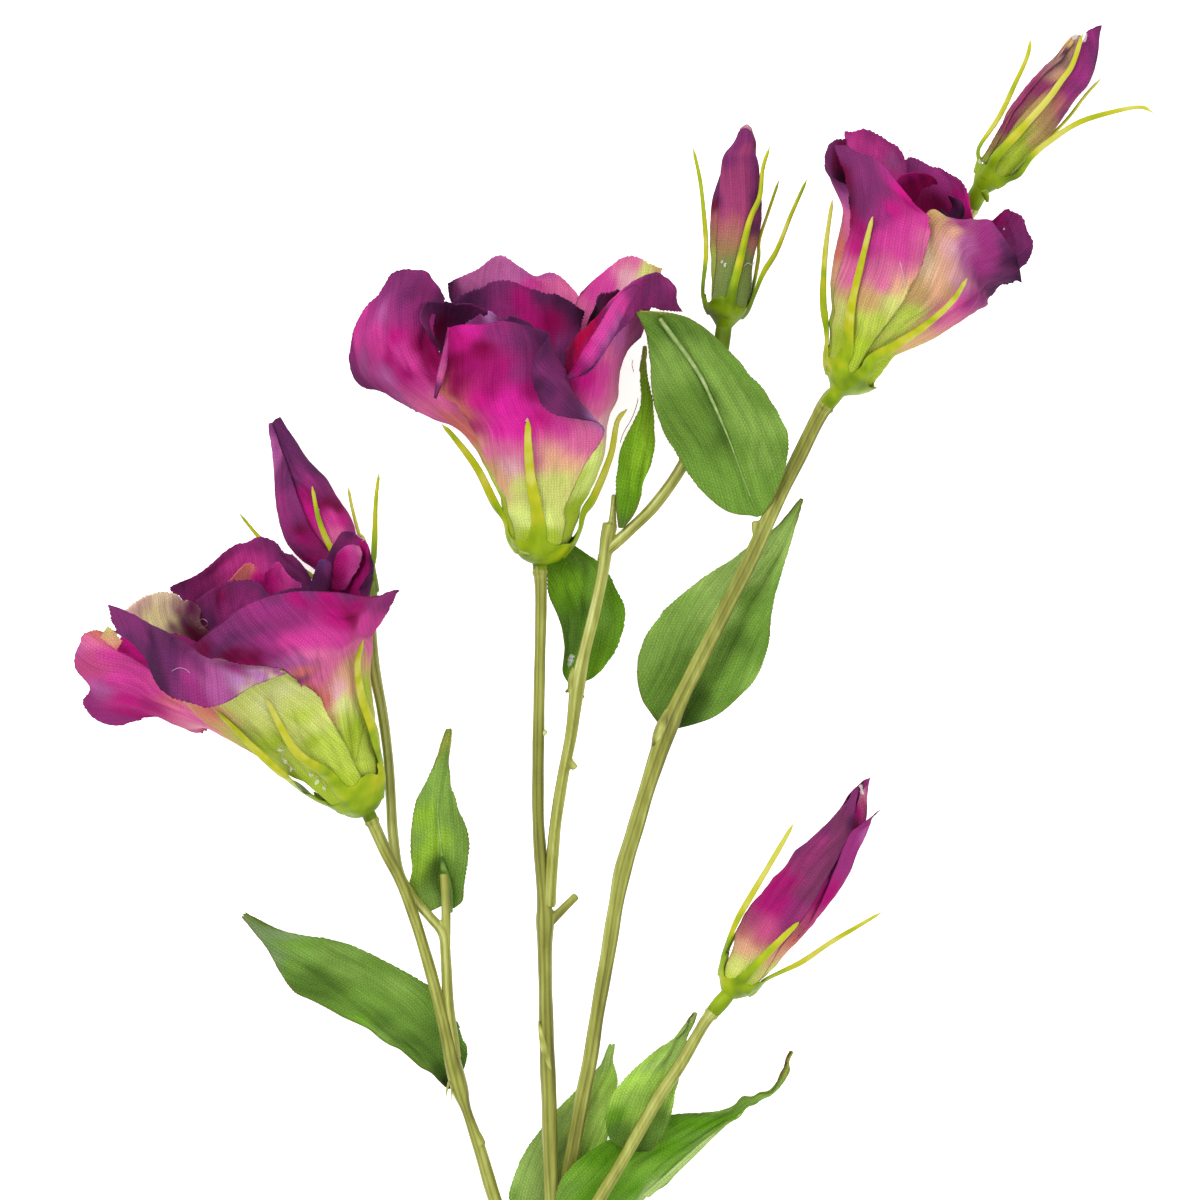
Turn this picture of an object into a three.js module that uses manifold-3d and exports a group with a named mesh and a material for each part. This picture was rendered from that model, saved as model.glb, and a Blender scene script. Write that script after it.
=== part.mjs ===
// Lisianthus spray, fabric petals and leaves on moulded stems, lying on its back.
// Millimetres, +Z up. Origin: centre of the underside of the whole spray.
// +Y runs from the cut end of the main stem towards the topmost bud.
import * as THREE from 'three';
import { mergeVertices } from 'three/addons/utils/BufferGeometryUtils.js';
import Module from 'manifold-3d';

const wasm = await Module();
wasm.setup();

// ---- driving dimensions (mm) ----
const PETAL_T = 0.6;          // thickness of a stiffened fabric petal
const LEAF_T = 0.7;           // thickness of a leaf with its moulded rib
const CUP_WALL = 0.85;        // wall of the calyx cup
const SEPAL_T = 0.8;          // thickness of a calyx sepal
const SEPAL_W_FLOWER = [5.2, 3.4, 2.3, 1.9, 1.5, 1.0];  // sepal width, root to tip, open flower
const SEPAL_W_BUD = [3.6, 2.1, 1.7, 1.4, 1.2, 0.9];     // the same on a bud
const PEG_R = 1.25;           // peg in the middle of the cup that the petals are threaded on
const GAP = 0.3;              // clearance between pieces that touch
const TRIM_GAP = 0.25;       // extra clearance where petals are pressed together
const STEM_SIDES = 7;
const CUP_SEGMENTS = 10;

// ---- control points (mm), read along each piece ----
// A petal or leaf is rows from base to tip, each row from one edge to the other.
// A sepal is its centre line; a stem is its centre line with a radius.
const HEAD = {
  flower_centre: { base: [-20.48, 91.68, 21.53], axis: [0.0899, 0.973, 0.2127], rim: 9.4, height: 7.5 },
  flower_left: { base: [-64.54, 28.48, 21.93], axis: [-0.4555, 0.8531, 0.2547], rim: 9.5, height: 7.5 },
  flower_right: { base: [55.15, 134.34, 24.93], axis: [0.4969, 0.8487, 0.1813], rim: 8.7, height: 7.2 },
  bud_a: { base: [28.39, -17.65, 12.53], axis: [0.5163, 0.8557, -0.0351], rim: 6.3, height: 5.8 },
  bud_b: { base: [92.51, 186.86, 10.93], axis: [0.5907, 0.8063, 0.0321], rim: 6.3, height: 5.8 },
  bud_c: { base: [26.12, 151.63, 21.43], axis: [0.1288, 0.9903, 0.0523], rim: 6.3, height: 5.8 },
  bud_d: { base: [-64.9, 80.35, 10.13], axis: [-0.5557, 0.8305, -0.0387], rim: 6.3, height: 5.8 },
};
const PETAL = {
  flower_centre_petal_front: [[[-24.9, 93.9, 25.95], [-23.9, 93.8, 26.95], [-22.7, 93.75, 27.7], [-21.3, 93.8, 28.15], [-19.9, 93.9, 28.25], [-18.5, 94.05, 28.05], [-17.2, 94.3, 27.55], [-16.05, 94.6, 26.7]],
  [[-26.6, 99.9, 28.7], [-25.25, 99.7, 30.15], [-23.65, 99.6, 31.25], [-21.85, 99.6, 32.05], [-19.9, 99.7, 32.4], [-17.95, 99.95, 32.3], [-16.05, 100.25, 31.8], [-14.35, 100.6, 30.9]],
  [[-28.4, 103.45, 30.55], [-26.9, 103.2, 32.35], [-25, 103.05, 33.8], [-22.9, 103.05, 34.85], [-20.6, 103.15, 35.4], [-18.2, 103.35, 35.5], [-15.9, 103.7, 35.1], [-13.75, 104.1, 34.25]],
  [[-32.45, 112.25, 34.15], [-30.1, 111.8, 37.15], [-27.05, 111.55, 39.45], [-23.6, 111.6, 40.95], [-19.85, 111.8, 41.6], [-16.05, 112.25, 41.35], [-12.5, 112.85, 40.15], [-9.35, 113.6, 38.15]],
  [[-37.85, 122.5, 39.35], [-33.25, 123.05, 44.4], [-27.5, 123.4, 47.9], [-20.85, 123.85, 49.35], [-13.95, 124.05, 49.75], [-8.3, 123.85, 49.55], [-5.85, 123.1, 49.85], [-4.4, 122.55, 50.7]],
  [[-45.85, 129.95, 44.75], [-40.25, 129.95, 49.65], [-32.8, 130.55, 52.65], [-24.95, 131, 54.1], [-18.1, 131, 54.45], [-11.75, 130.25, 54.65], [-13.9, 127.65, 57.65], [-17.55, 126.2, 57.9]],
  [[-44.35, 137.25, 51.4], [-39.1, 137.55, 55.4], [-32.2, 137.9, 57.85], [-25.35, 138.05, 59.25], [-19.25, 138.05, 59.65], [-14.6, 136.35, 59.65], [-17.75, 133.5, 63.1], [-21.15, 131.35, 62.2]],
  [[-42.9, 142.8, 57.7], [-37.95, 143.1, 60.2], [-32.1, 143.5, 61.7], [-26.25, 143.45, 62.55], [-20.9, 142.95, 62.85], [-16.8, 141.25, 62.85], [-19.15, 138.65, 66.35], [-21.85, 136.1, 64.8]],
  [[-42.5, 146.3, 63.6], [-38.6, 147.25, 64.25], [-33.45, 147.7, 65.25], [-28.85, 148.35, 65.8], [-23.3, 147.15, 65.9], [-17.7, 145.45, 65.85], [-18.9, 142.95, 67.85], [-20.85, 140.8, 66.9]]],
  flower_centre_petal_left: [[[-24.8, 95.65, 18.3], [-25.65, 95.15, 20.1], [-25.85, 94.7, 22.05], [-25.35, 94.35, 23.85], [-24.3, 94.1, 25.3], [-22.9, 94.05, 26.35]],
  [[-26.35, 102.3, 18.15], [-27.55, 101.6, 20.6], [-27.8, 101, 23.25], [-27.25, 100.45, 25.8], [-25.95, 100.1, 28], [-24.05, 99.95, 29.65]],
  [[-28.1, 106.35, 17.85], [-29.45, 105.55, 20.8], [-29.8, 104.8, 23.95], [-29.2, 104.2, 27], [-27.75, 103.75, 29.65], [-25.6, 103.45, 31.8]],
  [[-32.05, 115.9, 18.15], [-33.6, 114.9, 21.9], [-34, 113.95, 25.85], [-33.3, 113.15, 29.7], [-31.6, 112.55, 33.2], [-29.05, 112.15, 36.05]],
  [[-37.05, 123.75, 18.9], [-38.55, 122.65, 23.15], [-38.85, 121.6, 27.55], [-38.1, 120.75, 31.8], [-36.25, 120.05, 35.7], [-33.6, 119.55, 38.95]],
  [[-47.4, 126.15, 15.65], [-51.45, 128.15, 22.25], [-52.35, 130.05, 30.75], [-50.1, 132.25, 37.25], [-45.95, 134.05, 41.6], [-40.9, 135.35, 44.85]],
  [[-57.1, 131.6, 19.1], [-60.6, 133.55, 25.65], [-60.1, 136.8, 35.5], [-56.8, 141.45, 42.05], [-51.8, 143.8, 43.95], [-44.95, 145.4, 42.15]],
  [[-65.1, 134.3, 25.95], [-65.1, 138.35, 34.95], [-63.2, 144.4, 42.35], [-58.6, 150.1, 45.55], [-52.75, 154.6, 44.95], [-45.55, 151.55, 38.5]],
  [[-67.8, 138.3, 30.95], [-67.9, 143.4, 38.15], [-65.15, 150.5, 43.75], [-60.1, 156.8, 45.1], [-53.35, 162.7, 42.2], [-43.8, 155.45, 32.2]]],
  flower_centre_petal_right: [[[-17.5, 94.55, 26.4], [-16.3, 94.8, 25.65], [-15.4, 95.15, 24.6], [-14.75, 95.55, 23.25], [-14.55, 95.9, 21.7], [-14.8, 96.2, 20.15], [-15.5, 96.5, 18.65]],
  [[-16.2, 100.5, 30.6], [-14.15, 100.95, 29.5], [-12.45, 101.5, 27.85], [-11.4, 102.05, 25.7], [-11, 102.65, 23.25], [-11.4, 103.2, 20.7], [-12.6, 103.6, 18.35]],
  [[-15.95, 103.95, 33.8], [-13.1, 104.5, 32.6], [-10.75, 105.2, 30.5], [-9.15, 106, 27.8], [-8.45, 106.8, 24.6], [-8.85, 107.5, 21.3], [-10.3, 108.05, 18.15]],
  [[-12.85, 113.15, 38.8], [-9.5, 113.95, 36.7], [-6.85, 114.85, 33.7], [-5.2, 115.85, 30.05], [-4.7, 116.8, 25.95], [-5.4, 117.7, 21.8], [-7.3, 118.35, 17.95]],
  [[-12.55, 120.85, 42.6], [-8.8, 121.75, 40.1], [-5.85, 122.85, 36.6], [-3.95, 124, 32.4], [-3.3, 125.1, 27.7], [-4, 126.1, 22.9], [-6, 126.95, 18.35]],
  [[-13.7, 131.65, 50.45], [-9.8, 131.65, 50.85], [-6.35, 131.75, 48.3], [-3.4, 132.25, 43.25], [-1.15, 132.35, 35.15], [-0.6, 131.8, 25.95], [-2.85, 130.7, 16.65]],
  [[-14.4, 136.85, 54.7], [-10.75, 137.75, 56.3], [-6.85, 139, 55], [-3.15, 140.75, 50.25], [0.05, 142.7, 41.5], [2.4, 144.05, 30.65], [1.2, 142.15, 20.1]],
  [[-13.65, 141.15, 56.15], [-10.75, 145.4, 58.6], [-6.85, 149.55, 58.95], [-2.45, 153.65, 55.2], [2.5, 157.9, 46.95], [7.55, 161, 38.4], [10.65, 159.8, 26.85]],
  [[-13.65, 137.4, 58.35], [-9.5, 140.6, 61.5], [-5.35, 144.95, 61.9], [-1.45, 150.15, 56.95], [3.5, 155, 46.25], [9.5, 158.75, 38.35], [13.15, 157.15, 29.25]],
  [[-13.15, 134.45, 58.65], [-8.3, 135.25, 62.25], [-3.9, 139.35, 62.1], [-0.25, 146, 56.45], [4.5, 151.6, 45.45], [10.55, 152.2, 35.8], [15.35, 152.25, 31.15]]],
  flower_centre_petal_back_left: [[[-24.85, 95.15, 20.5], [-24.35, 95.5, 19.1], [-23.35, 95.85, 17.95], [-22.05, 96.2, 17.05], [-20.45, 96.45, 16.55], [-18.65, 96.65, 16.6]],
  [[-26.6, 101.65, 20.9], [-25.7, 102.2, 18.85], [-24.2, 102.75, 17.15], [-22.15, 103.2, 15.9], [-19.75, 103.6, 15.25], [-17.2, 103.8, 15.35]],
  [[-28.4, 105.6, 21], [-27.2, 106.35, 18.4], [-25.25, 107, 16.2], [-22.6, 107.6, 14.65], [-19.55, 108.1, 13.9], [-16.35, 108.35, 14.1]],
  [[-32.35, 115.05, 21.6], [-30.6, 116.05, 18.05], [-27.8, 117, 15.05], [-24.15, 117.8, 13], [-19.95, 118.45, 12.05], [-15.55, 118.8, 12.35]],
  [[-37.1, 122.85, 22.85], [-35.05, 124.05, 18.3], [-31.65, 125.25, 14.55], [-27.15, 126.3, 11.9], [-21.9, 127.1, 10.7], [-16.4, 127.55, 11.05]],
  [[-42.5, 130.55, 24.45], [-40.25, 132, 19], [-36.35, 133.45, 14.45], [-31.05, 134.65, 11.25], [-24.9, 135.6, 9.75], [-18.4, 136.15, 10.2]],
  [[-42.7, 143.2, 19.3], [-39.9, 145.4, 11.6], [-34.95, 147.45, 6.9], [-28.9, 148.9, 4.05], [-21.75, 148.95, 2.9], [-14.05, 148.1, 4.55]],
  [[-43.75, 154.8, 18.85], [-39.4, 157.85, 11.3], [-33.45, 161.05, 5.8], [-26.35, 161.25, 2.65], [-18.7, 160, 2.2], [-10.5, 155.8, 4.15]],
  [[-44.25, 160.6, 19.15], [-38.45, 164.25, 10.7], [-30.95, 169.05, 4.45], [-23.85, 165.5, 0.95], [-16.65, 164.7, 1.15], [-10.25, 158.95, 2.8]]],
  flower_centre_petal_back_right: [[[-20.5, 96.25, 17.45], [-19.35, 96.35, 17.55], [-18.2, 96.4, 17.9], [-17.2, 96.35, 18.5], [-16.35, 96.25, 19.35], [-15.75, 96.1, 20.3]],
  [[-19.9, 103.35, 16.2], [-18.05, 103.5, 16.35], [-16.35, 103.55, 16.9], [-14.75, 103.5, 17.85], [-13.5, 103.35, 19.15], [-12.5, 103.1, 20.65]],
  [[-19.75, 107.85, 14.95], [-17.4, 108, 15.15], [-15.2, 108.1, 15.85], [-13.2, 108, 17.05], [-11.5, 107.8, 18.7], [-10.25, 107.5, 20.65]],
  [[-20.2, 118.15, 13.15], [-16.9, 118.45, 13.4], [-13.8, 118.5, 14.45], [-11, 118.4, 16.15], [-8.65, 118.15, 18.45], [-6.9, 117.7, 21.2]],
  [[-22.1, 126.8, 11.85], [-18.1, 127.15, 12.2], [-14.25, 127.2, 13.45], [-10.8, 127.1, 15.6], [-7.95, 126.75, 18.4], [-5.9, 126.2, 21.8]],
  [[-25.65, 135.25, 10.95], [-20.7, 135.7, 11.3], [-16, 135.8, 12.85], [-11.8, 135.65, 15.45], [-8.4, 135.15, 18.95], [-5.95, 134.45, 23.2]],
  [[-16.6, 148.05, 5.6], [-12, 147.4, 7.4], [-7.4, 146.75, 10.2], [-3.85, 145.5, 13.9], [-1.35, 144.25, 18.6], [-0.35, 142.95, 23.35]],
  [[-12.55, 155.85, 3.15], [-8.45, 158.3, 4.65], [-4.1, 159.6, 7.85], [0.2, 159.35, 11.8], [4.25, 157.95, 17.45], [6.7, 155, 23.85]],
  [[-10.5, 159.15, 3.85], [-5.9, 163.65, 4.75], [-1.3, 167.3, 7.45], [3.25, 168.5, 11.7], [7.5, 166.55, 17.25], [11, 165.1, 22.95]]],
  flower_centre_petal_inner_back: [[[-22.15, 95.7, 19.15], [-21.4, 95.85, 18.8], [-20.6, 96, 18.65], [-19.75, 96.05, 18.7], [-18.95, 96.1, 18.9], [-18.2, 96.1, 19.25]],
  [[-22.75, 102.6, 18.35], [-21.45, 102.85, 17.75], [-20.05, 103.05, 17.5], [-18.65, 103.2, 17.55], [-17.3, 103.25, 17.9], [-16, 103.2, 18.55]],
  [[-23.8, 106.85, 17.6], [-22, 107.2, 16.75], [-20.05, 107.5, 16.35], [-18.1, 107.65, 16.45], [-16.15, 107.75, 16.95], [-14.4, 107.7, 17.9]],
  [[-26.35, 116.7, 16.95], [-23.75, 117.25, 15.65], [-20.9, 117.7, 15], [-18, 117.95, 15.05], [-15.15, 118.1, 15.8], [-12.55, 118, 17.15]],
  [[-30, 124.9, 16.9], [-26.7, 125.6, 15.15], [-23.1, 126.15, 14.25], [-19.3, 126.55, 14.3], [-15.65, 126.65, 15.35], [-12.4, 126.55, 17.2]],
  [[-38.1, 136, 21.65], [-35.2, 137.75, 17.4], [-30.7, 138.85, 15.05], [-25.15, 139.15, 14.45], [-19.3, 138.6, 15.25], [-13.95, 136.65, 19.25]],
  [[-41.6, 147.3, 22.2], [-37.25, 149.4, 16.5], [-31.75, 151.4, 13.25], [-24.65, 151.7, 12.15], [-17.55, 150.15, 12.7], [-10.4, 146.7, 19.35]],
  [[-43.05, 156, 24.2], [-37.25, 159.5, 16.7], [-30.75, 162.35, 12.1], [-23.15, 160.95, 10.6], [-15.55, 158.35, 11.9], [-8.9, 153.55, 18.8]]],
  flower_centre_petal_inner_left: [[[-23.4, 94.5, 23.95], [-23.75, 94.65, 23.1], [-23.85, 94.85, 22.15], [-23.7, 95.1, 21.25], [-23.3, 95.35, 20.4], [-22.7, 95.55, 19.65]],
  [[-24.8, 100.5, 26.75], [-25.45, 100.8, 25.25], [-25.7, 101.15, 23.6], [-25.45, 101.5, 21.95], [-24.8, 101.95, 20.45], [-23.7, 102.3, 19.2]],
  [[-26, 104.1, 28.85], [-27, 104.45, 26.8], [-27.4, 104.9, 24.6], [-27.15, 105.45, 22.35], [-26.3, 106, 20.3], [-24.85, 106.5, 18.55]],
  [[-28.9, 112.85, 33.05], [-30.5, 113.3, 30.2], [-31.25, 114, 26.95], [-31, 114.75, 23.65], [-29.8, 115.55, 20.5], [-27.75, 116.35, 17.85]],
  [[-35.1, 129.65, 39.9], [-37.75, 131.15, 34.7], [-38.85, 132.35, 29.95], [-39, 133.3, 25.1], [-37.85, 134, 21.2], [-35.65, 134.4, 18.7]],
  [[-40.85, 139.25, 46.25], [-43.65, 140.9, 43.1], [-44.8, 142.65, 38.5], [-44.25, 144.7, 32.85], [-41.95, 146.2, 28.05], [-38.05, 146.4, 24.5]],
  [[-44.4, 141.95, 50.5], [-47.65, 145.7, 49.4], [-49.95, 151.5, 47.2], [-47.35, 155.2, 43.4], [-40.2, 155.2, 36.15], [-31.15, 151.9, 29.1]]],
  flower_centre_petal_inner_front: [[[-22.7, 94.4, 24.85], [-21.85, 94.35, 25.4], [-20.95, 94.35, 25.75], [-19.95, 94.45, 25.85], [-19, 94.55, 25.65], [-18.15, 94.75, 25.25]],
  [[-23.7, 100.3, 28.1], [-22.3, 100.25, 29.1], [-20.7, 100.25, 29.7], [-19, 100.4, 29.8], [-17.35, 100.6, 29.5], [-15.85, 100.95, 28.8]],
  [[-24.6, 103.8, 30.65], [-22.75, 103.75, 31.85], [-20.7, 103.8, 32.55], [-18.5, 103.95, 32.7], [-16.35, 104.25, 32.3], [-14.4, 104.65, 31.35]],
  [[-26.85, 112.45, 35.65], [-24.15, 112.35, 37.3], [-21.15, 112.45, 38.2], [-18, 112.75, 38.3], [-14.95, 113.2, 37.6], [-12.2, 113.8, 36.15]],
  [[-33.05, 127.1, 41.8], [-30.05, 127.5, 44.35], [-26.55, 127.9, 45.85], [-22.6, 127.9, 46.25], [-18.95, 127.45, 45.55], [-16.25, 126.55, 43.3]],
  [[-36.35, 139.15, 47.65], [-32.85, 139.5, 50.65], [-28.9, 139.9, 52.7], [-24.45, 139.85, 53.1], [-20.1, 139.2, 51.8], [-16.7, 138.1, 48.95]],
  [[-39.25, 148.85, 49.9], [-36.2, 150.35, 53.25], [-33.2, 151.85, 56.55], [-29.75, 149.6, 57.45], [-26.1, 150.35, 57.55], [-22, 148.35, 54.45]]],
  flower_centre_petal_inner_right: [[[-17.3, 95, 24.5], [-16.85, 95.2, 23.7], [-16.65, 95.45, 22.8], [-16.65, 95.65, 21.9], [-16.85, 95.8, 21], [-17.35, 95.95, 20.2]],
  [[-14.45, 101.35, 27.5], [-13.65, 101.75, 26.15], [-13.25, 102.15, 24.6], [-13.25, 102.5, 23.05], [-13.7, 102.8, 21.5], [-14.5, 103, 20.15]],
  [[-12.55, 105.25, 29.6], [-11.45, 105.75, 27.75], [-10.95, 106.3, 25.65], [-11, 106.75, 23.5], [-11.6, 107.2, 21.45], [-12.75, 107.5, 19.6]],
  [[-9.65, 114.6, 33.55], [-8.2, 115.35, 30.85], [-7.55, 116.1, 27.85], [-7.75, 116.8, 24.75], [-8.75, 117.35, 21.8], [-10.45, 117.75, 19.2]],
  [[-15.25, 127.65, 41], [-12.35, 128.55, 36.6], [-10.6, 129.55, 31.2], [-10.4, 130.3, 25.8], [-11.65, 131, 21.45], [-13.95, 131.6, 18.6]],
  [[-12.3, 139.3, 45.1], [-9.35, 141.45, 41.45], [-7.35, 143.25, 35.75], [-6.85, 144.65, 28.95], [-7.9, 145.95, 24.2], [-10.4, 146.65, 20.85]],
  [[-7.85, 151.8, 42.75], [-6.85, 154.25, 39.2], [-5.35, 156.85, 33.7], [-2.85, 157.95, 28.8], [-0.6, 158.95, 24.9], [0.7, 157, 20.4]]],
  flower_left_petal_front_left: [[[-70.6, 28.35, 25.35], [-69.75, 28.55, 26.55], [-68.7, 28.9, 27.5], [-67.5, 29.45, 28.2], [-66.25, 30.15, 28.5], [-65, 30.95, 28.5], [-63.85, 31.8, 28.15]],
  [[-74.5, 32, 27.9], [-73.35, 32.2, 29.55], [-71.9, 32.7, 30.9], [-70.25, 33.45, 31.85], [-68.5, 34.4, 32.35], [-66.75, 35.5, 32.4], [-65.15, 36.7, 31.95]],
  [[-82, 36.3, 32.15], [-80.2, 36.65, 34.7], [-77.95, 37.4, 36.75], [-75.45, 38.55, 38.25], [-72.8, 39.95, 39.1], [-70.1, 41.65, 39.25], [-67.6, 43.4, 38.65]],
  [[-89.9, 41.5, 36.85], [-87.5, 41.95, 40.1], [-84.6, 42.95, 42.8], [-81.35, 44.4, 44.8], [-77.9, 46.25, 45.95], [-74.4, 48.4, 46.2], [-71.15, 50.7, 45.55]],
  [[-97.1, 46.3, 41.8], [-94.15, 46.9, 45.8], [-90.6, 48.1, 49.1], [-86.6, 49.85, 51.6], [-82.35, 52.1, 53.1], [-78.1, 54.65, 53.6], [-74, 57.5, 53]],
  [[-109.75, 57.45, 47.3], [-104.7, 58.6, 53.85], [-99.45, 60.1, 57.95], [-93.9, 61.65, 60.45], [-88.5, 62.6, 61.35], [-83.65, 63.1, 61.2], [-80.1, 61.85, 59.85]],
  [[-125.05, 78.4, 51.5], [-117.4, 75.95, 58.85], [-110.65, 73.3, 63.3], [-104.65, 68, 65.15], [-98.55, 65.85, 65.7], [-91.3, 64.65, 65.8], [-81.95, 63.85, 64.15]],
  [[-125.2, 75.95, 54.5], [-116.8, 71.85, 62.4], [-111.15, 66.85, 67.9], [-104.2, 61.3, 70.05], [-96.95, 60.1, 70.15], [-89.6, 62, 68.95], [-81.4, 63.4, 65.45]],
  [[-124.25, 73, 54.15], [-116.65, 67.25, 61.75], [-112.55, 59.55, 66.4], [-104.3, 54.8, 69.05], [-96.6, 55.25, 68.95], [-88.45, 59.85, 68.25], [-80.9, 62.9, 65.25]]],
  flower_left_petal_front_right: [[[-65, 31.3, 27.4], [-63.9, 32.1, 27.1], [-62.95, 32.9, 26.45], [-62.25, 33.7, 25.45], [-61.8, 34.4, 24.15], [-61.7, 34.9, 22.65], [-62.05, 35.25, 21.1]],
  [[-66.65, 36, 31.15], [-65, 37.15, 30.75], [-63.6, 38.4, 29.8], [-62.55, 39.55, 28.3], [-61.9, 40.55, 26.45], [-61.8, 41.3, 24.35], [-62.2, 41.75, 22.1]],
  [[-69.75, 42.3, 37.9], [-67.1, 44.2, 37.25], [-64.8, 46.2, 35.65], [-63.05, 48.05, 33.3], [-62.05, 49.65, 30.35], [-61.85, 50.9, 27], [-62.5, 51.6, 23.45]],
  [[-73.95, 49.15, 44.8], [-70.25, 51.8, 43.9], [-67.05, 54.5, 41.85], [-64.6, 57.1, 38.75], [-63.15, 59.3, 34.75], [-62.75, 61, 30.2], [-63.55, 62.05, 25.45]],
  [[-77.25, 55.7, 52.1], [-72.45, 59.05, 51.15], [-68.25, 62.55, 48.7], [-65, 65.85, 44.9], [-62.85, 68.8, 40], [-62.1, 71.1, 34.3], [-62.8, 72.6, 28.3]],
  [[-81.25, 63.15, 63.85], [-78.25, 65.35, 65.4], [-74.6, 67.3, 65.8], [-70.6, 68.95, 64.05], [-66.75, 70.35, 58.75], [-63.6, 71.75, 49.55], [-61.55, 72.65, 36.35]],
  [[-91.95, 64.7, 69.95], [-86.75, 68.55, 71.55], [-80.65, 71.7, 72.35], [-74.25, 73.85, 70.8], [-68.1, 75.5, 65.2], [-62.8, 76.95, 55.15], [-58.65, 77.4, 40]],
  [[-100.35, 66.9, 72.8], [-94.6, 71.25, 75.45], [-86.8, 76.05, 77.35], [-77.8, 79.4, 75.7], [-69.05, 80.1, 69.45], [-61.85, 80.1, 59.25], [-55.95, 80.35, 44.3]],
  [[-103.5, 69.55, 72.4], [-97.45, 74.6, 75.7], [-89.15, 80.1, 77.7], [-79.2, 83, 76.3], [-68.55, 82.55, 69.95], [-59.85, 81.8, 60.35], [-53.85, 83.3, 47.65]]],
  flower_left_petal_left: [[[-70.95, 30.1, 19.35], [-71.2, 29.6, 20.4], [-71.25, 29.2, 21.5], [-71.1, 28.95, 22.6], [-70.75, 28.8, 23.65], [-70.25, 28.8, 24.6], [-69.65, 28.95, 25.4], [-68.95, 29.2, 26.05]],
  [[-75, 34.45, 19.35], [-75.4, 33.7, 20.8], [-75.55, 33.1, 22.35], [-75.35, 32.7, 23.95], [-74.95, 32.5, 25.5], [-74.25, 32.5, 26.9], [-73.35, 32.65, 28.15], [-72.35, 33, 29.15]],
  [[-82.9, 39.95, 19.05], [-83.55, 38.8, 21.3], [-83.75, 37.9, 23.75], [-83.5, 37.25, 26.2], [-82.85, 36.9, 28.55], [-81.85, 36.85, 30.8], [-80.5, 37.05, 32.8], [-78.85, 37.55, 34.5]],
  [[-91.5, 46.05, 19.45], [-92.3, 44.6, 22.45], [-92.5, 43.4, 25.65], [-92.2, 42.6, 28.9], [-91.3, 42.1, 32.05], [-89.95, 42.05, 35.05], [-88.15, 42.3, 37.75], [-86, 42.95, 40.05]],
  [[-99.65, 51.8, 19.6], [-100.55, 50, 23.35], [-100.8, 48.6, 27.3], [-100.35, 47.6, 31.3], [-99.3, 47, 35.2], [-97.65, 46.85, 38.9], [-95.5, 47.15, 42.3], [-92.95, 47.85, 45.25]],
  [[-106.35, 46.5, 19.1], [-107.85, 47.7, 24.6], [-108.6, 49.1, 30.1], [-108.1, 50.5, 35.35], [-107, 51.85, 39.55], [-105.25, 52.9, 42.55], [-103.35, 53.45, 44.4], [-101.25, 53.75, 45.65]],
  [[-114.5, 50.95, 23.35], [-117.3, 51.8, 28], [-118.75, 53.7, 33.7], [-119.05, 55.55, 38.2], [-118.9, 57.6, 41.65], [-118.25, 59.1, 43.45], [-116.9, 60.35, 44.55], [-115.15, 60.85, 44.9]],
  [[-120.85, 50.45, 25.2], [-125.1, 51.6, 30.15], [-128.2, 54.5, 35.8], [-127.55, 58.1, 42.1], [-129.45, 61.8, 42.75], [-129.3, 65.3, 44.05], [-127.95, 68, 44.95], [-125.8, 69.25, 44.4]],
  [[-125.35, 48.7, 25.45], [-130.55, 49.6, 30.5], [-134.4, 54.25, 36.2], [-132.1, 58.7, 40.9], [-135.25, 64.5, 41.75], [-134.85, 70.45, 43.05], [-130.95, 73.45, 42.6], [-126.65, 71.95, 41.1]]],
  flower_left_petal_back: [[[-69, 31.95, 17.5], [-67.9, 32.7, 17.2], [-66.75, 33.45, 17.2], [-65.6, 34.1, 17.5], [-64.45, 34.65, 18.1], [-63.45, 35, 18.95], [-62.6, 35.2, 20]],
  [[-72.2, 37.05, 16.7], [-70.7, 38.2, 16.3], [-69.05, 39.25, 16.3], [-67.4, 40.15, 16.7], [-65.8, 40.9, 17.55], [-64.35, 41.45, 18.75], [-63.15, 41.75, 20.3]],
  [[-78.4, 44.3, 14.55], [-76.05, 46, 13.9], [-73.5, 47.65, 13.9], [-70.95, 49.05, 14.5], [-68.5, 50.25, 15.75], [-66.3, 51.1, 17.55], [-64.4, 51.55, 19.8]],
  [[-85.15, 52.25, 12.9], [-82.1, 54.5, 12], [-78.8, 56.65, 11.95], [-75.45, 58.55, 12.7], [-72.2, 60.1, 14.25], [-69.2, 61.25, 16.55], [-66.65, 62, 19.45]],
  [[-91.2, 60.15, 10.55], [-87.45, 62.9, 9.4], [-83.4, 65.55, 9.25], [-79.3, 67.9, 10.05], [-75.3, 69.95, 11.8], [-71.55, 71.5, 14.4], [-68.25, 72.55, 17.7]],
  [[-100.2, 66.85, 6.6], [-95.7, 70.15, 5.35], [-90.9, 73.25, 5.15], [-86.05, 76.1, 6.05], [-81.3, 78.5, 7.9], [-76.85, 80.45, 10.7], [-72.85, 81.85, 14.3]],
  [[-108.1, 71.95, 10.9], [-103.3, 76, 7.05], [-97.85, 79.85, 5.1], [-92.15, 81.6, 6.65], [-86.8, 82.15, 9.5], [-81.95, 81.6, 13.7], [-78.1, 80.6, 18.45]],
  [[-112.65, 80.6, 16.6], [-106.55, 84.4, 10.95], [-100.2, 88.75, 7.95], [-93, 90.8, 8.85], [-86.15, 89.25, 12], [-80.8, 85.65, 15.95], [-77, 82.6, 20.25]],
  [[-114.35, 83.65, 19.55], [-107.6, 87.45, 13.3], [-99.75, 94.1, 10.05], [-91.5, 96.85, 11.5], [-84.4, 93.25, 15.2], [-80.1, 89.2, 18.7], [-78.4, 85.15, 21.55]]],
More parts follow.
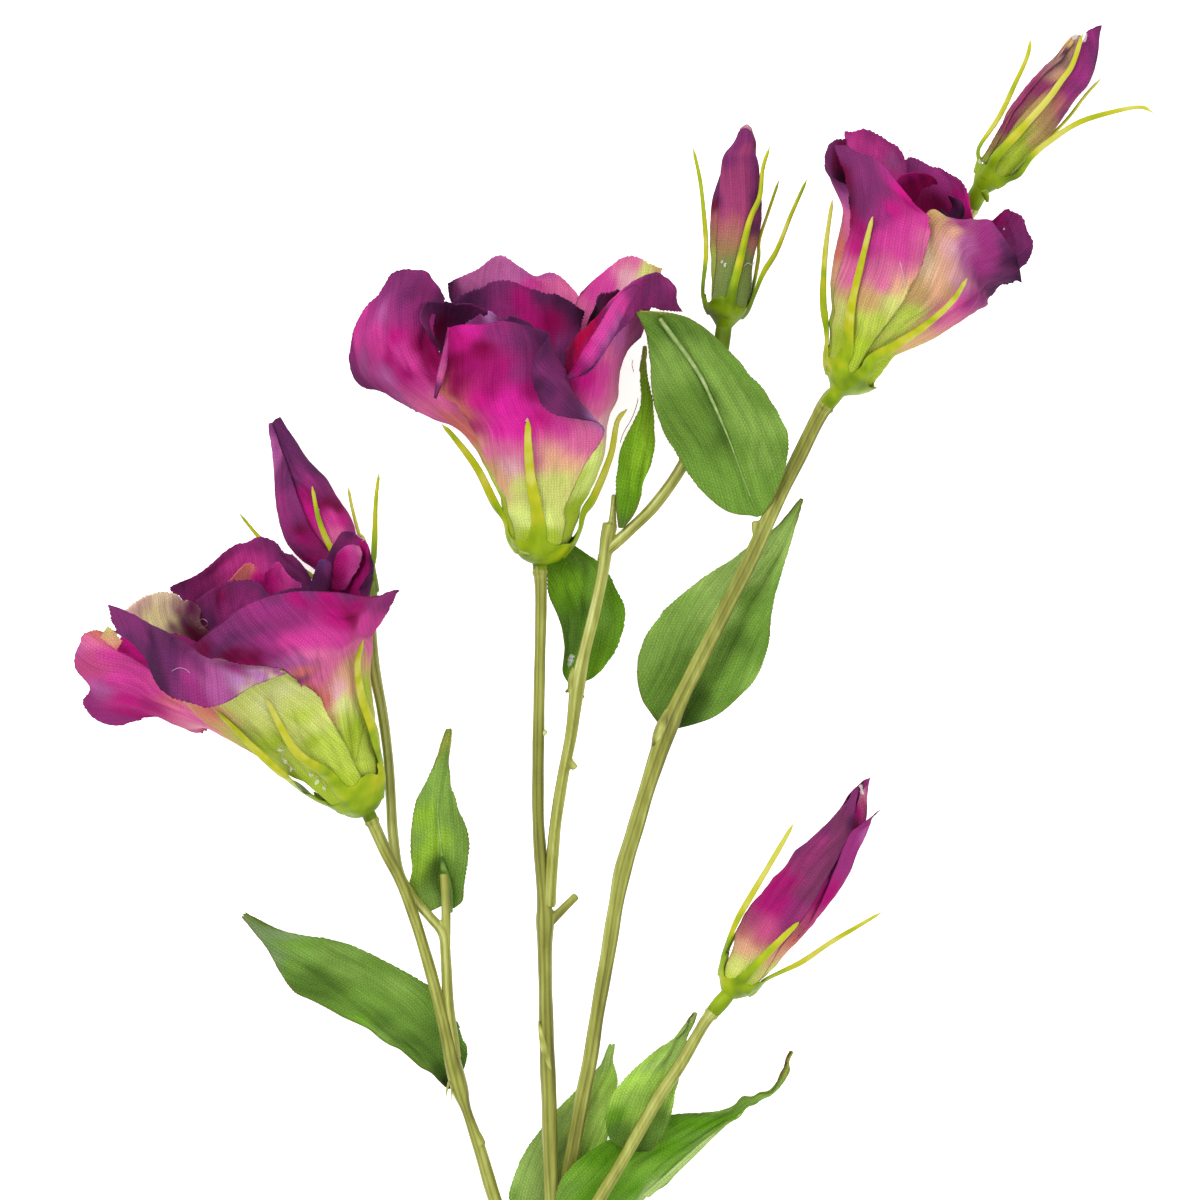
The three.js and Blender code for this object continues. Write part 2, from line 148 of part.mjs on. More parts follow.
  flower_left_petal_right: [[[-62.55, 34.45, 22.4], [-62.7, 34.55, 21.9], [-62.9, 34.6, 21.4], [-63.15, 34.6, 20.9], [-63.4, 34.55, 20.45], [-63.75, 34.5, 20.05], [-64.1, 34.4, 19.65]],
  [[-62.65, 40.8, 24.1], [-62.85, 40.95, 23.2], [-63.15, 41.05, 22.35], [-63.55, 41.1, 21.5], [-64.05, 41.05, 20.7], [-64.6, 40.9, 20], [-65.2, 40.7, 19.35]],
  [[-62.8, 50.4, 26.55], [-63.15, 50.7, 24.95], [-63.65, 50.9, 23.4], [-64.35, 50.9, 21.85], [-65.2, 50.85, 20.45], [-66.25, 50.6, 19.15], [-67.35, 50.25, 18]],
  [[-63.8, 60.55, 29.6], [-64.2, 61, 27.3], [-64.9, 61.3, 25.05], [-65.85, 61.4, 22.85], [-67.1, 61.25, 20.8], [-68.55, 60.95, 18.95], [-70.15, 60.45, 17.3]],
  [[-63.2, 70.65, 33.55], [-63.6, 71.45, 30.4], [-64.35, 71.95, 27.3], [-65.55, 72.15, 24.3], [-67.1, 72.1, 21.45], [-68.95, 71.75, 18.8], [-71.15, 71.1, 16.45]],
  [[-63.85, 72.1, 30.55], [-65.7, 73.55, 24.1], [-67.95, 75.05, 19.75], [-70.35, 76.3, 17.35], [-72.7, 77.05, 15.85], [-75, 77.55, 15.3], [-77.3, 77.8, 15.2]],
  [[-64.4, 79.1, 39.25], [-63.45, 81.1, 33.5], [-64.45, 83.1, 28.1], [-66.65, 84.35, 24.65], [-69.3, 84.65, 22.1], [-72.15, 83.9, 20.85], [-74.45, 82.6, 20.4]],
  [[-65.35, 82.6, 39.2], [-62.4, 87.05, 34.7], [-63.9, 90.1, 29.6], [-66.55, 91.9, 26.35], [-69.2, 92.4, 24.35], [-71.75, 90.65, 23.8], [-73.95, 86.15, 24.15]],
  [[-65.5, 82.6, 41.25], [-61.95, 88.05, 37.9], [-62.9, 93.05, 34.15], [-65.9, 97.6, 29.55], [-69.85, 98.15, 26.25], [-72.15, 95.15, 24.9], [-74.15, 91.4, 25.35]]],
  flower_left_petal_back_left: [[[-70.35, 30, 20.7], [-70.05, 30.45, 20], [-69.6, 30.95, 19.35], [-69.1, 31.45, 18.85], [-68.45, 31.95, 18.5], [-67.75, 32.5, 18.3]],
  [[-74.5, 34.2, 21.05], [-74.05, 34.85, 20], [-73.4, 35.55, 19.05], [-72.55, 36.35, 18.3], [-71.6, 37.15, 17.75], [-70.55, 37.9, 17.45]],
  [[-82.45, 39.55, 21.15], [-81.7, 40.65, 19.35], [-80.6, 41.85, 17.8], [-79.25, 43.1, 16.55], [-77.65, 44.4, 15.65], [-75.9, 45.7, 15.15]],
  [[-90.95, 45.7, 21.6], [-89.9, 47.2, 19.1], [-88.4, 48.85, 17], [-86.5, 50.6, 15.3], [-84.3, 52.4, 14.05], [-81.9, 54.2, 13.35]],
  [[-99.1, 51.3, 22.3], [-97.8, 53.25, 18.85], [-95.8, 55.45, 15.85], [-93.3, 57.85, 13.5], [-90.35, 60.3, 11.8], [-87.05, 62.7, 10.85]],
  [[-102.8, 53.85, 19.2], [-103.15, 56.8, 14.85], [-102.45, 59.75, 11.4], [-100.65, 62.5, 8.7], [-98, 65.05, 6.85], [-94.75, 67.05, 5.8]],
  [[-117.2, 66.85, 31.4], [-116.75, 69.8, 25.9], [-115.2, 72.3, 21.2], [-112.6, 73.75, 17.05], [-109.35, 74.25, 13.65], [-105.8, 73.75, 11]],
  [[-124.9, 76.9, 38.9], [-121.8, 80.35, 33.15], [-117.8, 82.35, 27.9], [-113.6, 82.85, 22.3], [-109.8, 81.1, 17.3], [-106.35, 79.1, 13.25]]],
  flower_left_petal_inner_back: [[[-68.1, 31.8, 19.7], [-67.55, 32.2, 19.5], [-66.95, 32.6, 19.45], [-66.35, 32.95, 19.5], [-65.8, 33.25, 19.7], [-65.2, 33.55, 20.05], [-64.7, 33.7, 20.5]],
  [[-71.3, 36.9, 19.05], [-70.4, 37.55, 18.75], [-69.45, 38.2, 18.65], [-68.45, 38.8, 18.8], [-67.5, 39.35, 19.1], [-66.55, 39.75, 19.65], [-65.7, 40.05, 20.4]],
  [[-77.5, 44, 17.2], [-75.9, 45.2, 16.6], [-74.2, 46.35, 16.45], [-72.45, 47.4, 16.65], [-70.7, 48.35, 17.25], [-69.05, 49.1, 18.25], [-67.5, 49.65, 19.55]],
  [[-84.2, 51.85, 16], [-81.95, 53.55, 15.2], [-79.6, 55.15, 14.95], [-77.15, 56.6, 15.3], [-74.7, 57.9, 16.1], [-72.4, 58.95, 17.45], [-70.3, 59.7, 19.25]],
  [[-90.9, 61.6, 16.15], [-88.5, 63.6, 14.2], [-85.75, 65.4, 13.7], [-82.9, 66.65, 14.55], [-80, 67.45, 16.8], [-77.5, 67.5, 19.95], [-75.75, 66.8, 24.1]],
  [[-98.2, 75.05, 19.75], [-95.6, 77.55, 17.9], [-92.6, 79.6, 16.9], [-89.3, 80.6, 17.15], [-85.9, 80.6, 18.65], [-82.45, 79.6, 21.4], [-79.7, 77.85, 25.15]],
  [[-100.45, 84.9, 22.8], [-96.85, 88.9, 21.15], [-92.9, 90.7, 19.95], [-90, 87.9, 21.4], [-86.5, 90.7, 21], [-82.8, 87.4, 23.75], [-79.25, 84.35, 27.6]]],
  flower_left_petal_inner_mid: [[[-68.3, 31.1, 21.4], [-68, 31.4, 21], [-67.6, 31.75, 20.7], [-67.15, 32.1, 20.55], [-66.65, 32.45, 20.55], [-66.1, 32.75, 20.65]],
  [[-72.1, 35.55, 21.6], [-71.55, 36.2, 20.85], [-70.8, 36.85, 20.3], [-69.9, 37.5, 20], [-68.95, 38.1, 19.95], [-68, 38.65, 20.2]],
  [[-79.5, 41.4, 21.25], [-78.4, 42.6, 19.75], [-76.95, 43.9, 18.65], [-75.2, 45.2, 18.05], [-73.35, 46.4, 18], [-71.45, 47.5, 18.45]],
  [[-87.05, 48.2, 21.65], [-85.45, 49.95, 19.45], [-83.3, 51.8, 17.9], [-80.8, 53.65, 17.1], [-78.1, 55.4, 17.1], [-75.4, 56.9, 17.85]],
  [[-91.25, 59, 24.65], [-90.4, 61, 22.95], [-88.75, 62.7, 21.6], [-86.45, 64, 21.55], [-83.85, 64.75, 22.85], [-81.2, 64.8, 24.95]],
  [[-102.5, 71.85, 28.25], [-100.7, 74.1, 25.95], [-97.8, 75.85, 24.9], [-94.25, 76.6, 25.05], [-90.65, 76.6, 26.55], [-87.45, 75.6, 28.85]],
  [[-107.9, 79.6, 29.85], [-103.55, 83.1, 27.95], [-98.85, 85.35, 27.25], [-94.05, 85.85, 27.65], [-89.95, 84.35, 28.7], [-87.5, 81.6, 31.25]]],
  flower_left_petal_inner_left: [[[-68.7, 29.8, 24.6], [-69.05, 29.8, 24], [-69.3, 29.85, 23.3], [-69.45, 30, 22.55], [-69.4, 30.25, 21.85], [-69.25, 30.55, 21.2]],
  [[-72.35, 33.55, 27.3], [-73, 33.55, 26.2], [-73.4, 33.65, 25.05], [-73.6, 33.9, 23.85], [-73.55, 34.3, 22.65], [-73.3, 34.85, 21.55]],
  [[-79.35, 38.1, 31.75], [-80.45, 38.05, 29.85], [-81.15, 38.25, 27.8], [-81.5, 38.7, 25.65], [-81.45, 39.4, 23.55], [-81, 40.35, 21.6]],
  [[-86.75, 43.7, 36.3], [-88.25, 43.6, 33.65], [-89.25, 43.85, 30.75], [-89.75, 44.5, 27.8], [-89.65, 45.5, 24.9], [-89, 46.75, 22.2]],
  [[-94.45, 54.85, 41.35], [-96.75, 55.55, 37.8], [-97.85, 56.4, 33.15], [-98, 57.55, 28.4], [-97.05, 59, 24.55], [-95.3, 60.45, 21.55]],
  [[-109.75, 61.3, 42.1], [-111.4, 63, 40.25], [-112.15, 65.2, 37.35], [-111.5, 67.65, 33.75], [-109.85, 69.6, 29.9], [-107.4, 70.8, 26.75]],
  [[-126.3, 66.7, 39.85], [-126.95, 69.2, 38.5], [-125.2, 71.65, 36.25], [-121.5, 73.1, 33.5], [-116.85, 73.1, 30.25], [-111.7, 72.1, 26.65]]],
  flower_left_petal_inner_right: [[[-64.4, 32.25, 25.55], [-64, 32.7, 25.05], [-63.75, 33.05, 24.45], [-63.6, 33.4, 23.75], [-63.6, 33.6, 23.05], [-63.75, 33.75, 22.3]],
  [[-65.15, 37.7, 28.85], [-64.5, 38.4, 28], [-64.05, 39, 26.95], [-63.8, 39.55, 25.85], [-63.8, 39.95, 24.6], [-64.05, 40.15, 23.35]],
  [[-66.5, 45.4, 34.6], [-65.3, 46.7, 33.05], [-64.45, 47.9, 31.15], [-64.05, 48.85, 29.05], [-64.1, 49.5, 26.75], [-64.6, 49.9, 24.45]],
  [[-68.9, 53.85, 40.3], [-67.1, 55.7, 38.05], [-65.9, 57.35, 35.3], [-65.35, 58.7, 32.2], [-65.55, 59.65, 28.95], [-66.35, 60.15, 25.65]],
  [[-79.4, 61.85, 44.65], [-76.1, 63.8, 42.05], [-73.6, 65.45, 38.05], [-72.2, 66.9, 33.15], [-71.95, 67.85, 28.3], [-72.7, 68.55, 24]],
  [[-81.7, 74.7, 46.95], [-78.4, 76.65, 44.35], [-75.5, 77.9, 40.15], [-73.5, 79.1, 35.6], [-72.8, 80.1, 30.7], [-73.6, 80.6, 26.35]],
  [[-87.1, 82.1, 47.45], [-81.95, 83.8, 43.05], [-77.85, 84.8, 38.1], [-75.1, 91.05, 34.55], [-72.2, 90.1, 32.85], [-72.8, 84.6, 30.7]]],
  flower_right_petal_front: [[[52.7, 139.15, 28.15], [53.25, 138.75, 29.05], [54, 138.25, 29.8], [54.95, 137.75, 30.35], [55.95, 137.25, 30.65], [57, 136.75, 30.7], [58.1, 136.35, 30.55]],
  [[53.2, 145.6, 30.35], [53.95, 145, 31.7], [55, 144.3, 32.85], [56.25, 143.6, 33.7], [57.65, 142.85, 34.2], [59.2, 142.15, 34.4], [60.7, 141.55, 34.25]],
  [[52.65, 152.8, 33.85], [53.8, 151.85, 35.95], [55.4, 150.8, 37.7], [57.25, 149.7, 39.05], [59.4, 148.6, 39.95], [61.7, 147.5, 40.35], [64.1, 146.5, 40.2]],
  [[53.2, 159.6, 37.15], [54.65, 158.4, 39.9], [56.65, 157.05, 42.2], [59.05, 155.65, 44], [61.75, 154.2, 45.25], [64.7, 152.8, 45.85], [67.75, 151.5, 45.85]],
  [[54.85, 167.1, 40.75], [56.6, 165.7, 43.9], [58.9, 164.1, 46.55], [61.7, 162.45, 48.65], [64.85, 160.8, 50.15], [68.25, 159.15, 50.95], [71.8, 157.6, 51.05]],
  [[56, 174, 46.2], [58.35, 172.75, 52.25], [61.5, 171.4, 56.35], [65, 170.2, 59], [68.6, 169.15, 60.1], [72, 168.4, 60.25], [74.95, 167.7, 59.85]],
  [[55.8, 179.8, 49.8], [58.2, 179.15, 54.45], [61.15, 178.1, 58.1], [64.65, 176.9, 60.7], [68.45, 175.55, 62.3], [72, 174, 63.3], [75.15, 172.5, 63.8]],
  [[53.75, 187, 51.45], [56.25, 186.45, 54.65], [59.05, 185.5, 57.25], [61.8, 184.05, 59.75], [64.6, 181.9, 61.65], [67.7, 179.15, 62.9], [72.7, 175.15, 64.1]],
  [[51.75, 192.7, 51.35], [54.35, 192.2, 53.5], [57.15, 191.05, 55.55], [60, 189.85, 57.6], [62.8, 187.45, 59.45], [65.35, 183.65, 61], [69.15, 178.9, 62.95]]],
  flower_right_petal_left: [[[53.55, 140.05, 22.35], [52.95, 140, 23.65], [52.75, 139.8, 25.05], [52.9, 139.5, 26.3], [53.35, 139.05, 27.4], [54.05, 138.55, 28.25]],
  [[54.55, 146.8, 22.05], [53.6, 146.8, 23.95], [53.2, 146.55, 25.9], [53.3, 146.1, 27.8], [53.9, 145.5, 29.55], [54.85, 144.8, 30.9]],
  [[54.5, 154.75, 20.9], [53.05, 154.75, 23.8], [52.4, 154.4, 26.95], [52.5, 153.7, 30], [53.3, 152.75, 32.8], [54.8, 151.6, 35.15]],
  [[55.35, 162.3, 20.2], [53.5, 162.25, 24.1], [52.65, 161.75, 28.2], [52.8, 160.85, 32.25], [53.9, 159.55, 36], [55.85, 158.05, 39.15]],
  [[56.55, 170.6, 20.95], [54.7, 170.45, 25.55], [53.9, 169.75, 30.3], [54.2, 168.6, 34.95], [55.6, 167.1, 39.25], [57.85, 165.35, 42.9]],
  [[57.75, 180.95, 23.1], [55.5, 179.8, 27.85], [54.7, 177.55, 33.5], [55.1, 175.55, 39.25], [56.4, 174.25, 42.7], [58.45, 173.5, 45.8]],
  [[56.75, 187.85, 27.35], [53.8, 187, 31.05], [52.05, 185.45, 36.75], [52.55, 183.55, 41.55], [54.05, 182.2, 45], [56.65, 181.5, 47.6]],
  [[56.3, 195.9, 31.8], [53.3, 195.4, 36.6], [51.05, 192.75, 41.05], [50.2, 189.25, 43.9], [51.05, 186.05, 45.95], [53.2, 183.5, 47.2]]],
  flower_right_petal_right: [[[57.35, 136.85, 29.6], [58.55, 136.4, 29.4], [59.7, 136, 28.8], [60.7, 135.8, 27.85], [61.45, 135.75, 26.6], [61.85, 135.9, 25.1], [61.8, 136.25, 23.6]],
  [[59.75, 142.2, 33.2], [61.65, 141.4, 32.95], [63.5, 140.8, 32.05], [65.05, 140.45, 30.6], [66.2, 140.35, 28.7], [66.8, 140.55, 26.45], [66.75, 141.1, 24.15]],
  [[62.4, 147.5, 39.1], [65.65, 146.15, 38.75], [68.8, 145.1, 37.3], [71.5, 144.45, 34.9], [73.5, 144.25, 31.75], [74.5, 144.6, 28.1], [74.45, 145.45, 24.3]],
  [[65.75, 152.65, 44.55], [70.15, 150.8, 44.2], [74.4, 149.35, 42.45], [78.15, 148.4, 39.35], [80.95, 148.05, 35.25], [82.5, 148.4, 30.45], [82.7, 149.4, 25.45]],
  [[69.4, 158.95, 49.45], [74.6, 156.8, 49.3], [79.7, 154.95, 47.5], [84.25, 153.7, 44.15], [87.85, 153.15, 39.55], [90.15, 153.3, 34.1], [90.9, 154.25, 28.2]],
  [[74.05, 174.9, 58.55], [77.1, 171.8, 60.25], [80.25, 168.65, 60.45], [83.5, 165.1, 59.05], [86.55, 161.5, 55.05], [89.35, 158.35, 48.05], [91.7, 155.35, 37.5]],
  [[79.3, 173.8, 57.2], [82.5, 171.65, 59.65], [85.6, 168.9, 60.4], [88.6, 165.8, 59.55], [91.3, 162.65, 56.15], [93.8, 159.9, 50.2], [95.6, 157.3, 41.25]],
  [[84.6, 173.75, 54.6], [87.55, 172.55, 57.15], [90.35, 170.2, 59], [92.75, 167.55, 59.2], [94.9, 164.5, 57.3], [96.5, 161.45, 52.75], [97.2, 158, 45.55]],
  [[86.75, 173.45, 52.65], [89.95, 173.25, 54.9], [92.45, 170.6, 57.2], [94.6, 167.65, 57.85], [96.4, 164.3, 56.85], [97.7, 160.9, 53.25], [98.45, 157.4, 47.6]]],
  flower_right_petal_right_back: [[[60.95, 136.3, 24.95], [61.05, 136.4, 24.15], [61, 136.6, 23.35], [60.8, 136.9, 22.5], [60.45, 137.2, 21.75], [59.9, 137.6, 21]],
  [[65.9, 141.05, 26.1], [66, 141.3, 24.8], [65.8, 141.6, 23.55], [65.45, 142.05, 22.3], [64.8, 142.6, 21.15], [63.9, 143.2, 20.15]],
  [[73.55, 145.2, 27.3], [73.65, 145.6, 25.15], [73.3, 146.25, 22.95], [72.5, 147, 20.9], [71.35, 147.9, 19.05], [69.8, 148.9, 17.45]],
  [[81.6, 149.15, 28.9], [81.7, 149.75, 25.8], [81.2, 150.6, 22.75], [80.1, 151.7, 19.9], [78.4, 152.95, 17.3], [76.25, 154.4, 15.15]],
  [[89.15, 154.25, 31.65], [89.55, 154.95, 27.75], [89.15, 155.95, 23.85], [87.95, 157.25, 20.15], [86, 158.8, 16.75], [83.35, 160.55, 13.95]],
  [[87.15, 158.7, 35.7], [89.7, 161.4, 29.25], [90.55, 164.5, 24.8], [89.85, 167.5, 21.2], [88.35, 170, 18.45], [86.2, 171.9, 16.6]],
  [[94.75, 161.4, 39.85], [96.4, 164.7, 35.5], [96.45, 168.2, 32.05], [94.95, 170.9, 29.35], [92.85, 172.55, 27.45], [90.25, 173.45, 25.85]],
  [[99.4, 162.35, 40.4], [102.3, 167.45, 38.5], [101.65, 172.75, 37.35], [98.8, 176.8, 36.35], [95.2, 177.45, 34.65], [91.95, 174.95, 31.9]]],
  flower_right_petal_back_right: [[[55.85, 139.4, 20.65], [56.9, 139, 20.6], [57.85, 138.5, 20.8], [58.7, 138.05, 21.2], [59.4, 137.65, 21.75], [59.95, 137.25, 22.5]],
  [[57.9, 145.9, 19.55], [59.45, 145.25, 19.4], [60.95, 144.55, 19.6], [62.25, 143.9, 20.1], [63.35, 143.25, 20.9], [64.25, 142.65, 21.95]],
  [[60.2, 153.25, 16.55], [62.7, 152.25, 16.2], [65.05, 151.15, 16.35], [67.3, 150.05, 17.1], [69.2, 149, 18.3], [70.75, 147.95, 19.9]],
  [[63.35, 160.2, 13.95], [66.65, 158.9, 13.35], [69.9, 157.45, 13.55], [72.9, 155.95, 14.45], [75.55, 154.45, 16.05], [77.75, 153.05, 18.2]],
  [[67.1, 167.95, 12.1], [71.25, 166.3, 11.3], [75.35, 164.5, 11.55], [79.15, 162.6, 12.75], [82.5, 160.75, 14.8], [85.2, 158.95, 17.6]],
  [[73.85, 172.5, 12.65], [76.9, 173.05, 12], [79.9, 173, 12.7], [82.55, 172.3, 14.85], [84.6, 171.05, 17.85], [86.1, 169.55, 21.25]],
  [[71.75, 183.6, 13.45], [75.6, 184.7, 12.4], [79.65, 183.6, 13.05], [83, 181.15, 15.4], [85.45, 178, 19.65], [86.8, 174.05, 24.65]],
  [[70.9, 190.35, 14.6], [74.55, 192.5, 13.2], [79.35, 190.45, 13.2], [83.5, 187.95, 15.65], [87.15, 183.75, 20.3], [88.2, 176.4, 26.25]]],
  flower_right_petal_back_left: [[[53.75, 139.65, 23.85], [54.2, 139.6, 23.15], [54.75, 139.5, 22.5], [55.4, 139.3, 22], [56.15, 139.05, 21.65], [56.9, 138.8, 21.45]],
  [[54.5, 146.4, 24.1], [55.2, 146.35, 23], [56.05, 146.15, 22], [57.1, 145.9, 21.2], [58.25, 145.5, 20.65], [59.45, 145.05, 20.35]],
  [[54.2, 154.3, 23.6], [55.4, 154.2, 21.7], [56.9, 153.95, 20], [58.65, 153.45, 18.7], [60.6, 152.8, 17.75], [62.65, 152.05, 17.2]],
  [[54.95, 161.8, 23.3], [56.6, 161.65, 20.65], [58.65, 161.25, 18.35], [61.1, 160.6, 16.5], [63.75, 159.75, 15.2], [66.6, 158.65, 14.45]],
  [[56.55, 169.95, 24.05], [58.5, 169.85, 20.65], [61.05, 169.4, 17.65], [64.05, 168.6, 15.25], [67.45, 167.5, 13.5], [71.05, 166.15, 12.55]],
  [[57.45, 178.05, 24.6], [60.2, 178.7, 19.85], [63.45, 179, 16.6], [66.85, 178.65, 14.75], [69.95, 177.7, 13.8], [72.75, 176.45, 13.8]],
  [[56.85, 188.55, 30.55], [60.15, 189.8, 25.4], [63.65, 190.4, 21.7], [67.1, 189.65, 18.75], [69.95, 188.05, 17.15], [72.05, 185.35, 16.35]],
  [[56.15, 197.4, 34.15], [59.7, 198.95, 29.05], [64.5, 198.45, 24.25], [68.75, 196.3, 20.6], [71.65, 192.7, 18.65], [72.5, 188.55, 17.45]]],
  flower_right_petal_inner_left: [[[55, 138.35, 27.3], [54.6, 138.7, 26.5], [54.5, 138.95, 25.55], [54.75, 139.05, 24.6], [55.25, 139, 23.75], [56, 138.8, 23.1]],
  [[55.95, 144.5, 30], [55.25, 145.15, 28.5], [55.1, 145.55, 26.75], [55.5, 145.75, 25], [56.45, 145.7, 23.5], [57.8, 145.35, 22.35]],
  [[56.1, 151.25, 34.1], [54.8, 152.45, 31.3], [54.5, 153.25, 28.1], [55.3, 153.6, 24.9], [57, 153.45, 22.1], [59.5, 152.8, 20]],
  [[57.5, 157.65, 37.75], [55.7, 159.25, 33.85], [55.35, 160.35, 29.45], [56.4, 160.8, 25], [58.8, 160.6, 21.15], [62.25, 159.75, 18.25]],
  [[63.85, 166.65, 42.45], [62.65, 168.5, 37.55], [63, 170.45, 31.85], [64.85, 172.1, 26.7], [67.6, 173.15, 23], [70.75, 173.35, 20.75]],
  [[66.15, 178.3, 41.65], [65.6, 180.15, 37.9], [66.9, 181.8, 33.2], [69.4, 183.15, 29.55], [72.6, 183.4, 26.75], [75.75, 182.55, 24.8]],
  [[67.25, 182.95, 39.55], [68.5, 185.75, 36.05], [71.4, 187.3, 33], [74.85, 187.3, 30.2], [77.75, 187.25, 28.4], [80.15, 184.9, 26.6]]],
  flower_right_petal_inner_right: [[[58.25, 136.85, 27.95], [59, 136.65, 27.3], [59.5, 136.6, 26.5], [59.75, 136.7, 25.55], [59.65, 136.95, 24.6], [59.25, 137.3, 23.75]],
  [[61.85, 141.7, 31.15], [63.2, 141.4, 30], [64.15, 141.3, 28.5], [64.55, 141.5, 26.75], [64.4, 141.9, 25], [63.7, 142.55, 23.5]],
  [[67, 146.15, 36.15], [69.45, 145.5, 34.1], [71.2, 145.35, 31.3], [71.95, 145.7, 28.1], [71.7, 146.5, 24.9], [70.4, 147.65, 22.1]],
  [[72.6, 150.5, 40.6], [76.05, 149.65, 37.75], [78.45, 149.45, 33.85], [79.5, 149.9, 29.45], [79.1, 151.05, 25], [77.3, 152.65, 21.15]],
  [[74.85, 164.5, 44.45], [77.8, 164.25, 41.05], [79.9, 165.1, 36.3], [80.8, 167, 31.1], [80.15, 169.15, 26.35], [78.4, 170.9, 22.95]],
  [[77.95, 173.75, 45.85], [81.1, 172.8, 42.9], [83.7, 172.9, 38.5], [84.8, 174.75, 33.85], [84.45, 176.9, 29.1], [82.7, 178.7, 25.7]],
  [[77.8, 177.8, 44.55], [81, 176.1, 41.45], [84.3, 175.2, 37.45], [85.8, 177.5, 33.9], [84.9, 180.85, 29.85], [81.35, 182.65, 26.8]]],
  bud_a_petal_front: [[[26.4, -13.4, 12.05], [26.7, -13.5, 13.9], [27.65, -14.1, 15.3], [29.1, -15, 16], [30.6, -16.05, 15.75], [31.8, -16.85, 14.65]],
  [[27.3, -9.8, 11.5], [27.55, -9.85, 13.95], [28.75, -10.55, 15.9], [30.6, -11.75, 16.95], [32.6, -13.1, 16.75], [34.25, -14.2, 15.35]],
  [[29.55, -4.3, 10.65], [29.65, -4.25, 13.8], [31.05, -5.05, 16.5], [33.4, -6.55, 18.05], [36, -8.3, 17.95], [38.25, -9.8, 16.35]],
  [[36.85, 6.1, 9.7], [36.8, 6.25, 13.2], [38.15, 5.5, 16.35], [40.6, 4, 18.35], [43.5, 2.1, 18.8], [46.2, 0.25, 17.55]],
  [[44.35, 15.3, 9.5], [44.3, 15.45, 12.5], [45.4, 14.85, 15.2], [47.45, 13.6, 17.1], [49.9, 12, 17.65], [52.3, 10.4, 16.8]],
  [[53.35, 24.6, 9.3], [53.2, 24.75, 11.35], [53.8, 24.45, 13.3], [55.05, 23.7, 14.8], [56.65, 22.65, 15.55], [58.35, 21.55, 15.4]],
  [[57.8, 29.9, 8.55], [57.85, 29.8, 12.05], [58.3, 29.6, 13.55], [59.05, 29.35, 13.75], [59.55, 29.6, 13.35], [59.85, 30.35, 12.5]],
  [[59.05, 32.5, 9.45], [59.2, 32.7, 10.85], [59.4, 32.85, 11.75], [59.9, 33, 11.95], [60.15, 33.1, 11.85], [60.7, 33.05, 11.2]]],
  bud_a_petal_back: [[[30.65, -16.1, 14.45], [31.35, -16.6, 13.45], [31.55, -16.8, 12.2], [31.15, -16.55, 10.9], [30.25, -16, 10.1], [29.15, -15.3, 9.85], [28.1, -14.6, 10.35], [27.45, -14.15, 11.4], [27.35, -14, 12.7]],
  [[32.8, -13.25, 15.3], [33.85, -14, 14], [34.2, -14.35, 12.15], [33.85, -14.2, 10.25], [32.7, -13.45, 8.65], [30.9, -12.3, 8.25], [29.25, -11.2, 8.9], [28.3, -10.5, 10.65], [28.3, -10.4, 12.55]],
  [[36.35, -8.55, 16.45], [38.35, -9.95, 15.1], [39.6, -10.85, 12.45], [38.95, -10.6, 9.3], [37.1, -9.45, 6.95], [34.5, -7.8, 6], [31.95, -6.05, 6.8], [30.55, -5, 9.35], [30.5, -4.9, 12.1]],
  [[44.25, 1.55, 17.2], [46.85, -0.25, 15.9], [48.6, -1.5, 12.85], [48.2, -1.4, 9], [46.15, -0.2, 5.9], [43.1, 1.75, 4.5], [39.95, 3.85, 5.15], [38.05, 5.25, 8.1], [37.8, 5.55, 11.45]],
  [[50.45, 11.55, 16.05], [52.85, 9.95, 15.35], [54.75, 8.6, 12.85], [54.6, 8.55, 9.35], [52.95, 9.55, 6.4], [50.25, 11.25, 4.95], [47.35, 13.15, 5.35], [45.65, 14.4, 7.95], [45.45, 14.65, 10.9]],
  [[57.5, 20.25, 13.85], [60.65, 18.15, 12.35], [61.85, 18.75, 9.3], [60.95, 20.9, 6.75], [58.95, 22.9, 6.15], [56.9, 24.45, 6.55], [55.3, 25.3, 7.75], [54.45, 25.35, 9.15], [54.15, 24.9, 10.6]],
  [[59.65, 26.75, 12.2], [62.7, 24.45, 11.65], [63.85, 25.35, 9.6], [62.95, 28.1, 7.9], [61.45, 30.1, 7.5], [60.15, 30.9, 7.9], [59.35, 31.2, 8.5], [58.55, 30.95, 9.3], [58.25, 30.45, 9.95]],
  [[61.2, 31.85, 11.85], [62.25, 33.1, 11.4], [62.8, 34.3, 10.65], [63.35, 35.3, 9.9], [63.5, 35.55, 9.3], [63.15, 35.25, 8.8], [62.65, 35, 8.7], [61.85, 34.5, 8.95], [61.35, 33.75, 9.4]]],
  bud_b_petal_right: [[[92.1, 190.8, 13.55], [93.4, 189.85, 14.5], [95, 188.75, 14.5], [96.35, 187.85, 13.55], [97.15, 187.4, 11.9], [97.15, 187.45, 10], [96.35, 188.1, 8.4], [94.95, 189.05, 7.5]],
  [[94.4, 194.65, 14.65], [96.2, 193.35, 15.75], [98.2, 191.95, 15.65], [99.9, 190.85, 14.25], [100.85, 190.3, 12.05], [100.75, 190.45, 9.6], [99.65, 191.3, 7.6], [97.8, 192.6, 6.55]],
  [[98.25, 199.85, 16.3], [100.5, 198.25, 17.15], [102.85, 196.65, 16.6], [104.7, 195.45, 14.65], [105.6, 194.95, 11.95], [105.25, 195.3, 9.05], [103.8, 196.4, 6.75], [101.6, 197.95, 5.65]],
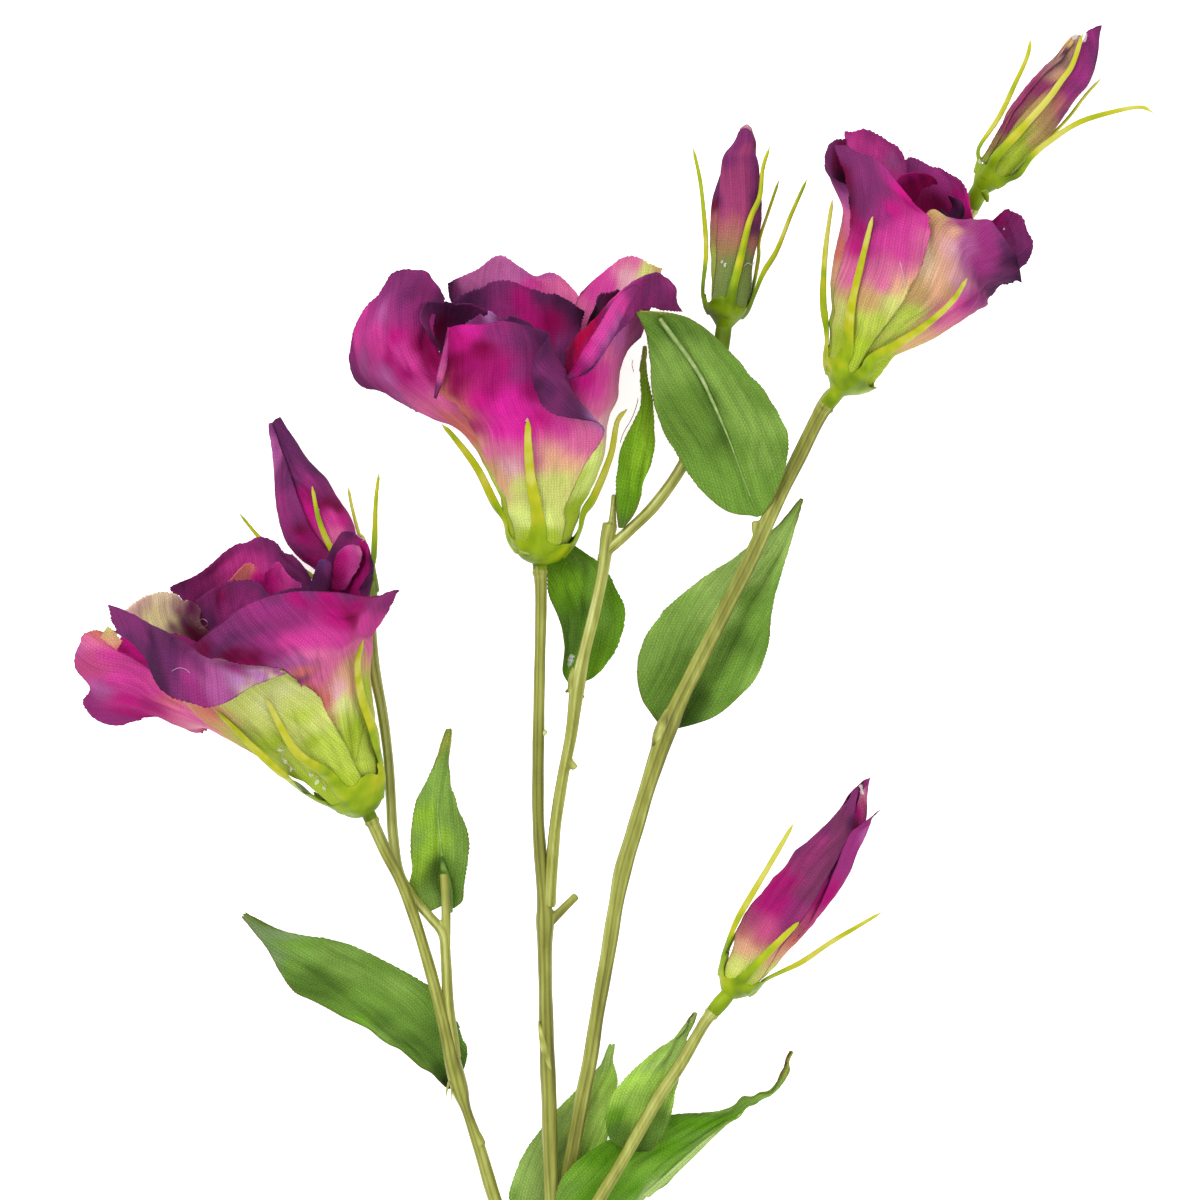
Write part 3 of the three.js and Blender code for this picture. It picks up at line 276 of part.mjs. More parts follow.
  [[105.65, 208.05, 17.55], [108.1, 206.35, 18], [110.45, 204.75, 17], [112.15, 203.65, 14.75], [112.85, 203.3, 11.85], [112.35, 203.75, 8.9], [110.8, 204.9, 6.6], [108.5, 206.55, 5.5]],
  [[109.95, 211.95, 17.85], [112.3, 210.35, 18], [114.5, 208.85, 16.8], [116.05, 207.9, 14.6], [116.6, 207.65, 11.75], [116, 208.15, 9], [114.5, 209.3, 6.85], [112.3, 210.85, 5.8]],
  [[114.25, 215.5, 17.65], [116.3, 214.1, 17.4], [118.1, 212.9, 16.15], [119.3, 212.2, 14.1], [119.6, 212.05, 11.6], [119.05, 212.55, 9.25], [117.65, 213.55, 7.45], [115.75, 214.9, 6.55]],
  [[116.15, 220.85, 15.9], [118.15, 219.8, 15.9], [120.05, 219.45, 14.7], [121, 220.2, 12.95], [120.95, 221.65, 11.15], [120.3, 222.85, 9.95], [119.35, 223.4, 9.35], [118.35, 223.65, 9.35]],
  [[117.8, 224.55, 14.4], [118.8, 225.3, 14.65], [120.1, 226, 14.2], [121.2, 226.45, 13.4], [122.05, 226.7, 12.5], [121.9, 226.2, 11.6], [121.2, 225.75, 11.05], [120.5, 225.5, 10.85]]],
  bud_b_petal_left: [[[91.65, 191.15, 12.7], [91.35, 191.4, 11.5], [91.4, 191.4, 10.2], [91.85, 191.15, 9], [92.8, 190.55, 8.4], [93.75, 189.9, 8.25], [94.55, 189.3, 8.55]],
  [[93.65, 195.2, 13.5], [93.2, 195.55, 11.9], [93.3, 195.55, 10.15], [93.9, 195.2, 8.55], [95.1, 194.4, 7.65], [96.4, 193.55, 7.4], [97.5, 192.75, 7.7]],
  [[96.85, 200.9, 14.6], [96.15, 201.45, 12.55], [96.2, 201.5, 10.3], [96.9, 201.1, 8.25], [98.4, 200.1, 6.95], [100.05, 199, 6.55], [101.6, 197.95, 6.95]],
  [[103.65, 209.5, 15.8], [102.7, 210.25, 13.55], [102.55, 210.45, 11], [103.25, 210.05, 8.6], [104.9, 208.95, 7.05], [106.75, 207.7, 6.5], [108.45, 206.5, 6.9]],
  [[107.6, 213.65, 16.05], [106.6, 214.45, 13.85], [106.4, 214.7, 11.35], [107.05, 214.3, 8.9], [108.7, 213.25, 7.4], [110.55, 212, 6.85], [112.25, 210.8, 7.3]],
  [[111.6, 217.4, 16], [110.65, 218.15, 14], [110.4, 218.4, 11.7], [111, 218.1, 9.45], [112.5, 217.1, 8.1], [114.2, 215.95, 7.7], [115.65, 214.9, 8.15]],
  [[114.5, 221.25, 14.65], [113.6, 221.9, 13.45], [113.5, 222.55, 12.05], [114.15, 223.25, 10.8], [115.25, 223.6, 10], [116.3, 223.6, 9.7], [117.25, 223.3, 10.15]],
  [[114.85, 222.6, 13.7], [114.65, 223.1, 13.1], [114.75, 223.3, 12.3], [115.05, 223.65, 11.6], [115.6, 223.85, 11.1], [116.15, 223.85, 10.95], [116.65, 223.7, 11.15]]],
  bud_c_petal_front: [[[23.5, 154.9, 23.4], [24.55, 154.7, 24.55], [26, 154.55, 25.15], [27.55, 154.35, 25.05], [28.95, 154.25, 24.3], [29.9, 154.2, 23.05]],
  [[23.75, 158.95, 24.45], [25.15, 158.7, 25.8], [27, 158.5, 26.45], [28.95, 158.25, 26.3], [30.7, 158.15, 25.3], [31.85, 158.1, 23.7]],
  [[23.75, 167.2, 25.9], [25.5, 166.95, 27.3], [27.7, 166.7, 27.9], [30, 166.45, 27.6], [31.95, 166.3, 26.4], [33.25, 166.25, 24.55]],
  [[24.05, 176.55, 26.95], [26.1, 176.25, 28.6], [28.65, 175.9, 29.3], [31.25, 175.65, 28.95], [33.55, 175.45, 27.55], [35.1, 175.4, 25.4]],
  [[24.3, 182.85, 26.65], [26.15, 182.55, 28.45], [28.6, 182.25, 29.35], [31.2, 181.95, 29.25], [33.5, 181.75, 28.05], [35.2, 181.7, 26.05]],
  [[25.45, 190.4, 24.6], [26.6, 190.2, 26.75], [28.6, 189.9, 28], [31, 189.65, 28.15], [33.2, 189.45, 27.1], [34.55, 189.4, 25.1]],
  [[28.55, 194.45, 24.2], [29.25, 194, 26.05], [30.45, 193.75, 26.95], [31.75, 193.9, 26.9], [33, 194.25, 25.9], [34.1, 194.7, 24.2]],
  [[29.3, 198.2, 24.1], [29.8, 198.6, 24.9], [30.5, 198.95, 25.55], [31.5, 199.05, 25.65], [32.3, 198.6, 25.1], [33.1, 197.95, 24.2]]],
  bud_c_petal_back: [[[24.9, 154.75, 23.35], [24.15, 154.9, 22.2], [24.15, 154.95, 20.8], [24.95, 154.95, 19.6], [26.25, 154.8, 19.05], [27.7, 154.65, 19.25], [28.75, 154.5, 20.15], [29.15, 154.35, 21.5], [28.75, 154.35, 22.85]],
  [[25.35, 158.75, 24.5], [24, 159, 22.95], [23.7, 159.15, 20.75], [24.9, 159.1, 18.8], [26.95, 158.95, 17.75], [29.2, 158.7, 18], [30.95, 158.4, 19.45], [31.4, 158.25, 21.65], [30.6, 158.25, 23.55]],
  [[25.65, 167, 25.9], [23.45, 167.35, 24.2], [22.55, 167.6, 21.2], [24.05, 167.6, 18.3], [26.85, 167.35, 16.7], [30.1, 167, 16.9], [32.7, 166.6, 18.85], [33.1, 166.4, 21.95], [31.9, 166.4, 24.45]],
  [[26.2, 176.3, 27.05], [23.7, 176.7, 25], [22.65, 177, 21.55], [24.4, 176.95, 18.15], [27.65, 176.7, 16.3], [31.4, 176.3, 16.55], [34.4, 175.85, 18.8], [34.95, 175.6, 22.4], [33.55, 175.6, 25.3]],
  [[26.45, 182.6, 26.8], [24.25, 182.95, 24.8], [23.45, 183.25, 21.45], [25.25, 183.2, 18.4], [28.4, 182.95, 16.8], [31.95, 182.55, 17.1], [34.75, 182.1, 19.25], [35.2, 181.85, 22.65], [33.9, 181.9, 25.35]],
  [[27.25, 190.2, 24.95], [26.25, 190.4, 23.4], [26.2, 190.5, 21.3], [27.65, 190.45, 19.55], [29.8, 190.25, 18.65], [32, 190, 19.25], [33.65, 189.75, 20.75], [33.85, 189.6, 22.9], [33.05, 189.6, 24.55]],
  [[29.3, 195, 23.7], [29.1, 195.1, 22.7], [29.4, 195.45, 21.7], [30.15, 195.75, 20.95], [31.2, 195.8, 20.65], [32.2, 195.75, 20.85], [33.15, 195.7, 21.55], [33.65, 195.35, 22.55], [33.6, 195, 23.55]],
  [[30.05, 198.75, 23.7], [30.1, 199.3, 23.25], [30.6, 199.75, 22.75], [31.1, 200.15, 22.5], [31.65, 200.4, 22.4], [31.85, 200.15, 22.5], [32.35, 199.6, 22.65], [32.6, 198.8, 23.1], [32.6, 198.25, 23.5]]],
  bud_d_petal_left: [[[-68.2, 81.7, 7.25], [-69.15, 81.3, 8.75], [-69.35, 81.25, 10.55], [-68.75, 81.65, 12.2], [-67.5, 82.35, 13.35], [-65.9, 83.2, 13.6]],
  [[-70.9, 85.15, 6.2], [-72.15, 84.6, 8.1], [-72.45, 84.5, 10.4], [-71.75, 85, 12.6], [-70.2, 85.85, 14.15], [-68.15, 86.95, 14.65]],
  [[-77.1, 90.25, 4.05], [-78.95, 89.4, 6.8], [-79.45, 89.25, 10.2], [-78.5, 89.9, 13.45], [-76.35, 91.15, 15.8], [-73.45, 92.7, 16.75]],
  [[-82.25, 96.6, 2.6], [-84.45, 95.6, 5.8], [-85.15, 95.45, 9.8], [-84.15, 96.1, 13.65], [-81.75, 97.5, 16.55], [-78.4, 99.3, 17.9]],
  [[-85.15, 105.55, 2.85], [-87.1, 104.65, 5.75], [-87.75, 104.45, 9.25], [-86.95, 105.05, 12.75], [-84.85, 106.25, 15.4], [-81.85, 107.85, 16.7]],
  [[-86.95, 114.75, 4.95], [-88.15, 114.2, 6.65], [-88.5, 114.1, 8.75], [-88, 114.45, 10.85], [-86.75, 115.15, 12.4], [-85, 116.1, 13.2]],
  [[-88.6, 121.2, 6.3], [-89.55, 121.9, 7.25], [-89.45, 122.4, 8.55], [-88.85, 122.6, 9.75], [-88.05, 122.3, 10.45], [-87.25, 121.8, 10.8]],
  [[-89.3, 124.75, 6.95], [-89.9, 125.25, 7.35], [-90, 125.45, 8.1], [-89.65, 125.7, 8.8], [-89.25, 125.9, 9.1], [-88.85, 125.65, 9.35]]],
  bud_d_petal_right: [[[-66.7, 82.75, 12.45], [-65.5, 83.35, 12.4], [-64.45, 83.85, 11.7], [-63.9, 84.1, 10.45], [-64, 84, 9.1], [-64.7, 83.55, 8], [-65.85, 82.95, 7.45], [-67, 82.35, 7.7], [-67.95, 81.9, 8.55]],
  [[-69.15, 86.35, 13.3], [-67.4, 87.3, 13.6], [-65.6, 88.2, 12.75], [-64.6, 88.65, 10.8], [-64.65, 88.5, 8.55], [-65.7, 87.85, 6.7], [-67.5, 86.9, 5.7], [-69.4, 85.95, 6.2], [-70.7, 85.3, 7.65]],
  [[-74.95, 91.8, 15.1], [-72.05, 93.4, 16], [-68.85, 95, 14.85], [-67, 95.85, 11.55], [-66.85, 95.7, 7.7], [-68.55, 94.7, 4.35], [-71.55, 93.05, 2.55], [-74.85, 91.4, 3.35], [-77, 90.35, 5.75]],
  [[-80.15, 98.3, 15.9], [-76.6, 100.2, 17.15], [-72.65, 102.25, 15.95], [-70.15, 103.35, 12.05], [-69.85, 103.3, 7.3], [-71.85, 102.1, 3.15], [-75.45, 100.1, 0.8], [-79.5, 98, 1.65], [-82.3, 96.7, 4.55]],
  [[-83.15, 107.1, 14.75], [-80.05, 108.8, 15.95], [-76.4, 110.65, 15], [-74.15, 111.65, 11.45], [-73.9, 111.6, 7.1], [-75.7, 110.5, 3.35], [-79, 108.7, 1.2], [-82.6, 106.85, 2.1], [-85.05, 105.7, 4.8]],
  [[-85.6, 115.75, 11.35], [-84.05, 116.6, 12.4], [-81.85, 117.75, 12.25], [-80.45, 118.35, 10.15], [-80.25, 118.35, 7.55], [-81.3, 117.7, 5.3], [-83.25, 116.65, 4], [-85.35, 115.6, 4.85], [-86.4, 115.1, 6.55]],
  [[-87.85, 120.8, 9.5], [-86.05, 121.3, 9.95], [-84.55, 122.1, 9.45], [-84.35, 122.9, 8.3], [-84.95, 123.7, 7.2], [-86.05, 124, 6.35], [-87.1, 123.75, 5.85], [-88.1, 123.25, 5.85], [-88.6, 122.7, 6.25]],
  [[-89.2, 125.2, 8.35], [-88.4, 126.2, 8.95], [-87.65, 126.95, 8.9], [-87.15, 127.25, 8.4], [-87.2, 127.25, 7.8], [-87.75, 127, 7.2], [-88.3, 126.8, 6.9], [-88.8, 126.25, 6.7], [-89.3, 125.75, 6.75]]],
};
const LEAF = {
  leaf_1: [[[-42.75, -43.25, 10.45], [-43.25, -43.5, 10.45], [-43.75, -43.75, 10.45], [-44.3, -43.5, 10.45], [-44.8, -43.25, 10.45]],
  [[-39.5, -37.5, 9.45], [-41.75, -38, 9.45], [-45.85, -39.6, 8.95], [-47.65, -40.05, 9.45], [-49.15, -40.5, 9.95]],
  [[-38.95, -30.35, 9.95], [-45.1, -32.45, 8.95], [-53.55, -33.85, 7.95], [-56.3, -34, 8.95], [-58.05, -33.65, 9.95]],
  [[-43.8, -21.45, 9.95], [-51.95, -25.05, 9.45], [-62.25, -27.25, 7.45], [-65.5, -27.45, 8.45], [-67.75, -27.6, 9.45]],
  [[-55, -13.6, 9.45], [-62.7, -16.45, 8.45], [-71.45, -19.4, 6.95], [-74.75, -21.15, 7.45], [-77.45, -22.1, 8.45]],
  [[-70.35, -6.55, 8.45], [-74.2, -9.9, 7.95], [-80.65, -12.8, 6.45], [-82.9, -16.1, 6.95], [-84.4, -18.3, 7.95]],
  [[-85.7, -3.55, 7.45], [-87.5, -5.1, 7.15], [-89.85, -6.15, 6.75], [-90.6, -6.9, 6.95], [-91.05, -7.65, 7.25]],
  [[-96.15, 1.15, 7.45], [-96.4, 0.9, 7.45], [-96.65, 0.55, 7.45], [-96.9, 0.3, 7.45], [-97.05, 0, 7.45]]],
  leaf_2: [[[-48.25, 1.7, 13.55], [-46.7, 2.45, 13.45], [-45.7, 2.95, 13.25], [-44.45, 2.7, 13.35], [-43.15, 2.5, 13.55]],
  [[-51.3, 5.5, 12.95], [-49, 6.5, 13.15], [-45.95, 7, 12.95], [-43.4, 6.55, 13.65], [-40.85, 6.1, 14.75]],
  [[-53.2, 12.75, 15.95], [-49.95, 13.75, 15.05], [-46.2, 14.45, 14.35], [-42.35, 14, 15.05], [-38.55, 12.75, 15.75]],
  [[-53.4, 21.95, 17.25], [-50.15, 22.15, 16.45], [-46.65, 22.35, 15.75], [-42.3, 21.9, 16.45], [-38.35, 20.9, 16.95]],
  [[-52.1, 29.8, 18.15], [-49.6, 30.05, 17.45], [-46.85, 30.3, 16.95], [-43.55, 29.8, 17.45], [-40.75, 28.8, 17.95]],
  [[-48.3, 37.2, 18.95], [-46.55, 37.4, 18.55], [-45.05, 37.65, 18.25], [-43.75, 37.4, 18.55], [-42.5, 36.95, 18.95]],
  [[-45.75, 44, 19.75], [-45, 44.25, 19.55], [-44.25, 44.5, 19.45], [-43.45, 44.5, 19.55], [-42.7, 44.25, 19.75]],
  [[-44.2, 48.05, 20.25], [-43.8, 48.3, 20.25], [-43.45, 48.3, 20.25], [-43.05, 48.3, 20.25], [-42.7, 47.8, 20.25]]],
  leaf_3: [[[-13.45, 59.65, 18.25], [-12.95, 59.65, 18.25], [-12.2, 59.65, 18.25], [-11.2, 59.9, 18.25], [-10.15, 60.15, 18.25]],
  [[-14.95, 63.45, 18.45], [-14.2, 63.15, 17.45], [-12.95, 63.4, 16.45], [-8.9, 62.4, 16.45], [-5.35, 62.4, 16.95]],
  [[-14.95, 69.25, 18.45], [-13.95, 68.95, 16.95], [-12.45, 69.2, 15.45], [-6.15, 68.45, 15.95], [-0.8, 67.45, 16.95]],
  [[-15.75, 76.05, 17.95], [-14.2, 76.05, 16.45], [-11.7, 76.3, 14.45], [-4.6, 76.05, 15.45], [1.7, 75.55, 16.45]],
  [[-18.25, 81.1, 16.45], [-15.5, 82.35, 14.95], [-12.2, 83.9, 12.95], [-5.9, 83.15, 14.45], [-0.3, 82.65, 15.45]],
  [[-19.3, 86.95, 13.95], [-16.55, 88.2, 12.95], [-14, 89.75, 11.75], [-9.2, 89.75, 12.55], [-4.85, 89.45, 13.95]],
  [[-20.35, 92.05, 10.95], [-18.35, 92.8, 10.75], [-16.55, 93.85, 10.35], [-14, 94.35, 10.95], [-11.45, 94.55, 11.95]],
  [[-21.15, 96.4, 8.95], [-20.65, 96.9, 8.95], [-20.15, 97.15, 8.95], [-19.4, 97.15, 8.95], [-18.85, 96.9, 8.95]]],
  leaf_4: [[[-0.85, 98.9, 26.15], [-0.5, 98.65, 26.15], [-0.1, 98.65, 26.15], [0.4, 98.65, 26.15], [0.9, 98.9, 26.15]],
  [[-1.35, 104.4, 26.45], [-0.1, 104.2, 25.75], [1.4, 103.95, 25.35], [2.9, 103.95, 25.75], [4.15, 104.2, 26.35]],
  [[-1.6, 111.95, 26.75], [0.4, 111.95, 25.75], [2.65, 112, 25.35], [4.65, 111.95, 25.75], [6.65, 112.2, 26.55]],
  [[0.15, 120.45, 26.95], [2.4, 120.5, 25.95], [4.65, 120.5, 25.45], [6.65, 120.5, 25.95], [8.65, 120.7, 26.95]],
  [[4.4, 129.45, 27.15], [5.15, 129.5, 26.75], [6.15, 129.5, 26.45], [7.15, 129.5, 26.75], [8.05, 129.45, 27.15]],
  [[4.4, 137.75, 27.45], [4.9, 137.75, 27.25], [5.55, 137.75, 27.15], [6.05, 137.75, 27.25], [6.65, 137.75, 27.45]],
  [[5.25, 144.2, 27.95], [5.65, 144.45, 27.95], [5.9, 144.7, 27.95], [6.15, 144.45, 27.95], [6.55, 144.2, 27.95]]],
  leaf_5: [[[32.95, 101.55, 20.35], [33.7, 101.55, 20.35], [34.45, 101.55, 20.35], [35.2, 101.8, 20.35], [36, 102.3, 20.35]],
  [[25.85, 103.25, 22.45], [29.1, 104.5, 21.95], [32.65, 106.05, 21.45], [36.45, 107.05, 21.95], [39.4, 108, 22.95]],
  [[18.95, 108.95, 26.45], [24, 111.2, 25.45], [29.3, 113.25, 24.45], [36.05, 115, 24.95], [42.05, 117, 25.95]],
  [[13.65, 116.85, 29.95], [19.4, 119.65, 28.45], [25.2, 122.7, 27.15], [33.15, 124.65, 28.95], [40.9, 125.6, 29.95]],
  [[9.6, 123.75, 32.95], [15.1, 126.8, 31.45], [21.9, 131.35, 29.95], [28.55, 134.25, 31.95], [35.25, 135.45, 33.45]],
  [[7.05, 132.75, 36.95], [11.55, 135.85, 35.45], [16.8, 140.35, 34.45], [21.5, 142.75, 35.95], [27.15, 143.45, 37.45]],
  [[6.25, 143.65, 42.55], [8.5, 144.9, 41.75], [10.95, 147.9, 41.15], [13.95, 149.4, 41.55], [17.4, 150.1, 42.35]],
  [[4.7, 149.05, 47.35], [5.2, 149.8, 47.15], [6.2, 150.75, 46.95], [7.45, 151.25, 47.15], [8.9, 151.5, 47.35]],
  [[3.45, 151.1, 49.35], [3.7, 151.25, 49.35], [3.95, 151.35, 49.35], [4.2, 151.5, 49.35], [4.7, 151.5, 49.35]]],
  leaf_6: [[[10.15, 48.05, 10.75], [10.9, 47.8, 10.75], [11.65, 47.55, 10.75], [12.45, 47.55, 10.75], [13.2, 47.55, 10.75]],
  [[5.05, 55.95, 11.45], [8.6, 53.9, 10.45], [14.5, 53.35, 9.45], [20.05, 51.1, 10.45], [24.1, 51.1, 10.95]],
  [[4.05, 65.35, 11.95], [10.4, 63.3, 10.95], [19.3, 61.25, 9.95], [27.15, 56.95, 10.95], [33.25, 59.25, 11.95]],
  [[8.6, 75.8, 12.45], [15.2, 73, 11.45], [24.15, 69.65, 10.45], [31.5, 67.4, 11.45], [37.3, 67.9, 11.95]],
  [[18, 84.65, 12.45], [23.1, 81.6, 11.95], [29.2, 78.3, 10.95], [34.25, 77.05, 11.45], [38.55, 76.8, 11.95]],
  [[29.65, 93.05, 12.95], [32.2, 90.25, 12.45], [35.5, 87.7, 11.95], [38.3, 86.7, 12.45], [41.35, 88.2, 12.95]],
  [[39, 99.35, 13.95], [40.3, 98.1, 13.75], [41.55, 97.1, 13.45], [42.8, 97.1, 13.75], [43.8, 97.35, 13.95]],
  [[45.4, 106.55, 14.95], [45.7, 106.45, 14.95], [45.8, 106.45, 14.95], [46.05, 106.3, 14.95], [46.3, 106.2, 14.95]]],
  leaf_7: [[[-21.25, -86.7, 1.95], [-20.5, -86.75, 1.85], [-20, -86.75, 1.75], [-19.45, -86.75, 1.75], [-18.95, -86.5, 1.75]],
  [[-26.6, -79.7, 2.65], [-23.55, -80, 2.15], [-19.45, -80.65, 1.45], [-16.4, -80.4, 1.45], [-13.05, -79.8, 1.75]],
  [[-28.9, -70.4, 3.15], [-23.8, -70.5, 2.55], [-17.4, -70.6, 1.65], [-11.8, -70.6, 1.85], [-6.65, -70, 2.35]],
  [[-25.85, -62.2, 3.25], [-20.2, -62, 2.75], [-13.3, -61.85, 1.95], [-8.45, -61.3, 2.35], [-4.1, -60.2, 2.95]],
  [[-19.45, -52.95, 3.55], [-15.1, -52.75, 3.15], [-9.7, -52.55, 2.55], [-5.35, -51.5, 2.95], [-1.8, -50.45, 3.35]],
  [[-11.75, -44.75, 3.75], [-8.7, -44.8, 3.45], [-5.65, -44.55, 3.15], [-3.05, -44.3, 3.35], [-0.75, -43.75, 3.55]],
  [[-5.35, -38.05, 4.35], [-4.35, -38.05, 4.15], [-3.05, -38.05, 4.05], [-2.05, -38.05, 4.15], [-1, -38.05, 4.35]],
  [[-3.05, -32.85, 4.95], [-2.7, -32.6, 4.95], [-2.3, -32.6, 4.95], [-1.9, -32.6, 4.95], [-1.4, -32.85, 4.95]]],
  leaf_8: [[[-12, -88.95, 5.95], [-11.5, -89.45, 5.95], [-11, -89.95, 5.95], [-10.5, -90.45, 5.95], [-9.95, -91, 5.95]],
  [[-15.55, -81.95, 8.55], [-12, -83.4, 7.15], [-7.4, -85.35, 5.95], [-3.85, -86.35, 6.15], [-0.8, -87.1, 6.45]],
  [[-17.05, -72.45, 10.75], [-12.5, -74.25, 8.95], [-4.85, -76.85, 6.75], [1.5, -78.7, 6.15], [6.4, -76.7, 5.95]],
  [[-14, -64.3, 10.95], [-7.4, -67.05, 9.45], [2.8, -69.9, 6.95], [8.65, -70.05, 5.95], [13.55, -66.75, 5.75]],
  [[-5.1, -57.7, 8.95], [0.5, -59.6, 7.75], [8.95, -62.4, 5.95], [15.05, -62.45, 5.35], [19.65, -59.65, 5.55]],
  [[12, -50.85, 6.15], [14.05, -53.2, 5.95], [18.15, -56.05, 5.35], [22.25, -56.35, 5.15], [25.8, -54.5, 5.55]],
  [[25.8, -49.35, 6.15], [27.05, -50.4, 5.95], [28.85, -50.9, 5.75], [30.1, -51.15, 5.85], [31.4, -50.35, 6.15]],
  [[37.25, -44.8, 6.95], [37.6, -45.15, 6.95], [38, -45.55, 6.95], [38.5, -45.55, 6.95], [39, -45.15, 6.95]],
  [[41, -39.2, 8.15], [41.4, -39.45, 7.95], [41.8, -39.7, 7.95], [42.3, -39.95, 7.95], [42.8, -40.2, 8.15]],
  [[43.1, -34.2, 9.45], [43.5, -33.95, 9.45], [43.75, -33.95, 9.45], [44, -33.95, 9.45], [44.4, -34.45, 9.45]]],
  leaf_9: [[[0.75, -59.2, 10.95], [1.25, -59.5, 10.95], [2, -59.5, 10.95], [2.75, -59.5, 10.95], [3.55, -59.5, 10.95]],
  [[-3.1, -56.2, 10.75], [-0.8, -56.25, 10.15], [2.75, -56.8, 9.75], [6.1, -58.8, 10.15], [8.1, -59.25, 10.55]],
  [[-4.1, -49.6, 10.55], [-0.55, -50.2, 9.95], [4.3, -51, 9.35], [8.9, -52.75, 9.95], [12.2, -52.65, 10.55]],
  [[-0.8, -42, 10.55], [2.75, -43.3, 9.95], [7.35, -44.4, 9.35], [11.15, -44.85, 9.95], [14.2, -44.55, 10.35]],
  [[6.05, -35.85, 10.55], [8.35, -37.2, 9.95], [11.15, -38.25, 9.55], [13.7, -38.5, 9.95], [15.75, -37.95, 10.25]],
  [[13.2, -30.05, 10.55], [14.2, -30.8, 10.35], [15.5, -31.35, 10.15], [16.5, -31.35, 10.25], [17.5, -31.3, 10.45]],
  [[18.4, -24.25, 10.95], [18.8, -24, 10.95], [19.05, -23.9, 10.95], [19.3, -24.15, 10.95], [19.55, -24.65, 10.95]]],
};
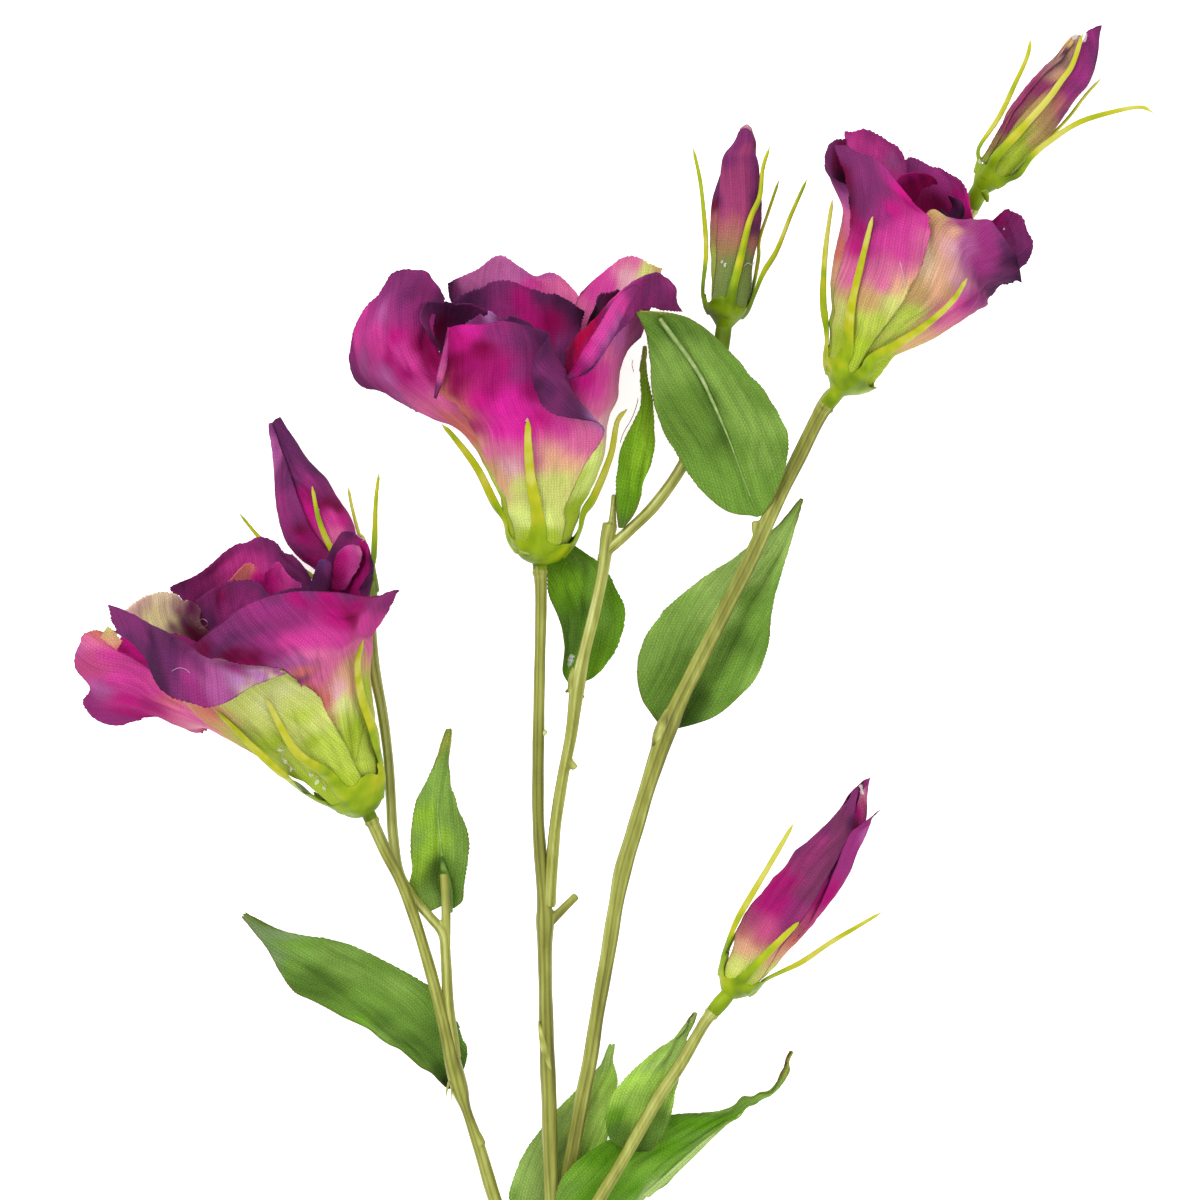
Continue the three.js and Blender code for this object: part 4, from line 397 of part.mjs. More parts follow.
const SEPAL = {
  flower_centre: [[[-20.95, 94.75, 30.95], [-20.75, 97.7, 32.55], [-20.65, 99.35, 33.75], [-21.1, 102.8, 36.75], [-22.55, 111.3, 42.75], [-23.05, 119.2, 49.05], [-23, 124.95, 51.95]],
    [[-28.6, 97.2, 22.95], [-29.25, 100.45, 23.65], [-31.7, 104.5, 24.6], [-36.15, 113.55, 26.7], [-41.75, 121.1, 28.5], [-44.85, 124.5, 30.4]],
    [[-11.45, 95.7, 22.55], [-10.25, 98.8, 23.2], [-9.25, 102.65, 24.05], [-6.7, 106.95, 24.6], [-2.7, 116.85, 26.7], [-1.05, 125.15, 28.5], [1.4, 128.4, 29.15]],
    [[-15.9, 97.75, 15.15], [-15.15, 101.05, 15], [-14.55, 104.15, 15.05], [-13.15, 108.7, 14], [-11.45, 119.15, 12.65], [-11.5, 127.95, 11.55]],
    [[-24.35, 98.45, 15.4], [-24.55, 101.85, 15.3], [-24.75, 103.15, 15.05], [-25.65, 107.45, 14], [-28, 117.5, 12.65], [-31.5, 125.95, 11.55]]],
  flower_left: [[[-66.7, 30.25, 31.55], [-68.15, 32.75, 33.3], [-68.75, 33.85, 33.7], [-74.45, 38.6, 40.1], [-80.6, 43.85, 47.95], [-86.95, 57, 58.7]],
    [[-74.45, 28.6, 23.3], [-76.75, 30.9, 24.15], [-85.05, 36.15, 26.55], [-94.6, 41, 29.05], [-98.2, 45.6, 27.5]],
    [[-59.15, 36.1, 25.5], [-59.75, 39.25, 26.6], [-60.45, 41.2, 27.25], [-61.8, 48.25, 35.3], [-64.2, 56.2, 42.3], [-65, 64.5, 49.1], [-63.3, 70.8, 54.8]],
    [[-63.85, 36.45, 15.9], [-65, 39.65, 15.95], [-65.75, 41.4, 16.2], [-68.45, 50.75, 14.3], [-71.9, 60.75, 12.85], [-74.2, 70.95, 10.85]],
    [[-71.45, 32.4, 15.85], [-73.45, 35.15, 15.9], [-80.75, 42.85, 14.4], [-88.1, 50.3, 13.05]]],
  flower_right: [[[50.65, 142.3, 26.15], [51.4, 145.45, 26.75], [51.4, 147.1, 27.05], [50.5, 154.85, 28.55], [50.55, 162.25, 30.05], [51.2, 170.6, 31.75], [52.5, 180.4, 34.9]],
    [[54.25, 138.75, 33], [55.45, 141.45, 34.4], [56.15, 143.25, 35.5], [56.35, 149.8, 40.5], [57.3, 156.25, 44.7], [58.85, 163.5, 49.6], [61, 174, 59.45]],
    [[59.5, 135.65, 33], [61.3, 138.05, 34.4], [62.75, 140.55, 34.9], [69.1, 144.5, 39.6], [75.15, 148.55, 44.65], [81.05, 153.9, 49.6], [84.2, 159.15, 56.95]],
    [[62.9, 136.4, 20.3], [65.1, 138.85, 20.25], [66.7, 141.8, 21], [73.9, 146.65, 19.7], [81.7, 151.2, 18.95], [89.6, 156.75, 19]],
    [[53.8, 141.85, 19.7], [54.9, 144.95, 19.6], [55.55, 146.95, 19.4], [56.8, 154.6, 16.95], [59, 161.9, 14.85], [61.9, 169.9, 13.45]]],
  bud_a: [[[25.55, -11.5, 11.9], [26.25, -8.8, 11.7], [29, -1.35, 13.1], [33.2, 6.05, 13.75], [37.7, 13.7, 14.45], [43.75, 24.1, 15]],
    [[34.7, -16.85, 15], [36.7, -14.95, 15.3], [39, -10.25, 17.2], [40.55, -6.2, 19.15], [45.1, -0.4, 19.1]],
    [[35.2, -17.3, 12.4], [37.25, -15.4, 12.3], [45.45, -11.7, 11], [53.1, -6.6, 10.75], [60.7, -2, 11.45], [66.2, 1.45, 13.25]],
    [[31.65, -15.35, 7], [33.2, -13.25, 6.15], [36.45, -9.1, 5.25], [44.3, 0.9, 3.55]],
    [[26.1, -11.9, 9.75], [26.85, -9.25, 9.25], [29.45, -4.35, 7.95], [37.15, 5.75, 6.25]]],
  bud_b: [[[90.25, 193.3, 11.05], [91.15, 195.9, 11.15], [96.2, 203.75, 12.45], [99.6, 210.95, 13.7], [102.8, 218.15, 14.95], [103.8, 222.95, 15.1]],
    [[93.45, 190.7, 16.5], [94.85, 192.95, 17.35], [100.1, 198.5, 18.45], [107.45, 206.75, 19.45], [110.8, 211.35, 19.5], [113.85, 215.7, 19.1], [116.6, 223.8, 18.4]],
    [[98.9, 186.85, 13.25], [101.1, 188.55, 13.65], [104.25, 193.15, 14.6], [109.35, 197.45, 14.95], [116.25, 201.7, 14.8], [124.35, 204.2, 15], [131.4, 205.45, 15.15], [135.05, 204.05, 14.15]],
    [[98.45, 187.4, 7.6], [100.55, 189.2, 7.2], [105.7, 195.05, 7.45], [113.45, 203, 8.05], [118.5, 209.45, 8.75], [122.25, 213.5, 8.05]],
    [[93, 191.45, 5.95], [94.3, 193.85, 5.25], [98.55, 200.1, 5.05], [105.2, 208.85, 4.95]]],
  bud_c: [[[21.05, 156.15, 21.65], [20.55, 158.9, 21.8], [21.3, 168.7, 22.3], [20.75, 177.4, 23.75], [19.75, 186.15, 24.2], [17.95, 194.3, 25.6]],
    [[27.3, 155.05, 27.2], [27.75, 157.65, 28.15], [29.85, 166.4, 29], [32.05, 175.5, 30.15], [34.6, 181.6, 29.1], [35.4, 188.7, 28.95], [37.15, 194.1, 29.75]],
    [[31.65, 154.9, 19.2], [32.75, 157.45, 19], [34.5, 166.35, 19.65], [34.8, 171.5, 18.45], [36.8, 177.8, 18.85], [39.75, 186.5, 20.3]],
    [[32.2, 154.7, 21.6], [33.35, 157.25, 21.75], [35.9, 163.1, 23.1], [39.15, 168.6, 23.4], [42.6, 177.3, 24.85], [46.6, 186.3, 25.35]],
    [[24.75, 155.95, 16.35], [24.85, 158.65, 15.7], [25.25, 167.6, 16], [25.85, 176.95, 15.65]]],
  bud_d: [[[-66.55, 84.1, 15.55], [-67.95, 86.4, 16.25], [-72.95, 93, 18], [-76.2, 100.5, 19.15], [-78.1, 109.4, 18.65]],
    [[-71.7, 80.4, 10], [-73.85, 82.15, 9.9], [-78.85, 86.7, 10.65], [-85.5, 90.75, 10.4], [-91.85, 96.35, 10.1], [-97.15, 102.7, 10.8]],
    [[-62.55, 86.45, 8.25], [-63.35, 89.1, 7.9], [-65.8, 96.25, 6.9], [-66.95, 97.55, 5.9], [-68.6, 103.65, 5.2], [-69.75, 109.45, 5.05]],
    [[-62.35, 86.65, 9.95], [-63.15, 89.35, 9.85], [-62.85, 90.75, 10.8], [-62.6, 98.4, 10.55], [-62.3, 106, 11.3], [-61.55, 112.9, 11.05]],
    [[-67.1, 83.2, 4.35], [-68.6, 85.35, 3.45], [-74.2, 91.6, 1.4]]],
};
const STEM = {
  stem_main: [[-18.4, -87.1, 6.45, 5.2], [-18.15, -91.7, 6.25, 5.6], [-17.9, -97.65, 5.85, 4.9], [-17.9, -102.85, 5.15, 3.9], [-17.65, -110.65, 4.35, 3.3], [-16.65, -129.15, 3.75, 3.1], [-15.6, -154.85, 3.25, 2.9], [-15.6, -185.65, 2.95, 2.75], [-16.4, -211.3, 2.7, 2.65], [-16.9, -226.7, 2.6, 2.65]],
  stem_centre: [[-20.6, 90.25, 21.2, 1.75], [-20.25, 80.6, 21.55, 1.5], [-20.75, 55.35, 19.35, 1.5], [-21.05, 30, 16.95, 1.55], [-20.55, 17.3, 15.75, 1.7], [-19.55, 4.55, 14.55, 1.8], [-19.3, -1.3, 13.95, 2.3], [-19.35, -10.75, 12.95, 1.8], [-18.85, -33.8, 10.75, 2], [-18.35, -46.65, 9.55, 1.95], [-18.1, -59.55, 8.45, 1.95], [-17.6, -72.35, 7.65, 1.95], [-17.85, -82.45, 8.35, 1.7], [-18.35, -91.05, 8.85, 1.6]],
  stem_left: [[-63.9, 27.25, 21.55, 1.6], [-59.6, 17.55, 20.15, 1.6], [-55.85, 9.95, 19.15, 1.5], [-52.1, -0.25, 17.95, 1.5], [-48.35, -12.95, 16.95, 1.5], [-45.1, -25.75, 15.75, 1.6], [-42.85, -35.95, 14.75, 2.1], [-40.85, -43.65, 13.95, 2.2], [-39.1, -49.35, 12.95, 1.35], [-35.85, -59.15, 11.55, 1.7], [-32.1, -72.15, 9.35, 1.7], [-27.8, -82.55, 7.65, 1.7], [-24, -88.05, 6.65, 1.6], [-21.2, -92.5, 6.15, 1.6]],
  stem_right: [[54.45, 133.1, 24.65, 1.9], [50, 127.15, 22.45, 1.9], [45.05, 117.15, 20.75, 1.9], [38.8, 104.6, 19.15, 1.95], [32.55, 90.7, 17.95, 1.95], [26.25, 78.05, 16.95, 1.95], [19.95, 65.4, 15.95, 2], [14.9, 55.25, 14.95, 2.1], [11.35, 46.9, 14.15, 2.6], [7.3, 34.9, 12.95, 2.1], [3.5, 22.2, 11.95, 2.1], [0.5, 12, 11.35, 2.3], [-1.3, 3.05, 10.85, 2], [-3.6, -11, 9.95, 1.9], [-5.9, -23.8, 8.95, 1.9], [-7.9, -36.65, 7.95, 1.9], [-10.45, -49.5, 6.95, 1.9], [-12.25, -59.8, 6.15, 1.9], [-13.55, -66.25, 5.65, 1.9], [-15.1, -76.6, 4.85, 1.8], [-16.1, -85.6, 4.25, 1.6], [-16.35, -92.8, 3.95, 1.6]],
  stem_bud_a: [[27.65, -18.9, 12.6, 1.6], [22.05, -25.5, 12.75, 1.6], [19.5, -29.55, 12.85, 1.5], [14.95, -37.4, 13.15, 1.7], [9.85, -44.95, 13.45, 1.6], [4.75, -53.8, 13.95, 1.6], [-0.3, -62.65, 14.15, 1.6], [-5.35, -71.1, 13.55, 1.65], [-9.7, -79.4, 11.95, 1.7], [-13, -86.35, 9.55, 1.6], [-14.8, -92.2, 8.15, 1.5]],
  stem_bud_b: [[91.65, 185.7, 10.9, 2.1], [88.9, 180.45, 8.55, 2.1], [84.05, 171.8, 5.35, 2.1], [79.1, 163, 3.15, 2], [72.75, 152.85, 2.1, 2], [66.35, 144.1, 2.45, 2], [60.55, 137.3, 5.15, 1.9], [56.2, 132, 10.45, 1.8], [53.85, 127.95, 15.95, 1.7], [50.85, 125.5, 20.45, 1.6]],
  stem_bud_c: [[25.95, 150.2, 21.35, 1.9], [24.85, 142.3, 21.45, 1.85], [22.85, 133, 21.55, 1.7], [19.8, 123.4, 21.95, 1.55], [14.75, 113.3, 22.95, 1.5], [8.45, 104.5, 23.95, 1.45], [2.15, 98.2, 24.15, 1.45], [-2.1, 94.4, 23.95, 1.5]],
  stem_centre_twig: [[-2.85, 99.7, 24.15, 1.8], [-3.6, 95.7, 23.95, 1.8], [-4.6, 88.15, 23.55, 1.5], [-6.65, 78.1, 22.95, 1.5], [-9.15, 68, 22.25, 1.5], [-11.15, 58.45, 21.55, 1.8], [-12.7, 46.55, 20.75, 1.5], [-14.7, 36.45, 19.75, 1.5], [-16.5, 25.05, 18.35, 1.5], [-17.25, 17.4, 17.15, 1.5], [-17.75, 10.25, 16.15, 1.5], [-18.05, 3.1, 15.15, 1.4]],
  stem_bud_d: [[-64.1, 79.15, 10.2, 1.6], [-63.55, 71.7, 11.95, 1.5], [-62.7, 63.35, 13.45, 1.5], [-60.6, 52.75, 14.95, 1.35], [-59.05, 41.35, 15.75, 1.3], [-58.3, 29.95, 15.55, 1.3], [-57.8, 21.05, 14.95, 1.3], [-56.3, 11.65, 14.55, 1.3], [-53, 5.6, 14.95, 1.3], [-48.4, 0.35, 15.55, 1.3], [-45.1, -3.95, 15.85, 1.3], [-44.35, -10.55, 15.65, 1.4], [-43.85, -20.7, 15.35, 1.4], [-42.85, -28.3, 15.15, 1.35], [-41.85, -35.45, 14.95, 1.3]],
};
const STUB = {
  stem_centre: [[[-18.05, -1.05, 13.95, 1.2], [-15, 2.05, 14.35, 1.1], [-11.45, 5.6, 14.75, 1]]],
  stem_bud_d: [[[-44.35, -11.05, 15.55, 1.2], [-44.35, -2.9, 16.05, 1.2], [-44.35, 3.2, 16.55, 1.2], [-44.8, 11.3, 17.15, 1.15]]],
  stem_centre_twig: [[[-13.95, 41, 20.35, 1], [-11.65, 38.25, 20.55, 0.9]], [[-2.35, 98.2, 24.15, 1.2], [-2.1, 102.7, 24.55, 0.8], [-1.85, 106.95, 24.85, 0.7]]],
  stem_left: [[[-36.6, -55.5, 12.15, 1.3], [-35.35, -57.75, 12.55, 1.2]]],
  stem_right: [[[35.05, 94.5, 18.35, 1.2], [34.25, 97.75, 18.95, 1.2], [34, 100.3, 19.35, 1.1]]],
};

// ---- curves and surfaces ----
const sub = (a, b) => a.map((v, i) => v - b[i]);
const add = (a, b, k = 1) => a.map((v, i) => v + k * b[i]);
const cross = (a, b) => [a[1] * b[2] - a[2] * b[1], a[2] * b[0] - a[0] * b[2], a[0] * b[1] - a[1] * b[0]];
const dot = (a, b) => a[0] * b[0] + a[1] * b[1] + a[2] * b[2];
const unit = (a) => { const l = Math.hypot(...a) || 1; return a.map((v) => v / l); };

// Catmull-Rom through q, n + 1 even samples
function smooth(q, n) {
  const e = [add(q[0], sub(q[0], q[1])), ...q, add(q[q.length - 1], sub(q[q.length - 1], q[q.length - 2]))];
  const out = [];
  for (let s = 0; s <= n; s++) {
    const t = (s / n) * (q.length - 1);
    const i = Math.min(Math.floor(t), q.length - 2);
    const f = t - i;
    const [a, b, c, d] = [e[i], e[i + 1], e[i + 2], e[i + 3]];
    out.push(b.map((_, k) => 0.5 * (2 * b[k] + (c[k] - a[k]) * f + (2 * a[k] - 5 * b[k] + 4 * c[k] - d[k]) * f * f
      + (3 * b[k] - a[k] - 3 * c[k] + d[k]) * f * f * f)));
  }
  return out;
}

function surface(net, nv, nu) {
  const cols = net[0].map((_, j) => smooth(net.map((row) => row[j]), nv));
  const rows = [];
  for (let i = 0; i <= nv; i++) rows.push(smooth(cols.map((c) => c[i]), nu));
  return rows;
}

function finish(positions, index) {
  const g = new THREE.BufferGeometry();
  g.setAttribute('position', new THREE.Float32BufferAttribute(positions, 3));
  g.setIndex(index);
  let vol = 0;
  for (let i = 0; i < index.length; i += 3) {
    const [a, b, c] = [0, 1, 2].map((k) => positions.slice(3 * index[i + k], 3 * index[i + k] + 3));
    vol += dot(a, cross(b, c));
  }
  if (vol < 0) {
    for (let i = 0; i < index.length; i += 3) [index[i + 1], index[i + 2]] = [index[i + 2], index[i + 1]];
    g.setIndex(index);
  }
  return g;
}

// closed shell of thickness t about a surface
function shell(net, t, nv, nu) {
  const m = surface(net, nv, nu);
  const W = nu + 1;
  const top = [], bottom = [];
  for (let i = 0; i <= nv; i++) {
    for (let j = 0; j <= nu; j++) {
      const du = sub(m[i][Math.min(j + 1, nu)], m[i][Math.max(j - 1, 0)]);
      const dv = sub(m[Math.min(i + 1, nv)][j], m[Math.max(i - 1, 0)][j]);
      const n = unit(cross(du, dv));
      top.push(...add(m[i][j], n, t / 2));
      bottom.push(...add(m[i][j], n, -t / 2));
    }
  }
  const B = W * (nv + 1);
  const index = [];
  const quad = (a, b, c, d) => index.push(a, b, c, a, c, d);
  for (let i = 0; i < nv; i++) {
    for (let j = 0; j < nu; j++) {
      const a = i * W + j;
      quad(a, a + 1, a + W + 1, a + W);
      quad(B + a, B + a + W, B + a + W + 1, B + a + 1);
    }
    const l = i * W, r = i * W + nu;
    quad(l, l + W, B + l + W, B + l);
    quad(r, B + r, B + r + W, r + W);
  }
  for (let j = 0; j < nu; j++) {
    const e = nv * W + j;
    quad(j, B + j, B + j + 1, j + 1);
    quad(e, e + 1, B + e + 1, B + e);
  }
  return finish([...top, ...bottom], index);
}

function petal(net, t) {
  const tall = net.length > 8, wide = net[0].length > 6;
  return shell(net, t, tall ? 8 : wide ? 7 : 6, wide ? 7 : 6);
}

// solid swept along points, with ring(i) giving the section's points
function swept(count, ring) {
  const pos = [];
  const k = ring(0).length;
  for (let i = 0; i < count; i++) for (const p of ring(i)) pos.push(...p);
  const index = [];
  for (let i = 0; i < count - 1; i++) {
    for (let j = 0; j < k; j++) {
      const a = i * k + j, b = i * k + ((j + 1) % k);
      index.push(a, b, b + k, a, b + k, a + k);
    }
  }
  for (let j = 1; j < k - 1; j++) {
    index.push(0, j + 1, j);
    const e = (count - 1) * k;
    index.push(e, e + j, e + j + 1);
  }
  return finish(pos, index);
}

// round stem through [x, y, z, radius] points
function stem(points, grow = 0, steps = 1) {
  const p = smooth(points, (points.length - 1) * steps);
  let up = [0, 0, 1];
  return swept(p.length, (i) => {
    const t = unit(sub(p[Math.min(i + 1, p.length - 1)], p[Math.max(i - 1, 0)]).slice(0, 3));
    const s = unit(cross(t, up));
    const w = cross(s, t);
    const c = p[i].slice(0, 3);
    return Array.from({ length: STEM_SIDES }, (_, j) => {
      const a = (2 * Math.PI * j) / STEM_SIDES;
      return add(add(c, s, (p[i][3] + grow) * Math.cos(a)), w, (p[i][3] + grow) * Math.sin(a));
    });
  });
}

function sepal(points, widths, head) {
  const n = points.length;
  const p = smooth(points, n);
  return swept(p.length, (i) => {
    const t = unit(sub(p[Math.min(i + 1, n)], p[Math.max(i - 1, 0)]));
    const d = sub(p[i], head.base);
    const out = unit(sub(d, head.axis.map((v) => v * dot(d, head.axis))));
    const side = unit(cross(t, out));
    const nrm = cross(side, t);
    const f = (i / n) * (widths.length - 1), k = Math.min(Math.floor(f), widths.length - 2);
    const w = widths[k] + (widths[k + 1] - widths[k]) * (f - k);
    const h = SEPAL_T * (i === n ? 0.7 : 1);
    return [add(add(p[i], side, -w / 2), nrm, -h / 2), add(add(p[i], side, w / 2), nrm, -h / 2),
      add(p[i], nrm, h / 2)];
  });
}

// calyx cup: profile turned about the head's axis, open at the top
function cup(head) {
  const R = head.rim, H = head.height, w = CUP_WALL;
  const prof = [[0, -0.7], [1.9, -0.7], [R * 0.6, 0.5], [R * 0.87, H * 0.38], [R, H],
    [R - w, H], [R * 0.87 - w, H * 0.42], [R * 0.55, 1.4], [PEG_R, 1.4], [PEG_R, 3.4], [0, 3.6]];
  const g = new THREE.LatheGeometry(prof.map(([r, h]) => new THREE.Vector2(r, h)), CUP_SEGMENTS);
  g.deleteAttribute('normal');
  g.deleteAttribute('uv');
  const q = new THREE.Quaternion().setFromUnitVectors(new THREE.Vector3(0, 1, 0), new THREE.Vector3(...head.axis));
  g.applyQuaternion(q);
  g.translate(...head.base);
  return mergeVertices(g, 1e-4);
}

// ---- booleans ----
function solid(g) {
  const m = mergeVertices(g.index ? g : g.clone(), 1e-5);
  const tri = Uint32Array.from(m.index.array).filter(() => true);
  const s = new wasm.Manifold(new wasm.Mesh({
    numProp: 3, vertProperties: Float32Array.from(m.attributes.position.array), triVerts: tri }));
  return s;
}
const largest = (s) => s.decompose().sort((a, b) => b.volume() - a.volume())[0];
function geometry(s) {
  const m = s.getMesh();
  const g = new THREE.BufferGeometry();
  g.setAttribute('position', new THREE.Float32BufferAttribute(m.vertProperties, m.numProp));
  g.setIndex([...m.triVerts]);
  return g;
}

// ---- assembly ----
const spray = new THREE.Group();
spray.name = 'lisianthus_spray';

const COLOUR = {
  stem: 0x8f9440, leaf: 0x6d9a3c, calyx: 0xa6cc22, petal: 0xb03a8c, petal_dark: 0x6a2a66, bud: 0x8c2a6e,
};
function piece(name, g, colour, roughness) {
  g.computeVertexNormals();
  const mesh = new THREE.Mesh(g, new THREE.MeshStandardMaterial({ color: colour, roughness, metalness: 0, side: THREE.DoubleSide }));
  mesh.name = name;
  spray.add(mesh);
}

// stems: each side branch is cut clear of the branch that carries it
const PARENT = {
  stem_centre_twig: ['stem_centre'], stem_bud_c: ['stem_centre_twig'], stem_bud_b: ['stem_right'],
  stem_bud_d: ['stem_left'], stem_left: [], stem_right: [], stem_centre: [], stem_bud_a: [],
};
for (const name of Object.keys(STEM)) {
  let s = solid(stem(STEM[name]));
  if (name === 'stem_main') {
    for (const b of ['stem_centre', 'stem_left', 'stem_right', 'stem_bud_a']) s = s.subtract(solid(stem(STEM[b], GAP)));
  } else {
    for (const b of PARENT[name]) s = s.subtract(solid(stem(STEM[b], GAP)));
  }
  if (STUB[name]) for (const st of STUB[name]) s = s.add(solid(stem(st, 0, 1)));
  piece(name, geometry(largest(s)), COLOUR.stem, 0.5);
}

for (const [name, net] of Object.entries(LEAF)) {
  piece(name, shell(net, LEAF_T, net.length - 1, 4), COLOUR.leaf, 0.75);
}

// petals that a sepal is pressed against
const PRESSED = { flower_centre: ['flower_centre_petal_front', 'flower_centre_petal_left'] };
for (const [key, head] of Object.entries(HEAD)) {
  let s = solid(cup(head));
  for (const p of SEPAL[key]) s = s.add(solid(sepal(p, key.startsWith('flower') ? SEPAL_W_FLOWER : SEPAL_W_BUD, head)));
  for (const name of PRESSED[key] || []) s = s.subtract(solid(petal(PETAL[name], PETAL_T + 0.1)));
  piece(`${key}_calyx`, geometry(largest(s)), COLOUR.calyx, 0.45);
}

// where two petals are pressed together, the inner one is cut clear of the outer one
const TRIM = {
  flower_centre_petal_inner_left: ['flower_centre_petal_left', 'flower_centre_petal_inner_back'],
  flower_centre_petal_back_right: ['flower_centre_petal_back_left'],
  flower_centre_petal_back_left: ['flower_centre_petal_left'],
  flower_left_petal_front_right: ['flower_left_petal_front_left'],
  flower_left_petal_back_left: ['flower_left_petal_back', 'flower_left_petal_left'],
  flower_left_petal_inner_left: ['flower_left_petal_back_left'],
  flower_right_petal_right_back: ['flower_right_petal_right'],
  flower_centre_petal_inner_right: ['flower_centre_petal_inner_back'],
  bud_d_petal_left: ['bud_d_petal_right'],
  bud_a_petal_back: ['bud_a_petal_front'],
};
for (const [name, net] of Object.entries(PETAL)) {
  let g = petal(net, PETAL_T);
  if (TRIM[name]) {
    let s = solid(g);
    for (const other of TRIM[name]) {
      s = s.subtract(solid(petal(PETAL[other], PETAL_T + 2 * TRIM_GAP))).subtract(solid(petal(PETAL[other], PETAL_T)));
    }
    g = geometry(largest(s));
  }
  piece(name, g, name.startsWith('bud') ? COLOUR.bud : COLOUR.petal, 0.8);
}

export default spray;
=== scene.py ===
import math
import bpy
import numpy as np
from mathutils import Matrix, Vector


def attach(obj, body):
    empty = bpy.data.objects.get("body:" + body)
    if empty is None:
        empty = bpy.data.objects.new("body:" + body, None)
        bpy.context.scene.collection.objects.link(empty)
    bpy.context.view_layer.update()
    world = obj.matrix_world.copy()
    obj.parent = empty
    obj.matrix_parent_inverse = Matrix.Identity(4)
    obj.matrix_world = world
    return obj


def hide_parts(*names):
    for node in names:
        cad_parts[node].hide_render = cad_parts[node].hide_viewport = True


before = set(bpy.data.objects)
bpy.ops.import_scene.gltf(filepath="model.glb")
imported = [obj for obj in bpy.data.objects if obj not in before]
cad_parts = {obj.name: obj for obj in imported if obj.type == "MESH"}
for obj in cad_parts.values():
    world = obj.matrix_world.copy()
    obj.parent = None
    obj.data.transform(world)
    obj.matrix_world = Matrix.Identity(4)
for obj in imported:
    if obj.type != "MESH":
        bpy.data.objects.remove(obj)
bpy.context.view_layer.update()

# Lisianthus spray lying on its back. Control points in millimetres, in the frame of the solids.
OFFSET = (-5.37, 80.6, -0.07)          # mm, from the picture's centre on the surface to the frame's origin
CAMERA_HEIGHT = 1155.0    # mm above the surface
MM = 0.001
rng = np.random.default_rng(11)

HEAD = {
    'flower_centre': dict(base=[-20.48, 91.68, 21.53], axis=[0.0899, 0.973, 0.2127], rim=9.4, height=7.5),
    'flower_left': dict(base=[-64.54, 28.48, 21.93], axis=[-0.4555, 0.8531, 0.2547], rim=9.5, height=7.5),
    'flower_right': dict(base=[55.15, 134.34, 24.93], axis=[0.4969, 0.8487, 0.1813], rim=8.7, height=7.2),
    'bud_a': dict(base=[28.39, -17.65, 12.53], axis=[0.5163, 0.8557, -0.0351], rim=6.3, height=5.8),
    'bud_b': dict(base=[92.51, 186.86, 10.93], axis=[0.5907, 0.8063, 0.0321], rim=6.3, height=5.8),
    'bud_c': dict(base=[26.12, 151.63, 21.43], axis=[0.1288, 0.9903, 0.0523], rim=6.3, height=5.8),
    'bud_d': dict(base=[-64.9, 80.35, 10.13], axis=[-0.5557, 0.8305, -0.0387], rim=6.3, height=5.8),
}
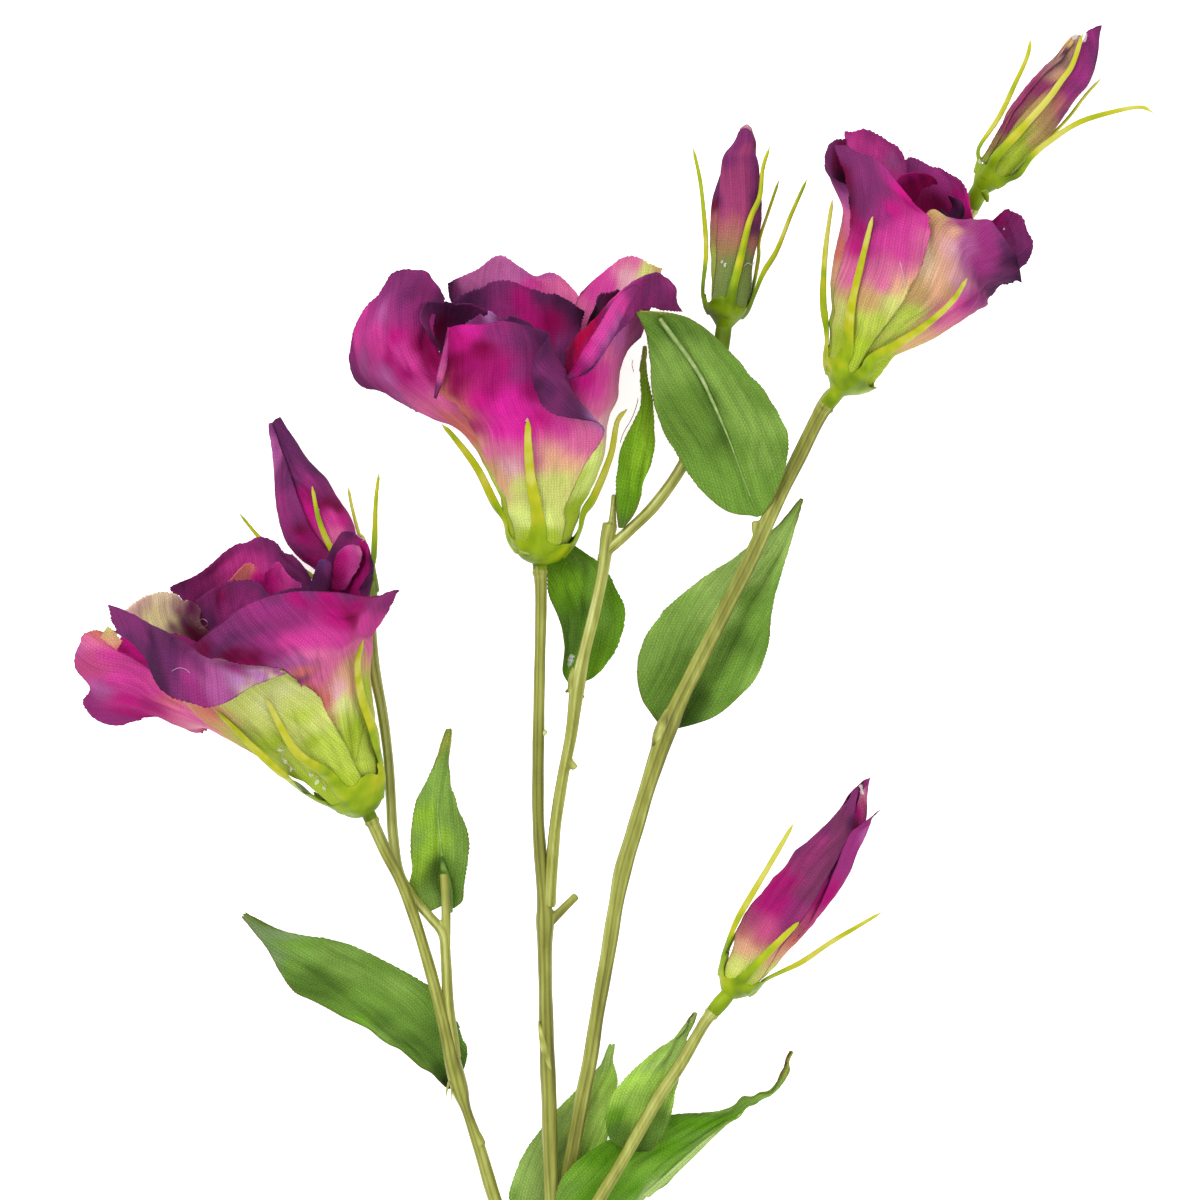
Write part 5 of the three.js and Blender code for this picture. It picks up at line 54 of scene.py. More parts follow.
PETAL = {
    'flower_centre_petal_front':
         [[(-24.9, 93.9, 25.95), (-23.9, 93.8, 26.95), (-22.7, 93.75, 27.7), (-21.3, 93.8, 28.15), (-19.9, 93.9, 28.25), (-18.5, 94.05, 28.05), (-17.2, 94.3, 27.55), (-16.05, 94.6, 26.7)],
          [(-26.6, 99.9, 28.7), (-25.25, 99.7, 30.15), (-23.65, 99.6, 31.25), (-21.85, 99.6, 32.05), (-19.9, 99.7, 32.4), (-17.95, 99.95, 32.3), (-16.05, 100.25, 31.8), (-14.35, 100.6, 30.9)],
          [(-28.4, 103.45, 30.55), (-26.9, 103.2, 32.35), (-25, 103.05, 33.8), (-22.9, 103.05, 34.85), (-20.6, 103.15, 35.4), (-18.2, 103.35, 35.5), (-15.9, 103.7, 35.1), (-13.75, 104.1, 34.25)],
          [(-32.45, 112.25, 34.15), (-30.1, 111.8, 37.15), (-27.05, 111.55, 39.45), (-23.6, 111.6, 40.95), (-19.85, 111.8, 41.6), (-16.05, 112.25, 41.35), (-12.5, 112.85, 40.15), (-9.35, 113.6, 38.15)],
          [(-37.85, 122.5, 39.35), (-33.25, 123.05, 44.4), (-27.5, 123.4, 47.9), (-20.85, 123.85, 49.35), (-13.95, 124.05, 49.75), (-8.3, 123.85, 49.55), (-5.85, 123.1, 49.85), (-4.4, 122.55, 50.7)],
          [(-45.85, 129.95, 44.75), (-40.25, 129.95, 49.65), (-32.8, 130.55, 52.65), (-24.95, 131, 54.1), (-18.1, 131, 54.45), (-11.75, 130.25, 54.65), (-13.9, 127.65, 57.65), (-17.55, 126.2, 57.9)],
          [(-44.35, 137.25, 51.4), (-39.1, 137.55, 55.4), (-32.2, 137.9, 57.85), (-25.35, 138.05, 59.25), (-19.25, 138.05, 59.65), (-14.6, 136.35, 59.65), (-17.75, 133.5, 63.1), (-21.15, 131.35, 62.2)],
          [(-42.9, 142.8, 57.7), (-37.95, 143.1, 60.2), (-32.1, 143.5, 61.7), (-26.25, 143.45, 62.55), (-20.9, 142.95, 62.85), (-16.8, 141.25, 62.85), (-19.15, 138.65, 66.35), (-21.85, 136.1, 64.8)],
          [(-42.5, 146.3, 63.6), (-38.6, 147.25, 64.25), (-33.45, 147.7, 65.25), (-28.85, 148.35, 65.8), (-23.3, 147.15, 65.9), (-17.7, 145.45, 65.85), (-18.9, 142.95, 67.85), (-20.85, 140.8, 66.9)]],
    'flower_centre_petal_left':
         [[(-24.8, 95.65, 18.3), (-25.65, 95.15, 20.1), (-25.85, 94.7, 22.05), (-25.35, 94.35, 23.85), (-24.3, 94.1, 25.3), (-22.9, 94.05, 26.35)],
          [(-26.35, 102.3, 18.15), (-27.55, 101.6, 20.6), (-27.8, 101, 23.25), (-27.25, 100.45, 25.8), (-25.95, 100.1, 28), (-24.05, 99.95, 29.65)],
          [(-28.1, 106.35, 17.85), (-29.45, 105.55, 20.8), (-29.8, 104.8, 23.95), (-29.2, 104.2, 27), (-27.75, 103.75, 29.65), (-25.6, 103.45, 31.8)],
          [(-32.05, 115.9, 18.15), (-33.6, 114.9, 21.9), (-34, 113.95, 25.85), (-33.3, 113.15, 29.7), (-31.6, 112.55, 33.2), (-29.05, 112.15, 36.05)],
          [(-37.05, 123.75, 18.9), (-38.55, 122.65, 23.15), (-38.85, 121.6, 27.55), (-38.1, 120.75, 31.8), (-36.25, 120.05, 35.7), (-33.6, 119.55, 38.95)],
          [(-47.4, 126.15, 15.65), (-51.45, 128.15, 22.25), (-52.35, 130.05, 30.75), (-50.1, 132.25, 37.25), (-45.95, 134.05, 41.6), (-40.9, 135.35, 44.85)],
          [(-57.1, 131.6, 19.1), (-60.6, 133.55, 25.65), (-60.1, 136.8, 35.5), (-56.8, 141.45, 42.05), (-51.8, 143.8, 43.95), (-44.95, 145.4, 42.15)],
          [(-65.1, 134.3, 25.95), (-65.1, 138.35, 34.95), (-63.2, 144.4, 42.35), (-58.6, 150.1, 45.55), (-52.75, 154.6, 44.95), (-45.55, 151.55, 38.5)],
          [(-67.8, 138.3, 30.95), (-67.9, 143.4, 38.15), (-65.15, 150.5, 43.75), (-60.1, 156.8, 45.1), (-53.35, 162.7, 42.2), (-43.8, 155.45, 32.2)]],
    'flower_centre_petal_right':
         [[(-17.5, 94.55, 26.4), (-16.3, 94.8, 25.65), (-15.4, 95.15, 24.6), (-14.75, 95.55, 23.25), (-14.55, 95.9, 21.7), (-14.8, 96.2, 20.15), (-15.5, 96.5, 18.65)],
          [(-16.2, 100.5, 30.6), (-14.15, 100.95, 29.5), (-12.45, 101.5, 27.85), (-11.4, 102.05, 25.7), (-11, 102.65, 23.25), (-11.4, 103.2, 20.7), (-12.6, 103.6, 18.35)],
          [(-15.95, 103.95, 33.8), (-13.1, 104.5, 32.6), (-10.75, 105.2, 30.5), (-9.15, 106, 27.8), (-8.45, 106.8, 24.6), (-8.85, 107.5, 21.3), (-10.3, 108.05, 18.15)],
          [(-12.85, 113.15, 38.8), (-9.5, 113.95, 36.7), (-6.85, 114.85, 33.7), (-5.2, 115.85, 30.05), (-4.7, 116.8, 25.95), (-5.4, 117.7, 21.8), (-7.3, 118.35, 17.95)],
          [(-12.55, 120.85, 42.6), (-8.8, 121.75, 40.1), (-5.85, 122.85, 36.6), (-3.95, 124, 32.4), (-3.3, 125.1, 27.7), (-4, 126.1, 22.9), (-6, 126.95, 18.35)],
          [(-13.7, 131.65, 50.45), (-9.8, 131.65, 50.85), (-6.35, 131.75, 48.3), (-3.4, 132.25, 43.25), (-1.15, 132.35, 35.15), (-0.6, 131.8, 25.95), (-2.85, 130.7, 16.65)],
          [(-14.4, 136.85, 54.7), (-10.75, 137.75, 56.3), (-6.85, 139, 55), (-3.15, 140.75, 50.25), (0.05, 142.7, 41.5), (2.4, 144.05, 30.65), (1.2, 142.15, 20.1)],
          [(-13.65, 141.15, 56.15), (-10.75, 145.4, 58.6), (-6.85, 149.55, 58.95), (-2.45, 153.65, 55.2), (2.5, 157.9, 46.95), (7.55, 161, 38.4), (10.65, 159.8, 26.85)],
          [(-13.65, 137.4, 58.35), (-9.5, 140.6, 61.5), (-5.35, 144.95, 61.9), (-1.45, 150.15, 56.95), (3.5, 155, 46.25), (9.5, 158.75, 38.35), (13.15, 157.15, 29.25)],
          [(-13.15, 134.45, 58.65), (-8.3, 135.25, 62.25), (-3.9, 139.35, 62.1), (-0.25, 146, 56.45), (4.5, 151.6, 45.45), (10.55, 152.2, 35.8), (15.35, 152.25, 31.15)]],
    'flower_centre_petal_back_left':
         [[(-24.85, 95.15, 20.5), (-24.35, 95.5, 19.1), (-23.35, 95.85, 17.95), (-22.05, 96.2, 17.05), (-20.45, 96.45, 16.55), (-18.65, 96.65, 16.6)],
          [(-26.6, 101.65, 20.9), (-25.7, 102.2, 18.85), (-24.2, 102.75, 17.15), (-22.15, 103.2, 15.9), (-19.75, 103.6, 15.25), (-17.2, 103.8, 15.35)],
          [(-28.4, 105.6, 21), (-27.2, 106.35, 18.4), (-25.25, 107, 16.2), (-22.6, 107.6, 14.65), (-19.55, 108.1, 13.9), (-16.35, 108.35, 14.1)],
          [(-32.35, 115.05, 21.6), (-30.6, 116.05, 18.05), (-27.8, 117, 15.05), (-24.15, 117.8, 13), (-19.95, 118.45, 12.05), (-15.55, 118.8, 12.35)],
          [(-37.1, 122.85, 22.85), (-35.05, 124.05, 18.3), (-31.65, 125.25, 14.55), (-27.15, 126.3, 11.9), (-21.9, 127.1, 10.7), (-16.4, 127.55, 11.05)],
          [(-42.5, 130.55, 24.45), (-40.25, 132, 19), (-36.35, 133.45, 14.45), (-31.05, 134.65, 11.25), (-24.9, 135.6, 9.75), (-18.4, 136.15, 10.2)],
          [(-42.7, 143.2, 19.3), (-39.9, 145.4, 11.6), (-34.95, 147.45, 6.9), (-28.9, 148.9, 4.05), (-21.75, 148.95, 2.9), (-14.05, 148.1, 4.55)],
          [(-43.75, 154.8, 18.85), (-39.4, 157.85, 11.3), (-33.45, 161.05, 5.8), (-26.35, 161.25, 2.65), (-18.7, 160, 2.2), (-10.5, 155.8, 4.15)],
          [(-44.25, 160.6, 19.15), (-38.45, 164.25, 10.7), (-30.95, 169.05, 4.45), (-23.85, 165.5, 0.95), (-16.65, 164.7, 1.15), (-10.25, 158.95, 2.8)]],
    'flower_centre_petal_back_right':
         [[(-20.5, 96.25, 17.45), (-19.35, 96.35, 17.55), (-18.2, 96.4, 17.9), (-17.2, 96.35, 18.5), (-16.35, 96.25, 19.35), (-15.75, 96.1, 20.3)],
          [(-19.9, 103.35, 16.2), (-18.05, 103.5, 16.35), (-16.35, 103.55, 16.9), (-14.75, 103.5, 17.85), (-13.5, 103.35, 19.15), (-12.5, 103.1, 20.65)],
          [(-19.75, 107.85, 14.95), (-17.4, 108, 15.15), (-15.2, 108.1, 15.85), (-13.2, 108, 17.05), (-11.5, 107.8, 18.7), (-10.25, 107.5, 20.65)],
          [(-20.2, 118.15, 13.15), (-16.9, 118.45, 13.4), (-13.8, 118.5, 14.45), (-11, 118.4, 16.15), (-8.65, 118.15, 18.45), (-6.9, 117.7, 21.2)],
          [(-22.1, 126.8, 11.85), (-18.1, 127.15, 12.2), (-14.25, 127.2, 13.45), (-10.8, 127.1, 15.6), (-7.95, 126.75, 18.4), (-5.9, 126.2, 21.8)],
          [(-25.65, 135.25, 10.95), (-20.7, 135.7, 11.3), (-16, 135.8, 12.85), (-11.8, 135.65, 15.45), (-8.4, 135.15, 18.95), (-5.95, 134.45, 23.2)],
          [(-16.6, 148.05, 5.6), (-12, 147.4, 7.4), (-7.4, 146.75, 10.2), (-3.85, 145.5, 13.9), (-1.35, 144.25, 18.6), (-0.35, 142.95, 23.35)],
          [(-12.55, 155.85, 3.15), (-8.45, 158.3, 4.65), (-4.1, 159.6, 7.85), (0.2, 159.35, 11.8), (4.25, 157.95, 17.45), (6.7, 155, 23.85)],
          [(-10.5, 159.15, 3.85), (-5.9, 163.65, 4.75), (-1.3, 167.3, 7.45), (3.25, 168.5, 11.7), (7.5, 166.55, 17.25), (11, 165.1, 22.95)]],
    'flower_centre_petal_inner_back':
         [[(-22.15, 95.7, 19.15), (-21.4, 95.85, 18.8), (-20.6, 96, 18.65), (-19.75, 96.05, 18.7), (-18.95, 96.1, 18.9), (-18.2, 96.1, 19.25)],
          [(-22.75, 102.6, 18.35), (-21.45, 102.85, 17.75), (-20.05, 103.05, 17.5), (-18.65, 103.2, 17.55), (-17.3, 103.25, 17.9), (-16, 103.2, 18.55)],
          [(-23.8, 106.85, 17.6), (-22, 107.2, 16.75), (-20.05, 107.5, 16.35), (-18.1, 107.65, 16.45), (-16.15, 107.75, 16.95), (-14.4, 107.7, 17.9)],
          [(-26.35, 116.7, 16.95), (-23.75, 117.25, 15.65), (-20.9, 117.7, 15), (-18, 117.95, 15.05), (-15.15, 118.1, 15.8), (-12.55, 118, 17.15)],
          [(-30, 124.9, 16.9), (-26.7, 125.6, 15.15), (-23.1, 126.15, 14.25), (-19.3, 126.55, 14.3), (-15.65, 126.65, 15.35), (-12.4, 126.55, 17.2)],
          [(-38.1, 136, 21.65), (-35.2, 137.75, 17.4), (-30.7, 138.85, 15.05), (-25.15, 139.15, 14.45), (-19.3, 138.6, 15.25), (-13.95, 136.65, 19.25)],
          [(-41.6, 147.3, 22.2), (-37.25, 149.4, 16.5), (-31.75, 151.4, 13.25), (-24.65, 151.7, 12.15), (-17.55, 150.15, 12.7), (-10.4, 146.7, 19.35)],
          [(-43.05, 156, 24.2), (-37.25, 159.5, 16.7), (-30.75, 162.35, 12.1), (-23.15, 160.95, 10.6), (-15.55, 158.35, 11.9), (-8.9, 153.55, 18.8)]],
    'flower_centre_petal_inner_left':
         [[(-23.4, 94.5, 23.95), (-23.75, 94.65, 23.1), (-23.85, 94.85, 22.15), (-23.7, 95.1, 21.25), (-23.3, 95.35, 20.4), (-22.7, 95.55, 19.65)],
          [(-24.8, 100.5, 26.75), (-25.45, 100.8, 25.25), (-25.7, 101.15, 23.6), (-25.45, 101.5, 21.95), (-24.8, 101.95, 20.45), (-23.7, 102.3, 19.2)],
          [(-26, 104.1, 28.85), (-27, 104.45, 26.8), (-27.4, 104.9, 24.6), (-27.15, 105.45, 22.35), (-26.3, 106, 20.3), (-24.85, 106.5, 18.55)],
          [(-28.9, 112.85, 33.05), (-30.5, 113.3, 30.2), (-31.25, 114, 26.95), (-31, 114.75, 23.65), (-29.8, 115.55, 20.5), (-27.75, 116.35, 17.85)],
          [(-35.1, 129.65, 39.9), (-37.75, 131.15, 34.7), (-38.85, 132.35, 29.95), (-39, 133.3, 25.1), (-37.85, 134, 21.2), (-35.65, 134.4, 18.7)],
          [(-40.85, 139.25, 46.25), (-43.65, 140.9, 43.1), (-44.8, 142.65, 38.5), (-44.25, 144.7, 32.85), (-41.95, 146.2, 28.05), (-38.05, 146.4, 24.5)],
          [(-44.4, 141.95, 50.5), (-47.65, 145.7, 49.4), (-49.95, 151.5, 47.2), (-47.35, 155.2, 43.4), (-40.2, 155.2, 36.15), (-31.15, 151.9, 29.1)]],
    'flower_centre_petal_inner_front':
         [[(-22.7, 94.4, 24.85), (-21.85, 94.35, 25.4), (-20.95, 94.35, 25.75), (-19.95, 94.45, 25.85), (-19, 94.55, 25.65), (-18.15, 94.75, 25.25)],
          [(-23.7, 100.3, 28.1), (-22.3, 100.25, 29.1), (-20.7, 100.25, 29.7), (-19, 100.4, 29.8), (-17.35, 100.6, 29.5), (-15.85, 100.95, 28.8)],
          [(-24.6, 103.8, 30.65), (-22.75, 103.75, 31.85), (-20.7, 103.8, 32.55), (-18.5, 103.95, 32.7), (-16.35, 104.25, 32.3), (-14.4, 104.65, 31.35)],
          [(-26.85, 112.45, 35.65), (-24.15, 112.35, 37.3), (-21.15, 112.45, 38.2), (-18, 112.75, 38.3), (-14.95, 113.2, 37.6), (-12.2, 113.8, 36.15)],
          [(-33.05, 127.1, 41.8), (-30.05, 127.5, 44.35), (-26.55, 127.9, 45.85), (-22.6, 127.9, 46.25), (-18.95, 127.45, 45.55), (-16.25, 126.55, 43.3)],
          [(-36.35, 139.15, 47.65), (-32.85, 139.5, 50.65), (-28.9, 139.9, 52.7), (-24.45, 139.85, 53.1), (-20.1, 139.2, 51.8), (-16.7, 138.1, 48.95)],
          [(-39.25, 148.85, 49.9), (-36.2, 150.35, 53.25), (-33.2, 151.85, 56.55), (-29.75, 149.6, 57.45), (-26.1, 150.35, 57.55), (-22, 148.35, 54.45)]],
    'flower_centre_petal_inner_right':
         [[(-17.3, 95, 24.5), (-16.85, 95.2, 23.7), (-16.65, 95.45, 22.8), (-16.65, 95.65, 21.9), (-16.85, 95.8, 21), (-17.35, 95.95, 20.2)],
          [(-14.45, 101.35, 27.5), (-13.65, 101.75, 26.15), (-13.25, 102.15, 24.6), (-13.25, 102.5, 23.05), (-13.7, 102.8, 21.5), (-14.5, 103, 20.15)],
          [(-12.55, 105.25, 29.6), (-11.45, 105.75, 27.75), (-10.95, 106.3, 25.65), (-11, 106.75, 23.5), (-11.6, 107.2, 21.45), (-12.75, 107.5, 19.6)],
          [(-9.65, 114.6, 33.55), (-8.2, 115.35, 30.85), (-7.55, 116.1, 27.85), (-7.75, 116.8, 24.75), (-8.75, 117.35, 21.8), (-10.45, 117.75, 19.2)],
          [(-15.25, 127.65, 41), (-12.35, 128.55, 36.6), (-10.6, 129.55, 31.2), (-10.4, 130.3, 25.8), (-11.65, 131, 21.45), (-13.95, 131.6, 18.6)],
          [(-12.3, 139.3, 45.1), (-9.35, 141.45, 41.45), (-7.35, 143.25, 35.75), (-6.85, 144.65, 28.95), (-7.9, 145.95, 24.2), (-10.4, 146.65, 20.85)],
          [(-7.85, 151.8, 42.75), (-6.85, 154.25, 39.2), (-5.35, 156.85, 33.7), (-2.85, 157.95, 28.8), (-0.6, 158.95, 24.9), (0.7, 157, 20.4)]],
    'flower_left_petal_front_left':
         [[(-70.6, 28.35, 25.35), (-69.75, 28.55, 26.55), (-68.7, 28.9, 27.5), (-67.5, 29.45, 28.2), (-66.25, 30.15, 28.5), (-65, 30.95, 28.5), (-63.85, 31.8, 28.15)],
          [(-74.5, 32, 27.9), (-73.35, 32.2, 29.55), (-71.9, 32.7, 30.9), (-70.25, 33.45, 31.85), (-68.5, 34.4, 32.35), (-66.75, 35.5, 32.4), (-65.15, 36.7, 31.95)],
          [(-82, 36.3, 32.15), (-80.2, 36.65, 34.7), (-77.95, 37.4, 36.75), (-75.45, 38.55, 38.25), (-72.8, 39.95, 39.1), (-70.1, 41.65, 39.25), (-67.6, 43.4, 38.65)],
          [(-89.9, 41.5, 36.85), (-87.5, 41.95, 40.1), (-84.6, 42.95, 42.8), (-81.35, 44.4, 44.8), (-77.9, 46.25, 45.95), (-74.4, 48.4, 46.2), (-71.15, 50.7, 45.55)],
          [(-97.1, 46.3, 41.8), (-94.15, 46.9, 45.8), (-90.6, 48.1, 49.1), (-86.6, 49.85, 51.6), (-82.35, 52.1, 53.1), (-78.1, 54.65, 53.6), (-74, 57.5, 53)],
          [(-109.75, 57.45, 47.3), (-104.7, 58.6, 53.85), (-99.45, 60.1, 57.95), (-93.9, 61.65, 60.45), (-88.5, 62.6, 61.35), (-83.65, 63.1, 61.2), (-80.1, 61.85, 59.85)],
          [(-125.05, 78.4, 51.5), (-117.4, 75.95, 58.85), (-110.65, 73.3, 63.3), (-104.65, 68, 65.15), (-98.55, 65.85, 65.7), (-91.3, 64.65, 65.8), (-81.95, 63.85, 64.15)],
          [(-125.2, 75.95, 54.5), (-116.8, 71.85, 62.4), (-111.15, 66.85, 67.9), (-104.2, 61.3, 70.05), (-96.95, 60.1, 70.15), (-89.6, 62, 68.95), (-81.4, 63.4, 65.45)],
          [(-124.25, 73, 54.15), (-116.65, 67.25, 61.75), (-112.55, 59.55, 66.4), (-104.3, 54.8, 69.05), (-96.6, 55.25, 68.95), (-88.45, 59.85, 68.25), (-80.9, 62.9, 65.25)]],
    'flower_left_petal_front_right':
         [[(-65, 31.3, 27.4), (-63.9, 32.1, 27.1), (-62.95, 32.9, 26.45), (-62.25, 33.7, 25.45), (-61.8, 34.4, 24.15), (-61.7, 34.9, 22.65), (-62.05, 35.25, 21.1)],
          [(-66.65, 36, 31.15), (-65, 37.15, 30.75), (-63.6, 38.4, 29.8), (-62.55, 39.55, 28.3), (-61.9, 40.55, 26.45), (-61.8, 41.3, 24.35), (-62.2, 41.75, 22.1)],
          [(-69.75, 42.3, 37.9), (-67.1, 44.2, 37.25), (-64.8, 46.2, 35.65), (-63.05, 48.05, 33.3), (-62.05, 49.65, 30.35), (-61.85, 50.9, 27), (-62.5, 51.6, 23.45)],
          [(-73.95, 49.15, 44.8), (-70.25, 51.8, 43.9), (-67.05, 54.5, 41.85), (-64.6, 57.1, 38.75), (-63.15, 59.3, 34.75), (-62.75, 61, 30.2), (-63.55, 62.05, 25.45)],
          [(-77.25, 55.7, 52.1), (-72.45, 59.05, 51.15), (-68.25, 62.55, 48.7), (-65, 65.85, 44.9), (-62.85, 68.8, 40), (-62.1, 71.1, 34.3), (-62.8, 72.6, 28.3)],
          [(-81.25, 63.15, 63.85), (-78.25, 65.35, 65.4), (-74.6, 67.3, 65.8), (-70.6, 68.95, 64.05), (-66.75, 70.35, 58.75), (-63.6, 71.75, 49.55), (-61.55, 72.65, 36.35)],
          [(-91.95, 64.7, 69.95), (-86.75, 68.55, 71.55), (-80.65, 71.7, 72.35), (-74.25, 73.85, 70.8), (-68.1, 75.5, 65.2), (-62.8, 76.95, 55.15), (-58.65, 77.4, 40)],
          [(-100.35, 66.9, 72.8), (-94.6, 71.25, 75.45), (-86.8, 76.05, 77.35), (-77.8, 79.4, 75.7), (-69.05, 80.1, 69.45), (-61.85, 80.1, 59.25), (-55.95, 80.35, 44.3)],
          [(-103.5, 69.55, 72.4), (-97.45, 74.6, 75.7), (-89.15, 80.1, 77.7), (-79.2, 83, 76.3), (-68.55, 82.55, 69.95), (-59.85, 81.8, 60.35), (-53.85, 83.3, 47.65)]],
    'flower_left_petal_left':
         [[(-70.95, 30.1, 19.35), (-71.2, 29.6, 20.4), (-71.25, 29.2, 21.5), (-71.1, 28.95, 22.6), (-70.75, 28.8, 23.65), (-70.25, 28.8, 24.6), (-69.65, 28.95, 25.4), (-68.95, 29.2, 26.05)],
          [(-75, 34.45, 19.35), (-75.4, 33.7, 20.8), (-75.55, 33.1, 22.35), (-75.35, 32.7, 23.95), (-74.95, 32.5, 25.5), (-74.25, 32.5, 26.9), (-73.35, 32.65, 28.15), (-72.35, 33, 29.15)],
          [(-82.9, 39.95, 19.05), (-83.55, 38.8, 21.3), (-83.75, 37.9, 23.75), (-83.5, 37.25, 26.2), (-82.85, 36.9, 28.55), (-81.85, 36.85, 30.8), (-80.5, 37.05, 32.8), (-78.85, 37.55, 34.5)],
          [(-91.5, 46.05, 19.45), (-92.3, 44.6, 22.45), (-92.5, 43.4, 25.65), (-92.2, 42.6, 28.9), (-91.3, 42.1, 32.05), (-89.95, 42.05, 35.05), (-88.15, 42.3, 37.75), (-86, 42.95, 40.05)],
          [(-99.65, 51.8, 19.6), (-100.55, 50, 23.35), (-100.8, 48.6, 27.3), (-100.35, 47.6, 31.3), (-99.3, 47, 35.2), (-97.65, 46.85, 38.9), (-95.5, 47.15, 42.3), (-92.95, 47.85, 45.25)],
          [(-106.35, 46.5, 19.1), (-107.85, 47.7, 24.6), (-108.6, 49.1, 30.1), (-108.1, 50.5, 35.35), (-107, 51.85, 39.55), (-105.25, 52.9, 42.55), (-103.35, 53.45, 44.4), (-101.25, 53.75, 45.65)],
          [(-114.5, 50.95, 23.35), (-117.3, 51.8, 28), (-118.75, 53.7, 33.7), (-119.05, 55.55, 38.2), (-118.9, 57.6, 41.65), (-118.25, 59.1, 43.45), (-116.9, 60.35, 44.55), (-115.15, 60.85, 44.9)],
          [(-120.85, 50.45, 25.2), (-125.1, 51.6, 30.15), (-128.2, 54.5, 35.8), (-127.55, 58.1, 42.1), (-129.45, 61.8, 42.75), (-129.3, 65.3, 44.05), (-127.95, 68, 44.95), (-125.8, 69.25, 44.4)],
          [(-125.35, 48.7, 25.45), (-130.55, 49.6, 30.5), (-134.4, 54.25, 36.2), (-132.1, 58.7, 40.9), (-135.25, 64.5, 41.75), (-134.85, 70.45, 43.05), (-130.95, 73.45, 42.6), (-126.65, 71.95, 41.1)]],
    'flower_left_petal_back':
         [[(-69, 31.95, 17.5), (-67.9, 32.7, 17.2), (-66.75, 33.45, 17.2), (-65.6, 34.1, 17.5), (-64.45, 34.65, 18.1), (-63.45, 35, 18.95), (-62.6, 35.2, 20)],
          [(-72.2, 37.05, 16.7), (-70.7, 38.2, 16.3), (-69.05, 39.25, 16.3), (-67.4, 40.15, 16.7), (-65.8, 40.9, 17.55), (-64.35, 41.45, 18.75), (-63.15, 41.75, 20.3)],
          [(-78.4, 44.3, 14.55), (-76.05, 46, 13.9), (-73.5, 47.65, 13.9), (-70.95, 49.05, 14.5), (-68.5, 50.25, 15.75), (-66.3, 51.1, 17.55), (-64.4, 51.55, 19.8)],
          [(-85.15, 52.25, 12.9), (-82.1, 54.5, 12), (-78.8, 56.65, 11.95), (-75.45, 58.55, 12.7), (-72.2, 60.1, 14.25), (-69.2, 61.25, 16.55), (-66.65, 62, 19.45)],
          [(-91.2, 60.15, 10.55), (-87.45, 62.9, 9.4), (-83.4, 65.55, 9.25), (-79.3, 67.9, 10.05), (-75.3, 69.95, 11.8), (-71.55, 71.5, 14.4), (-68.25, 72.55, 17.7)],
          [(-100.2, 66.85, 6.6), (-95.7, 70.15, 5.35), (-90.9, 73.25, 5.15), (-86.05, 76.1, 6.05), (-81.3, 78.5, 7.9), (-76.85, 80.45, 10.7), (-72.85, 81.85, 14.3)],
          [(-108.1, 71.95, 10.9), (-103.3, 76, 7.05), (-97.85, 79.85, 5.1), (-92.15, 81.6, 6.65), (-86.8, 82.15, 9.5), (-81.95, 81.6, 13.7), (-78.1, 80.6, 18.45)],
          [(-112.65, 80.6, 16.6), (-106.55, 84.4, 10.95), (-100.2, 88.75, 7.95), (-93, 90.8, 8.85), (-86.15, 89.25, 12), (-80.8, 85.65, 15.95), (-77, 82.6, 20.25)],
          [(-114.35, 83.65, 19.55), (-107.6, 87.45, 13.3), (-99.75, 94.1, 10.05), (-91.5, 96.85, 11.5), (-84.4, 93.25, 15.2), (-80.1, 89.2, 18.7), (-78.4, 85.15, 21.55)]],
    'flower_left_petal_right':
         [[(-62.55, 34.45, 22.4), (-62.7, 34.55, 21.9), (-62.9, 34.6, 21.4), (-63.15, 34.6, 20.9), (-63.4, 34.55, 20.45), (-63.75, 34.5, 20.05), (-64.1, 34.4, 19.65)],
          [(-62.65, 40.8, 24.1), (-62.85, 40.95, 23.2), (-63.15, 41.05, 22.35), (-63.55, 41.1, 21.5), (-64.05, 41.05, 20.7), (-64.6, 40.9, 20), (-65.2, 40.7, 19.35)],
          [(-62.8, 50.4, 26.55), (-63.15, 50.7, 24.95), (-63.65, 50.9, 23.4), (-64.35, 50.9, 21.85), (-65.2, 50.85, 20.45), (-66.25, 50.6, 19.15), (-67.35, 50.25, 18)],
          [(-63.8, 60.55, 29.6), (-64.2, 61, 27.3), (-64.9, 61.3, 25.05), (-65.85, 61.4, 22.85), (-67.1, 61.25, 20.8), (-68.55, 60.95, 18.95), (-70.15, 60.45, 17.3)],
          [(-63.2, 70.65, 33.55), (-63.6, 71.45, 30.4), (-64.35, 71.95, 27.3), (-65.55, 72.15, 24.3), (-67.1, 72.1, 21.45), (-68.95, 71.75, 18.8), (-71.15, 71.1, 16.45)],
          [(-63.85, 72.1, 30.55), (-65.7, 73.55, 24.1), (-67.95, 75.05, 19.75), (-70.35, 76.3, 17.35), (-72.7, 77.05, 15.85), (-75, 77.55, 15.3), (-77.3, 77.8, 15.2)],
          [(-64.4, 79.1, 39.25), (-63.45, 81.1, 33.5), (-64.45, 83.1, 28.1), (-66.65, 84.35, 24.65), (-69.3, 84.65, 22.1), (-72.15, 83.9, 20.85), (-74.45, 82.6, 20.4)],
          [(-65.35, 82.6, 39.2), (-62.4, 87.05, 34.7), (-63.9, 90.1, 29.6), (-66.55, 91.9, 26.35), (-69.2, 92.4, 24.35), (-71.75, 90.65, 23.8), (-73.95, 86.15, 24.15)],
          [(-65.5, 82.6, 41.25), (-61.95, 88.05, 37.9), (-62.9, 93.05, 34.15), (-65.9, 97.6, 29.55), (-69.85, 98.15, 26.25), (-72.15, 95.15, 24.9), (-74.15, 91.4, 25.35)]],
    'flower_left_petal_back_left':
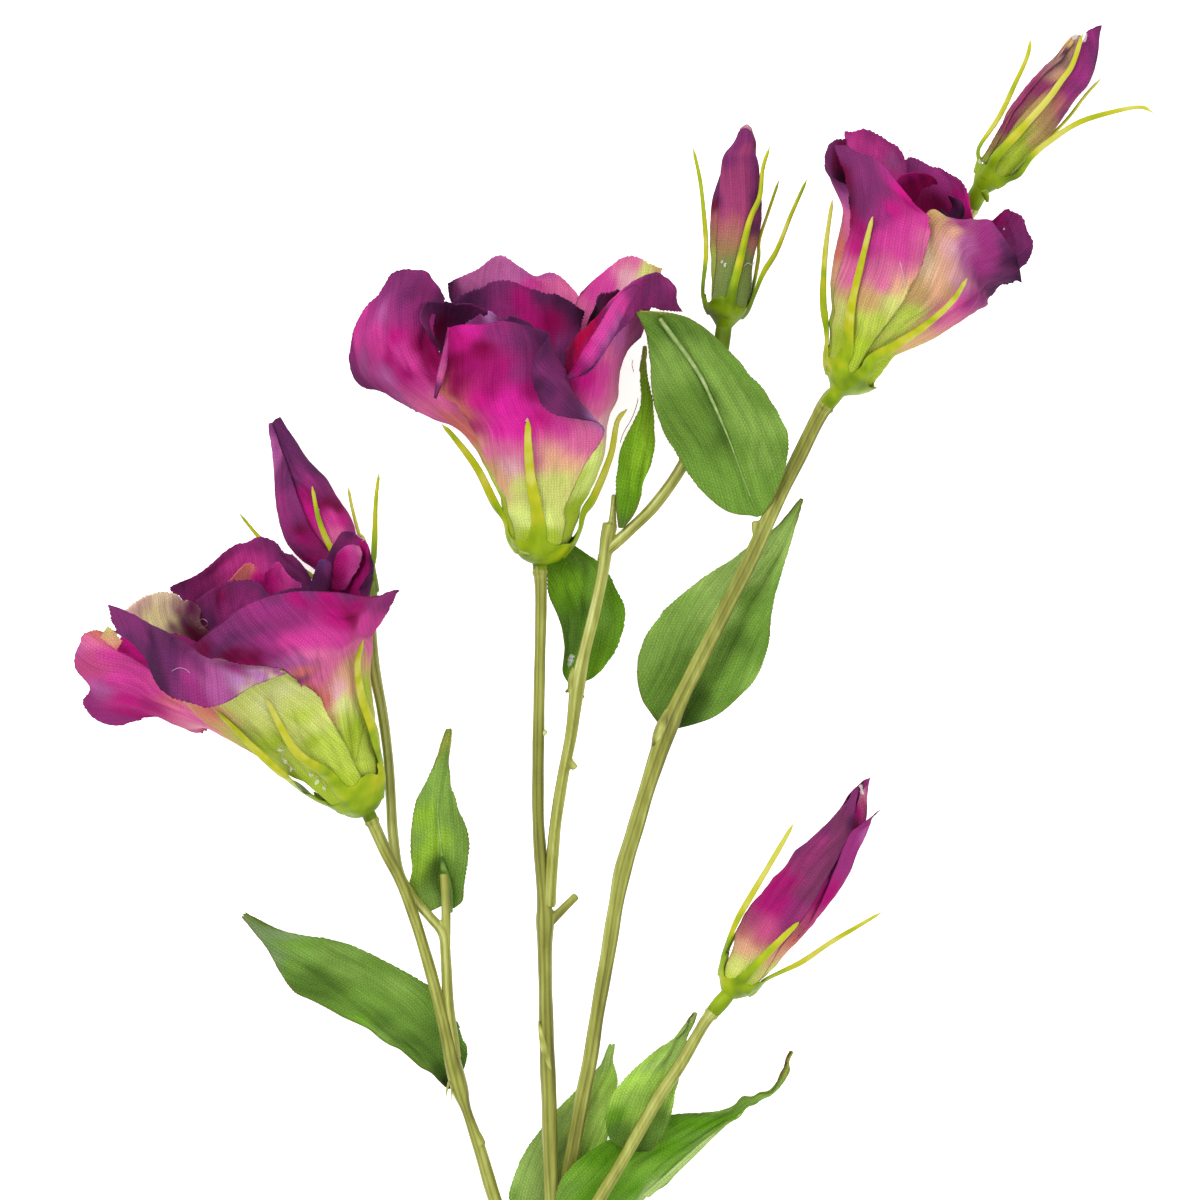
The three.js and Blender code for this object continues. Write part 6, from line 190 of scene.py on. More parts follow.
         [[(-70.35, 30, 20.7), (-70.05, 30.45, 20), (-69.6, 30.95, 19.35), (-69.1, 31.45, 18.85), (-68.45, 31.95, 18.5), (-67.75, 32.5, 18.3)],
          [(-74.5, 34.2, 21.05), (-74.05, 34.85, 20), (-73.4, 35.55, 19.05), (-72.55, 36.35, 18.3), (-71.6, 37.15, 17.75), (-70.55, 37.9, 17.45)],
          [(-82.45, 39.55, 21.15), (-81.7, 40.65, 19.35), (-80.6, 41.85, 17.8), (-79.25, 43.1, 16.55), (-77.65, 44.4, 15.65), (-75.9, 45.7, 15.15)],
          [(-90.95, 45.7, 21.6), (-89.9, 47.2, 19.1), (-88.4, 48.85, 17), (-86.5, 50.6, 15.3), (-84.3, 52.4, 14.05), (-81.9, 54.2, 13.35)],
          [(-99.1, 51.3, 22.3), (-97.8, 53.25, 18.85), (-95.8, 55.45, 15.85), (-93.3, 57.85, 13.5), (-90.35, 60.3, 11.8), (-87.05, 62.7, 10.85)],
          [(-102.8, 53.85, 19.2), (-103.15, 56.8, 14.85), (-102.45, 59.75, 11.4), (-100.65, 62.5, 8.7), (-98, 65.05, 6.85), (-94.75, 67.05, 5.8)],
          [(-117.2, 66.85, 31.4), (-116.75, 69.8, 25.9), (-115.2, 72.3, 21.2), (-112.6, 73.75, 17.05), (-109.35, 74.25, 13.65), (-105.8, 73.75, 11)],
          [(-124.9, 76.9, 38.9), (-121.8, 80.35, 33.15), (-117.8, 82.35, 27.9), (-113.6, 82.85, 22.3), (-109.8, 81.1, 17.3), (-106.35, 79.1, 13.25)]],
    'flower_left_petal_inner_back':
         [[(-68.1, 31.8, 19.7), (-67.55, 32.2, 19.5), (-66.95, 32.6, 19.45), (-66.35, 32.95, 19.5), (-65.8, 33.25, 19.7), (-65.2, 33.55, 20.05), (-64.7, 33.7, 20.5)],
          [(-71.3, 36.9, 19.05), (-70.4, 37.55, 18.75), (-69.45, 38.2, 18.65), (-68.45, 38.8, 18.8), (-67.5, 39.35, 19.1), (-66.55, 39.75, 19.65), (-65.7, 40.05, 20.4)],
          [(-77.5, 44, 17.2), (-75.9, 45.2, 16.6), (-74.2, 46.35, 16.45), (-72.45, 47.4, 16.65), (-70.7, 48.35, 17.25), (-69.05, 49.1, 18.25), (-67.5, 49.65, 19.55)],
          [(-84.2, 51.85, 16), (-81.95, 53.55, 15.2), (-79.6, 55.15, 14.95), (-77.15, 56.6, 15.3), (-74.7, 57.9, 16.1), (-72.4, 58.95, 17.45), (-70.3, 59.7, 19.25)],
          [(-90.9, 61.6, 16.15), (-88.5, 63.6, 14.2), (-85.75, 65.4, 13.7), (-82.9, 66.65, 14.55), (-80, 67.45, 16.8), (-77.5, 67.5, 19.95), (-75.75, 66.8, 24.1)],
          [(-98.2, 75.05, 19.75), (-95.6, 77.55, 17.9), (-92.6, 79.6, 16.9), (-89.3, 80.6, 17.15), (-85.9, 80.6, 18.65), (-82.45, 79.6, 21.4), (-79.7, 77.85, 25.15)],
          [(-100.45, 84.9, 22.8), (-96.85, 88.9, 21.15), (-92.9, 90.7, 19.95), (-90, 87.9, 21.4), (-86.5, 90.7, 21), (-82.8, 87.4, 23.75), (-79.25, 84.35, 27.6)]],
    'flower_left_petal_inner_mid':
         [[(-68.3, 31.1, 21.4), (-68, 31.4, 21), (-67.6, 31.75, 20.7), (-67.15, 32.1, 20.55), (-66.65, 32.45, 20.55), (-66.1, 32.75, 20.65)],
          [(-72.1, 35.55, 21.6), (-71.55, 36.2, 20.85), (-70.8, 36.85, 20.3), (-69.9, 37.5, 20), (-68.95, 38.1, 19.95), (-68, 38.65, 20.2)],
          [(-79.5, 41.4, 21.25), (-78.4, 42.6, 19.75), (-76.95, 43.9, 18.65), (-75.2, 45.2, 18.05), (-73.35, 46.4, 18), (-71.45, 47.5, 18.45)],
          [(-87.05, 48.2, 21.65), (-85.45, 49.95, 19.45), (-83.3, 51.8, 17.9), (-80.8, 53.65, 17.1), (-78.1, 55.4, 17.1), (-75.4, 56.9, 17.85)],
          [(-91.25, 59, 24.65), (-90.4, 61, 22.95), (-88.75, 62.7, 21.6), (-86.45, 64, 21.55), (-83.85, 64.75, 22.85), (-81.2, 64.8, 24.95)],
          [(-102.5, 71.85, 28.25), (-100.7, 74.1, 25.95), (-97.8, 75.85, 24.9), (-94.25, 76.6, 25.05), (-90.65, 76.6, 26.55), (-87.45, 75.6, 28.85)],
          [(-107.9, 79.6, 29.85), (-103.55, 83.1, 27.95), (-98.85, 85.35, 27.25), (-94.05, 85.85, 27.65), (-89.95, 84.35, 28.7), (-87.5, 81.6, 31.25)]],
    'flower_left_petal_inner_left':
         [[(-68.7, 29.8, 24.6), (-69.05, 29.8, 24), (-69.3, 29.85, 23.3), (-69.45, 30, 22.55), (-69.4, 30.25, 21.85), (-69.25, 30.55, 21.2)],
          [(-72.35, 33.55, 27.3), (-73, 33.55, 26.2), (-73.4, 33.65, 25.05), (-73.6, 33.9, 23.85), (-73.55, 34.3, 22.65), (-73.3, 34.85, 21.55)],
          [(-79.35, 38.1, 31.75), (-80.45, 38.05, 29.85), (-81.15, 38.25, 27.8), (-81.5, 38.7, 25.65), (-81.45, 39.4, 23.55), (-81, 40.35, 21.6)],
          [(-86.75, 43.7, 36.3), (-88.25, 43.6, 33.65), (-89.25, 43.85, 30.75), (-89.75, 44.5, 27.8), (-89.65, 45.5, 24.9), (-89, 46.75, 22.2)],
          [(-94.45, 54.85, 41.35), (-96.75, 55.55, 37.8), (-97.85, 56.4, 33.15), (-98, 57.55, 28.4), (-97.05, 59, 24.55), (-95.3, 60.45, 21.55)],
          [(-109.75, 61.3, 42.1), (-111.4, 63, 40.25), (-112.15, 65.2, 37.35), (-111.5, 67.65, 33.75), (-109.85, 69.6, 29.9), (-107.4, 70.8, 26.75)],
          [(-126.3, 66.7, 39.85), (-126.95, 69.2, 38.5), (-125.2, 71.65, 36.25), (-121.5, 73.1, 33.5), (-116.85, 73.1, 30.25), (-111.7, 72.1, 26.65)]],
    'flower_left_petal_inner_right':
         [[(-64.4, 32.25, 25.55), (-64, 32.7, 25.05), (-63.75, 33.05, 24.45), (-63.6, 33.4, 23.75), (-63.6, 33.6, 23.05), (-63.75, 33.75, 22.3)],
          [(-65.15, 37.7, 28.85), (-64.5, 38.4, 28), (-64.05, 39, 26.95), (-63.8, 39.55, 25.85), (-63.8, 39.95, 24.6), (-64.05, 40.15, 23.35)],
          [(-66.5, 45.4, 34.6), (-65.3, 46.7, 33.05), (-64.45, 47.9, 31.15), (-64.05, 48.85, 29.05), (-64.1, 49.5, 26.75), (-64.6, 49.9, 24.45)],
          [(-68.9, 53.85, 40.3), (-67.1, 55.7, 38.05), (-65.9, 57.35, 35.3), (-65.35, 58.7, 32.2), (-65.55, 59.65, 28.95), (-66.35, 60.15, 25.65)],
          [(-79.4, 61.85, 44.65), (-76.1, 63.8, 42.05), (-73.6, 65.45, 38.05), (-72.2, 66.9, 33.15), (-71.95, 67.85, 28.3), (-72.7, 68.55, 24)],
          [(-81.7, 74.7, 46.95), (-78.4, 76.65, 44.35), (-75.5, 77.9, 40.15), (-73.5, 79.1, 35.6), (-72.8, 80.1, 30.7), (-73.6, 80.6, 26.35)],
          [(-87.1, 82.1, 47.45), (-81.95, 83.8, 43.05), (-77.85, 84.8, 38.1), (-75.1, 91.05, 34.55), (-72.2, 90.1, 32.85), (-72.8, 84.6, 30.7)]],
    'flower_right_petal_front':
         [[(52.7, 139.15, 28.15), (53.25, 138.75, 29.05), (54, 138.25, 29.8), (54.95, 137.75, 30.35), (55.95, 137.25, 30.65), (57, 136.75, 30.7), (58.1, 136.35, 30.55)],
          [(53.2, 145.6, 30.35), (53.95, 145, 31.7), (55, 144.3, 32.85), (56.25, 143.6, 33.7), (57.65, 142.85, 34.2), (59.2, 142.15, 34.4), (60.7, 141.55, 34.25)],
          [(52.65, 152.8, 33.85), (53.8, 151.85, 35.95), (55.4, 150.8, 37.7), (57.25, 149.7, 39.05), (59.4, 148.6, 39.95), (61.7, 147.5, 40.35), (64.1, 146.5, 40.2)],
          [(53.2, 159.6, 37.15), (54.65, 158.4, 39.9), (56.65, 157.05, 42.2), (59.05, 155.65, 44), (61.75, 154.2, 45.25), (64.7, 152.8, 45.85), (67.75, 151.5, 45.85)],
          [(54.85, 167.1, 40.75), (56.6, 165.7, 43.9), (58.9, 164.1, 46.55), (61.7, 162.45, 48.65), (64.85, 160.8, 50.15), (68.25, 159.15, 50.95), (71.8, 157.6, 51.05)],
          [(56, 174, 46.2), (58.35, 172.75, 52.25), (61.5, 171.4, 56.35), (65, 170.2, 59), (68.6, 169.15, 60.1), (72, 168.4, 60.25), (74.95, 167.7, 59.85)],
          [(55.8, 179.8, 49.8), (58.2, 179.15, 54.45), (61.15, 178.1, 58.1), (64.65, 176.9, 60.7), (68.45, 175.55, 62.3), (72, 174, 63.3), (75.15, 172.5, 63.8)],
          [(53.75, 187, 51.45), (56.25, 186.45, 54.65), (59.05, 185.5, 57.25), (61.8, 184.05, 59.75), (64.6, 181.9, 61.65), (67.7, 179.15, 62.9), (72.7, 175.15, 64.1)],
          [(51.75, 192.7, 51.35), (54.35, 192.2, 53.5), (57.15, 191.05, 55.55), (60, 189.85, 57.6), (62.8, 187.45, 59.45), (65.35, 183.65, 61), (69.15, 178.9, 62.95)]],
    'flower_right_petal_left':
         [[(53.55, 140.05, 22.35), (52.95, 140, 23.65), (52.75, 139.8, 25.05), (52.9, 139.5, 26.3), (53.35, 139.05, 27.4), (54.05, 138.55, 28.25)],
          [(54.55, 146.8, 22.05), (53.6, 146.8, 23.95), (53.2, 146.55, 25.9), (53.3, 146.1, 27.8), (53.9, 145.5, 29.55), (54.85, 144.8, 30.9)],
          [(54.5, 154.75, 20.9), (53.05, 154.75, 23.8), (52.4, 154.4, 26.95), (52.5, 153.7, 30), (53.3, 152.75, 32.8), (54.8, 151.6, 35.15)],
          [(55.35, 162.3, 20.2), (53.5, 162.25, 24.1), (52.65, 161.75, 28.2), (52.8, 160.85, 32.25), (53.9, 159.55, 36), (55.85, 158.05, 39.15)],
          [(56.55, 170.6, 20.95), (54.7, 170.45, 25.55), (53.9, 169.75, 30.3), (54.2, 168.6, 34.95), (55.6, 167.1, 39.25), (57.85, 165.35, 42.9)],
          [(57.75, 180.95, 23.1), (55.5, 179.8, 27.85), (54.7, 177.55, 33.5), (55.1, 175.55, 39.25), (56.4, 174.25, 42.7), (58.45, 173.5, 45.8)],
          [(56.75, 187.85, 27.35), (53.8, 187, 31.05), (52.05, 185.45, 36.75), (52.55, 183.55, 41.55), (54.05, 182.2, 45), (56.65, 181.5, 47.6)],
          [(56.3, 195.9, 31.8), (53.3, 195.4, 36.6), (51.05, 192.75, 41.05), (50.2, 189.25, 43.9), (51.05, 186.05, 45.95), (53.2, 183.5, 47.2)]],
    'flower_right_petal_right':
         [[(57.35, 136.85, 29.6), (58.55, 136.4, 29.4), (59.7, 136, 28.8), (60.7, 135.8, 27.85), (61.45, 135.75, 26.6), (61.85, 135.9, 25.1), (61.8, 136.25, 23.6)],
          [(59.75, 142.2, 33.2), (61.65, 141.4, 32.95), (63.5, 140.8, 32.05), (65.05, 140.45, 30.6), (66.2, 140.35, 28.7), (66.8, 140.55, 26.45), (66.75, 141.1, 24.15)],
          [(62.4, 147.5, 39.1), (65.65, 146.15, 38.75), (68.8, 145.1, 37.3), (71.5, 144.45, 34.9), (73.5, 144.25, 31.75), (74.5, 144.6, 28.1), (74.45, 145.45, 24.3)],
          [(65.75, 152.65, 44.55), (70.15, 150.8, 44.2), (74.4, 149.35, 42.45), (78.15, 148.4, 39.35), (80.95, 148.05, 35.25), (82.5, 148.4, 30.45), (82.7, 149.4, 25.45)],
          [(69.4, 158.95, 49.45), (74.6, 156.8, 49.3), (79.7, 154.95, 47.5), (84.25, 153.7, 44.15), (87.85, 153.15, 39.55), (90.15, 153.3, 34.1), (90.9, 154.25, 28.2)],
          [(74.05, 174.9, 58.55), (77.1, 171.8, 60.25), (80.25, 168.65, 60.45), (83.5, 165.1, 59.05), (86.55, 161.5, 55.05), (89.35, 158.35, 48.05), (91.7, 155.35, 37.5)],
          [(79.3, 173.8, 57.2), (82.5, 171.65, 59.65), (85.6, 168.9, 60.4), (88.6, 165.8, 59.55), (91.3, 162.65, 56.15), (93.8, 159.9, 50.2), (95.6, 157.3, 41.25)],
          [(84.6, 173.75, 54.6), (87.55, 172.55, 57.15), (90.35, 170.2, 59), (92.75, 167.55, 59.2), (94.9, 164.5, 57.3), (96.5, 161.45, 52.75), (97.2, 158, 45.55)],
          [(86.75, 173.45, 52.65), (89.95, 173.25, 54.9), (92.45, 170.6, 57.2), (94.6, 167.65, 57.85), (96.4, 164.3, 56.85), (97.7, 160.9, 53.25), (98.45, 157.4, 47.6)]],
    'flower_right_petal_right_back':
         [[(60.95, 136.3, 24.95), (61.05, 136.4, 24.15), (61, 136.6, 23.35), (60.8, 136.9, 22.5), (60.45, 137.2, 21.75), (59.9, 137.6, 21)],
          [(65.9, 141.05, 26.1), (66, 141.3, 24.8), (65.8, 141.6, 23.55), (65.45, 142.05, 22.3), (64.8, 142.6, 21.15), (63.9, 143.2, 20.15)],
          [(73.55, 145.2, 27.3), (73.65, 145.6, 25.15), (73.3, 146.25, 22.95), (72.5, 147, 20.9), (71.35, 147.9, 19.05), (69.8, 148.9, 17.45)],
          [(81.6, 149.15, 28.9), (81.7, 149.75, 25.8), (81.2, 150.6, 22.75), (80.1, 151.7, 19.9), (78.4, 152.95, 17.3), (76.25, 154.4, 15.15)],
          [(89.15, 154.25, 31.65), (89.55, 154.95, 27.75), (89.15, 155.95, 23.85), (87.95, 157.25, 20.15), (86, 158.8, 16.75), (83.35, 160.55, 13.95)],
          [(87.15, 158.7, 35.7), (89.7, 161.4, 29.25), (90.55, 164.5, 24.8), (89.85, 167.5, 21.2), (88.35, 170, 18.45), (86.2, 171.9, 16.6)],
          [(94.75, 161.4, 39.85), (96.4, 164.7, 35.5), (96.45, 168.2, 32.05), (94.95, 170.9, 29.35), (92.85, 172.55, 27.45), (90.25, 173.45, 25.85)],
          [(99.4, 162.35, 40.4), (102.3, 167.45, 38.5), (101.65, 172.75, 37.35), (98.8, 176.8, 36.35), (95.2, 177.45, 34.65), (91.95, 174.95, 31.9)]],
    'flower_right_petal_back_right':
         [[(55.85, 139.4, 20.65), (56.9, 139, 20.6), (57.85, 138.5, 20.8), (58.7, 138.05, 21.2), (59.4, 137.65, 21.75), (59.95, 137.25, 22.5)],
          [(57.9, 145.9, 19.55), (59.45, 145.25, 19.4), (60.95, 144.55, 19.6), (62.25, 143.9, 20.1), (63.35, 143.25, 20.9), (64.25, 142.65, 21.95)],
          [(60.2, 153.25, 16.55), (62.7, 152.25, 16.2), (65.05, 151.15, 16.35), (67.3, 150.05, 17.1), (69.2, 149, 18.3), (70.75, 147.95, 19.9)],
          [(63.35, 160.2, 13.95), (66.65, 158.9, 13.35), (69.9, 157.45, 13.55), (72.9, 155.95, 14.45), (75.55, 154.45, 16.05), (77.75, 153.05, 18.2)],
          [(67.1, 167.95, 12.1), (71.25, 166.3, 11.3), (75.35, 164.5, 11.55), (79.15, 162.6, 12.75), (82.5, 160.75, 14.8), (85.2, 158.95, 17.6)],
          [(73.85, 172.5, 12.65), (76.9, 173.05, 12), (79.9, 173, 12.7), (82.55, 172.3, 14.85), (84.6, 171.05, 17.85), (86.1, 169.55, 21.25)],
          [(71.75, 183.6, 13.45), (75.6, 184.7, 12.4), (79.65, 183.6, 13.05), (83, 181.15, 15.4), (85.45, 178, 19.65), (86.8, 174.05, 24.65)],
          [(70.9, 190.35, 14.6), (74.55, 192.5, 13.2), (79.35, 190.45, 13.2), (83.5, 187.95, 15.65), (87.15, 183.75, 20.3), (88.2, 176.4, 26.25)]],
    'flower_right_petal_back_left':
         [[(53.75, 139.65, 23.85), (54.2, 139.6, 23.15), (54.75, 139.5, 22.5), (55.4, 139.3, 22), (56.15, 139.05, 21.65), (56.9, 138.8, 21.45)],
          [(54.5, 146.4, 24.1), (55.2, 146.35, 23), (56.05, 146.15, 22), (57.1, 145.9, 21.2), (58.25, 145.5, 20.65), (59.45, 145.05, 20.35)],
          [(54.2, 154.3, 23.6), (55.4, 154.2, 21.7), (56.9, 153.95, 20), (58.65, 153.45, 18.7), (60.6, 152.8, 17.75), (62.65, 152.05, 17.2)],
          [(54.95, 161.8, 23.3), (56.6, 161.65, 20.65), (58.65, 161.25, 18.35), (61.1, 160.6, 16.5), (63.75, 159.75, 15.2), (66.6, 158.65, 14.45)],
          [(56.55, 169.95, 24.05), (58.5, 169.85, 20.65), (61.05, 169.4, 17.65), (64.05, 168.6, 15.25), (67.45, 167.5, 13.5), (71.05, 166.15, 12.55)],
          [(57.45, 178.05, 24.6), (60.2, 178.7, 19.85), (63.45, 179, 16.6), (66.85, 178.65, 14.75), (69.95, 177.7, 13.8), (72.75, 176.45, 13.8)],
          [(56.85, 188.55, 30.55), (60.15, 189.8, 25.4), (63.65, 190.4, 21.7), (67.1, 189.65, 18.75), (69.95, 188.05, 17.15), (72.05, 185.35, 16.35)],
          [(56.15, 197.4, 34.15), (59.7, 198.95, 29.05), (64.5, 198.45, 24.25), (68.75, 196.3, 20.6), (71.65, 192.7, 18.65), (72.5, 188.55, 17.45)]],
    'flower_right_petal_inner_left':
         [[(55, 138.35, 27.3), (54.6, 138.7, 26.5), (54.5, 138.95, 25.55), (54.75, 139.05, 24.6), (55.25, 139, 23.75), (56, 138.8, 23.1)],
          [(55.95, 144.5, 30), (55.25, 145.15, 28.5), (55.1, 145.55, 26.75), (55.5, 145.75, 25), (56.45, 145.7, 23.5), (57.8, 145.35, 22.35)],
          [(56.1, 151.25, 34.1), (54.8, 152.45, 31.3), (54.5, 153.25, 28.1), (55.3, 153.6, 24.9), (57, 153.45, 22.1), (59.5, 152.8, 20)],
          [(57.5, 157.65, 37.75), (55.7, 159.25, 33.85), (55.35, 160.35, 29.45), (56.4, 160.8, 25), (58.8, 160.6, 21.15), (62.25, 159.75, 18.25)],
          [(63.85, 166.65, 42.45), (62.65, 168.5, 37.55), (63, 170.45, 31.85), (64.85, 172.1, 26.7), (67.6, 173.15, 23), (70.75, 173.35, 20.75)],
          [(66.15, 178.3, 41.65), (65.6, 180.15, 37.9), (66.9, 181.8, 33.2), (69.4, 183.15, 29.55), (72.6, 183.4, 26.75), (75.75, 182.55, 24.8)],
          [(67.25, 182.95, 39.55), (68.5, 185.75, 36.05), (71.4, 187.3, 33), (74.85, 187.3, 30.2), (77.75, 187.25, 28.4), (80.15, 184.9, 26.6)]],
    'flower_right_petal_inner_right':
         [[(58.25, 136.85, 27.95), (59, 136.65, 27.3), (59.5, 136.6, 26.5), (59.75, 136.7, 25.55), (59.65, 136.95, 24.6), (59.25, 137.3, 23.75)],
          [(61.85, 141.7, 31.15), (63.2, 141.4, 30), (64.15, 141.3, 28.5), (64.55, 141.5, 26.75), (64.4, 141.9, 25), (63.7, 142.55, 23.5)],
          [(67, 146.15, 36.15), (69.45, 145.5, 34.1), (71.2, 145.35, 31.3), (71.95, 145.7, 28.1), (71.7, 146.5, 24.9), (70.4, 147.65, 22.1)],
          [(72.6, 150.5, 40.6), (76.05, 149.65, 37.75), (78.45, 149.45, 33.85), (79.5, 149.9, 29.45), (79.1, 151.05, 25), (77.3, 152.65, 21.15)],
          [(74.85, 164.5, 44.45), (77.8, 164.25, 41.05), (79.9, 165.1, 36.3), (80.8, 167, 31.1), (80.15, 169.15, 26.35), (78.4, 170.9, 22.95)],
          [(77.95, 173.75, 45.85), (81.1, 172.8, 42.9), (83.7, 172.9, 38.5), (84.8, 174.75, 33.85), (84.45, 176.9, 29.1), (82.7, 178.7, 25.7)],
          [(77.8, 177.8, 44.55), (81, 176.1, 41.45), (84.3, 175.2, 37.45), (85.8, 177.5, 33.9), (84.9, 180.85, 29.85), (81.35, 182.65, 26.8)]],
    'bud_a_petal_front':
         [[(26.4, -13.4, 12.05), (26.7, -13.5, 13.9), (27.65, -14.1, 15.3), (29.1, -15, 16), (30.6, -16.05, 15.75), (31.8, -16.85, 14.65)],
          [(27.3, -9.8, 11.5), (27.55, -9.85, 13.95), (28.75, -10.55, 15.9), (30.6, -11.75, 16.95), (32.6, -13.1, 16.75), (34.25, -14.2, 15.35)],
          [(29.55, -4.3, 10.65), (29.65, -4.25, 13.8), (31.05, -5.05, 16.5), (33.4, -6.55, 18.05), (36, -8.3, 17.95), (38.25, -9.8, 16.35)],
          [(36.85, 6.1, 9.7), (36.8, 6.25, 13.2), (38.15, 5.5, 16.35), (40.6, 4, 18.35), (43.5, 2.1, 18.8), (46.2, 0.25, 17.55)],
          [(44.35, 15.3, 9.5), (44.3, 15.45, 12.5), (45.4, 14.85, 15.2), (47.45, 13.6, 17.1), (49.9, 12, 17.65), (52.3, 10.4, 16.8)],
          [(53.35, 24.6, 9.3), (53.2, 24.75, 11.35), (53.8, 24.45, 13.3), (55.05, 23.7, 14.8), (56.65, 22.65, 15.55), (58.35, 21.55, 15.4)],
          [(57.8, 29.9, 8.55), (57.85, 29.8, 12.05), (58.3, 29.6, 13.55), (59.05, 29.35, 13.75), (59.55, 29.6, 13.35), (59.85, 30.35, 12.5)],
          [(59.05, 32.5, 9.45), (59.2, 32.7, 10.85), (59.4, 32.85, 11.75), (59.9, 33, 11.95), (60.15, 33.1, 11.85), (60.7, 33.05, 11.2)]],
    'bud_a_petal_back':
         [[(30.65, -16.1, 14.45), (31.35, -16.6, 13.45), (31.55, -16.8, 12.2), (31.15, -16.55, 10.9), (30.25, -16, 10.1), (29.15, -15.3, 9.85), (28.1, -14.6, 10.35), (27.45, -14.15, 11.4), (27.35, -14, 12.7)],
          [(32.8, -13.25, 15.3), (33.85, -14, 14), (34.2, -14.35, 12.15), (33.85, -14.2, 10.25), (32.7, -13.45, 8.65), (30.9, -12.3, 8.25), (29.25, -11.2, 8.9), (28.3, -10.5, 10.65), (28.3, -10.4, 12.55)],
          [(36.35, -8.55, 16.45), (38.35, -9.95, 15.1), (39.6, -10.85, 12.45), (38.95, -10.6, 9.3), (37.1, -9.45, 6.95), (34.5, -7.8, 6), (31.95, -6.05, 6.8), (30.55, -5, 9.35), (30.5, -4.9, 12.1)],
          [(44.25, 1.55, 17.2), (46.85, -0.25, 15.9), (48.6, -1.5, 12.85), (48.2, -1.4, 9), (46.15, -0.2, 5.9), (43.1, 1.75, 4.5), (39.95, 3.85, 5.15), (38.05, 5.25, 8.1), (37.8, 5.55, 11.45)],
          [(50.45, 11.55, 16.05), (52.85, 9.95, 15.35), (54.75, 8.6, 12.85), (54.6, 8.55, 9.35), (52.95, 9.55, 6.4), (50.25, 11.25, 4.95), (47.35, 13.15, 5.35), (45.65, 14.4, 7.95), (45.45, 14.65, 10.9)],
          [(57.5, 20.25, 13.85), (60.65, 18.15, 12.35), (61.85, 18.75, 9.3), (60.95, 20.9, 6.75), (58.95, 22.9, 6.15), (56.9, 24.45, 6.55), (55.3, 25.3, 7.75), (54.45, 25.35, 9.15), (54.15, 24.9, 10.6)],
          [(59.65, 26.75, 12.2), (62.7, 24.45, 11.65), (63.85, 25.35, 9.6), (62.95, 28.1, 7.9), (61.45, 30.1, 7.5), (60.15, 30.9, 7.9), (59.35, 31.2, 8.5), (58.55, 30.95, 9.3), (58.25, 30.45, 9.95)],
          [(61.2, 31.85, 11.85), (62.25, 33.1, 11.4), (62.8, 34.3, 10.65), (63.35, 35.3, 9.9), (63.5, 35.55, 9.3), (63.15, 35.25, 8.8), (62.65, 35, 8.7), (61.85, 34.5, 8.95), (61.35, 33.75, 9.4)]],
    'bud_b_petal_right':
         [[(92.1, 190.8, 13.55), (93.4, 189.85, 14.5), (95, 188.75, 14.5), (96.35, 187.85, 13.55), (97.15, 187.4, 11.9), (97.15, 187.45, 10), (96.35, 188.1, 8.4), (94.95, 189.05, 7.5)],
          [(94.4, 194.65, 14.65), (96.2, 193.35, 15.75), (98.2, 191.95, 15.65), (99.9, 190.85, 14.25), (100.85, 190.3, 12.05), (100.75, 190.45, 9.6), (99.65, 191.3, 7.6), (97.8, 192.6, 6.55)],
          [(98.25, 199.85, 16.3), (100.5, 198.25, 17.15), (102.85, 196.65, 16.6), (104.7, 195.45, 14.65), (105.6, 194.95, 11.95), (105.25, 195.3, 9.05), (103.8, 196.4, 6.75), (101.6, 197.95, 5.65)],
          [(105.65, 208.05, 17.55), (108.1, 206.35, 18), (110.45, 204.75, 17), (112.15, 203.65, 14.75), (112.85, 203.3, 11.85), (112.35, 203.75, 8.9), (110.8, 204.9, 6.6), (108.5, 206.55, 5.5)],
          [(109.95, 211.95, 17.85), (112.3, 210.35, 18), (114.5, 208.85, 16.8), (116.05, 207.9, 14.6), (116.6, 207.65, 11.75), (116, 208.15, 9), (114.5, 209.3, 6.85), (112.3, 210.85, 5.8)],
          [(114.25, 215.5, 17.65), (116.3, 214.1, 17.4), (118.1, 212.9, 16.15), (119.3, 212.2, 14.1), (119.6, 212.05, 11.6), (119.05, 212.55, 9.25), (117.65, 213.55, 7.45), (115.75, 214.9, 6.55)],
          [(116.15, 220.85, 15.9), (118.15, 219.8, 15.9), (120.05, 219.45, 14.7), (121, 220.2, 12.95), (120.95, 221.65, 11.15), (120.3, 222.85, 9.95), (119.35, 223.4, 9.35), (118.35, 223.65, 9.35)],
          [(117.8, 224.55, 14.4), (118.8, 225.3, 14.65), (120.1, 226, 14.2), (121.2, 226.45, 13.4), (122.05, 226.7, 12.5), (121.9, 226.2, 11.6), (121.2, 225.75, 11.05), (120.5, 225.5, 10.85)]],
    'bud_b_petal_left':
         [[(91.65, 191.15, 12.7), (91.35, 191.4, 11.5), (91.4, 191.4, 10.2), (91.85, 191.15, 9), (92.8, 190.55, 8.4), (93.75, 189.9, 8.25), (94.55, 189.3, 8.55)],
          [(93.65, 195.2, 13.5), (93.2, 195.55, 11.9), (93.3, 195.55, 10.15), (93.9, 195.2, 8.55), (95.1, 194.4, 7.65), (96.4, 193.55, 7.4), (97.5, 192.75, 7.7)],
          [(96.85, 200.9, 14.6), (96.15, 201.45, 12.55), (96.2, 201.5, 10.3), (96.9, 201.1, 8.25), (98.4, 200.1, 6.95), (100.05, 199, 6.55), (101.6, 197.95, 6.95)],
          [(103.65, 209.5, 15.8), (102.7, 210.25, 13.55), (102.55, 210.45, 11), (103.25, 210.05, 8.6), (104.9, 208.95, 7.05), (106.75, 207.7, 6.5), (108.45, 206.5, 6.9)],
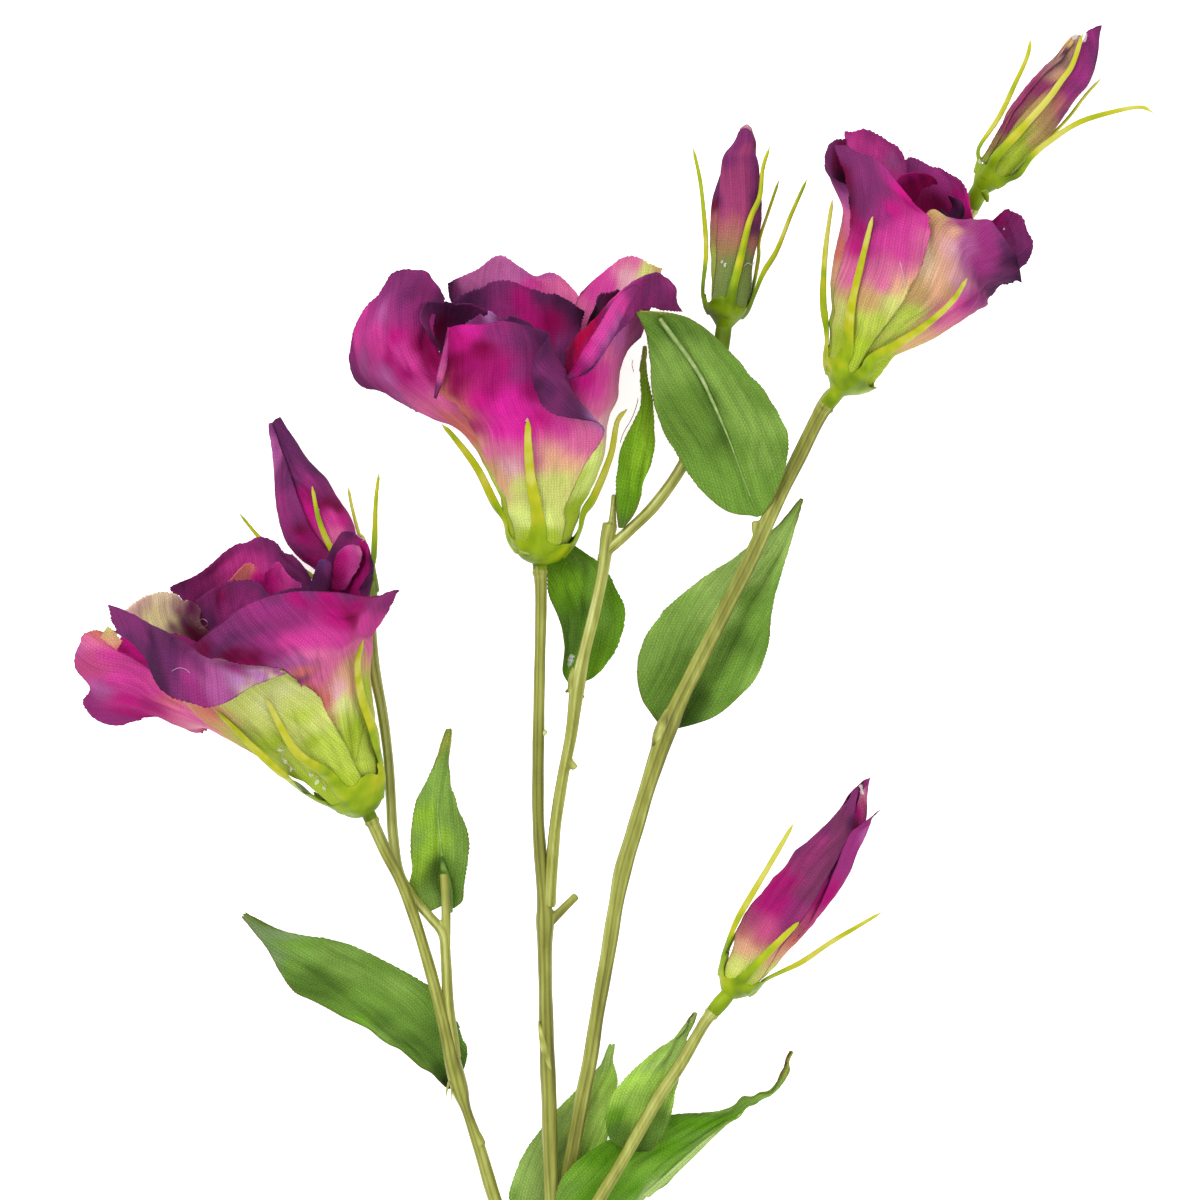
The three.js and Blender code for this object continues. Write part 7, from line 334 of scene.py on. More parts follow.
          [(107.6, 213.65, 16.05), (106.6, 214.45, 13.85), (106.4, 214.7, 11.35), (107.05, 214.3, 8.9), (108.7, 213.25, 7.4), (110.55, 212, 6.85), (112.25, 210.8, 7.3)],
          [(111.6, 217.4, 16), (110.65, 218.15, 14), (110.4, 218.4, 11.7), (111, 218.1, 9.45), (112.5, 217.1, 8.1), (114.2, 215.95, 7.7), (115.65, 214.9, 8.15)],
          [(114.5, 221.25, 14.65), (113.6, 221.9, 13.45), (113.5, 222.55, 12.05), (114.15, 223.25, 10.8), (115.25, 223.6, 10), (116.3, 223.6, 9.7), (117.25, 223.3, 10.15)],
          [(114.85, 222.6, 13.7), (114.65, 223.1, 13.1), (114.75, 223.3, 12.3), (115.05, 223.65, 11.6), (115.6, 223.85, 11.1), (116.15, 223.85, 10.95), (116.65, 223.7, 11.15)]],
    'bud_c_petal_front':
         [[(23.5, 154.9, 23.4), (24.55, 154.7, 24.55), (26, 154.55, 25.15), (27.55, 154.35, 25.05), (28.95, 154.25, 24.3), (29.9, 154.2, 23.05)],
          [(23.75, 158.95, 24.45), (25.15, 158.7, 25.8), (27, 158.5, 26.45), (28.95, 158.25, 26.3), (30.7, 158.15, 25.3), (31.85, 158.1, 23.7)],
          [(23.75, 167.2, 25.9), (25.5, 166.95, 27.3), (27.7, 166.7, 27.9), (30, 166.45, 27.6), (31.95, 166.3, 26.4), (33.25, 166.25, 24.55)],
          [(24.05, 176.55, 26.95), (26.1, 176.25, 28.6), (28.65, 175.9, 29.3), (31.25, 175.65, 28.95), (33.55, 175.45, 27.55), (35.1, 175.4, 25.4)],
          [(24.3, 182.85, 26.65), (26.15, 182.55, 28.45), (28.6, 182.25, 29.35), (31.2, 181.95, 29.25), (33.5, 181.75, 28.05), (35.2, 181.7, 26.05)],
          [(25.45, 190.4, 24.6), (26.6, 190.2, 26.75), (28.6, 189.9, 28), (31, 189.65, 28.15), (33.2, 189.45, 27.1), (34.55, 189.4, 25.1)],
          [(28.55, 194.45, 24.2), (29.25, 194, 26.05), (30.45, 193.75, 26.95), (31.75, 193.9, 26.9), (33, 194.25, 25.9), (34.1, 194.7, 24.2)],
          [(29.3, 198.2, 24.1), (29.8, 198.6, 24.9), (30.5, 198.95, 25.55), (31.5, 199.05, 25.65), (32.3, 198.6, 25.1), (33.1, 197.95, 24.2)]],
    'bud_c_petal_back':
         [[(24.9, 154.75, 23.35), (24.15, 154.9, 22.2), (24.15, 154.95, 20.8), (24.95, 154.95, 19.6), (26.25, 154.8, 19.05), (27.7, 154.65, 19.25), (28.75, 154.5, 20.15), (29.15, 154.35, 21.5), (28.75, 154.35, 22.85)],
          [(25.35, 158.75, 24.5), (24, 159, 22.95), (23.7, 159.15, 20.75), (24.9, 159.1, 18.8), (26.95, 158.95, 17.75), (29.2, 158.7, 18), (30.95, 158.4, 19.45), (31.4, 158.25, 21.65), (30.6, 158.25, 23.55)],
          [(25.65, 167, 25.9), (23.45, 167.35, 24.2), (22.55, 167.6, 21.2), (24.05, 167.6, 18.3), (26.85, 167.35, 16.7), (30.1, 167, 16.9), (32.7, 166.6, 18.85), (33.1, 166.4, 21.95), (31.9, 166.4, 24.45)],
          [(26.2, 176.3, 27.05), (23.7, 176.7, 25), (22.65, 177, 21.55), (24.4, 176.95, 18.15), (27.65, 176.7, 16.3), (31.4, 176.3, 16.55), (34.4, 175.85, 18.8), (34.95, 175.6, 22.4), (33.55, 175.6, 25.3)],
          [(26.45, 182.6, 26.8), (24.25, 182.95, 24.8), (23.45, 183.25, 21.45), (25.25, 183.2, 18.4), (28.4, 182.95, 16.8), (31.95, 182.55, 17.1), (34.75, 182.1, 19.25), (35.2, 181.85, 22.65), (33.9, 181.9, 25.35)],
          [(27.25, 190.2, 24.95), (26.25, 190.4, 23.4), (26.2, 190.5, 21.3), (27.65, 190.45, 19.55), (29.8, 190.25, 18.65), (32, 190, 19.25), (33.65, 189.75, 20.75), (33.85, 189.6, 22.9), (33.05, 189.6, 24.55)],
          [(29.3, 195, 23.7), (29.1, 195.1, 22.7), (29.4, 195.45, 21.7), (30.15, 195.75, 20.95), (31.2, 195.8, 20.65), (32.2, 195.75, 20.85), (33.15, 195.7, 21.55), (33.65, 195.35, 22.55), (33.6, 195, 23.55)],
          [(30.05, 198.75, 23.7), (30.1, 199.3, 23.25), (30.6, 199.75, 22.75), (31.1, 200.15, 22.5), (31.65, 200.4, 22.4), (31.85, 200.15, 22.5), (32.35, 199.6, 22.65), (32.6, 198.8, 23.1), (32.6, 198.25, 23.5)]],
    'bud_d_petal_left':
         [[(-68.2, 81.7, 7.25), (-69.15, 81.3, 8.75), (-69.35, 81.25, 10.55), (-68.75, 81.65, 12.2), (-67.5, 82.35, 13.35), (-65.9, 83.2, 13.6)],
          [(-70.9, 85.15, 6.2), (-72.15, 84.6, 8.1), (-72.45, 84.5, 10.4), (-71.75, 85, 12.6), (-70.2, 85.85, 14.15), (-68.15, 86.95, 14.65)],
          [(-77.1, 90.25, 4.05), (-78.95, 89.4, 6.8), (-79.45, 89.25, 10.2), (-78.5, 89.9, 13.45), (-76.35, 91.15, 15.8), (-73.45, 92.7, 16.75)],
          [(-82.25, 96.6, 2.6), (-84.45, 95.6, 5.8), (-85.15, 95.45, 9.8), (-84.15, 96.1, 13.65), (-81.75, 97.5, 16.55), (-78.4, 99.3, 17.9)],
          [(-85.15, 105.55, 2.85), (-87.1, 104.65, 5.75), (-87.75, 104.45, 9.25), (-86.95, 105.05, 12.75), (-84.85, 106.25, 15.4), (-81.85, 107.85, 16.7)],
          [(-86.95, 114.75, 4.95), (-88.15, 114.2, 6.65), (-88.5, 114.1, 8.75), (-88, 114.45, 10.85), (-86.75, 115.15, 12.4), (-85, 116.1, 13.2)],
          [(-88.6, 121.2, 6.3), (-89.55, 121.9, 7.25), (-89.45, 122.4, 8.55), (-88.85, 122.6, 9.75), (-88.05, 122.3, 10.45), (-87.25, 121.8, 10.8)],
          [(-89.3, 124.75, 6.95), (-89.9, 125.25, 7.35), (-90, 125.45, 8.1), (-89.65, 125.7, 8.8), (-89.25, 125.9, 9.1), (-88.85, 125.65, 9.35)]],
    'bud_d_petal_right':
         [[(-66.7, 82.75, 12.45), (-65.5, 83.35, 12.4), (-64.45, 83.85, 11.7), (-63.9, 84.1, 10.45), (-64, 84, 9.1), (-64.7, 83.55, 8), (-65.85, 82.95, 7.45), (-67, 82.35, 7.7), (-67.95, 81.9, 8.55)],
          [(-69.15, 86.35, 13.3), (-67.4, 87.3, 13.6), (-65.6, 88.2, 12.75), (-64.6, 88.65, 10.8), (-64.65, 88.5, 8.55), (-65.7, 87.85, 6.7), (-67.5, 86.9, 5.7), (-69.4, 85.95, 6.2), (-70.7, 85.3, 7.65)],
          [(-74.95, 91.8, 15.1), (-72.05, 93.4, 16), (-68.85, 95, 14.85), (-67, 95.85, 11.55), (-66.85, 95.7, 7.7), (-68.55, 94.7, 4.35), (-71.55, 93.05, 2.55), (-74.85, 91.4, 3.35), (-77, 90.35, 5.75)],
          [(-80.15, 98.3, 15.9), (-76.6, 100.2, 17.15), (-72.65, 102.25, 15.95), (-70.15, 103.35, 12.05), (-69.85, 103.3, 7.3), (-71.85, 102.1, 3.15), (-75.45, 100.1, 0.8), (-79.5, 98, 1.65), (-82.3, 96.7, 4.55)],
          [(-83.15, 107.1, 14.75), (-80.05, 108.8, 15.95), (-76.4, 110.65, 15), (-74.15, 111.65, 11.45), (-73.9, 111.6, 7.1), (-75.7, 110.5, 3.35), (-79, 108.7, 1.2), (-82.6, 106.85, 2.1), (-85.05, 105.7, 4.8)],
          [(-85.6, 115.75, 11.35), (-84.05, 116.6, 12.4), (-81.85, 117.75, 12.25), (-80.45, 118.35, 10.15), (-80.25, 118.35, 7.55), (-81.3, 117.7, 5.3), (-83.25, 116.65, 4), (-85.35, 115.6, 4.85), (-86.4, 115.1, 6.55)],
          [(-87.85, 120.8, 9.5), (-86.05, 121.3, 9.95), (-84.55, 122.1, 9.45), (-84.35, 122.9, 8.3), (-84.95, 123.7, 7.2), (-86.05, 124, 6.35), (-87.1, 123.75, 5.85), (-88.1, 123.25, 5.85), (-88.6, 122.7, 6.25)],
          [(-89.2, 125.2, 8.35), (-88.4, 126.2, 8.95), (-87.65, 126.95, 8.9), (-87.15, 127.25, 8.4), (-87.2, 127.25, 7.8), (-87.75, 127, 7.2), (-88.3, 126.8, 6.9), (-88.8, 126.25, 6.7), (-89.3, 125.75, 6.75)]],
}
LEAF = {
    'leaf_1':
         [[(-42.75, -43.25, 10.45), (-43.25, -43.5, 10.45), (-43.75, -43.75, 10.45), (-44.3, -43.5, 10.45), (-44.8, -43.25, 10.45)],
          [(-39.5, -37.5, 9.45), (-41.75, -38, 9.45), (-45.85, -39.6, 8.95), (-47.65, -40.05, 9.45), (-49.15, -40.5, 9.95)],
          [(-38.95, -30.35, 9.95), (-45.1, -32.45, 8.95), (-53.55, -33.85, 7.95), (-56.3, -34, 8.95), (-58.05, -33.65, 9.95)],
          [(-43.8, -21.45, 9.95), (-51.95, -25.05, 9.45), (-62.25, -27.25, 7.45), (-65.5, -27.45, 8.45), (-67.75, -27.6, 9.45)],
          [(-55, -13.6, 9.45), (-62.7, -16.45, 8.45), (-71.45, -19.4, 6.95), (-74.75, -21.15, 7.45), (-77.45, -22.1, 8.45)],
          [(-70.35, -6.55, 8.45), (-74.2, -9.9, 7.95), (-80.65, -12.8, 6.45), (-82.9, -16.1, 6.95), (-84.4, -18.3, 7.95)],
          [(-85.7, -3.55, 7.45), (-87.5, -5.1, 7.15), (-89.85, -6.15, 6.75), (-90.6, -6.9, 6.95), (-91.05, -7.65, 7.25)],
          [(-96.15, 1.15, 7.45), (-96.4, 0.9, 7.45), (-96.65, 0.55, 7.45), (-96.9, 0.3, 7.45), (-97.05, 0, 7.45)]],
    'leaf_2':
         [[(-48.25, 1.7, 13.55), (-46.7, 2.45, 13.45), (-45.7, 2.95, 13.25), (-44.45, 2.7, 13.35), (-43.15, 2.5, 13.55)],
          [(-51.3, 5.5, 12.95), (-49, 6.5, 13.15), (-45.95, 7, 12.95), (-43.4, 6.55, 13.65), (-40.85, 6.1, 14.75)],
          [(-53.2, 12.75, 15.95), (-49.95, 13.75, 15.05), (-46.2, 14.45, 14.35), (-42.35, 14, 15.05), (-38.55, 12.75, 15.75)],
          [(-53.4, 21.95, 17.25), (-50.15, 22.15, 16.45), (-46.65, 22.35, 15.75), (-42.3, 21.9, 16.45), (-38.35, 20.9, 16.95)],
          [(-52.1, 29.8, 18.15), (-49.6, 30.05, 17.45), (-46.85, 30.3, 16.95), (-43.55, 29.8, 17.45), (-40.75, 28.8, 17.95)],
          [(-48.3, 37.2, 18.95), (-46.55, 37.4, 18.55), (-45.05, 37.65, 18.25), (-43.75, 37.4, 18.55), (-42.5, 36.95, 18.95)],
          [(-45.75, 44, 19.75), (-45, 44.25, 19.55), (-44.25, 44.5, 19.45), (-43.45, 44.5, 19.55), (-42.7, 44.25, 19.75)],
          [(-44.2, 48.05, 20.25), (-43.8, 48.3, 20.25), (-43.45, 48.3, 20.25), (-43.05, 48.3, 20.25), (-42.7, 47.8, 20.25)]],
    'leaf_3':
         [[(-13.45, 59.65, 18.25), (-12.95, 59.65, 18.25), (-12.2, 59.65, 18.25), (-11.2, 59.9, 18.25), (-10.15, 60.15, 18.25)],
          [(-14.95, 63.45, 18.45), (-14.2, 63.15, 17.45), (-12.95, 63.4, 16.45), (-8.9, 62.4, 16.45), (-5.35, 62.4, 16.95)],
          [(-14.95, 69.25, 18.45), (-13.95, 68.95, 16.95), (-12.45, 69.2, 15.45), (-6.15, 68.45, 15.95), (-0.8, 67.45, 16.95)],
          [(-15.75, 76.05, 17.95), (-14.2, 76.05, 16.45), (-11.7, 76.3, 14.45), (-4.6, 76.05, 15.45), (1.7, 75.55, 16.45)],
          [(-18.25, 81.1, 16.45), (-15.5, 82.35, 14.95), (-12.2, 83.9, 12.95), (-5.9, 83.15, 14.45), (-0.3, 82.65, 15.45)],
          [(-19.3, 86.95, 13.95), (-16.55, 88.2, 12.95), (-14, 89.75, 11.75), (-9.2, 89.75, 12.55), (-4.85, 89.45, 13.95)],
          [(-20.35, 92.05, 10.95), (-18.35, 92.8, 10.75), (-16.55, 93.85, 10.35), (-14, 94.35, 10.95), (-11.45, 94.55, 11.95)],
          [(-21.15, 96.4, 8.95), (-20.65, 96.9, 8.95), (-20.15, 97.15, 8.95), (-19.4, 97.15, 8.95), (-18.85, 96.9, 8.95)]],
    'leaf_4':
         [[(-0.85, 98.9, 26.15), (-0.5, 98.65, 26.15), (-0.1, 98.65, 26.15), (0.4, 98.65, 26.15), (0.9, 98.9, 26.15)],
          [(-1.35, 104.4, 26.45), (-0.1, 104.2, 25.75), (1.4, 103.95, 25.35), (2.9, 103.95, 25.75), (4.15, 104.2, 26.35)],
          [(-1.6, 111.95, 26.75), (0.4, 111.95, 25.75), (2.65, 112, 25.35), (4.65, 111.95, 25.75), (6.65, 112.2, 26.55)],
          [(0.15, 120.45, 26.95), (2.4, 120.5, 25.95), (4.65, 120.5, 25.45), (6.65, 120.5, 25.95), (8.65, 120.7, 26.95)],
          [(4.4, 129.45, 27.15), (5.15, 129.5, 26.75), (6.15, 129.5, 26.45), (7.15, 129.5, 26.75), (8.05, 129.45, 27.15)],
          [(4.4, 137.75, 27.45), (4.9, 137.75, 27.25), (5.55, 137.75, 27.15), (6.05, 137.75, 27.25), (6.65, 137.75, 27.45)],
          [(5.25, 144.2, 27.95), (5.65, 144.45, 27.95), (5.9, 144.7, 27.95), (6.15, 144.45, 27.95), (6.55, 144.2, 27.95)]],
    'leaf_5':
         [[(32.95, 101.55, 20.35), (33.7, 101.55, 20.35), (34.45, 101.55, 20.35), (35.2, 101.8, 20.35), (36, 102.3, 20.35)],
          [(25.85, 103.25, 22.45), (29.1, 104.5, 21.95), (32.65, 106.05, 21.45), (36.45, 107.05, 21.95), (39.4, 108, 22.95)],
          [(18.95, 108.95, 26.45), (24, 111.2, 25.45), (29.3, 113.25, 24.45), (36.05, 115, 24.95), (42.05, 117, 25.95)],
          [(13.65, 116.85, 29.95), (19.4, 119.65, 28.45), (25.2, 122.7, 27.15), (33.15, 124.65, 28.95), (40.9, 125.6, 29.95)],
          [(9.6, 123.75, 32.95), (15.1, 126.8, 31.45), (21.9, 131.35, 29.95), (28.55, 134.25, 31.95), (35.25, 135.45, 33.45)],
          [(7.05, 132.75, 36.95), (11.55, 135.85, 35.45), (16.8, 140.35, 34.45), (21.5, 142.75, 35.95), (27.15, 143.45, 37.45)],
          [(6.25, 143.65, 42.55), (8.5, 144.9, 41.75), (10.95, 147.9, 41.15), (13.95, 149.4, 41.55), (17.4, 150.1, 42.35)],
          [(4.7, 149.05, 47.35), (5.2, 149.8, 47.15), (6.2, 150.75, 46.95), (7.45, 151.25, 47.15), (8.9, 151.5, 47.35)],
          [(3.45, 151.1, 49.35), (3.7, 151.25, 49.35), (3.95, 151.35, 49.35), (4.2, 151.5, 49.35), (4.7, 151.5, 49.35)]],
    'leaf_6':
         [[(10.15, 48.05, 10.75), (10.9, 47.8, 10.75), (11.65, 47.55, 10.75), (12.45, 47.55, 10.75), (13.2, 47.55, 10.75)],
          [(5.05, 55.95, 11.45), (8.6, 53.9, 10.45), (14.5, 53.35, 9.45), (20.05, 51.1, 10.45), (24.1, 51.1, 10.95)],
          [(4.05, 65.35, 11.95), (10.4, 63.3, 10.95), (19.3, 61.25, 9.95), (27.15, 56.95, 10.95), (33.25, 59.25, 11.95)],
          [(8.6, 75.8, 12.45), (15.2, 73, 11.45), (24.15, 69.65, 10.45), (31.5, 67.4, 11.45), (37.3, 67.9, 11.95)],
          [(18, 84.65, 12.45), (23.1, 81.6, 11.95), (29.2, 78.3, 10.95), (34.25, 77.05, 11.45), (38.55, 76.8, 11.95)],
          [(29.65, 93.05, 12.95), (32.2, 90.25, 12.45), (35.5, 87.7, 11.95), (38.3, 86.7, 12.45), (41.35, 88.2, 12.95)],
          [(39, 99.35, 13.95), (40.3, 98.1, 13.75), (41.55, 97.1, 13.45), (42.8, 97.1, 13.75), (43.8, 97.35, 13.95)],
          [(45.4, 106.55, 14.95), (45.7, 106.45, 14.95), (45.8, 106.45, 14.95), (46.05, 106.3, 14.95), (46.3, 106.2, 14.95)]],
    'leaf_7':
         [[(-21.25, -86.7, 1.95), (-20.5, -86.75, 1.85), (-20, -86.75, 1.75), (-19.45, -86.75, 1.75), (-18.95, -86.5, 1.75)],
          [(-26.6, -79.7, 2.65), (-23.55, -80, 2.15), (-19.45, -80.65, 1.45), (-16.4, -80.4, 1.45), (-13.05, -79.8, 1.75)],
          [(-28.9, -70.4, 3.15), (-23.8, -70.5, 2.55), (-17.4, -70.6, 1.65), (-11.8, -70.6, 1.85), (-6.65, -70, 2.35)],
          [(-25.85, -62.2, 3.25), (-20.2, -62, 2.75), (-13.3, -61.85, 1.95), (-8.45, -61.3, 2.35), (-4.1, -60.2, 2.95)],
          [(-19.45, -52.95, 3.55), (-15.1, -52.75, 3.15), (-9.7, -52.55, 2.55), (-5.35, -51.5, 2.95), (-1.8, -50.45, 3.35)],
          [(-11.75, -44.75, 3.75), (-8.7, -44.8, 3.45), (-5.65, -44.55, 3.15), (-3.05, -44.3, 3.35), (-0.75, -43.75, 3.55)],
          [(-5.35, -38.05, 4.35), (-4.35, -38.05, 4.15), (-3.05, -38.05, 4.05), (-2.05, -38.05, 4.15), (-1, -38.05, 4.35)],
          [(-3.05, -32.85, 4.95), (-2.7, -32.6, 4.95), (-2.3, -32.6, 4.95), (-1.9, -32.6, 4.95), (-1.4, -32.85, 4.95)]],
    'leaf_8':
         [[(-12, -88.95, 5.95), (-11.5, -89.45, 5.95), (-11, -89.95, 5.95), (-10.5, -90.45, 5.95), (-9.95, -91, 5.95)],
          [(-15.55, -81.95, 8.55), (-12, -83.4, 7.15), (-7.4, -85.35, 5.95), (-3.85, -86.35, 6.15), (-0.8, -87.1, 6.45)],
          [(-17.05, -72.45, 10.75), (-12.5, -74.25, 8.95), (-4.85, -76.85, 6.75), (1.5, -78.7, 6.15), (6.4, -76.7, 5.95)],
          [(-14, -64.3, 10.95), (-7.4, -67.05, 9.45), (2.8, -69.9, 6.95), (8.65, -70.05, 5.95), (13.55, -66.75, 5.75)],
          [(-5.1, -57.7, 8.95), (0.5, -59.6, 7.75), (8.95, -62.4, 5.95), (15.05, -62.45, 5.35), (19.65, -59.65, 5.55)],
          [(12, -50.85, 6.15), (14.05, -53.2, 5.95), (18.15, -56.05, 5.35), (22.25, -56.35, 5.15), (25.8, -54.5, 5.55)],
          [(25.8, -49.35, 6.15), (27.05, -50.4, 5.95), (28.85, -50.9, 5.75), (30.1, -51.15, 5.85), (31.4, -50.35, 6.15)],
          [(37.25, -44.8, 6.95), (37.6, -45.15, 6.95), (38, -45.55, 6.95), (38.5, -45.55, 6.95), (39, -45.15, 6.95)],
          [(41, -39.2, 8.15), (41.4, -39.45, 7.95), (41.8, -39.7, 7.95), (42.3, -39.95, 7.95), (42.8, -40.2, 8.15)],
          [(43.1, -34.2, 9.45), (43.5, -33.95, 9.45), (43.75, -33.95, 9.45), (44, -33.95, 9.45), (44.4, -34.45, 9.45)]],
    'leaf_9':
         [[(0.75, -59.2, 10.95), (1.25, -59.5, 10.95), (2, -59.5, 10.95), (2.75, -59.5, 10.95), (3.55, -59.5, 10.95)],
          [(-3.1, -56.2, 10.75), (-0.8, -56.25, 10.15), (2.75, -56.8, 9.75), (6.1, -58.8, 10.15), (8.1, -59.25, 10.55)],
          [(-4.1, -49.6, 10.55), (-0.55, -50.2, 9.95), (4.3, -51, 9.35), (8.9, -52.75, 9.95), (12.2, -52.65, 10.55)],
          [(-0.8, -42, 10.55), (2.75, -43.3, 9.95), (7.35, -44.4, 9.35), (11.15, -44.85, 9.95), (14.2, -44.55, 10.35)],
          [(6.05, -35.85, 10.55), (8.35, -37.2, 9.95), (11.15, -38.25, 9.55), (13.7, -38.5, 9.95), (15.75, -37.95, 10.25)],
          [(13.2, -30.05, 10.55), (14.2, -30.8, 10.35), (15.5, -31.35, 10.15), (16.5, -31.35, 10.25), (17.5, -31.3, 10.45)],
          [(18.4, -24.25, 10.95), (18.8, -24, 10.95), (19.05, -23.9, 10.95), (19.3, -24.15, 10.95), (19.55, -24.65, 10.95)]],
}
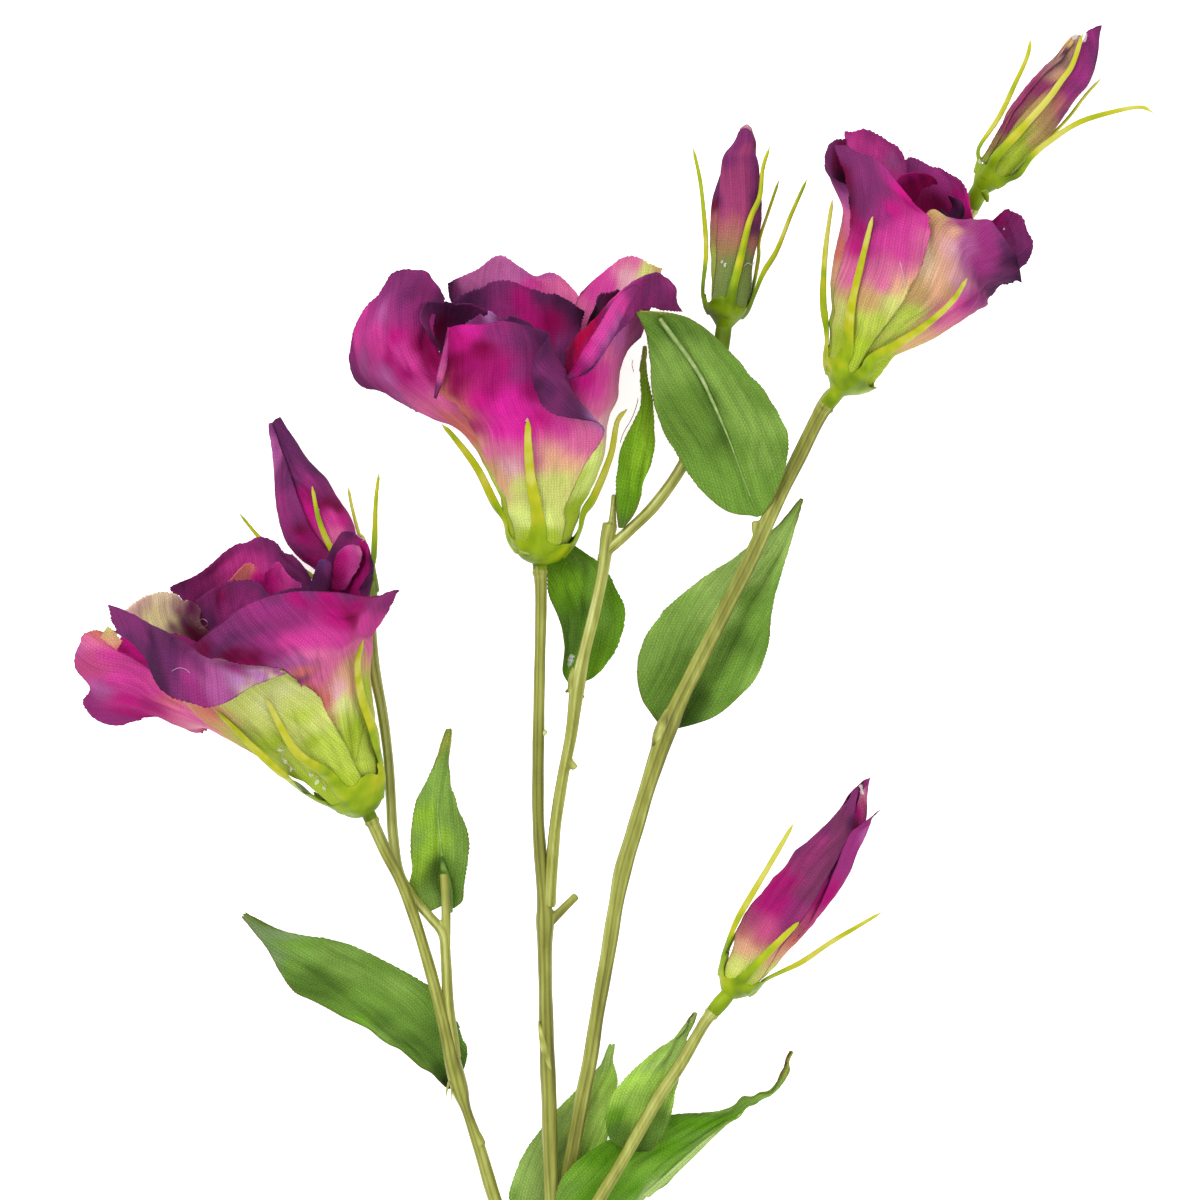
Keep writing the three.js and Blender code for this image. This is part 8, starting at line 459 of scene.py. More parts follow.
SEPAL = {
    'flower_centre': [[(-20.95, 94.75, 30.95), (-20.75, 97.7, 32.55), (-20.65, 99.35, 33.75), (-21.1, 102.8, 36.75), (-22.55, 111.3, 42.75), (-23.05, 119.2, 49.05), (-23, 124.95, 51.95)],
          [(-28.6, 97.2, 22.95), (-29.25, 100.45, 23.65), (-31.7, 104.5, 24.6), (-36.15, 113.55, 26.7), (-41.75, 121.1, 28.5), (-44.85, 124.5, 30.4)],
          [(-11.45, 95.7, 22.55), (-10.25, 98.8, 23.2), (-9.25, 102.65, 24.05), (-6.7, 106.95, 24.6), (-2.7, 116.85, 26.7), (-1.05, 125.15, 28.5), (1.4, 128.4, 29.15)],
          [(-15.9, 97.75, 15.15), (-15.15, 101.05, 15), (-14.55, 104.15, 15.05), (-13.15, 108.7, 14), (-11.45, 119.15, 12.65), (-11.5, 127.95, 11.55)],
          [(-24.35, 98.45, 15.4), (-24.55, 101.85, 15.3), (-24.75, 103.15, 15.05), (-25.65, 107.45, 14), (-28, 117.5, 12.65), (-31.5, 125.95, 11.55)]],
    'flower_left': [[(-66.7, 30.25, 31.55), (-68.15, 32.75, 33.3), (-68.75, 33.85, 33.7), (-74.45, 38.6, 40.1), (-80.6, 43.85, 47.95), (-86.95, 57, 58.7)],
          [(-74.45, 28.6, 23.3), (-76.75, 30.9, 24.15), (-85.05, 36.15, 26.55), (-94.6, 41, 29.05), (-98.2, 45.6, 27.5)],
          [(-59.15, 36.1, 25.5), (-59.75, 39.25, 26.6), (-60.45, 41.2, 27.25), (-61.8, 48.25, 35.3), (-64.2, 56.2, 42.3), (-65, 64.5, 49.1), (-63.3, 70.8, 54.8)],
          [(-63.85, 36.45, 15.9), (-65, 39.65, 15.95), (-65.75, 41.4, 16.2), (-68.45, 50.75, 14.3), (-71.9, 60.75, 12.85), (-74.2, 70.95, 10.85)],
          [(-71.45, 32.4, 15.85), (-73.45, 35.15, 15.9), (-80.75, 42.85, 14.4), (-88.1, 50.3, 13.05)]],
    'flower_right': [[(50.65, 142.3, 26.15), (51.4, 145.45, 26.75), (51.4, 147.1, 27.05), (50.5, 154.85, 28.55), (50.55, 162.25, 30.05), (51.2, 170.6, 31.75), (52.5, 180.4, 34.9)],
          [(54.25, 138.75, 33), (55.45, 141.45, 34.4), (56.15, 143.25, 35.5), (56.35, 149.8, 40.5), (57.3, 156.25, 44.7), (58.85, 163.5, 49.6), (61, 174, 59.45)],
          [(59.5, 135.65, 33), (61.3, 138.05, 34.4), (62.75, 140.55, 34.9), (69.1, 144.5, 39.6), (75.15, 148.55, 44.65), (81.05, 153.9, 49.6), (84.2, 159.15, 56.95)],
          [(62.9, 136.4, 20.3), (65.1, 138.85, 20.25), (66.7, 141.8, 21), (73.9, 146.65, 19.7), (81.7, 151.2, 18.95), (89.6, 156.75, 19)],
          [(53.8, 141.85, 19.7), (54.9, 144.95, 19.6), (55.55, 146.95, 19.4), (56.8, 154.6, 16.95), (59, 161.9, 14.85), (61.9, 169.9, 13.45)]],
    'bud_a': [[(25.55, -11.5, 11.9), (26.25, -8.8, 11.7), (29, -1.35, 13.1), (33.2, 6.05, 13.75), (37.7, 13.7, 14.45), (43.75, 24.1, 15)],
          [(34.7, -16.85, 15), (36.7, -14.95, 15.3), (39, -10.25, 17.2), (40.55, -6.2, 19.15), (45.1, -0.4, 19.1)],
          [(35.2, -17.3, 12.4), (37.25, -15.4, 12.3), (45.45, -11.7, 11), (53.1, -6.6, 10.75), (60.7, -2, 11.45), (66.2, 1.45, 13.25)],
          [(31.65, -15.35, 7), (33.2, -13.25, 6.15), (36.45, -9.1, 5.25), (44.3, 0.9, 3.55)],
          [(26.1, -11.9, 9.75), (26.85, -9.25, 9.25), (29.45, -4.35, 7.95), (37.15, 5.75, 6.25)]],
    'bud_b': [[(90.25, 193.3, 11.05), (91.15, 195.9, 11.15), (96.2, 203.75, 12.45), (99.6, 210.95, 13.7), (102.8, 218.15, 14.95), (103.8, 222.95, 15.1)],
          [(93.45, 190.7, 16.5), (94.85, 192.95, 17.35), (100.1, 198.5, 18.45), (107.45, 206.75, 19.45), (110.8, 211.35, 19.5), (113.85, 215.7, 19.1), (116.6, 223.8, 18.4)],
          [(98.9, 186.85, 13.25), (101.1, 188.55, 13.65), (104.25, 193.15, 14.6), (109.35, 197.45, 14.95), (116.25, 201.7, 14.8), (124.35, 204.2, 15), (131.4, 205.45, 15.15), (135.05, 204.05, 14.15)],
          [(98.45, 187.4, 7.6), (100.55, 189.2, 7.2), (105.7, 195.05, 7.45), (113.45, 203, 8.05), (118.5, 209.45, 8.75), (122.25, 213.5, 8.05)],
          [(93, 191.45, 5.95), (94.3, 193.85, 5.25), (98.55, 200.1, 5.05), (105.2, 208.85, 4.95)]],
    'bud_c': [[(21.05, 156.15, 21.65), (20.55, 158.9, 21.8), (21.3, 168.7, 22.3), (20.75, 177.4, 23.75), (19.75, 186.15, 24.2), (17.95, 194.3, 25.6)],
          [(27.3, 155.05, 27.2), (27.75, 157.65, 28.15), (29.85, 166.4, 29), (32.05, 175.5, 30.15), (34.6, 181.6, 29.1), (35.4, 188.7, 28.95), (37.15, 194.1, 29.75)],
          [(31.65, 154.9, 19.2), (32.75, 157.45, 19), (34.5, 166.35, 19.65), (34.8, 171.5, 18.45), (36.8, 177.8, 18.85), (39.75, 186.5, 20.3)],
          [(32.2, 154.7, 21.6), (33.35, 157.25, 21.75), (35.9, 163.1, 23.1), (39.15, 168.6, 23.4), (42.6, 177.3, 24.85), (46.6, 186.3, 25.35)],
          [(24.75, 155.95, 16.35), (24.85, 158.65, 15.7), (25.25, 167.6, 16), (25.85, 176.95, 15.65)]],
    'bud_d': [[(-66.55, 84.1, 15.55), (-67.95, 86.4, 16.25), (-72.95, 93, 18), (-76.2, 100.5, 19.15), (-78.1, 109.4, 18.65)],
          [(-71.7, 80.4, 10), (-73.85, 82.15, 9.9), (-78.85, 86.7, 10.65), (-85.5, 90.75, 10.4), (-91.85, 96.35, 10.1), (-97.15, 102.7, 10.8)],
          [(-62.55, 86.45, 8.25), (-63.35, 89.1, 7.9), (-65.8, 96.25, 6.9), (-66.95, 97.55, 5.9), (-68.6, 103.65, 5.2), (-69.75, 109.45, 5.05)],
          [(-62.35, 86.65, 9.95), (-63.15, 89.35, 9.85), (-62.85, 90.75, 10.8), (-62.6, 98.4, 10.55), (-62.3, 106, 11.3), (-61.55, 112.9, 11.05)],
          [(-67.1, 83.2, 4.35), (-68.6, 85.35, 3.45), (-74.2, 91.6, 1.4)]],
}
STEM = {
    'stem_main': [(-18.4, -87.1, 6.45, 5.2), (-18.15, -91.7, 6.25, 5.6), (-17.9, -97.65, 5.85, 4.9), (-17.9, -102.85, 5.15, 3.9), (-17.65, -110.65, 4.35, 3.3), (-16.65, -129.15, 3.75, 3.1), (-15.6, -154.85, 3.25, 2.9), (-15.6, -185.65, 2.95, 2.75), (-16.4, -211.3, 2.7, 2.65), (-16.9, -226.7, 2.6, 2.65)],
    'stem_centre': [(-20.6, 90.25, 21.2, 1.75), (-20.25, 80.6, 21.55, 1.5), (-20.75, 55.35, 19.35, 1.5), (-21.05, 30, 16.95, 1.55), (-20.55, 17.3, 15.75, 1.7), (-19.55, 4.55, 14.55, 1.8), (-19.3, -1.3, 13.95, 2.3), (-19.35, -10.75, 12.95, 1.8), (-18.85, -33.8, 10.75, 2), (-18.35, -46.65, 9.55, 1.95), (-18.1, -59.55, 8.45, 1.95), (-17.6, -72.35, 7.65, 1.95), (-17.85, -82.45, 8.35, 1.7), (-18.35, -91.05, 8.85, 1.6)],
    'stem_left': [(-63.9, 27.25, 21.55, 1.6), (-59.6, 17.55, 20.15, 1.6), (-55.85, 9.95, 19.15, 1.5), (-52.1, -0.25, 17.95, 1.5), (-48.35, -12.95, 16.95, 1.5), (-45.1, -25.75, 15.75, 1.6), (-42.85, -35.95, 14.75, 2.1), (-40.85, -43.65, 13.95, 2.2), (-39.1, -49.35, 12.95, 1.35), (-35.85, -59.15, 11.55, 1.7), (-32.1, -72.15, 9.35, 1.7), (-27.8, -82.55, 7.65, 1.7), (-24, -88.05, 6.65, 1.6), (-21.2, -92.5, 6.15, 1.6)],
    'stem_right': [(54.45, 133.1, 24.65, 1.9), (50, 127.15, 22.45, 1.9), (45.05, 117.15, 20.75, 1.9), (38.8, 104.6, 19.15, 1.95), (32.55, 90.7, 17.95, 1.95), (26.25, 78.05, 16.95, 1.95), (19.95, 65.4, 15.95, 2), (14.9, 55.25, 14.95, 2.1), (11.35, 46.9, 14.15, 2.6), (7.3, 34.9, 12.95, 2.1), (3.5, 22.2, 11.95, 2.1), (0.5, 12, 11.35, 2.3), (-1.3, 3.05, 10.85, 2), (-3.6, -11, 9.95, 1.9), (-5.9, -23.8, 8.95, 1.9), (-7.9, -36.65, 7.95, 1.9), (-10.45, -49.5, 6.95, 1.9), (-12.25, -59.8, 6.15, 1.9), (-13.55, -66.25, 5.65, 1.9), (-15.1, -76.6, 4.85, 1.8), (-16.1, -85.6, 4.25, 1.6), (-16.35, -92.8, 3.95, 1.6)],
    'stem_bud_a': [(27.65, -18.9, 12.6, 1.6), (22.05, -25.5, 12.75, 1.6), (19.5, -29.55, 12.85, 1.5), (14.95, -37.4, 13.15, 1.7), (9.85, -44.95, 13.45, 1.6), (4.75, -53.8, 13.95, 1.6), (-0.3, -62.65, 14.15, 1.6), (-5.35, -71.1, 13.55, 1.65), (-9.7, -79.4, 11.95, 1.7), (-13, -86.35, 9.55, 1.6), (-14.8, -92.2, 8.15, 1.5)],
    'stem_bud_b': [(91.65, 185.7, 10.9, 2.1), (88.9, 180.45, 8.55, 2.1), (84.05, 171.8, 5.35, 2.1), (79.1, 163, 3.15, 2), (72.75, 152.85, 2.1, 2), (66.35, 144.1, 2.45, 2), (60.55, 137.3, 5.15, 1.9), (54.0, 133, 11.5, 1.8), (51.0, 129.4, 16.5, 1.7), (49.1, 126.3, 20.4, 1.5)],
    'stem_bud_c': [(25.95, 150.2, 21.35, 1.9), (24.85, 142.3, 21.45, 1.85), (22.85, 133, 21.55, 1.7), (19.8, 123.4, 21.95, 1.55), (14.75, 113.3, 22.95, 1.5), (8.45, 104.5, 23.95, 1.45), (2.15, 98.2, 24.15, 1.45), (-2.1, 94.4, 23.95, 1.5)],
    'stem_centre_twig': [(-2.85, 99.7, 24.15, 1.8), (-3.6, 95.7, 23.95, 1.8), (-4.6, 88.15, 23.55, 1.5), (-6.65, 78.1, 22.95, 1.5), (-9.15, 68, 22.25, 1.5), (-11.15, 58.45, 21.55, 1.8), (-12.7, 46.55, 20.75, 1.5), (-14.7, 36.45, 19.75, 1.5), (-16.5, 25.05, 18.35, 1.5), (-17.25, 17.4, 17.15, 1.5), (-17.75, 10.25, 16.15, 1.5), (-18.05, 3.1, 15.15, 1.4)],
    'stem_bud_d': [(-64.1, 79.15, 10.2, 1.6), (-63.55, 71.7, 11.95, 1.5), (-62.7, 63.35, 13.45, 1.5), (-60.6, 52.75, 14.95, 1.35), (-59.05, 41.35, 15.75, 1.3), (-58.3, 29.95, 15.55, 1.3), (-57.8, 21.05, 14.95, 1.3), (-56.3, 11.65, 14.55, 1.3), (-53, 5.6, 14.95, 1.3), (-48.4, 0.35, 15.55, 1.3), (-45.1, -3.95, 15.85, 1.3), (-44.35, -10.55, 15.65, 1.4), (-43.85, -20.7, 15.35, 1.4), (-42.85, -28.3, 15.15, 1.35), (-41.85, -35.45, 14.95, 1.3)],
}
STUB = {
    'stem_centre': [[(-18.05, -1.05, 13.95, 1.2), (-15, 2.05, 14.35, 1.1), (-11.45, 5.6, 14.75, 1)]],
    'stem_bud_d': [[(-44.35, -11.05, 15.55, 1.2), (-44.35, -2.9, 16.05, 1.2), (-44.35, 3.2, 16.55, 1.2), (-44.8, 11.3, 17.15, 1.15)]],
    'stem_centre_twig': [[(-13.95, 41, 20.35, 1), (-11.65, 38.25, 20.55, 0.9)],
          [(-2.35, 98.2, 24.15, 1.2), (-2.1, 102.7, 24.55, 0.8), (-1.85, 106.95, 24.85, 0.7)]],
    'stem_left': [[(-36.6, -55.5, 12.15, 1.3), (-35.35, -57.75, 12.55, 1.2)]],
    'stem_right': [[(35.05, 94.5, 18.35, 1.2), (34.25, 97.75, 18.95, 1.2), (34, 100.3, 19.35, 1.1)]],
}
# colours of the cloth, with painted shade and painted light among them
DYE_AND_SHADING = {
    'lime': (164, 188, 50), 'ligr': (188, 208, 80), 'yg': (208, 216, 116), 'py': (222, 228, 156), 'ol': (160, 172, 74),
    'tann': (196, 160, 104), 'gobr': (165, 105, 55), 'cr': (222, 168, 132), 'salm': (208, 112, 104), 'palp': (226, 168, 180),
    'pk': (220, 105, 158), 'hopi': (208, 62, 150), 'magn': (196, 24, 128), 'dmag': (166, 20, 108), 'rmag': (138, 8, 76),
    'carm': (160, 0, 54), 'maro': (100, 8, 52), 'vmag': (150, 48, 118), 'lave': (172, 84, 148), 'lila': (180, 120, 180),
    'blup': (98, 58, 118), 'pu': (122, 46, 102), 'dp': (94, 40, 86), 'vd': (72, 30, 68), 'bk': (46, 12, 38),
    'mv': (160, 122, 114), 'g0': (38, 52, 20), 'g1': (64, 92, 32), 'g2': (86, 120, 44), 'g3': (108, 146, 56),
    'g4': (130, 166, 74), 'g5': (156, 188, 96), 'g6': (186, 208, 136), 'gr': (122, 146, 96), 'gy': (160, 168, 72),
    'br': (128, 84, 66), 'sg': (92, 146, 26), 'sl': (118, 166, 52), 'dr': (152, 60, 106), 'du': (172, 94, 100),
    # wc, wp and wy are paler than the cloth: painted light lifting a petal that lies in shade
    'dt': (158, 124, 84), 'ro': (186, 72, 124), 'lw': (204, 108, 172), 'm2': (224, 38, 160), 'wc': (285, 264, 222),
    'wp': (255, 214, 198), 'wy': (280, 272, 196), 'l4': (164, 204, 82), 'l5': (188, 224, 104), 'h4': (150, 190, 58),
    'v3': (96, 142, 30), 'v4': (118, 166, 36), 'v5': (142, 188, 46), 'pb': (118, 52, 90), 'ac': (152, 54, 112),
    'dv': (168, 110, 98), 'oo': (116, 136, 70), 'wb': (238, 204, 166), 'pl': (220, 236, 132),
}
# marked places: across (0 left edge, 1 right edge), along (0 base, 1 tip), colour name; the colours hold the cloth's
# own dyeing together with painted shade and painted light, and near-black bk is painted shade between petals
MARKS = {
    'flower_centre_petal_front': [
        (0.03, 0.973, 'magn'), (0.09, 0.877, 'magn'), (0.243, 0.823, 'rmag'), (0.103, 0.78, 'rmag'), (0.13, 0.693, 'rmag'), (0.197, 0.757, 'dmag'),
        (0.11, 0.65, 'rmag'), (0.343, 0.92, 'vmag'), (0.477, 0.89, 'pu'), (0.637, 0.96, 'dp'), (0.85, 0.943, 'dp'), (0.343, 0.73, 'dmag'),
        (0.44, 0.72, 'vmag'), (0.487, 0.637, 'dmag'), (0.3, 0.647, 'dmag'), (0.243, 0.61, 'magn'), (0.24, 0.44, 'pk'), (0.28, 0.397, 'palp'),
        (0.45, 0.517, 'magn'), (0.557, 0.483, 'hopi'), (0.773, 0.47, 'pk'), (0.7, 0.443, 'pk'), (0.593, 0.417, 'cr'), (0.443, 0.41, 'pk'),
        (0.743, 0.393, 'cr'), (0.773, 0.353, 'yg'), (0.13, 0.36, 'cr'), (0.907, 0.447, 'pk'), (0.813, 0.96, 'dp'), (0.893, 0.84, 'pu'),
        (0.883, 0.723, 'dp'), (0.857, 0.61, 'dp'), (1, 0.547, 'vd'), (0.963, 0.787, 'vd'), (0.793, 0.763, 'pu'), (1, 0.517, 'lila'),
        (0.907, 0.653, 'pu'), (0.057, 0.62, 'salm'), (0.047, 0.57, 'salm'), (0, 0.523, 'gobr'), (0, 0.457, 'tann'), (0.03, 0.387, 'tann'),
        (0.05, 0.51, 'dmag'), (0.02, 0.58, 'salm'), (0.047, 0.437, 'pk'), (0.043, 0.64, 'salm'), (0.29, 0.557, 'm2'), (0.38, 0.55, 'm2'),
        (0.377, 0.607, 'm2'), (0.223, 0.487, 'm2'), (0.34, 0.483, 'm2'), (0.183, 0.963, 'm2'), (0.587, 0.337, 'yg'), (0.373, 0.343, 'yg'),
        (0.333, 0.07, 'lime'), (0.73, 0.063, 'lime'), (0.547, 0.017, 'ligr'), (0.64, 0.167, 'pl'), (0.9, 0.143, 'yg'), (0.3, 0.177, 'pl'),
    ],
    'flower_centre_petal_left': [
        (0.783, 0.983, 'pu'), (0.653, 0.987, 'vmag'), (0.493, 1, 'hopi'), (0.603, 0.903, 'lave'), (0.81, 0.91, 'pu'), (0.92, 0.97, 'vmag'),
        (0.977, 0.96, 'dp'), (0.86, 0.84, 'vmag'), (0.317, 0.947, 'hopi'), (0.503, 0.857, 'hopi'), (0.683, 0.787, 'magn'), (0.67, 0.747, 'hopi'),
        (0.723, 0.707, 'hopi'), (0.86, 0.74, 'rmag'), (0.877, 0.683, 'rmag'), (0.817, 0.63, 'dmag'), (0.26, 0.86, 'lave'), (0.073, 0.897, 'pu'),
        (0.453, 0.73, 'lave'), (0.267, 0.717, 'vmag'), (0.293, 0.657, 'lave'), (0.377, 0.603, 'pk'), (0.433, 0.56, 'pk'), (0.653, 0.543, 'salm'),
        (0.7, 0.63, 'hopi'), (0.223, 0.967, 'vmag'), (0.257, 0.97, 'pu'), (0.1, 0.92, 'pu'), (0, 0.857, 'pu'), (0.73, 0.887, 'pu'),
        (0.65, 0.967, 'pu'), (0.553, 0.983, 'vmag'), (0.737, 0.827, 'vmag'), (0.553, 0.747, 'dmag'), (0.61, 0.68, 'dmag'), (0.66, 1, 'pu'),
        (0.7, 0.963, 'pu'), (0.58, 1, 'vmag'), (0.683, 0.89, 'vmag'), (0.517, 0.797, 'hopi'), (0.743, 0.607, 'pk'), (0.737, 0.527, 'salm'),
        (0.683, 0.447, 'tann'), (0.703, 0.197, 'lime'), (0.65, 0.33, 'ligr'),
    ],
    'flower_centre_petal_inner_left': [
        (0.583, 0.997, 'dp'), (0.653, 0.953, 'dp'), (0.8, 0.983, 'dp'), (0.907, 1, 'pu'), (0.393, 0.963, 'pu'), (0.25, 0.917, 'vd'),
        (0.047, 0.927, 'bk'), (0.61, 0.9, 'maro'), (0.9, 0.93, 'dp'),
    ],
    'flower_centre_petal_inner_front': [
        (0.407, 0.983, 'lila'), (0.227, 0.98, 'pu'), (0.723, 0.99, 'vd'), (0.84, 0.967, 'dp'), (0.58, 0.983, 'pu'),
    ],
    'flower_centre_petal_inner_back': [
        (0.397, 0.977, 'pu'), (0.243, 0.95, 'dp'), (0.093, 1, 'dp'), (0.55, 0.923, 'dmag'), (0.683, 0.983, 'dp'), (0.817, 0.983, 'vd'),
        (0.633, 0.857, 'dmag'), (0.5, 0.837, 'vmag'), (0.79, 0.867, 'rmag'), (0.967, 0.987, 'bk'), (0.903, 1, 'vd'), (0.787, 0.8, 'rmag'),
        (0.87, 0.8, 'pu'), (0.937, 0.777, 'dp'), (0.453, 0.903, 'vmag'), (0.157, 0.947, 'vd'), (0.683, 0.813, 'dmag'),
    ],
    'flower_centre_petal_back_left': [
        (0.4, 0.983, 'lw'), (0.283, 0.973, 'lw'), (0.203, 0.947, 'lw'), (0.02, 0.977, 'vd'), (0, 0.937, 'vd'), (0.587, 0.933, 'lave'),
        (0.74, 0.893, 'hopi'), (0.873, 0.93, 'pk'), (0.937, 0.893, 'pk'), (0.733, 0.97, 'lave'), (0.383, 0.887, 'lw'), (0.497, 0.94, 'lw'),
        (0.117, 0.92, 'pu'), (0.5, 0.993, 'lw'), (0.31, 0.99, 'lw'), (0.427, 0.94, 'lw'), (0.547, 0.917, 'lw'), (0.67, 0.883, 'hopi'),
        (0.763, 0.91, 'pk'), (0.237, 0.963, 'lw'), (0.16, 0.95, 'lw'),
    ],
    'flower_centre_petal_back_right': [
        (0.467, 0.993, 'pk'), (0.27, 0.967, 'hopi'), (0.463, 0.883, 'hopi'), (0.59, 0.917, 'palp'), (0.657, 0.973, 'pk'), (0.803, 0.957, 'yg'),
        (0.777, 0.917, 'yg'), (0.25, 0.867, 'hopi'), (0.913, 0.987, 'tann'), (0.177, 0.843, 'pk'), (0.703, 0.9, 'palp'),
    ],
    'flower_centre_petal_inner_right': [
        (0.36, 1, 'dp'), (0.673, 0.967, 'pu'), (0.237, 0.973, 'bk'), (0.7, 0.993, 'pu'), (0, 0.977, 'bk'),
    ],
    'flower_centre_petal_right': [
        (0.307, 0.913, 'hopi'), (0.537, 0.847, 'hopi'), (0.693, 0.857, 'vmag'), (0.177, 0.94, 'vmag'), (0.43, 0.917, 'blup'), (0.333, 0.937, 'blup'),
        (0.207, 0.98, 'blup'), (0.073, 0.987, 'dmag'), (0.757, 0.867, 'pu'), (0.917, 0.903, 'vmag'), (0.993, 0.957, 'pu'), (0.743, 0.983, 'vmag'),
        (1, 0.707, 'vmag'), (1, 0.69, 'dp'), (0.607, 0.683, 'lave'), (0.533, 0.98, 'pu'), (0.28, 0.837, 'carm'), (0.17, 0.847, 'carm'),
        (0.067, 0.88, 'maro'), (0.353, 0.823, 'rmag'), (0.13, 0.87, 'carm'), (0.367, 0.557, 'hopi'), (0.26, 0.597, 'magn'), (0.5, 0.62, 'hopi'),
        (0.363, 0.5, 'pk'), (0.473, 0.433, 'palp'), (0.35, 0.403, 'yg'), (0.467, 0.513, 'pk'), (0.807, 0.943, 'pu'), (0.617, 0.853, 'vmag'),
        (0.557, 0.663, 'pk'), (0.28, 0.463, 'palp'), (0.293, 0.18, 'lime'), (0.233, 0.297, 'ligr'), (0.26, 0.357, 'pl'), (0.283, 0.29, 'pl'),
    ],
    'flower_left_petal_left': [
        (0.89, 0.973, 'salm'), (1, 0.953, 'salm'), (0.877, 0.85, 'hopi'), (0.343, 1, 'vmag'), (0.44, 0.9, 'lave'), (0.16, 0.83, 'dmag'),
        (0.143, 0.927, 'vmag'), (0.423, 0.727, 'dmag'), (0.86, 0.72, 'hopi'), (0.85, 0.677, 'salm'), (1, 0.763, 'hopi'), (1, 0.717, 'salm'),
        (0.64, 0.6, 'pk'), (0.687, 0.483, 'cr'), (0.52, 0.517, 'palp'), (0.393, 0.797, 'magn'), (0.653, 1, 'lave'), (0.663, 0.807, 'hopi'),
        (0.657, 0.753, 'hopi'), (0.857, 0.4, 'tann'), (0.7, 0.26, 'ligr'), (0.54, 0.127, 'lime'), (0.773, 0.647, 'pk'), (0.693, 0.903, 'ro'),
        (0.62, 0.893, 'ro'), (0.613, 0.987, 'ro'), (0.77, 0.957, 'pk'),
    ],
    'flower_left_petal_inner_left': [
        (0.167, 0.973, 'magn'), (0, 0.953, 'dmag'), (0.103, 0.923, 'magn'), (0.307, 0.993, 'magn'), (0, 0.903, 'dmag'),
    ],
    'flower_left_petal_front_left': [
        (0.063, 0.853, 'pu'), (0.18, 0.84, 'pu'), (0.247, 0.86, 'vd'), (0.26, 0.937, 'vd'), (0.397, 0.857, 'dp'), (0.35, 0.96, 'vd'),
        (0.503, 0.887, 'vmag'), (0.457, 0.98, 'pu'), (0.58, 0.81, 'pu'), (0.657, 0.9, 'lave'), (0.77, 0.88, 'lila'), (0.883, 0.9, 'lila'),
        (0.557, 0.97, 'vmag'), (0.4, 0.793, 'dp'), (0.103, 0.953, 'dp'), (0.03, 0.827, 'pu'), (0.48, 0.77, 'pu'), (0.66, 0.823, 'lave'),
        (0.783, 0.8, 'vmag'), (0.393, 0.56, 'yg'), (0.167, 0.577, 'salm'), (0.223, 0.557, 'tann'), (0.483, 0.567, 'yg'), (0.743, 0.57, 'py'),
        (0.767, 0.533, 'yg'), (0.753, 0.467, 'ligr'), (0.49, 0.433, 'lime'), (0.297, 0.5, 'ol'), (0.45, 0.32, 'ligr'), (0.527, 0.19, 'lime'),
        (0.85, 0.223, 'ligr'), (0.873, 0.41, 'yg'), (0.51, 0.52, 'yg'), (0.3, 0.447, 'lime'), (0.713, 0.987, 'lave'), (0.803, 0.973, 'lave'),
        (0.9, 0.927, 'lave'), (0.953, 0.9, 'lave'), (0.663, 0.973, 'lave'), (0.563, 0.583, 'yg'), (0.703, 0.59, 'yg'), (0.847, 0.607, 'yg'),
        (0.373, 0.57, 'yg'), (0.61, 0.073, 'lime'), (0.05, 0.227, 'lime'), (0.69, 0.363, 'lime'), (0.873, 0.303, 'ligr'), (0.927, 0.98, 'py'),
        (0.63, 0.39, 'yg'), (0.63, 0.453, 'yg'), (0.683, 0.3, 'ligr'), (0.8, 0.993, 'py'), (0.543, 0.553, 'py'),
    ],
    'flower_left_petal_front_right': [
        (0.057, 0.9, 'maro'), (0.04, 0.8, 'maro'), (0.023, 0.733, 'rmag'), (0.19, 0.83, 'pu'), (0.143, 0.903, 'pu'), (0.233, 0.783, 'vmag'),
        (0.417, 0.873, 'vmag'), (0.33, 0.867, 'vmag'), (0.223, 0.933, 'pu'), (0.187, 0.867, 'dp'), (0.133, 0.867, 'dp'), (0.26, 0.85, 'pu'),
        (0.327, 0.847, 'pu'), (0.377, 0.847, 'vmag'), (0.45, 0.847, 'vmag'), (0.29, 0.79, 'vmag'), (0.077, 0.877, 'dp'), (0.09, 0.81, 'maro'),
        (0.093, 0.74, 'maro'), (0.513, 0.913, 'dmag'), (0.633, 0.897, 'dmag'), (0.773, 0.84, 'dmag'), (0.72, 0.76, 'rmag'), (0.877, 0.853, 'vmag'),
        (0.963, 0.903, 'vmag'), (1, 0.94, 'dp'), (1, 0.65, 'hopi'), (0.693, 0.507, 'pk'), (0.613, 0.66, 'hopi'), (0.427, 0.707, 'hopi'),
        (0.2, 0.63, 'lave'), (0.317, 0.563, 'pk'), (0.16, 0.54, 'pk'), (0.033, 0.573, 'pu'), (0.37, 0.493, 'cr'), (0.493, 0.493, 'tann'),
        (0.24, 0.463, 'palp'), (0.28, 0.407, 'yg'), (0.55, 0.38, 'lime'), (0.273, 0.297, 'lime'), (0, 0.177, 'lime'), (0.11, 0.46, 'salm'),
        (0.063, 0.523, 'salm'), (0.09, 0.373, 'tann'), (0.337, 1, 'vmag'), (0.423, 0.96, 'pu'), (0.56, 0.987, 'pu'), (0.713, 1, 'pu'),
        (0.837, 0.697, 'hopi'), (0.327, 0.737, 'hopi'), (0.657, 0.763, 'magn'), (0.213, 0.35, 'ligr'), (0.293, 0.173, 'ligr'), (0.047, 0.65, 'lave'),
        (0.157, 0.72, 'vmag'), (0.36, 0.623, 'pk'), (0.563, 0.563, 'pk'), (0, 0.253, 'lime'), (0.103, 0.6, 'salm'), (0.027, 0.54, 'salm'),
        (0.263, 0.407, 'py'), (0.353, 0.427, 'cr'),
    ],
    'flower_left_petal_back': [
        (0.39, 0.987, 'vmag'), (0.253, 0.997, 'vmag'), (0.043, 0.93, 'pu'), (0.16, 0.92, 'vmag'), (0.403, 0.897, 'hopi'), (0.31, 0.88, 'hopi'),
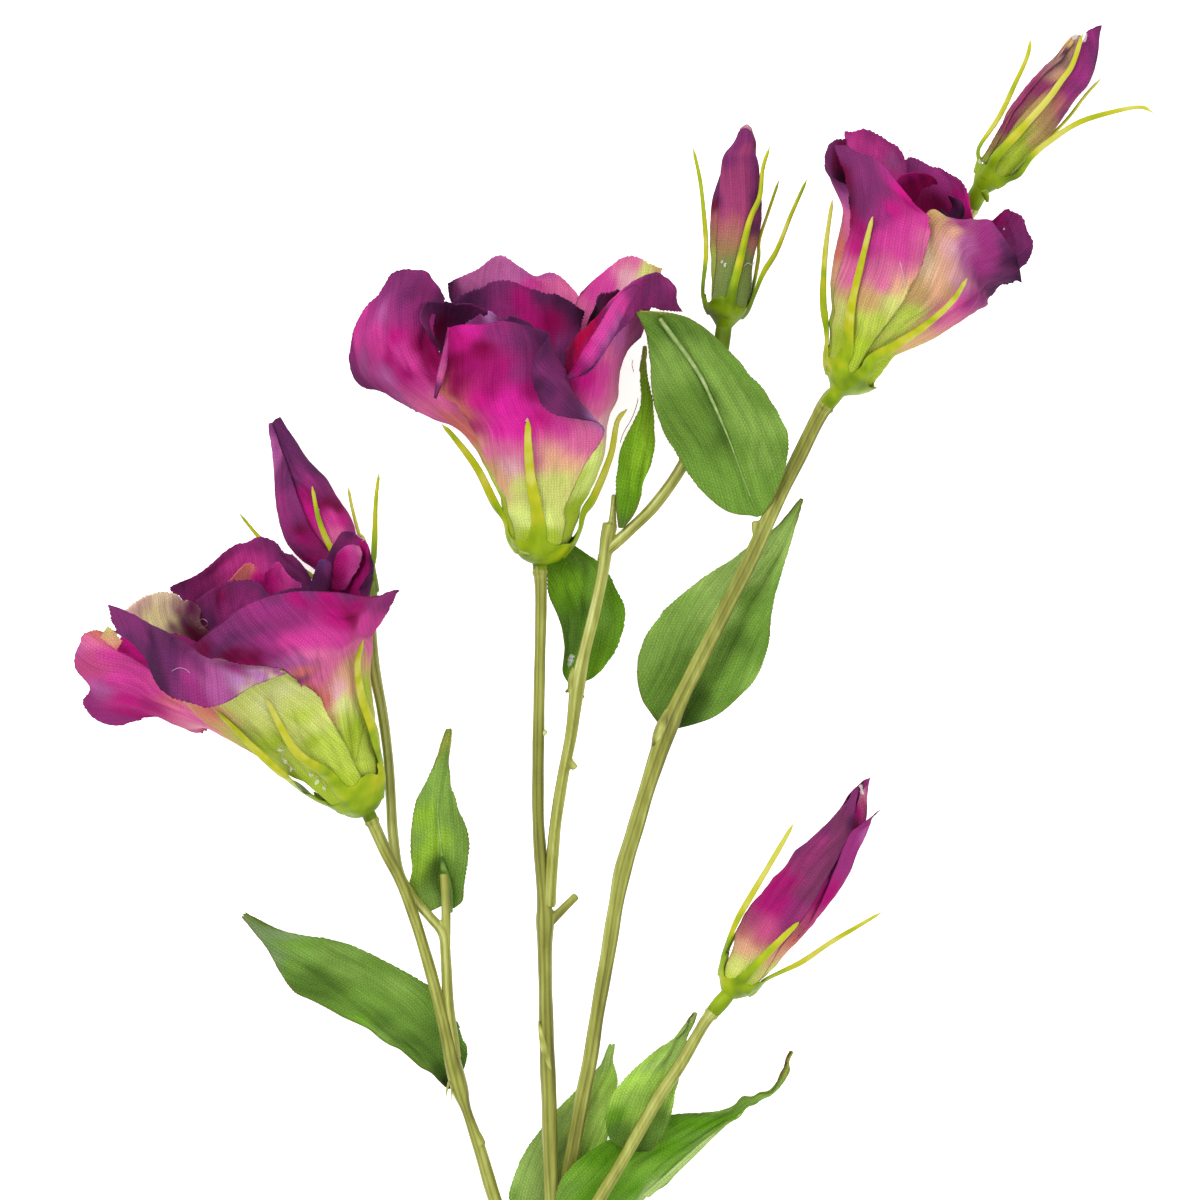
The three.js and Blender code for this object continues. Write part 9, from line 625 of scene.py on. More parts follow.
        (0.62, 1, 'pu'), (0.787, 1, 'pu'), (0.943, 1, 'dp'), (0.52, 0.93, 'vmag'), (0.193, 0.843, 'vmag'), (0.5, 0.87, 'hopi'),
        (0.533, 0.98, 'pu'), (0.713, 0.953, 'pu'), (0.337, 0.973, 'vmag'), (0.107, 0.863, 'vmag'),
    ],
    'flower_left_petal_inner_back': [
        (0.283, 0.967, 'salm'), (0.23, 0.95, 'salm'), (0.513, 1, 'magn'), (0.643, 0.987, 'hopi'), (0.763, 0.957, 'hopi'), (0.57, 0.923, 'magn'),
        (0.953, 1, 'vmag'), (0.383, 0.94, 'magn'), (0.47, 0.9, 'dmag'),
    ],
    'flower_left_petal_inner_mid': [
        (0.42, 0.963, 'pu'), (0.663, 0.98, 'pu'), (0.563, 0.907, 'vmag'), (0.833, 0.98, 'dp'), (0.237, 0.947, 'pu'), (0.34, 0.88, 'vmag'),
        (0.323, 0.943, 'rmag'), (0.693, 0.917, 'vmag'), (0.1, 0.883, 'dp'),
    ],
    'flower_left_petal_back_left': [
        (0.29, 0.94, 'wy'), (0.833, 0.957, 'vmag'), (0.717, 0.807, 'maro'), (0.543, 0.867, 'pu'), (0.717, 0.873, 'pu'), (0.727, 0.84, 'maro'),
        (0.687, 0.92, 'vmag'), (0.127, 0.993, 'wp'), (0.273, 0.99, 'wp'), (0.467, 0.98, 'wc'), (0.337, 0.96, 'wp'), (0.203, 0.96, 'wp'),
        (0.517, 0.95, 'wc'), (0.683, 0.947, 'wp'), (0.723, 0.97, 'wp'), (0.603, 0.917, 'wc'), (0.317, 0.937, 'wy'), (0.427, 0.937, 'wy'),
        (0.49, 0.893, 'wy'), (0.287, 0.917, 'wy'), (0.627, 0.89, 'wy'),
    ],
    'flower_left_petal_right': [
        (0.577, 0.98, 'dp'), (0.727, 0.933, 'pu'), (0.867, 0.93, 'dp'), (0.577, 0.863, 'magn'), (0.677, 0.8, 'dmag'), (0.413, 0.867, 'dmag'),
        (0.49, 0.773, 'dmag'), (0.26, 0.98, 'vd'), (0.073, 1, 'vd'), (0.177, 0.863, 'vd'), (0.55, 0.923, 'vmag'), (0.397, 0.957, 'magn'),
    ],
    'flower_left_petal_inner_right': [
        (0.65, 0.987, 'blup'), (0.723, 0.957, 'pu'), (0.54, 0.95, 'vd'), (0.42, 0.99, 'vd'), (0.667, 0.9, 'dp'),
    ],
    'flower_right_petal_front': [
        (0.243, 0.97, 'pu'), (0.4, 0.91, 'pu'), (0.483, 0.81, 'pu'), (0.317, 0.75, 'pu'), (0.813, 1, 'vmag'), (0, 0.733, 'bk'),
        (0.06, 0.657, 'rmag'), (0.193, 0.607, 'dmag'), (0.877, 0.92, 'magn'), (0.52, 0.72, 'magn'), (0.877, 0.823, 'dmag'), (0.91, 0.73, 'hopi'),
        (0.617, 0.65, 'hopi'), (0.447, 0.593, 'hopi'), (0.397, 0.55, 'hopi'), (0.723, 0.567, 'hopi'), (0.59, 0.513, 'pk'), (0.383, 0.49, 'pk'),
        (0.293, 0.417, 'pk'), (0.69, 0.463, 'pk'), (0.85, 0.533, 'pk'), (0.897, 0.47, 'cr'), (0.633, 0.27, 'ligr'), (0.877, 0.31, 'ligr'),
        (0.57, 0.16, 'lime'), (0.34, 0.287, 'yg'), (0.097, 0.967, 'pu'), (0.043, 0.84, 'maro'), (0.27, 0.657, 'vmag'), (0.96, 0.637, 'pk'),
        (0.2, 0.703, 'pu'), (0.31, 0.81, 'pu'), (0.463, 0.697, 'vmag'), (0.373, 0.343, 'tann'), (0.937, 0.517, 'cr'), (0.97, 0.46, 'yg'),
        (0.917, 0.157, 'lime'), (0.223, 0.537, 'magn'), (0.663, 0.387, 'tann'), (0.877, 0.403, 'yg'), (0.547, 0.367, 'tann'),
    ],
    'flower_right_petal_left': [
        (0.33, 0.973, 'pu'), (0.473, 0.93, 'pu'), (0.19, 0.917, 'maro'), (0.167, 0.827, 'bk'), (0.83, 0.803, 'lave'), (0.697, 0.713, 'pk'),
        (0.633, 0.557, 'salm'), (0.69, 0.463, 'cr'), (0.82, 0.343, 'ol'), (0.633, 0.137, 'lime'), (0.837, 1, 'dp'), (0.863, 0.857, 'pu'),
    ],
    'flower_right_petal_right': [
        (0.017, 0.62, 'tann'), (0.16, 0.61, 'cr'), (0.153, 0.57, 'tann'), (0.273, 0.587, 'palp'), (0.28, 0.65, 'cr'), (0.123, 0.763, 'vmag'),
        (0.4, 0.693, 'lave'), (0.467, 0.63, 'lave'), (0.62, 0.663, 'vmag'), (0.433, 0.767, 'vmag'), (0.203, 0.67, 'vmag'), (0.173, 0.65, 'tann'),
        (0.52, 0.597, 'lave'), (0.297, 0.83, 'vmag'), (0.333, 0.963, 'pu'), (0.547, 0.757, 'vmag'), (0.69, 0.86, 'vd'), (0.78, 0.737, 'dp'),
        (0.74, 0.6, 'pu'), (0.62, 0.537, 'vmag'), (0.443, 0.533, 'lave'), (0.407, 0.47, 'pk'), (0.447, 0.407, 'pk'), (0.397, 0.33, 'cr'),
        (0.407, 0.23, 'cr'), (0.18, 0.39, 'ligr'), (0.257, 0.53, 'cr'), (0.463, 0.497, 'hopi'), (0.28, 0.22, 'ligr'), (0.393, 0.13, 'lime'),
        (0.923, 0.937, 'vd'), (0.787, 0.54, 'pu'), (0.567, 0.507, 'vmag'), (0.54, 0.923, 'dp'), (0.293, 0.563, 'cr'), (0.273, 0.503, 'cr'),
        (0.707, 0.673, 'vmag'), (0.943, 0.7, 'vd'), (0.347, 0.077, 'lime'), (0.217, 0.307, 'ligr'), (0.07, 0.637, 'tann'), (0.387, 0.607, 'palp'),
        (0.72, 0.94, 'bk'), (0.243, 0.9, 'vmag'), (0.347, 0.523, 'tann'), (0.387, 0.547, 'palp'), (0.137, 0.483, 'tann'), (0.107, 0.567, 'wc'),
        (0.223, 0.58, 'cr'), (0.1, 0.507, 'tann'), (0.137, 0.537, 'wb'), (0.153, 0.553, 'wb'),
    ],
    'flower_right_petal_right_back': [
        (0.65, 0.96, 'pu'), (0.42, 0.977, 'pu'), (0.427, 0.913, 'pu'), (0.283, 0.983, 'pu'), (0.743, 0.94, 'dmag'), (0.563, 1, 'vmag'),
        (0.157, 0.96, 'dp'), (0.687, 0.913, 'vmag'),
    ],
    'flower_right_petal_back_left': [
        (0.2, 0.95, 'hopi'), (0.44, 0.92, 'hopi'), (0.297, 0.98, 'vmag'), (0.693, 0.89, 'lave'), (0.73, 1, 'vmag'), (0.02, 0.983, 'pu'),
        (0.73, 0.847, 'hopi'), (0.477, 0.973, 'vmag'), (0.013, 0.957, 'hopi'),
    ],
    'flower_right_petal_back_right': [
        (0.247, 0.987, 'pu'), (0.703, 0.93, 'dmag'), (0.817, 0.917, 'magn'), (0.92, 0.967, 'magn'), (0.75, 1, 'pu'), (0.32, 0.787, 'rmag'),
        (0.427, 1, 'vmag'), (0.55, 0.937, 'vmag'), (0.487, 0.983, 'vmag'), (0.61, 0.98, 'vmag'), (0.267, 0.81, 'maro'), (0.407, 0.817, 'maro'),
    ],
    'flower_right_petal_inner_left': [
        (0.413, 0.957, 'dmag'), (0.607, 0.983, 'dmag'), (0.877, 0.95, 'rmag'), (0.83, 0.843, 'rmag'), (1, 0.82, 'rmag'), (1, 0.943, 'maro'),
        (0.97, 1, 'maro'),
    ],
    'flower_right_petal_inner_right': [
        (0.09, 1, 'bk'), (0.867, 0.853, 'vd'), (0.677, 0.88, 'bk'), (0.79, 0.997, 'pu'), (0.96, 0.943, 'bk'),
    ],
    'bud_c_petal_front': [
        (0.423, 0.983, 'pu'), (0.71, 1, 'pu'), (0.233, 0.877, 'pu'), (0.797, 0.747, 'pu'), (0.217, 0.53, 'dr'), (0.46, 0.513, 'dr'),
        (0.84, 0.393, 'dp'), (0.89, 0.553, 'dp'), (0.973, 0.603, 'pu'), (0.833, 0.667, 'pu'), (0.043, 0.523, 'dp'), (0, 0.917, 'pu'),
        (0.147, 0.443, 'dr'), (0.407, 0.42, 'du'), (0.537, 0.453, 'dr'), (0.293, 0.367, 'dv'), (0.457, 0.36, 'dv'), (0.2, 0.307, 'dt'),
        (0.44, 0.317, 'dt'), (0.283, 0.263, 'oo'), (0.557, 0.27, 'oo'), (0.477, 0.217, 'oo'), (0.753, 0.177, 'oo'), (0.797, 0.28, 'oo'),
        (0.87, 0.34, 'dv'), (0.087, 0.397, 'du'), (0.38, 0.143, 'oo'), (0.577, 0.83, 'dr'), (0.28, 0.727, 'pu'), (0.517, 0.677, 'dr'),
        (0.277, 0.637, 'dr'), (0.077, 0.607, 'dr'), (0.567, 0.657, 'dr'), (0.403, 0.583, 'dr'),
    ],
    'bud_c_petal_back': [
        (0.167, 0.58, 'dp'), (0.16, 0.493, 'maro'), (0.127, 0.417, 'du'), (0.133, 0.36, 'dt'), (0.133, 0.267, 'ol'), (0.143, 0.183, 'ol'),
        (0.663, 1, 'palp'),
    ],
    'bud_b_petal_right': [
        (0.333, 0.987, 'pu'), (0.137, 0.95, 'vmag'), (0.237, 0.897, 'pu'), (0.23, 0.797, 'pu'), (0.24, 0.687, 'vmag'), (0.273, 0.62, 'pu'),
        (0.15, 0.357, 'tann'), (0.203, 0.317, 'ol'), (0.19, 0.277, 'lime'), (0.327, 0.307, 'tann'), (0.187, 0.207, 'ligr'), (0.207, 0.127, 'lime'),
        (0.327, 0.213, 'lime'), (0.213, 0.027, 'ol'), (0.41, 0.037, 'lime'), (0.423, 0.43, 'pu'), (0.407, 0.813, 'vd'), (0.117, 0.407, 'tann'),
        (0.09, 0.84, 'vmag'), (0.043, 0.763, 'vmag'), (0.12, 0.567, 'ac'), (0.297, 0.563, 'vmag'), (0.183, 0.48, 'du'), (0.2, 0.41, 'dt'),
        (0.297, 0.433, 'du'), (0.223, 0.377, 'dt'), (0.34, 0.37, 'dt'), (0.153, 0.857, 'pu'), (0.06, 0.68, 'vmag'), (0.063, 0.587, 'ac'),
    ],
    'bud_b_petal_left': [
        (0.093, 0.867, 'tann'), (0.073, 0.78, 'vd'), (0.037, 0.693, 'mv'), (0, 0.267, 'tann'), (0, 0.21, 'ol'), (0.607, 0.277, 'ol'),
        (0, 0.14, 'ol'), (0, 0.053, 'lime'), (0.7, 0.69, 'mv'), (0.707, 0.373, 'du'), (0.717, 0.427, 'vmag'), (0.947, 0.423, 'tann'),
        (0.917, 0.367, 'tann'), (0.88, 0.323, 'tann'), (0.057, 0.36, 'dr'), (0.607, 0.567, 'vmag'), (0.637, 0.333, 'dt'), (0, 0.613, 'dr'),
        (0.7, 0.4, 'dr'), (0.06, 0.313, 'du'), (0.283, 0.39, 'dr'), (0.27, 0.337, 'du'), (0.293, 0.443, 'dr'), (0.67, 0.633, 'dr'),
        (0, 0.47, 'dr'), (0.73, 0.46, 'dr'), (0.003, 0.403, 'dr'),
    ],
    'bud_a_petal_front': [
        (0.677, 0.91, 'pu'), (0.71, 0.83, 'pu'), (0.847, 0.753, 'vd'), (0.557, 0.58, 'ac'), (0.223, 0.593, 'pu'), (0.477, 0.537, 'ac'),
        (0.263, 0.497, 'dmag'), (0.3, 0.443, 'dmag'), (0.513, 0.5, 'dmag'), (0.63, 0.44, 'dmag'), (0.897, 0.43, 'ac'), (0.593, 0.403, 'dmag'),
        (0.41, 0.4, 'dmag'), (0.423, 0.253, 'cr'), (0.617, 0.263, 'cr'), (0.827, 0.28, 'cr'), (0.443, 0.15, 'yg'), (0.667, 0.167, 'yg'),
        (0.42, 0.023, 'ligr'), (0.777, 0.067, 'lime'), (0.91, 0.38, 'ac'), (0.743, 0.237, 'yg'), (0.503, 0.643, 'ac'), (0.66, 0.363, 'ro'),
        (0.62, 0.327, 'ro'), (0.353, 0.313, 'du'), (0.807, 0.337, 'ro'), (0.617, 0.3, 'du'), (0.413, 0.35, 'dr'), (0.43, 0.673, 'pu'),
        (0.727, 0.49, 'pb'), (0.69, 0.56, 'pb'), (0.567, 0.703, 'pb'), (0.73, 0.437, 'vmag'), (0.8, 0.387, 'vmag'), (0.933, 0.593, 'pb'),
        (0.92, 0.537, 'pb'), (0.97, 0.493, 'pb'), (0.64, 0.76, 'pb'), (0.8, 0.687, 'pb'), (0.817, 0.643, 'pb'),
    ],
    'bud_a_petal_back': [
        (0.213, 1, 'vmag'), (0.053, 0.97, 'dmag'), (0.037, 0.883, 'dmag'), (0.04, 0.823, 'rmag'), (0.11, 0.947, 'rmag'), (0.093, 0.827, 'pb'),
        (0.08, 0.733, 'vmag'), (0.06, 0.68, 'pb'), (0.133, 0.63, 'vmag'), (0.167, 0.577, 'vmag'), (0.213, 0.53, 'dmag'), (0.16, 0.487, 'dmag'),
        (0.207, 0.44, 'ro'), (0.26, 0.39, 'du'), (0.24, 0.357, 'salm'), (0.243, 0.317, 'cr'), (0.253, 0.24, 'yg'), (0, 0.723, 'dmag'),
        (0.26, 0.877, 'pb'), (0.01, 1, 'palp'),
    ],
    'bud_d_petal_left': [
        (0.67, 0.83, 'lave'), (0.713, 0.737, 'lave'), (0.733, 0.653, 'pu'), (0.7, 0.577, 'vmag'), (0.703, 0.5, 'vmag'), (0.637, 0.42, 'vmag'),
        (0.677, 0.367, 'pu'), (0.873, 0.477, 'pu'), (0.937, 0.63, 'dp'), (0.993, 0.71, 'dp'), (0.79, 0.4, 'dmag'), (0.587, 0.317, 'dmag'),
        (0.903, 0.55, 'pu'), (0.99, 0.913, 'dp'), (0.843, 0.44, 'maro'),
    ],
    'bud_d_petal_right': [
        (0.07, 0.983, 'dp'), (0.153, 0.84, 'dp'), (0.173, 0.717, 'dp'), (0.157, 0.64, 'pu'), (0.123, 0.56, 'dmag'), (0.11, 0.483, 'magn'),
        (0.21, 0.54, 'pu'), (0.31, 0.54, 'pu'), (0.323, 0.453, 'maro'), (0.303, 0.39, 'magn'), (0.243, 0.427, 'hopi'), (0.2, 0.337, 'pk'),
        (0.113, 0.403, 'hopi'), (0.33, 0.36, 'vmag'), (0.2, 0.607, 'vmag'), (0.103, 0.613, 'dp'), (0.063, 0.417, 'magn'), (0.123, 0.343, 'pk'),
        (0.337, 0.633, 'dp'), (0.253, 0.487, 'maro'),
    ],
    'leaf_1': [
        (0.173, 0.973, 'g3'), (0.383, 0.903, 'gr'), (1, 0.8, 'gr'), (0.237, 0.793, 'g3'), (0.117, 0.707, 'g4'), (0.823, 0.69, 'g2'),
        (0.663, 0.757, 'g3'), (0.5, 0.61, 'g2'), (0.457, 0.673, 'g2'), (0.123, 0.627, 'g3'), (0.147, 0.53, 'g4'), (0.333, 0.51, 'g3'),
        (0.62, 0.507, 'g3'), (0.093, 0.453, 'g3'), (0.403, 0.387, 'g3'), (0.217, 0.333, 'g2'), (0.077, 0.283, 'g3'), (0.38, 0.257, 'g2'),
        (0.493, 0.147, 'g1'), (0.393, 0.057, 'g0'), (0.747, 0.25, 'g3'), (0.797, 0.363, 'g4'), (0.923, 0.193, 'g3'), (0.797, 0.44, 'sl'),
        (0.303, 0.647, 'g4'), (0.003, 0.523, 'g3'), (0.02, 0.17, 'g2'), (0.44, 0.34, 'g2'), (0.43, 0.43, 'g2'), (0.207, 0.053, 'g0'),
        (0, 0.99, 'br'),
    ],
    'leaf_2': [
        (0.82, 0.927, 'gy'), (0.64, 0.767, 'g4'), (0.243, 0.623, 'g4'), (0.267, 0.483, 'h4'), (0.737, 0.487, 'g4'), (0.347, 0.347, 'h4'),
        (0.843, 0.36, 'g4'), (0.147, 0.27, 'h4'), (1, 0.23, 'g3'), (0.467, 0.273, 'g1'), (0.99, 0.093, 'g3'), (0.073, 0.397, 'g4'),
        (0.773, 0.63, 'g4'), (0.55, 0.39, 'h4'), (0.98, 0.37, 'g3'), (0.223, 0.073, 'g4'), (0.657, 0.15, 'g1'),
    ],
    'leaf_3': [
        (0.313, 0.767, 'v3'), (0.737, 0.737, 'g3'), (1, 0.737, 'v3'), (0.91, 0.52, 'v3'), (0.733, 0.413, 'g3'), (0.92, 0.287, 'v3'),
        (0.74, 0.213, 'v3'), (0.403, 0.51, 'v3'), (0.55, 0.603, 'v4'), (0.73, 0.567, 'g3'), (0.233, 0.587, 'v4'), (0.95, 0.38, 'v3'),
        (0.61, 0.46, 'g1'), (0.84, 0.57, 'v3'), (0.657, 0.39, 'v3'), (0.887, 0.19, 'v4'), (0.593, 0.31, 'g2'), (0.427, 0.39, 'g2'),
    ],
    'leaf_4': [
        (0.19, 1, 'gy'), (0.65, 0.553, 'v5'), (0.227, 0.507, 'v4'), (0.177, 0.41, 'v4'), (0.683, 0.407, 'v5'), (1, 0.41, 'v4'),
        (0.673, 0.31, 'v4'), (1, 0.303, 'v4'), (0.123, 0.307, 'v4'), (0.787, 0.127, 'v3'), (1, 0.15, 'v3'), (0.82, 0.04, 'g2'),
        (0.437, 0.207, 'v3'), (0.457, 0.51, 'v5'), (0.9, 0.693, 'v5'), (0.393, 0.647, 'v5'), (0.06, 0.693, 'v5'),
    ],
    'leaf_5': [
        (0.97, 0.963, 'gy'), (0.363, 0.69, 'g4'), (0.133, 0.637, 'g4'), (0.273, 0.547, 'g3'), (0.62, 0.54, 'g4'), (0.887, 0.547, 'g3'),
        (0.883, 0.447, 'g3'), (0.73, 0.457, 'g4'), (0.863, 0.353, 'g4'), (0.723, 0.267, 'g4'), (0.593, 0.31, 'g3'), (0.443, 0.357, 'g2'),
        (0.31, 0.273, 'g3'), (0.153, 0.17, 'g3'), (0.79, 0.19, 'g3'), (0.937, 0.28, 'g3'), (0.237, 0.44, 'g3'), (0.433, 0.523, 'g3'),
        (0.713, 0.363, 'g4'), (0.633, 0.403, 'g4'), (0.157, 0.54, 'g3'), (0.373, 0.623, 'g4'), (0.387, 0.77, 'g3'), (0.69, 0.637, 'g4'),
        (0.88, 0.623, 'g3'), (0.323, 0.38, 'g3'), (0.133, 0.357, 'g3'), (0.35, 0.433, 'g3'), (0.61, 0.73, 'g3'), (0.53, 0.123, 'g3'),
        (0.41, 0.183, 'g3'),
    ],
    'leaf_6': [
        (0.093, 0.997, 'g4'), (0.393, 0.837, 'g5'), (0.72, 0.737, 'g4'), (0.85, 0.55, 'g3'), (1, 0.393, 'g3'), (0.64, 0.213, 'g1'),
        (0.757, 0.093, 'g1'), (1, 0.147, 'g3'), (0.103, 0.607, 'g5'), (0.05, 0.51, 'g4'), (0.04, 0.427, 'g4'), (0.087, 0.327, 'g4'),
        (0.16, 0.193, 'g3'), (0.383, 0.173, 'g3'), (0.387, 0.42, 'g4'), (0.373, 0.547, 'g5'), (0.327, 0.66, 'g5'), (0.347, 0.747, 'g5'),
        (1, 0.657, 'g3'), (0.957, 0.47, 'g3'), (1, 0.17, 'g3'), (0.397, 0.34, 'g3'), (0.687, 0.46, 'g2'), (0.603, 0.62, 'g3'),
        (0.897, 0.23, 'g3'), (0.973, 0.297, 'g4'), (0.753, 0.387, 'g3'), (0.627, 0.307, 'g3'),
    ],
    'leaf_7': [
        (0.683, 0.96, 'g5'), (0.75, 0.767, 'l4'), (0.307, 0.71, 'l5'), (0.827, 0.553, 'l5'), (0.543, 0.533, 'l5'), (0.91, 0.463, 'l4'),
        (0.213, 0.58, 'g5'), (0, 0.543, 'g5'), (0.373, 0.46, 'g5'), (0.113, 0.423, 'g5'), (0.107, 0.333, 'g5'), (0.007, 0.267, 'g4'),
        (0.357, 0.29, 'g5'), (0.643, 0.44, 'l4'), (0.973, 0.89, 'g5'),
    ],
    'leaf_8': [
        (0, 0.983, 'br'), (1, 0.87, 'gy'), (0.52, 0.78, 'g4'), (0.093, 0.703, 'sl'), (0.393, 0.637, 'sg'), (0.367, 0.593, 'sg'),
        (1, 0.46, 'sl'), (1, 0.537, 'sl'), (0.84, 0.42, 'sl'), (0.51, 0.407, 'sl'), (0.547, 0.34, 'sg'), (0.17, 0.397, 'sg'),
        (0.123, 0.337, 'sl'), (0.08, 0.273, 'g3'), (0.33, 0.31, 'sg'), (0.493, 0.49, 'sg'), (0.223, 0.44, 'sg'), (0.807, 0.31, 'g6'),
        (1, 0.357, 'g6'), (1, 0.443, 'g6'), (1, 0.51, 'g6'), (1, 0.617, 'g5'), (0.863, 0.363, 'sg'), (0.27, 0.75, 'g4'),
        (0.087, 0.613, 'g2'),
    ],
    'leaf_9': [
        (0, 0.997, 'br'), (0.343, 0.897, 'g5'), (0.003, 0.807, 'g5'), (0.087, 0.673, 'l4'), (0.883, 0.71, 'g5'), (0.257, 0.553, 'l4'),
        (0.607, 0.567, 'l4'), (0.233, 0.347, 'sg'), (0.177, 0.223, 'g2'), (0.52, 0.363, 'l4'), (0.717, 0.29, 'g3'), (0.92, 0.353, 'g2'),
        (1, 0.213, 'g2'), (1, 0.08, 'g1'), (1, 0.45, 'l4'), (0.083, 0.487, 'l4'), (0.63, 0.193, 'g2'), (0.267, 0.663, 'g5'),
        (0.237, 0.423, 'l4'), (0.3, 0.43, 'g4'),
    ],
}
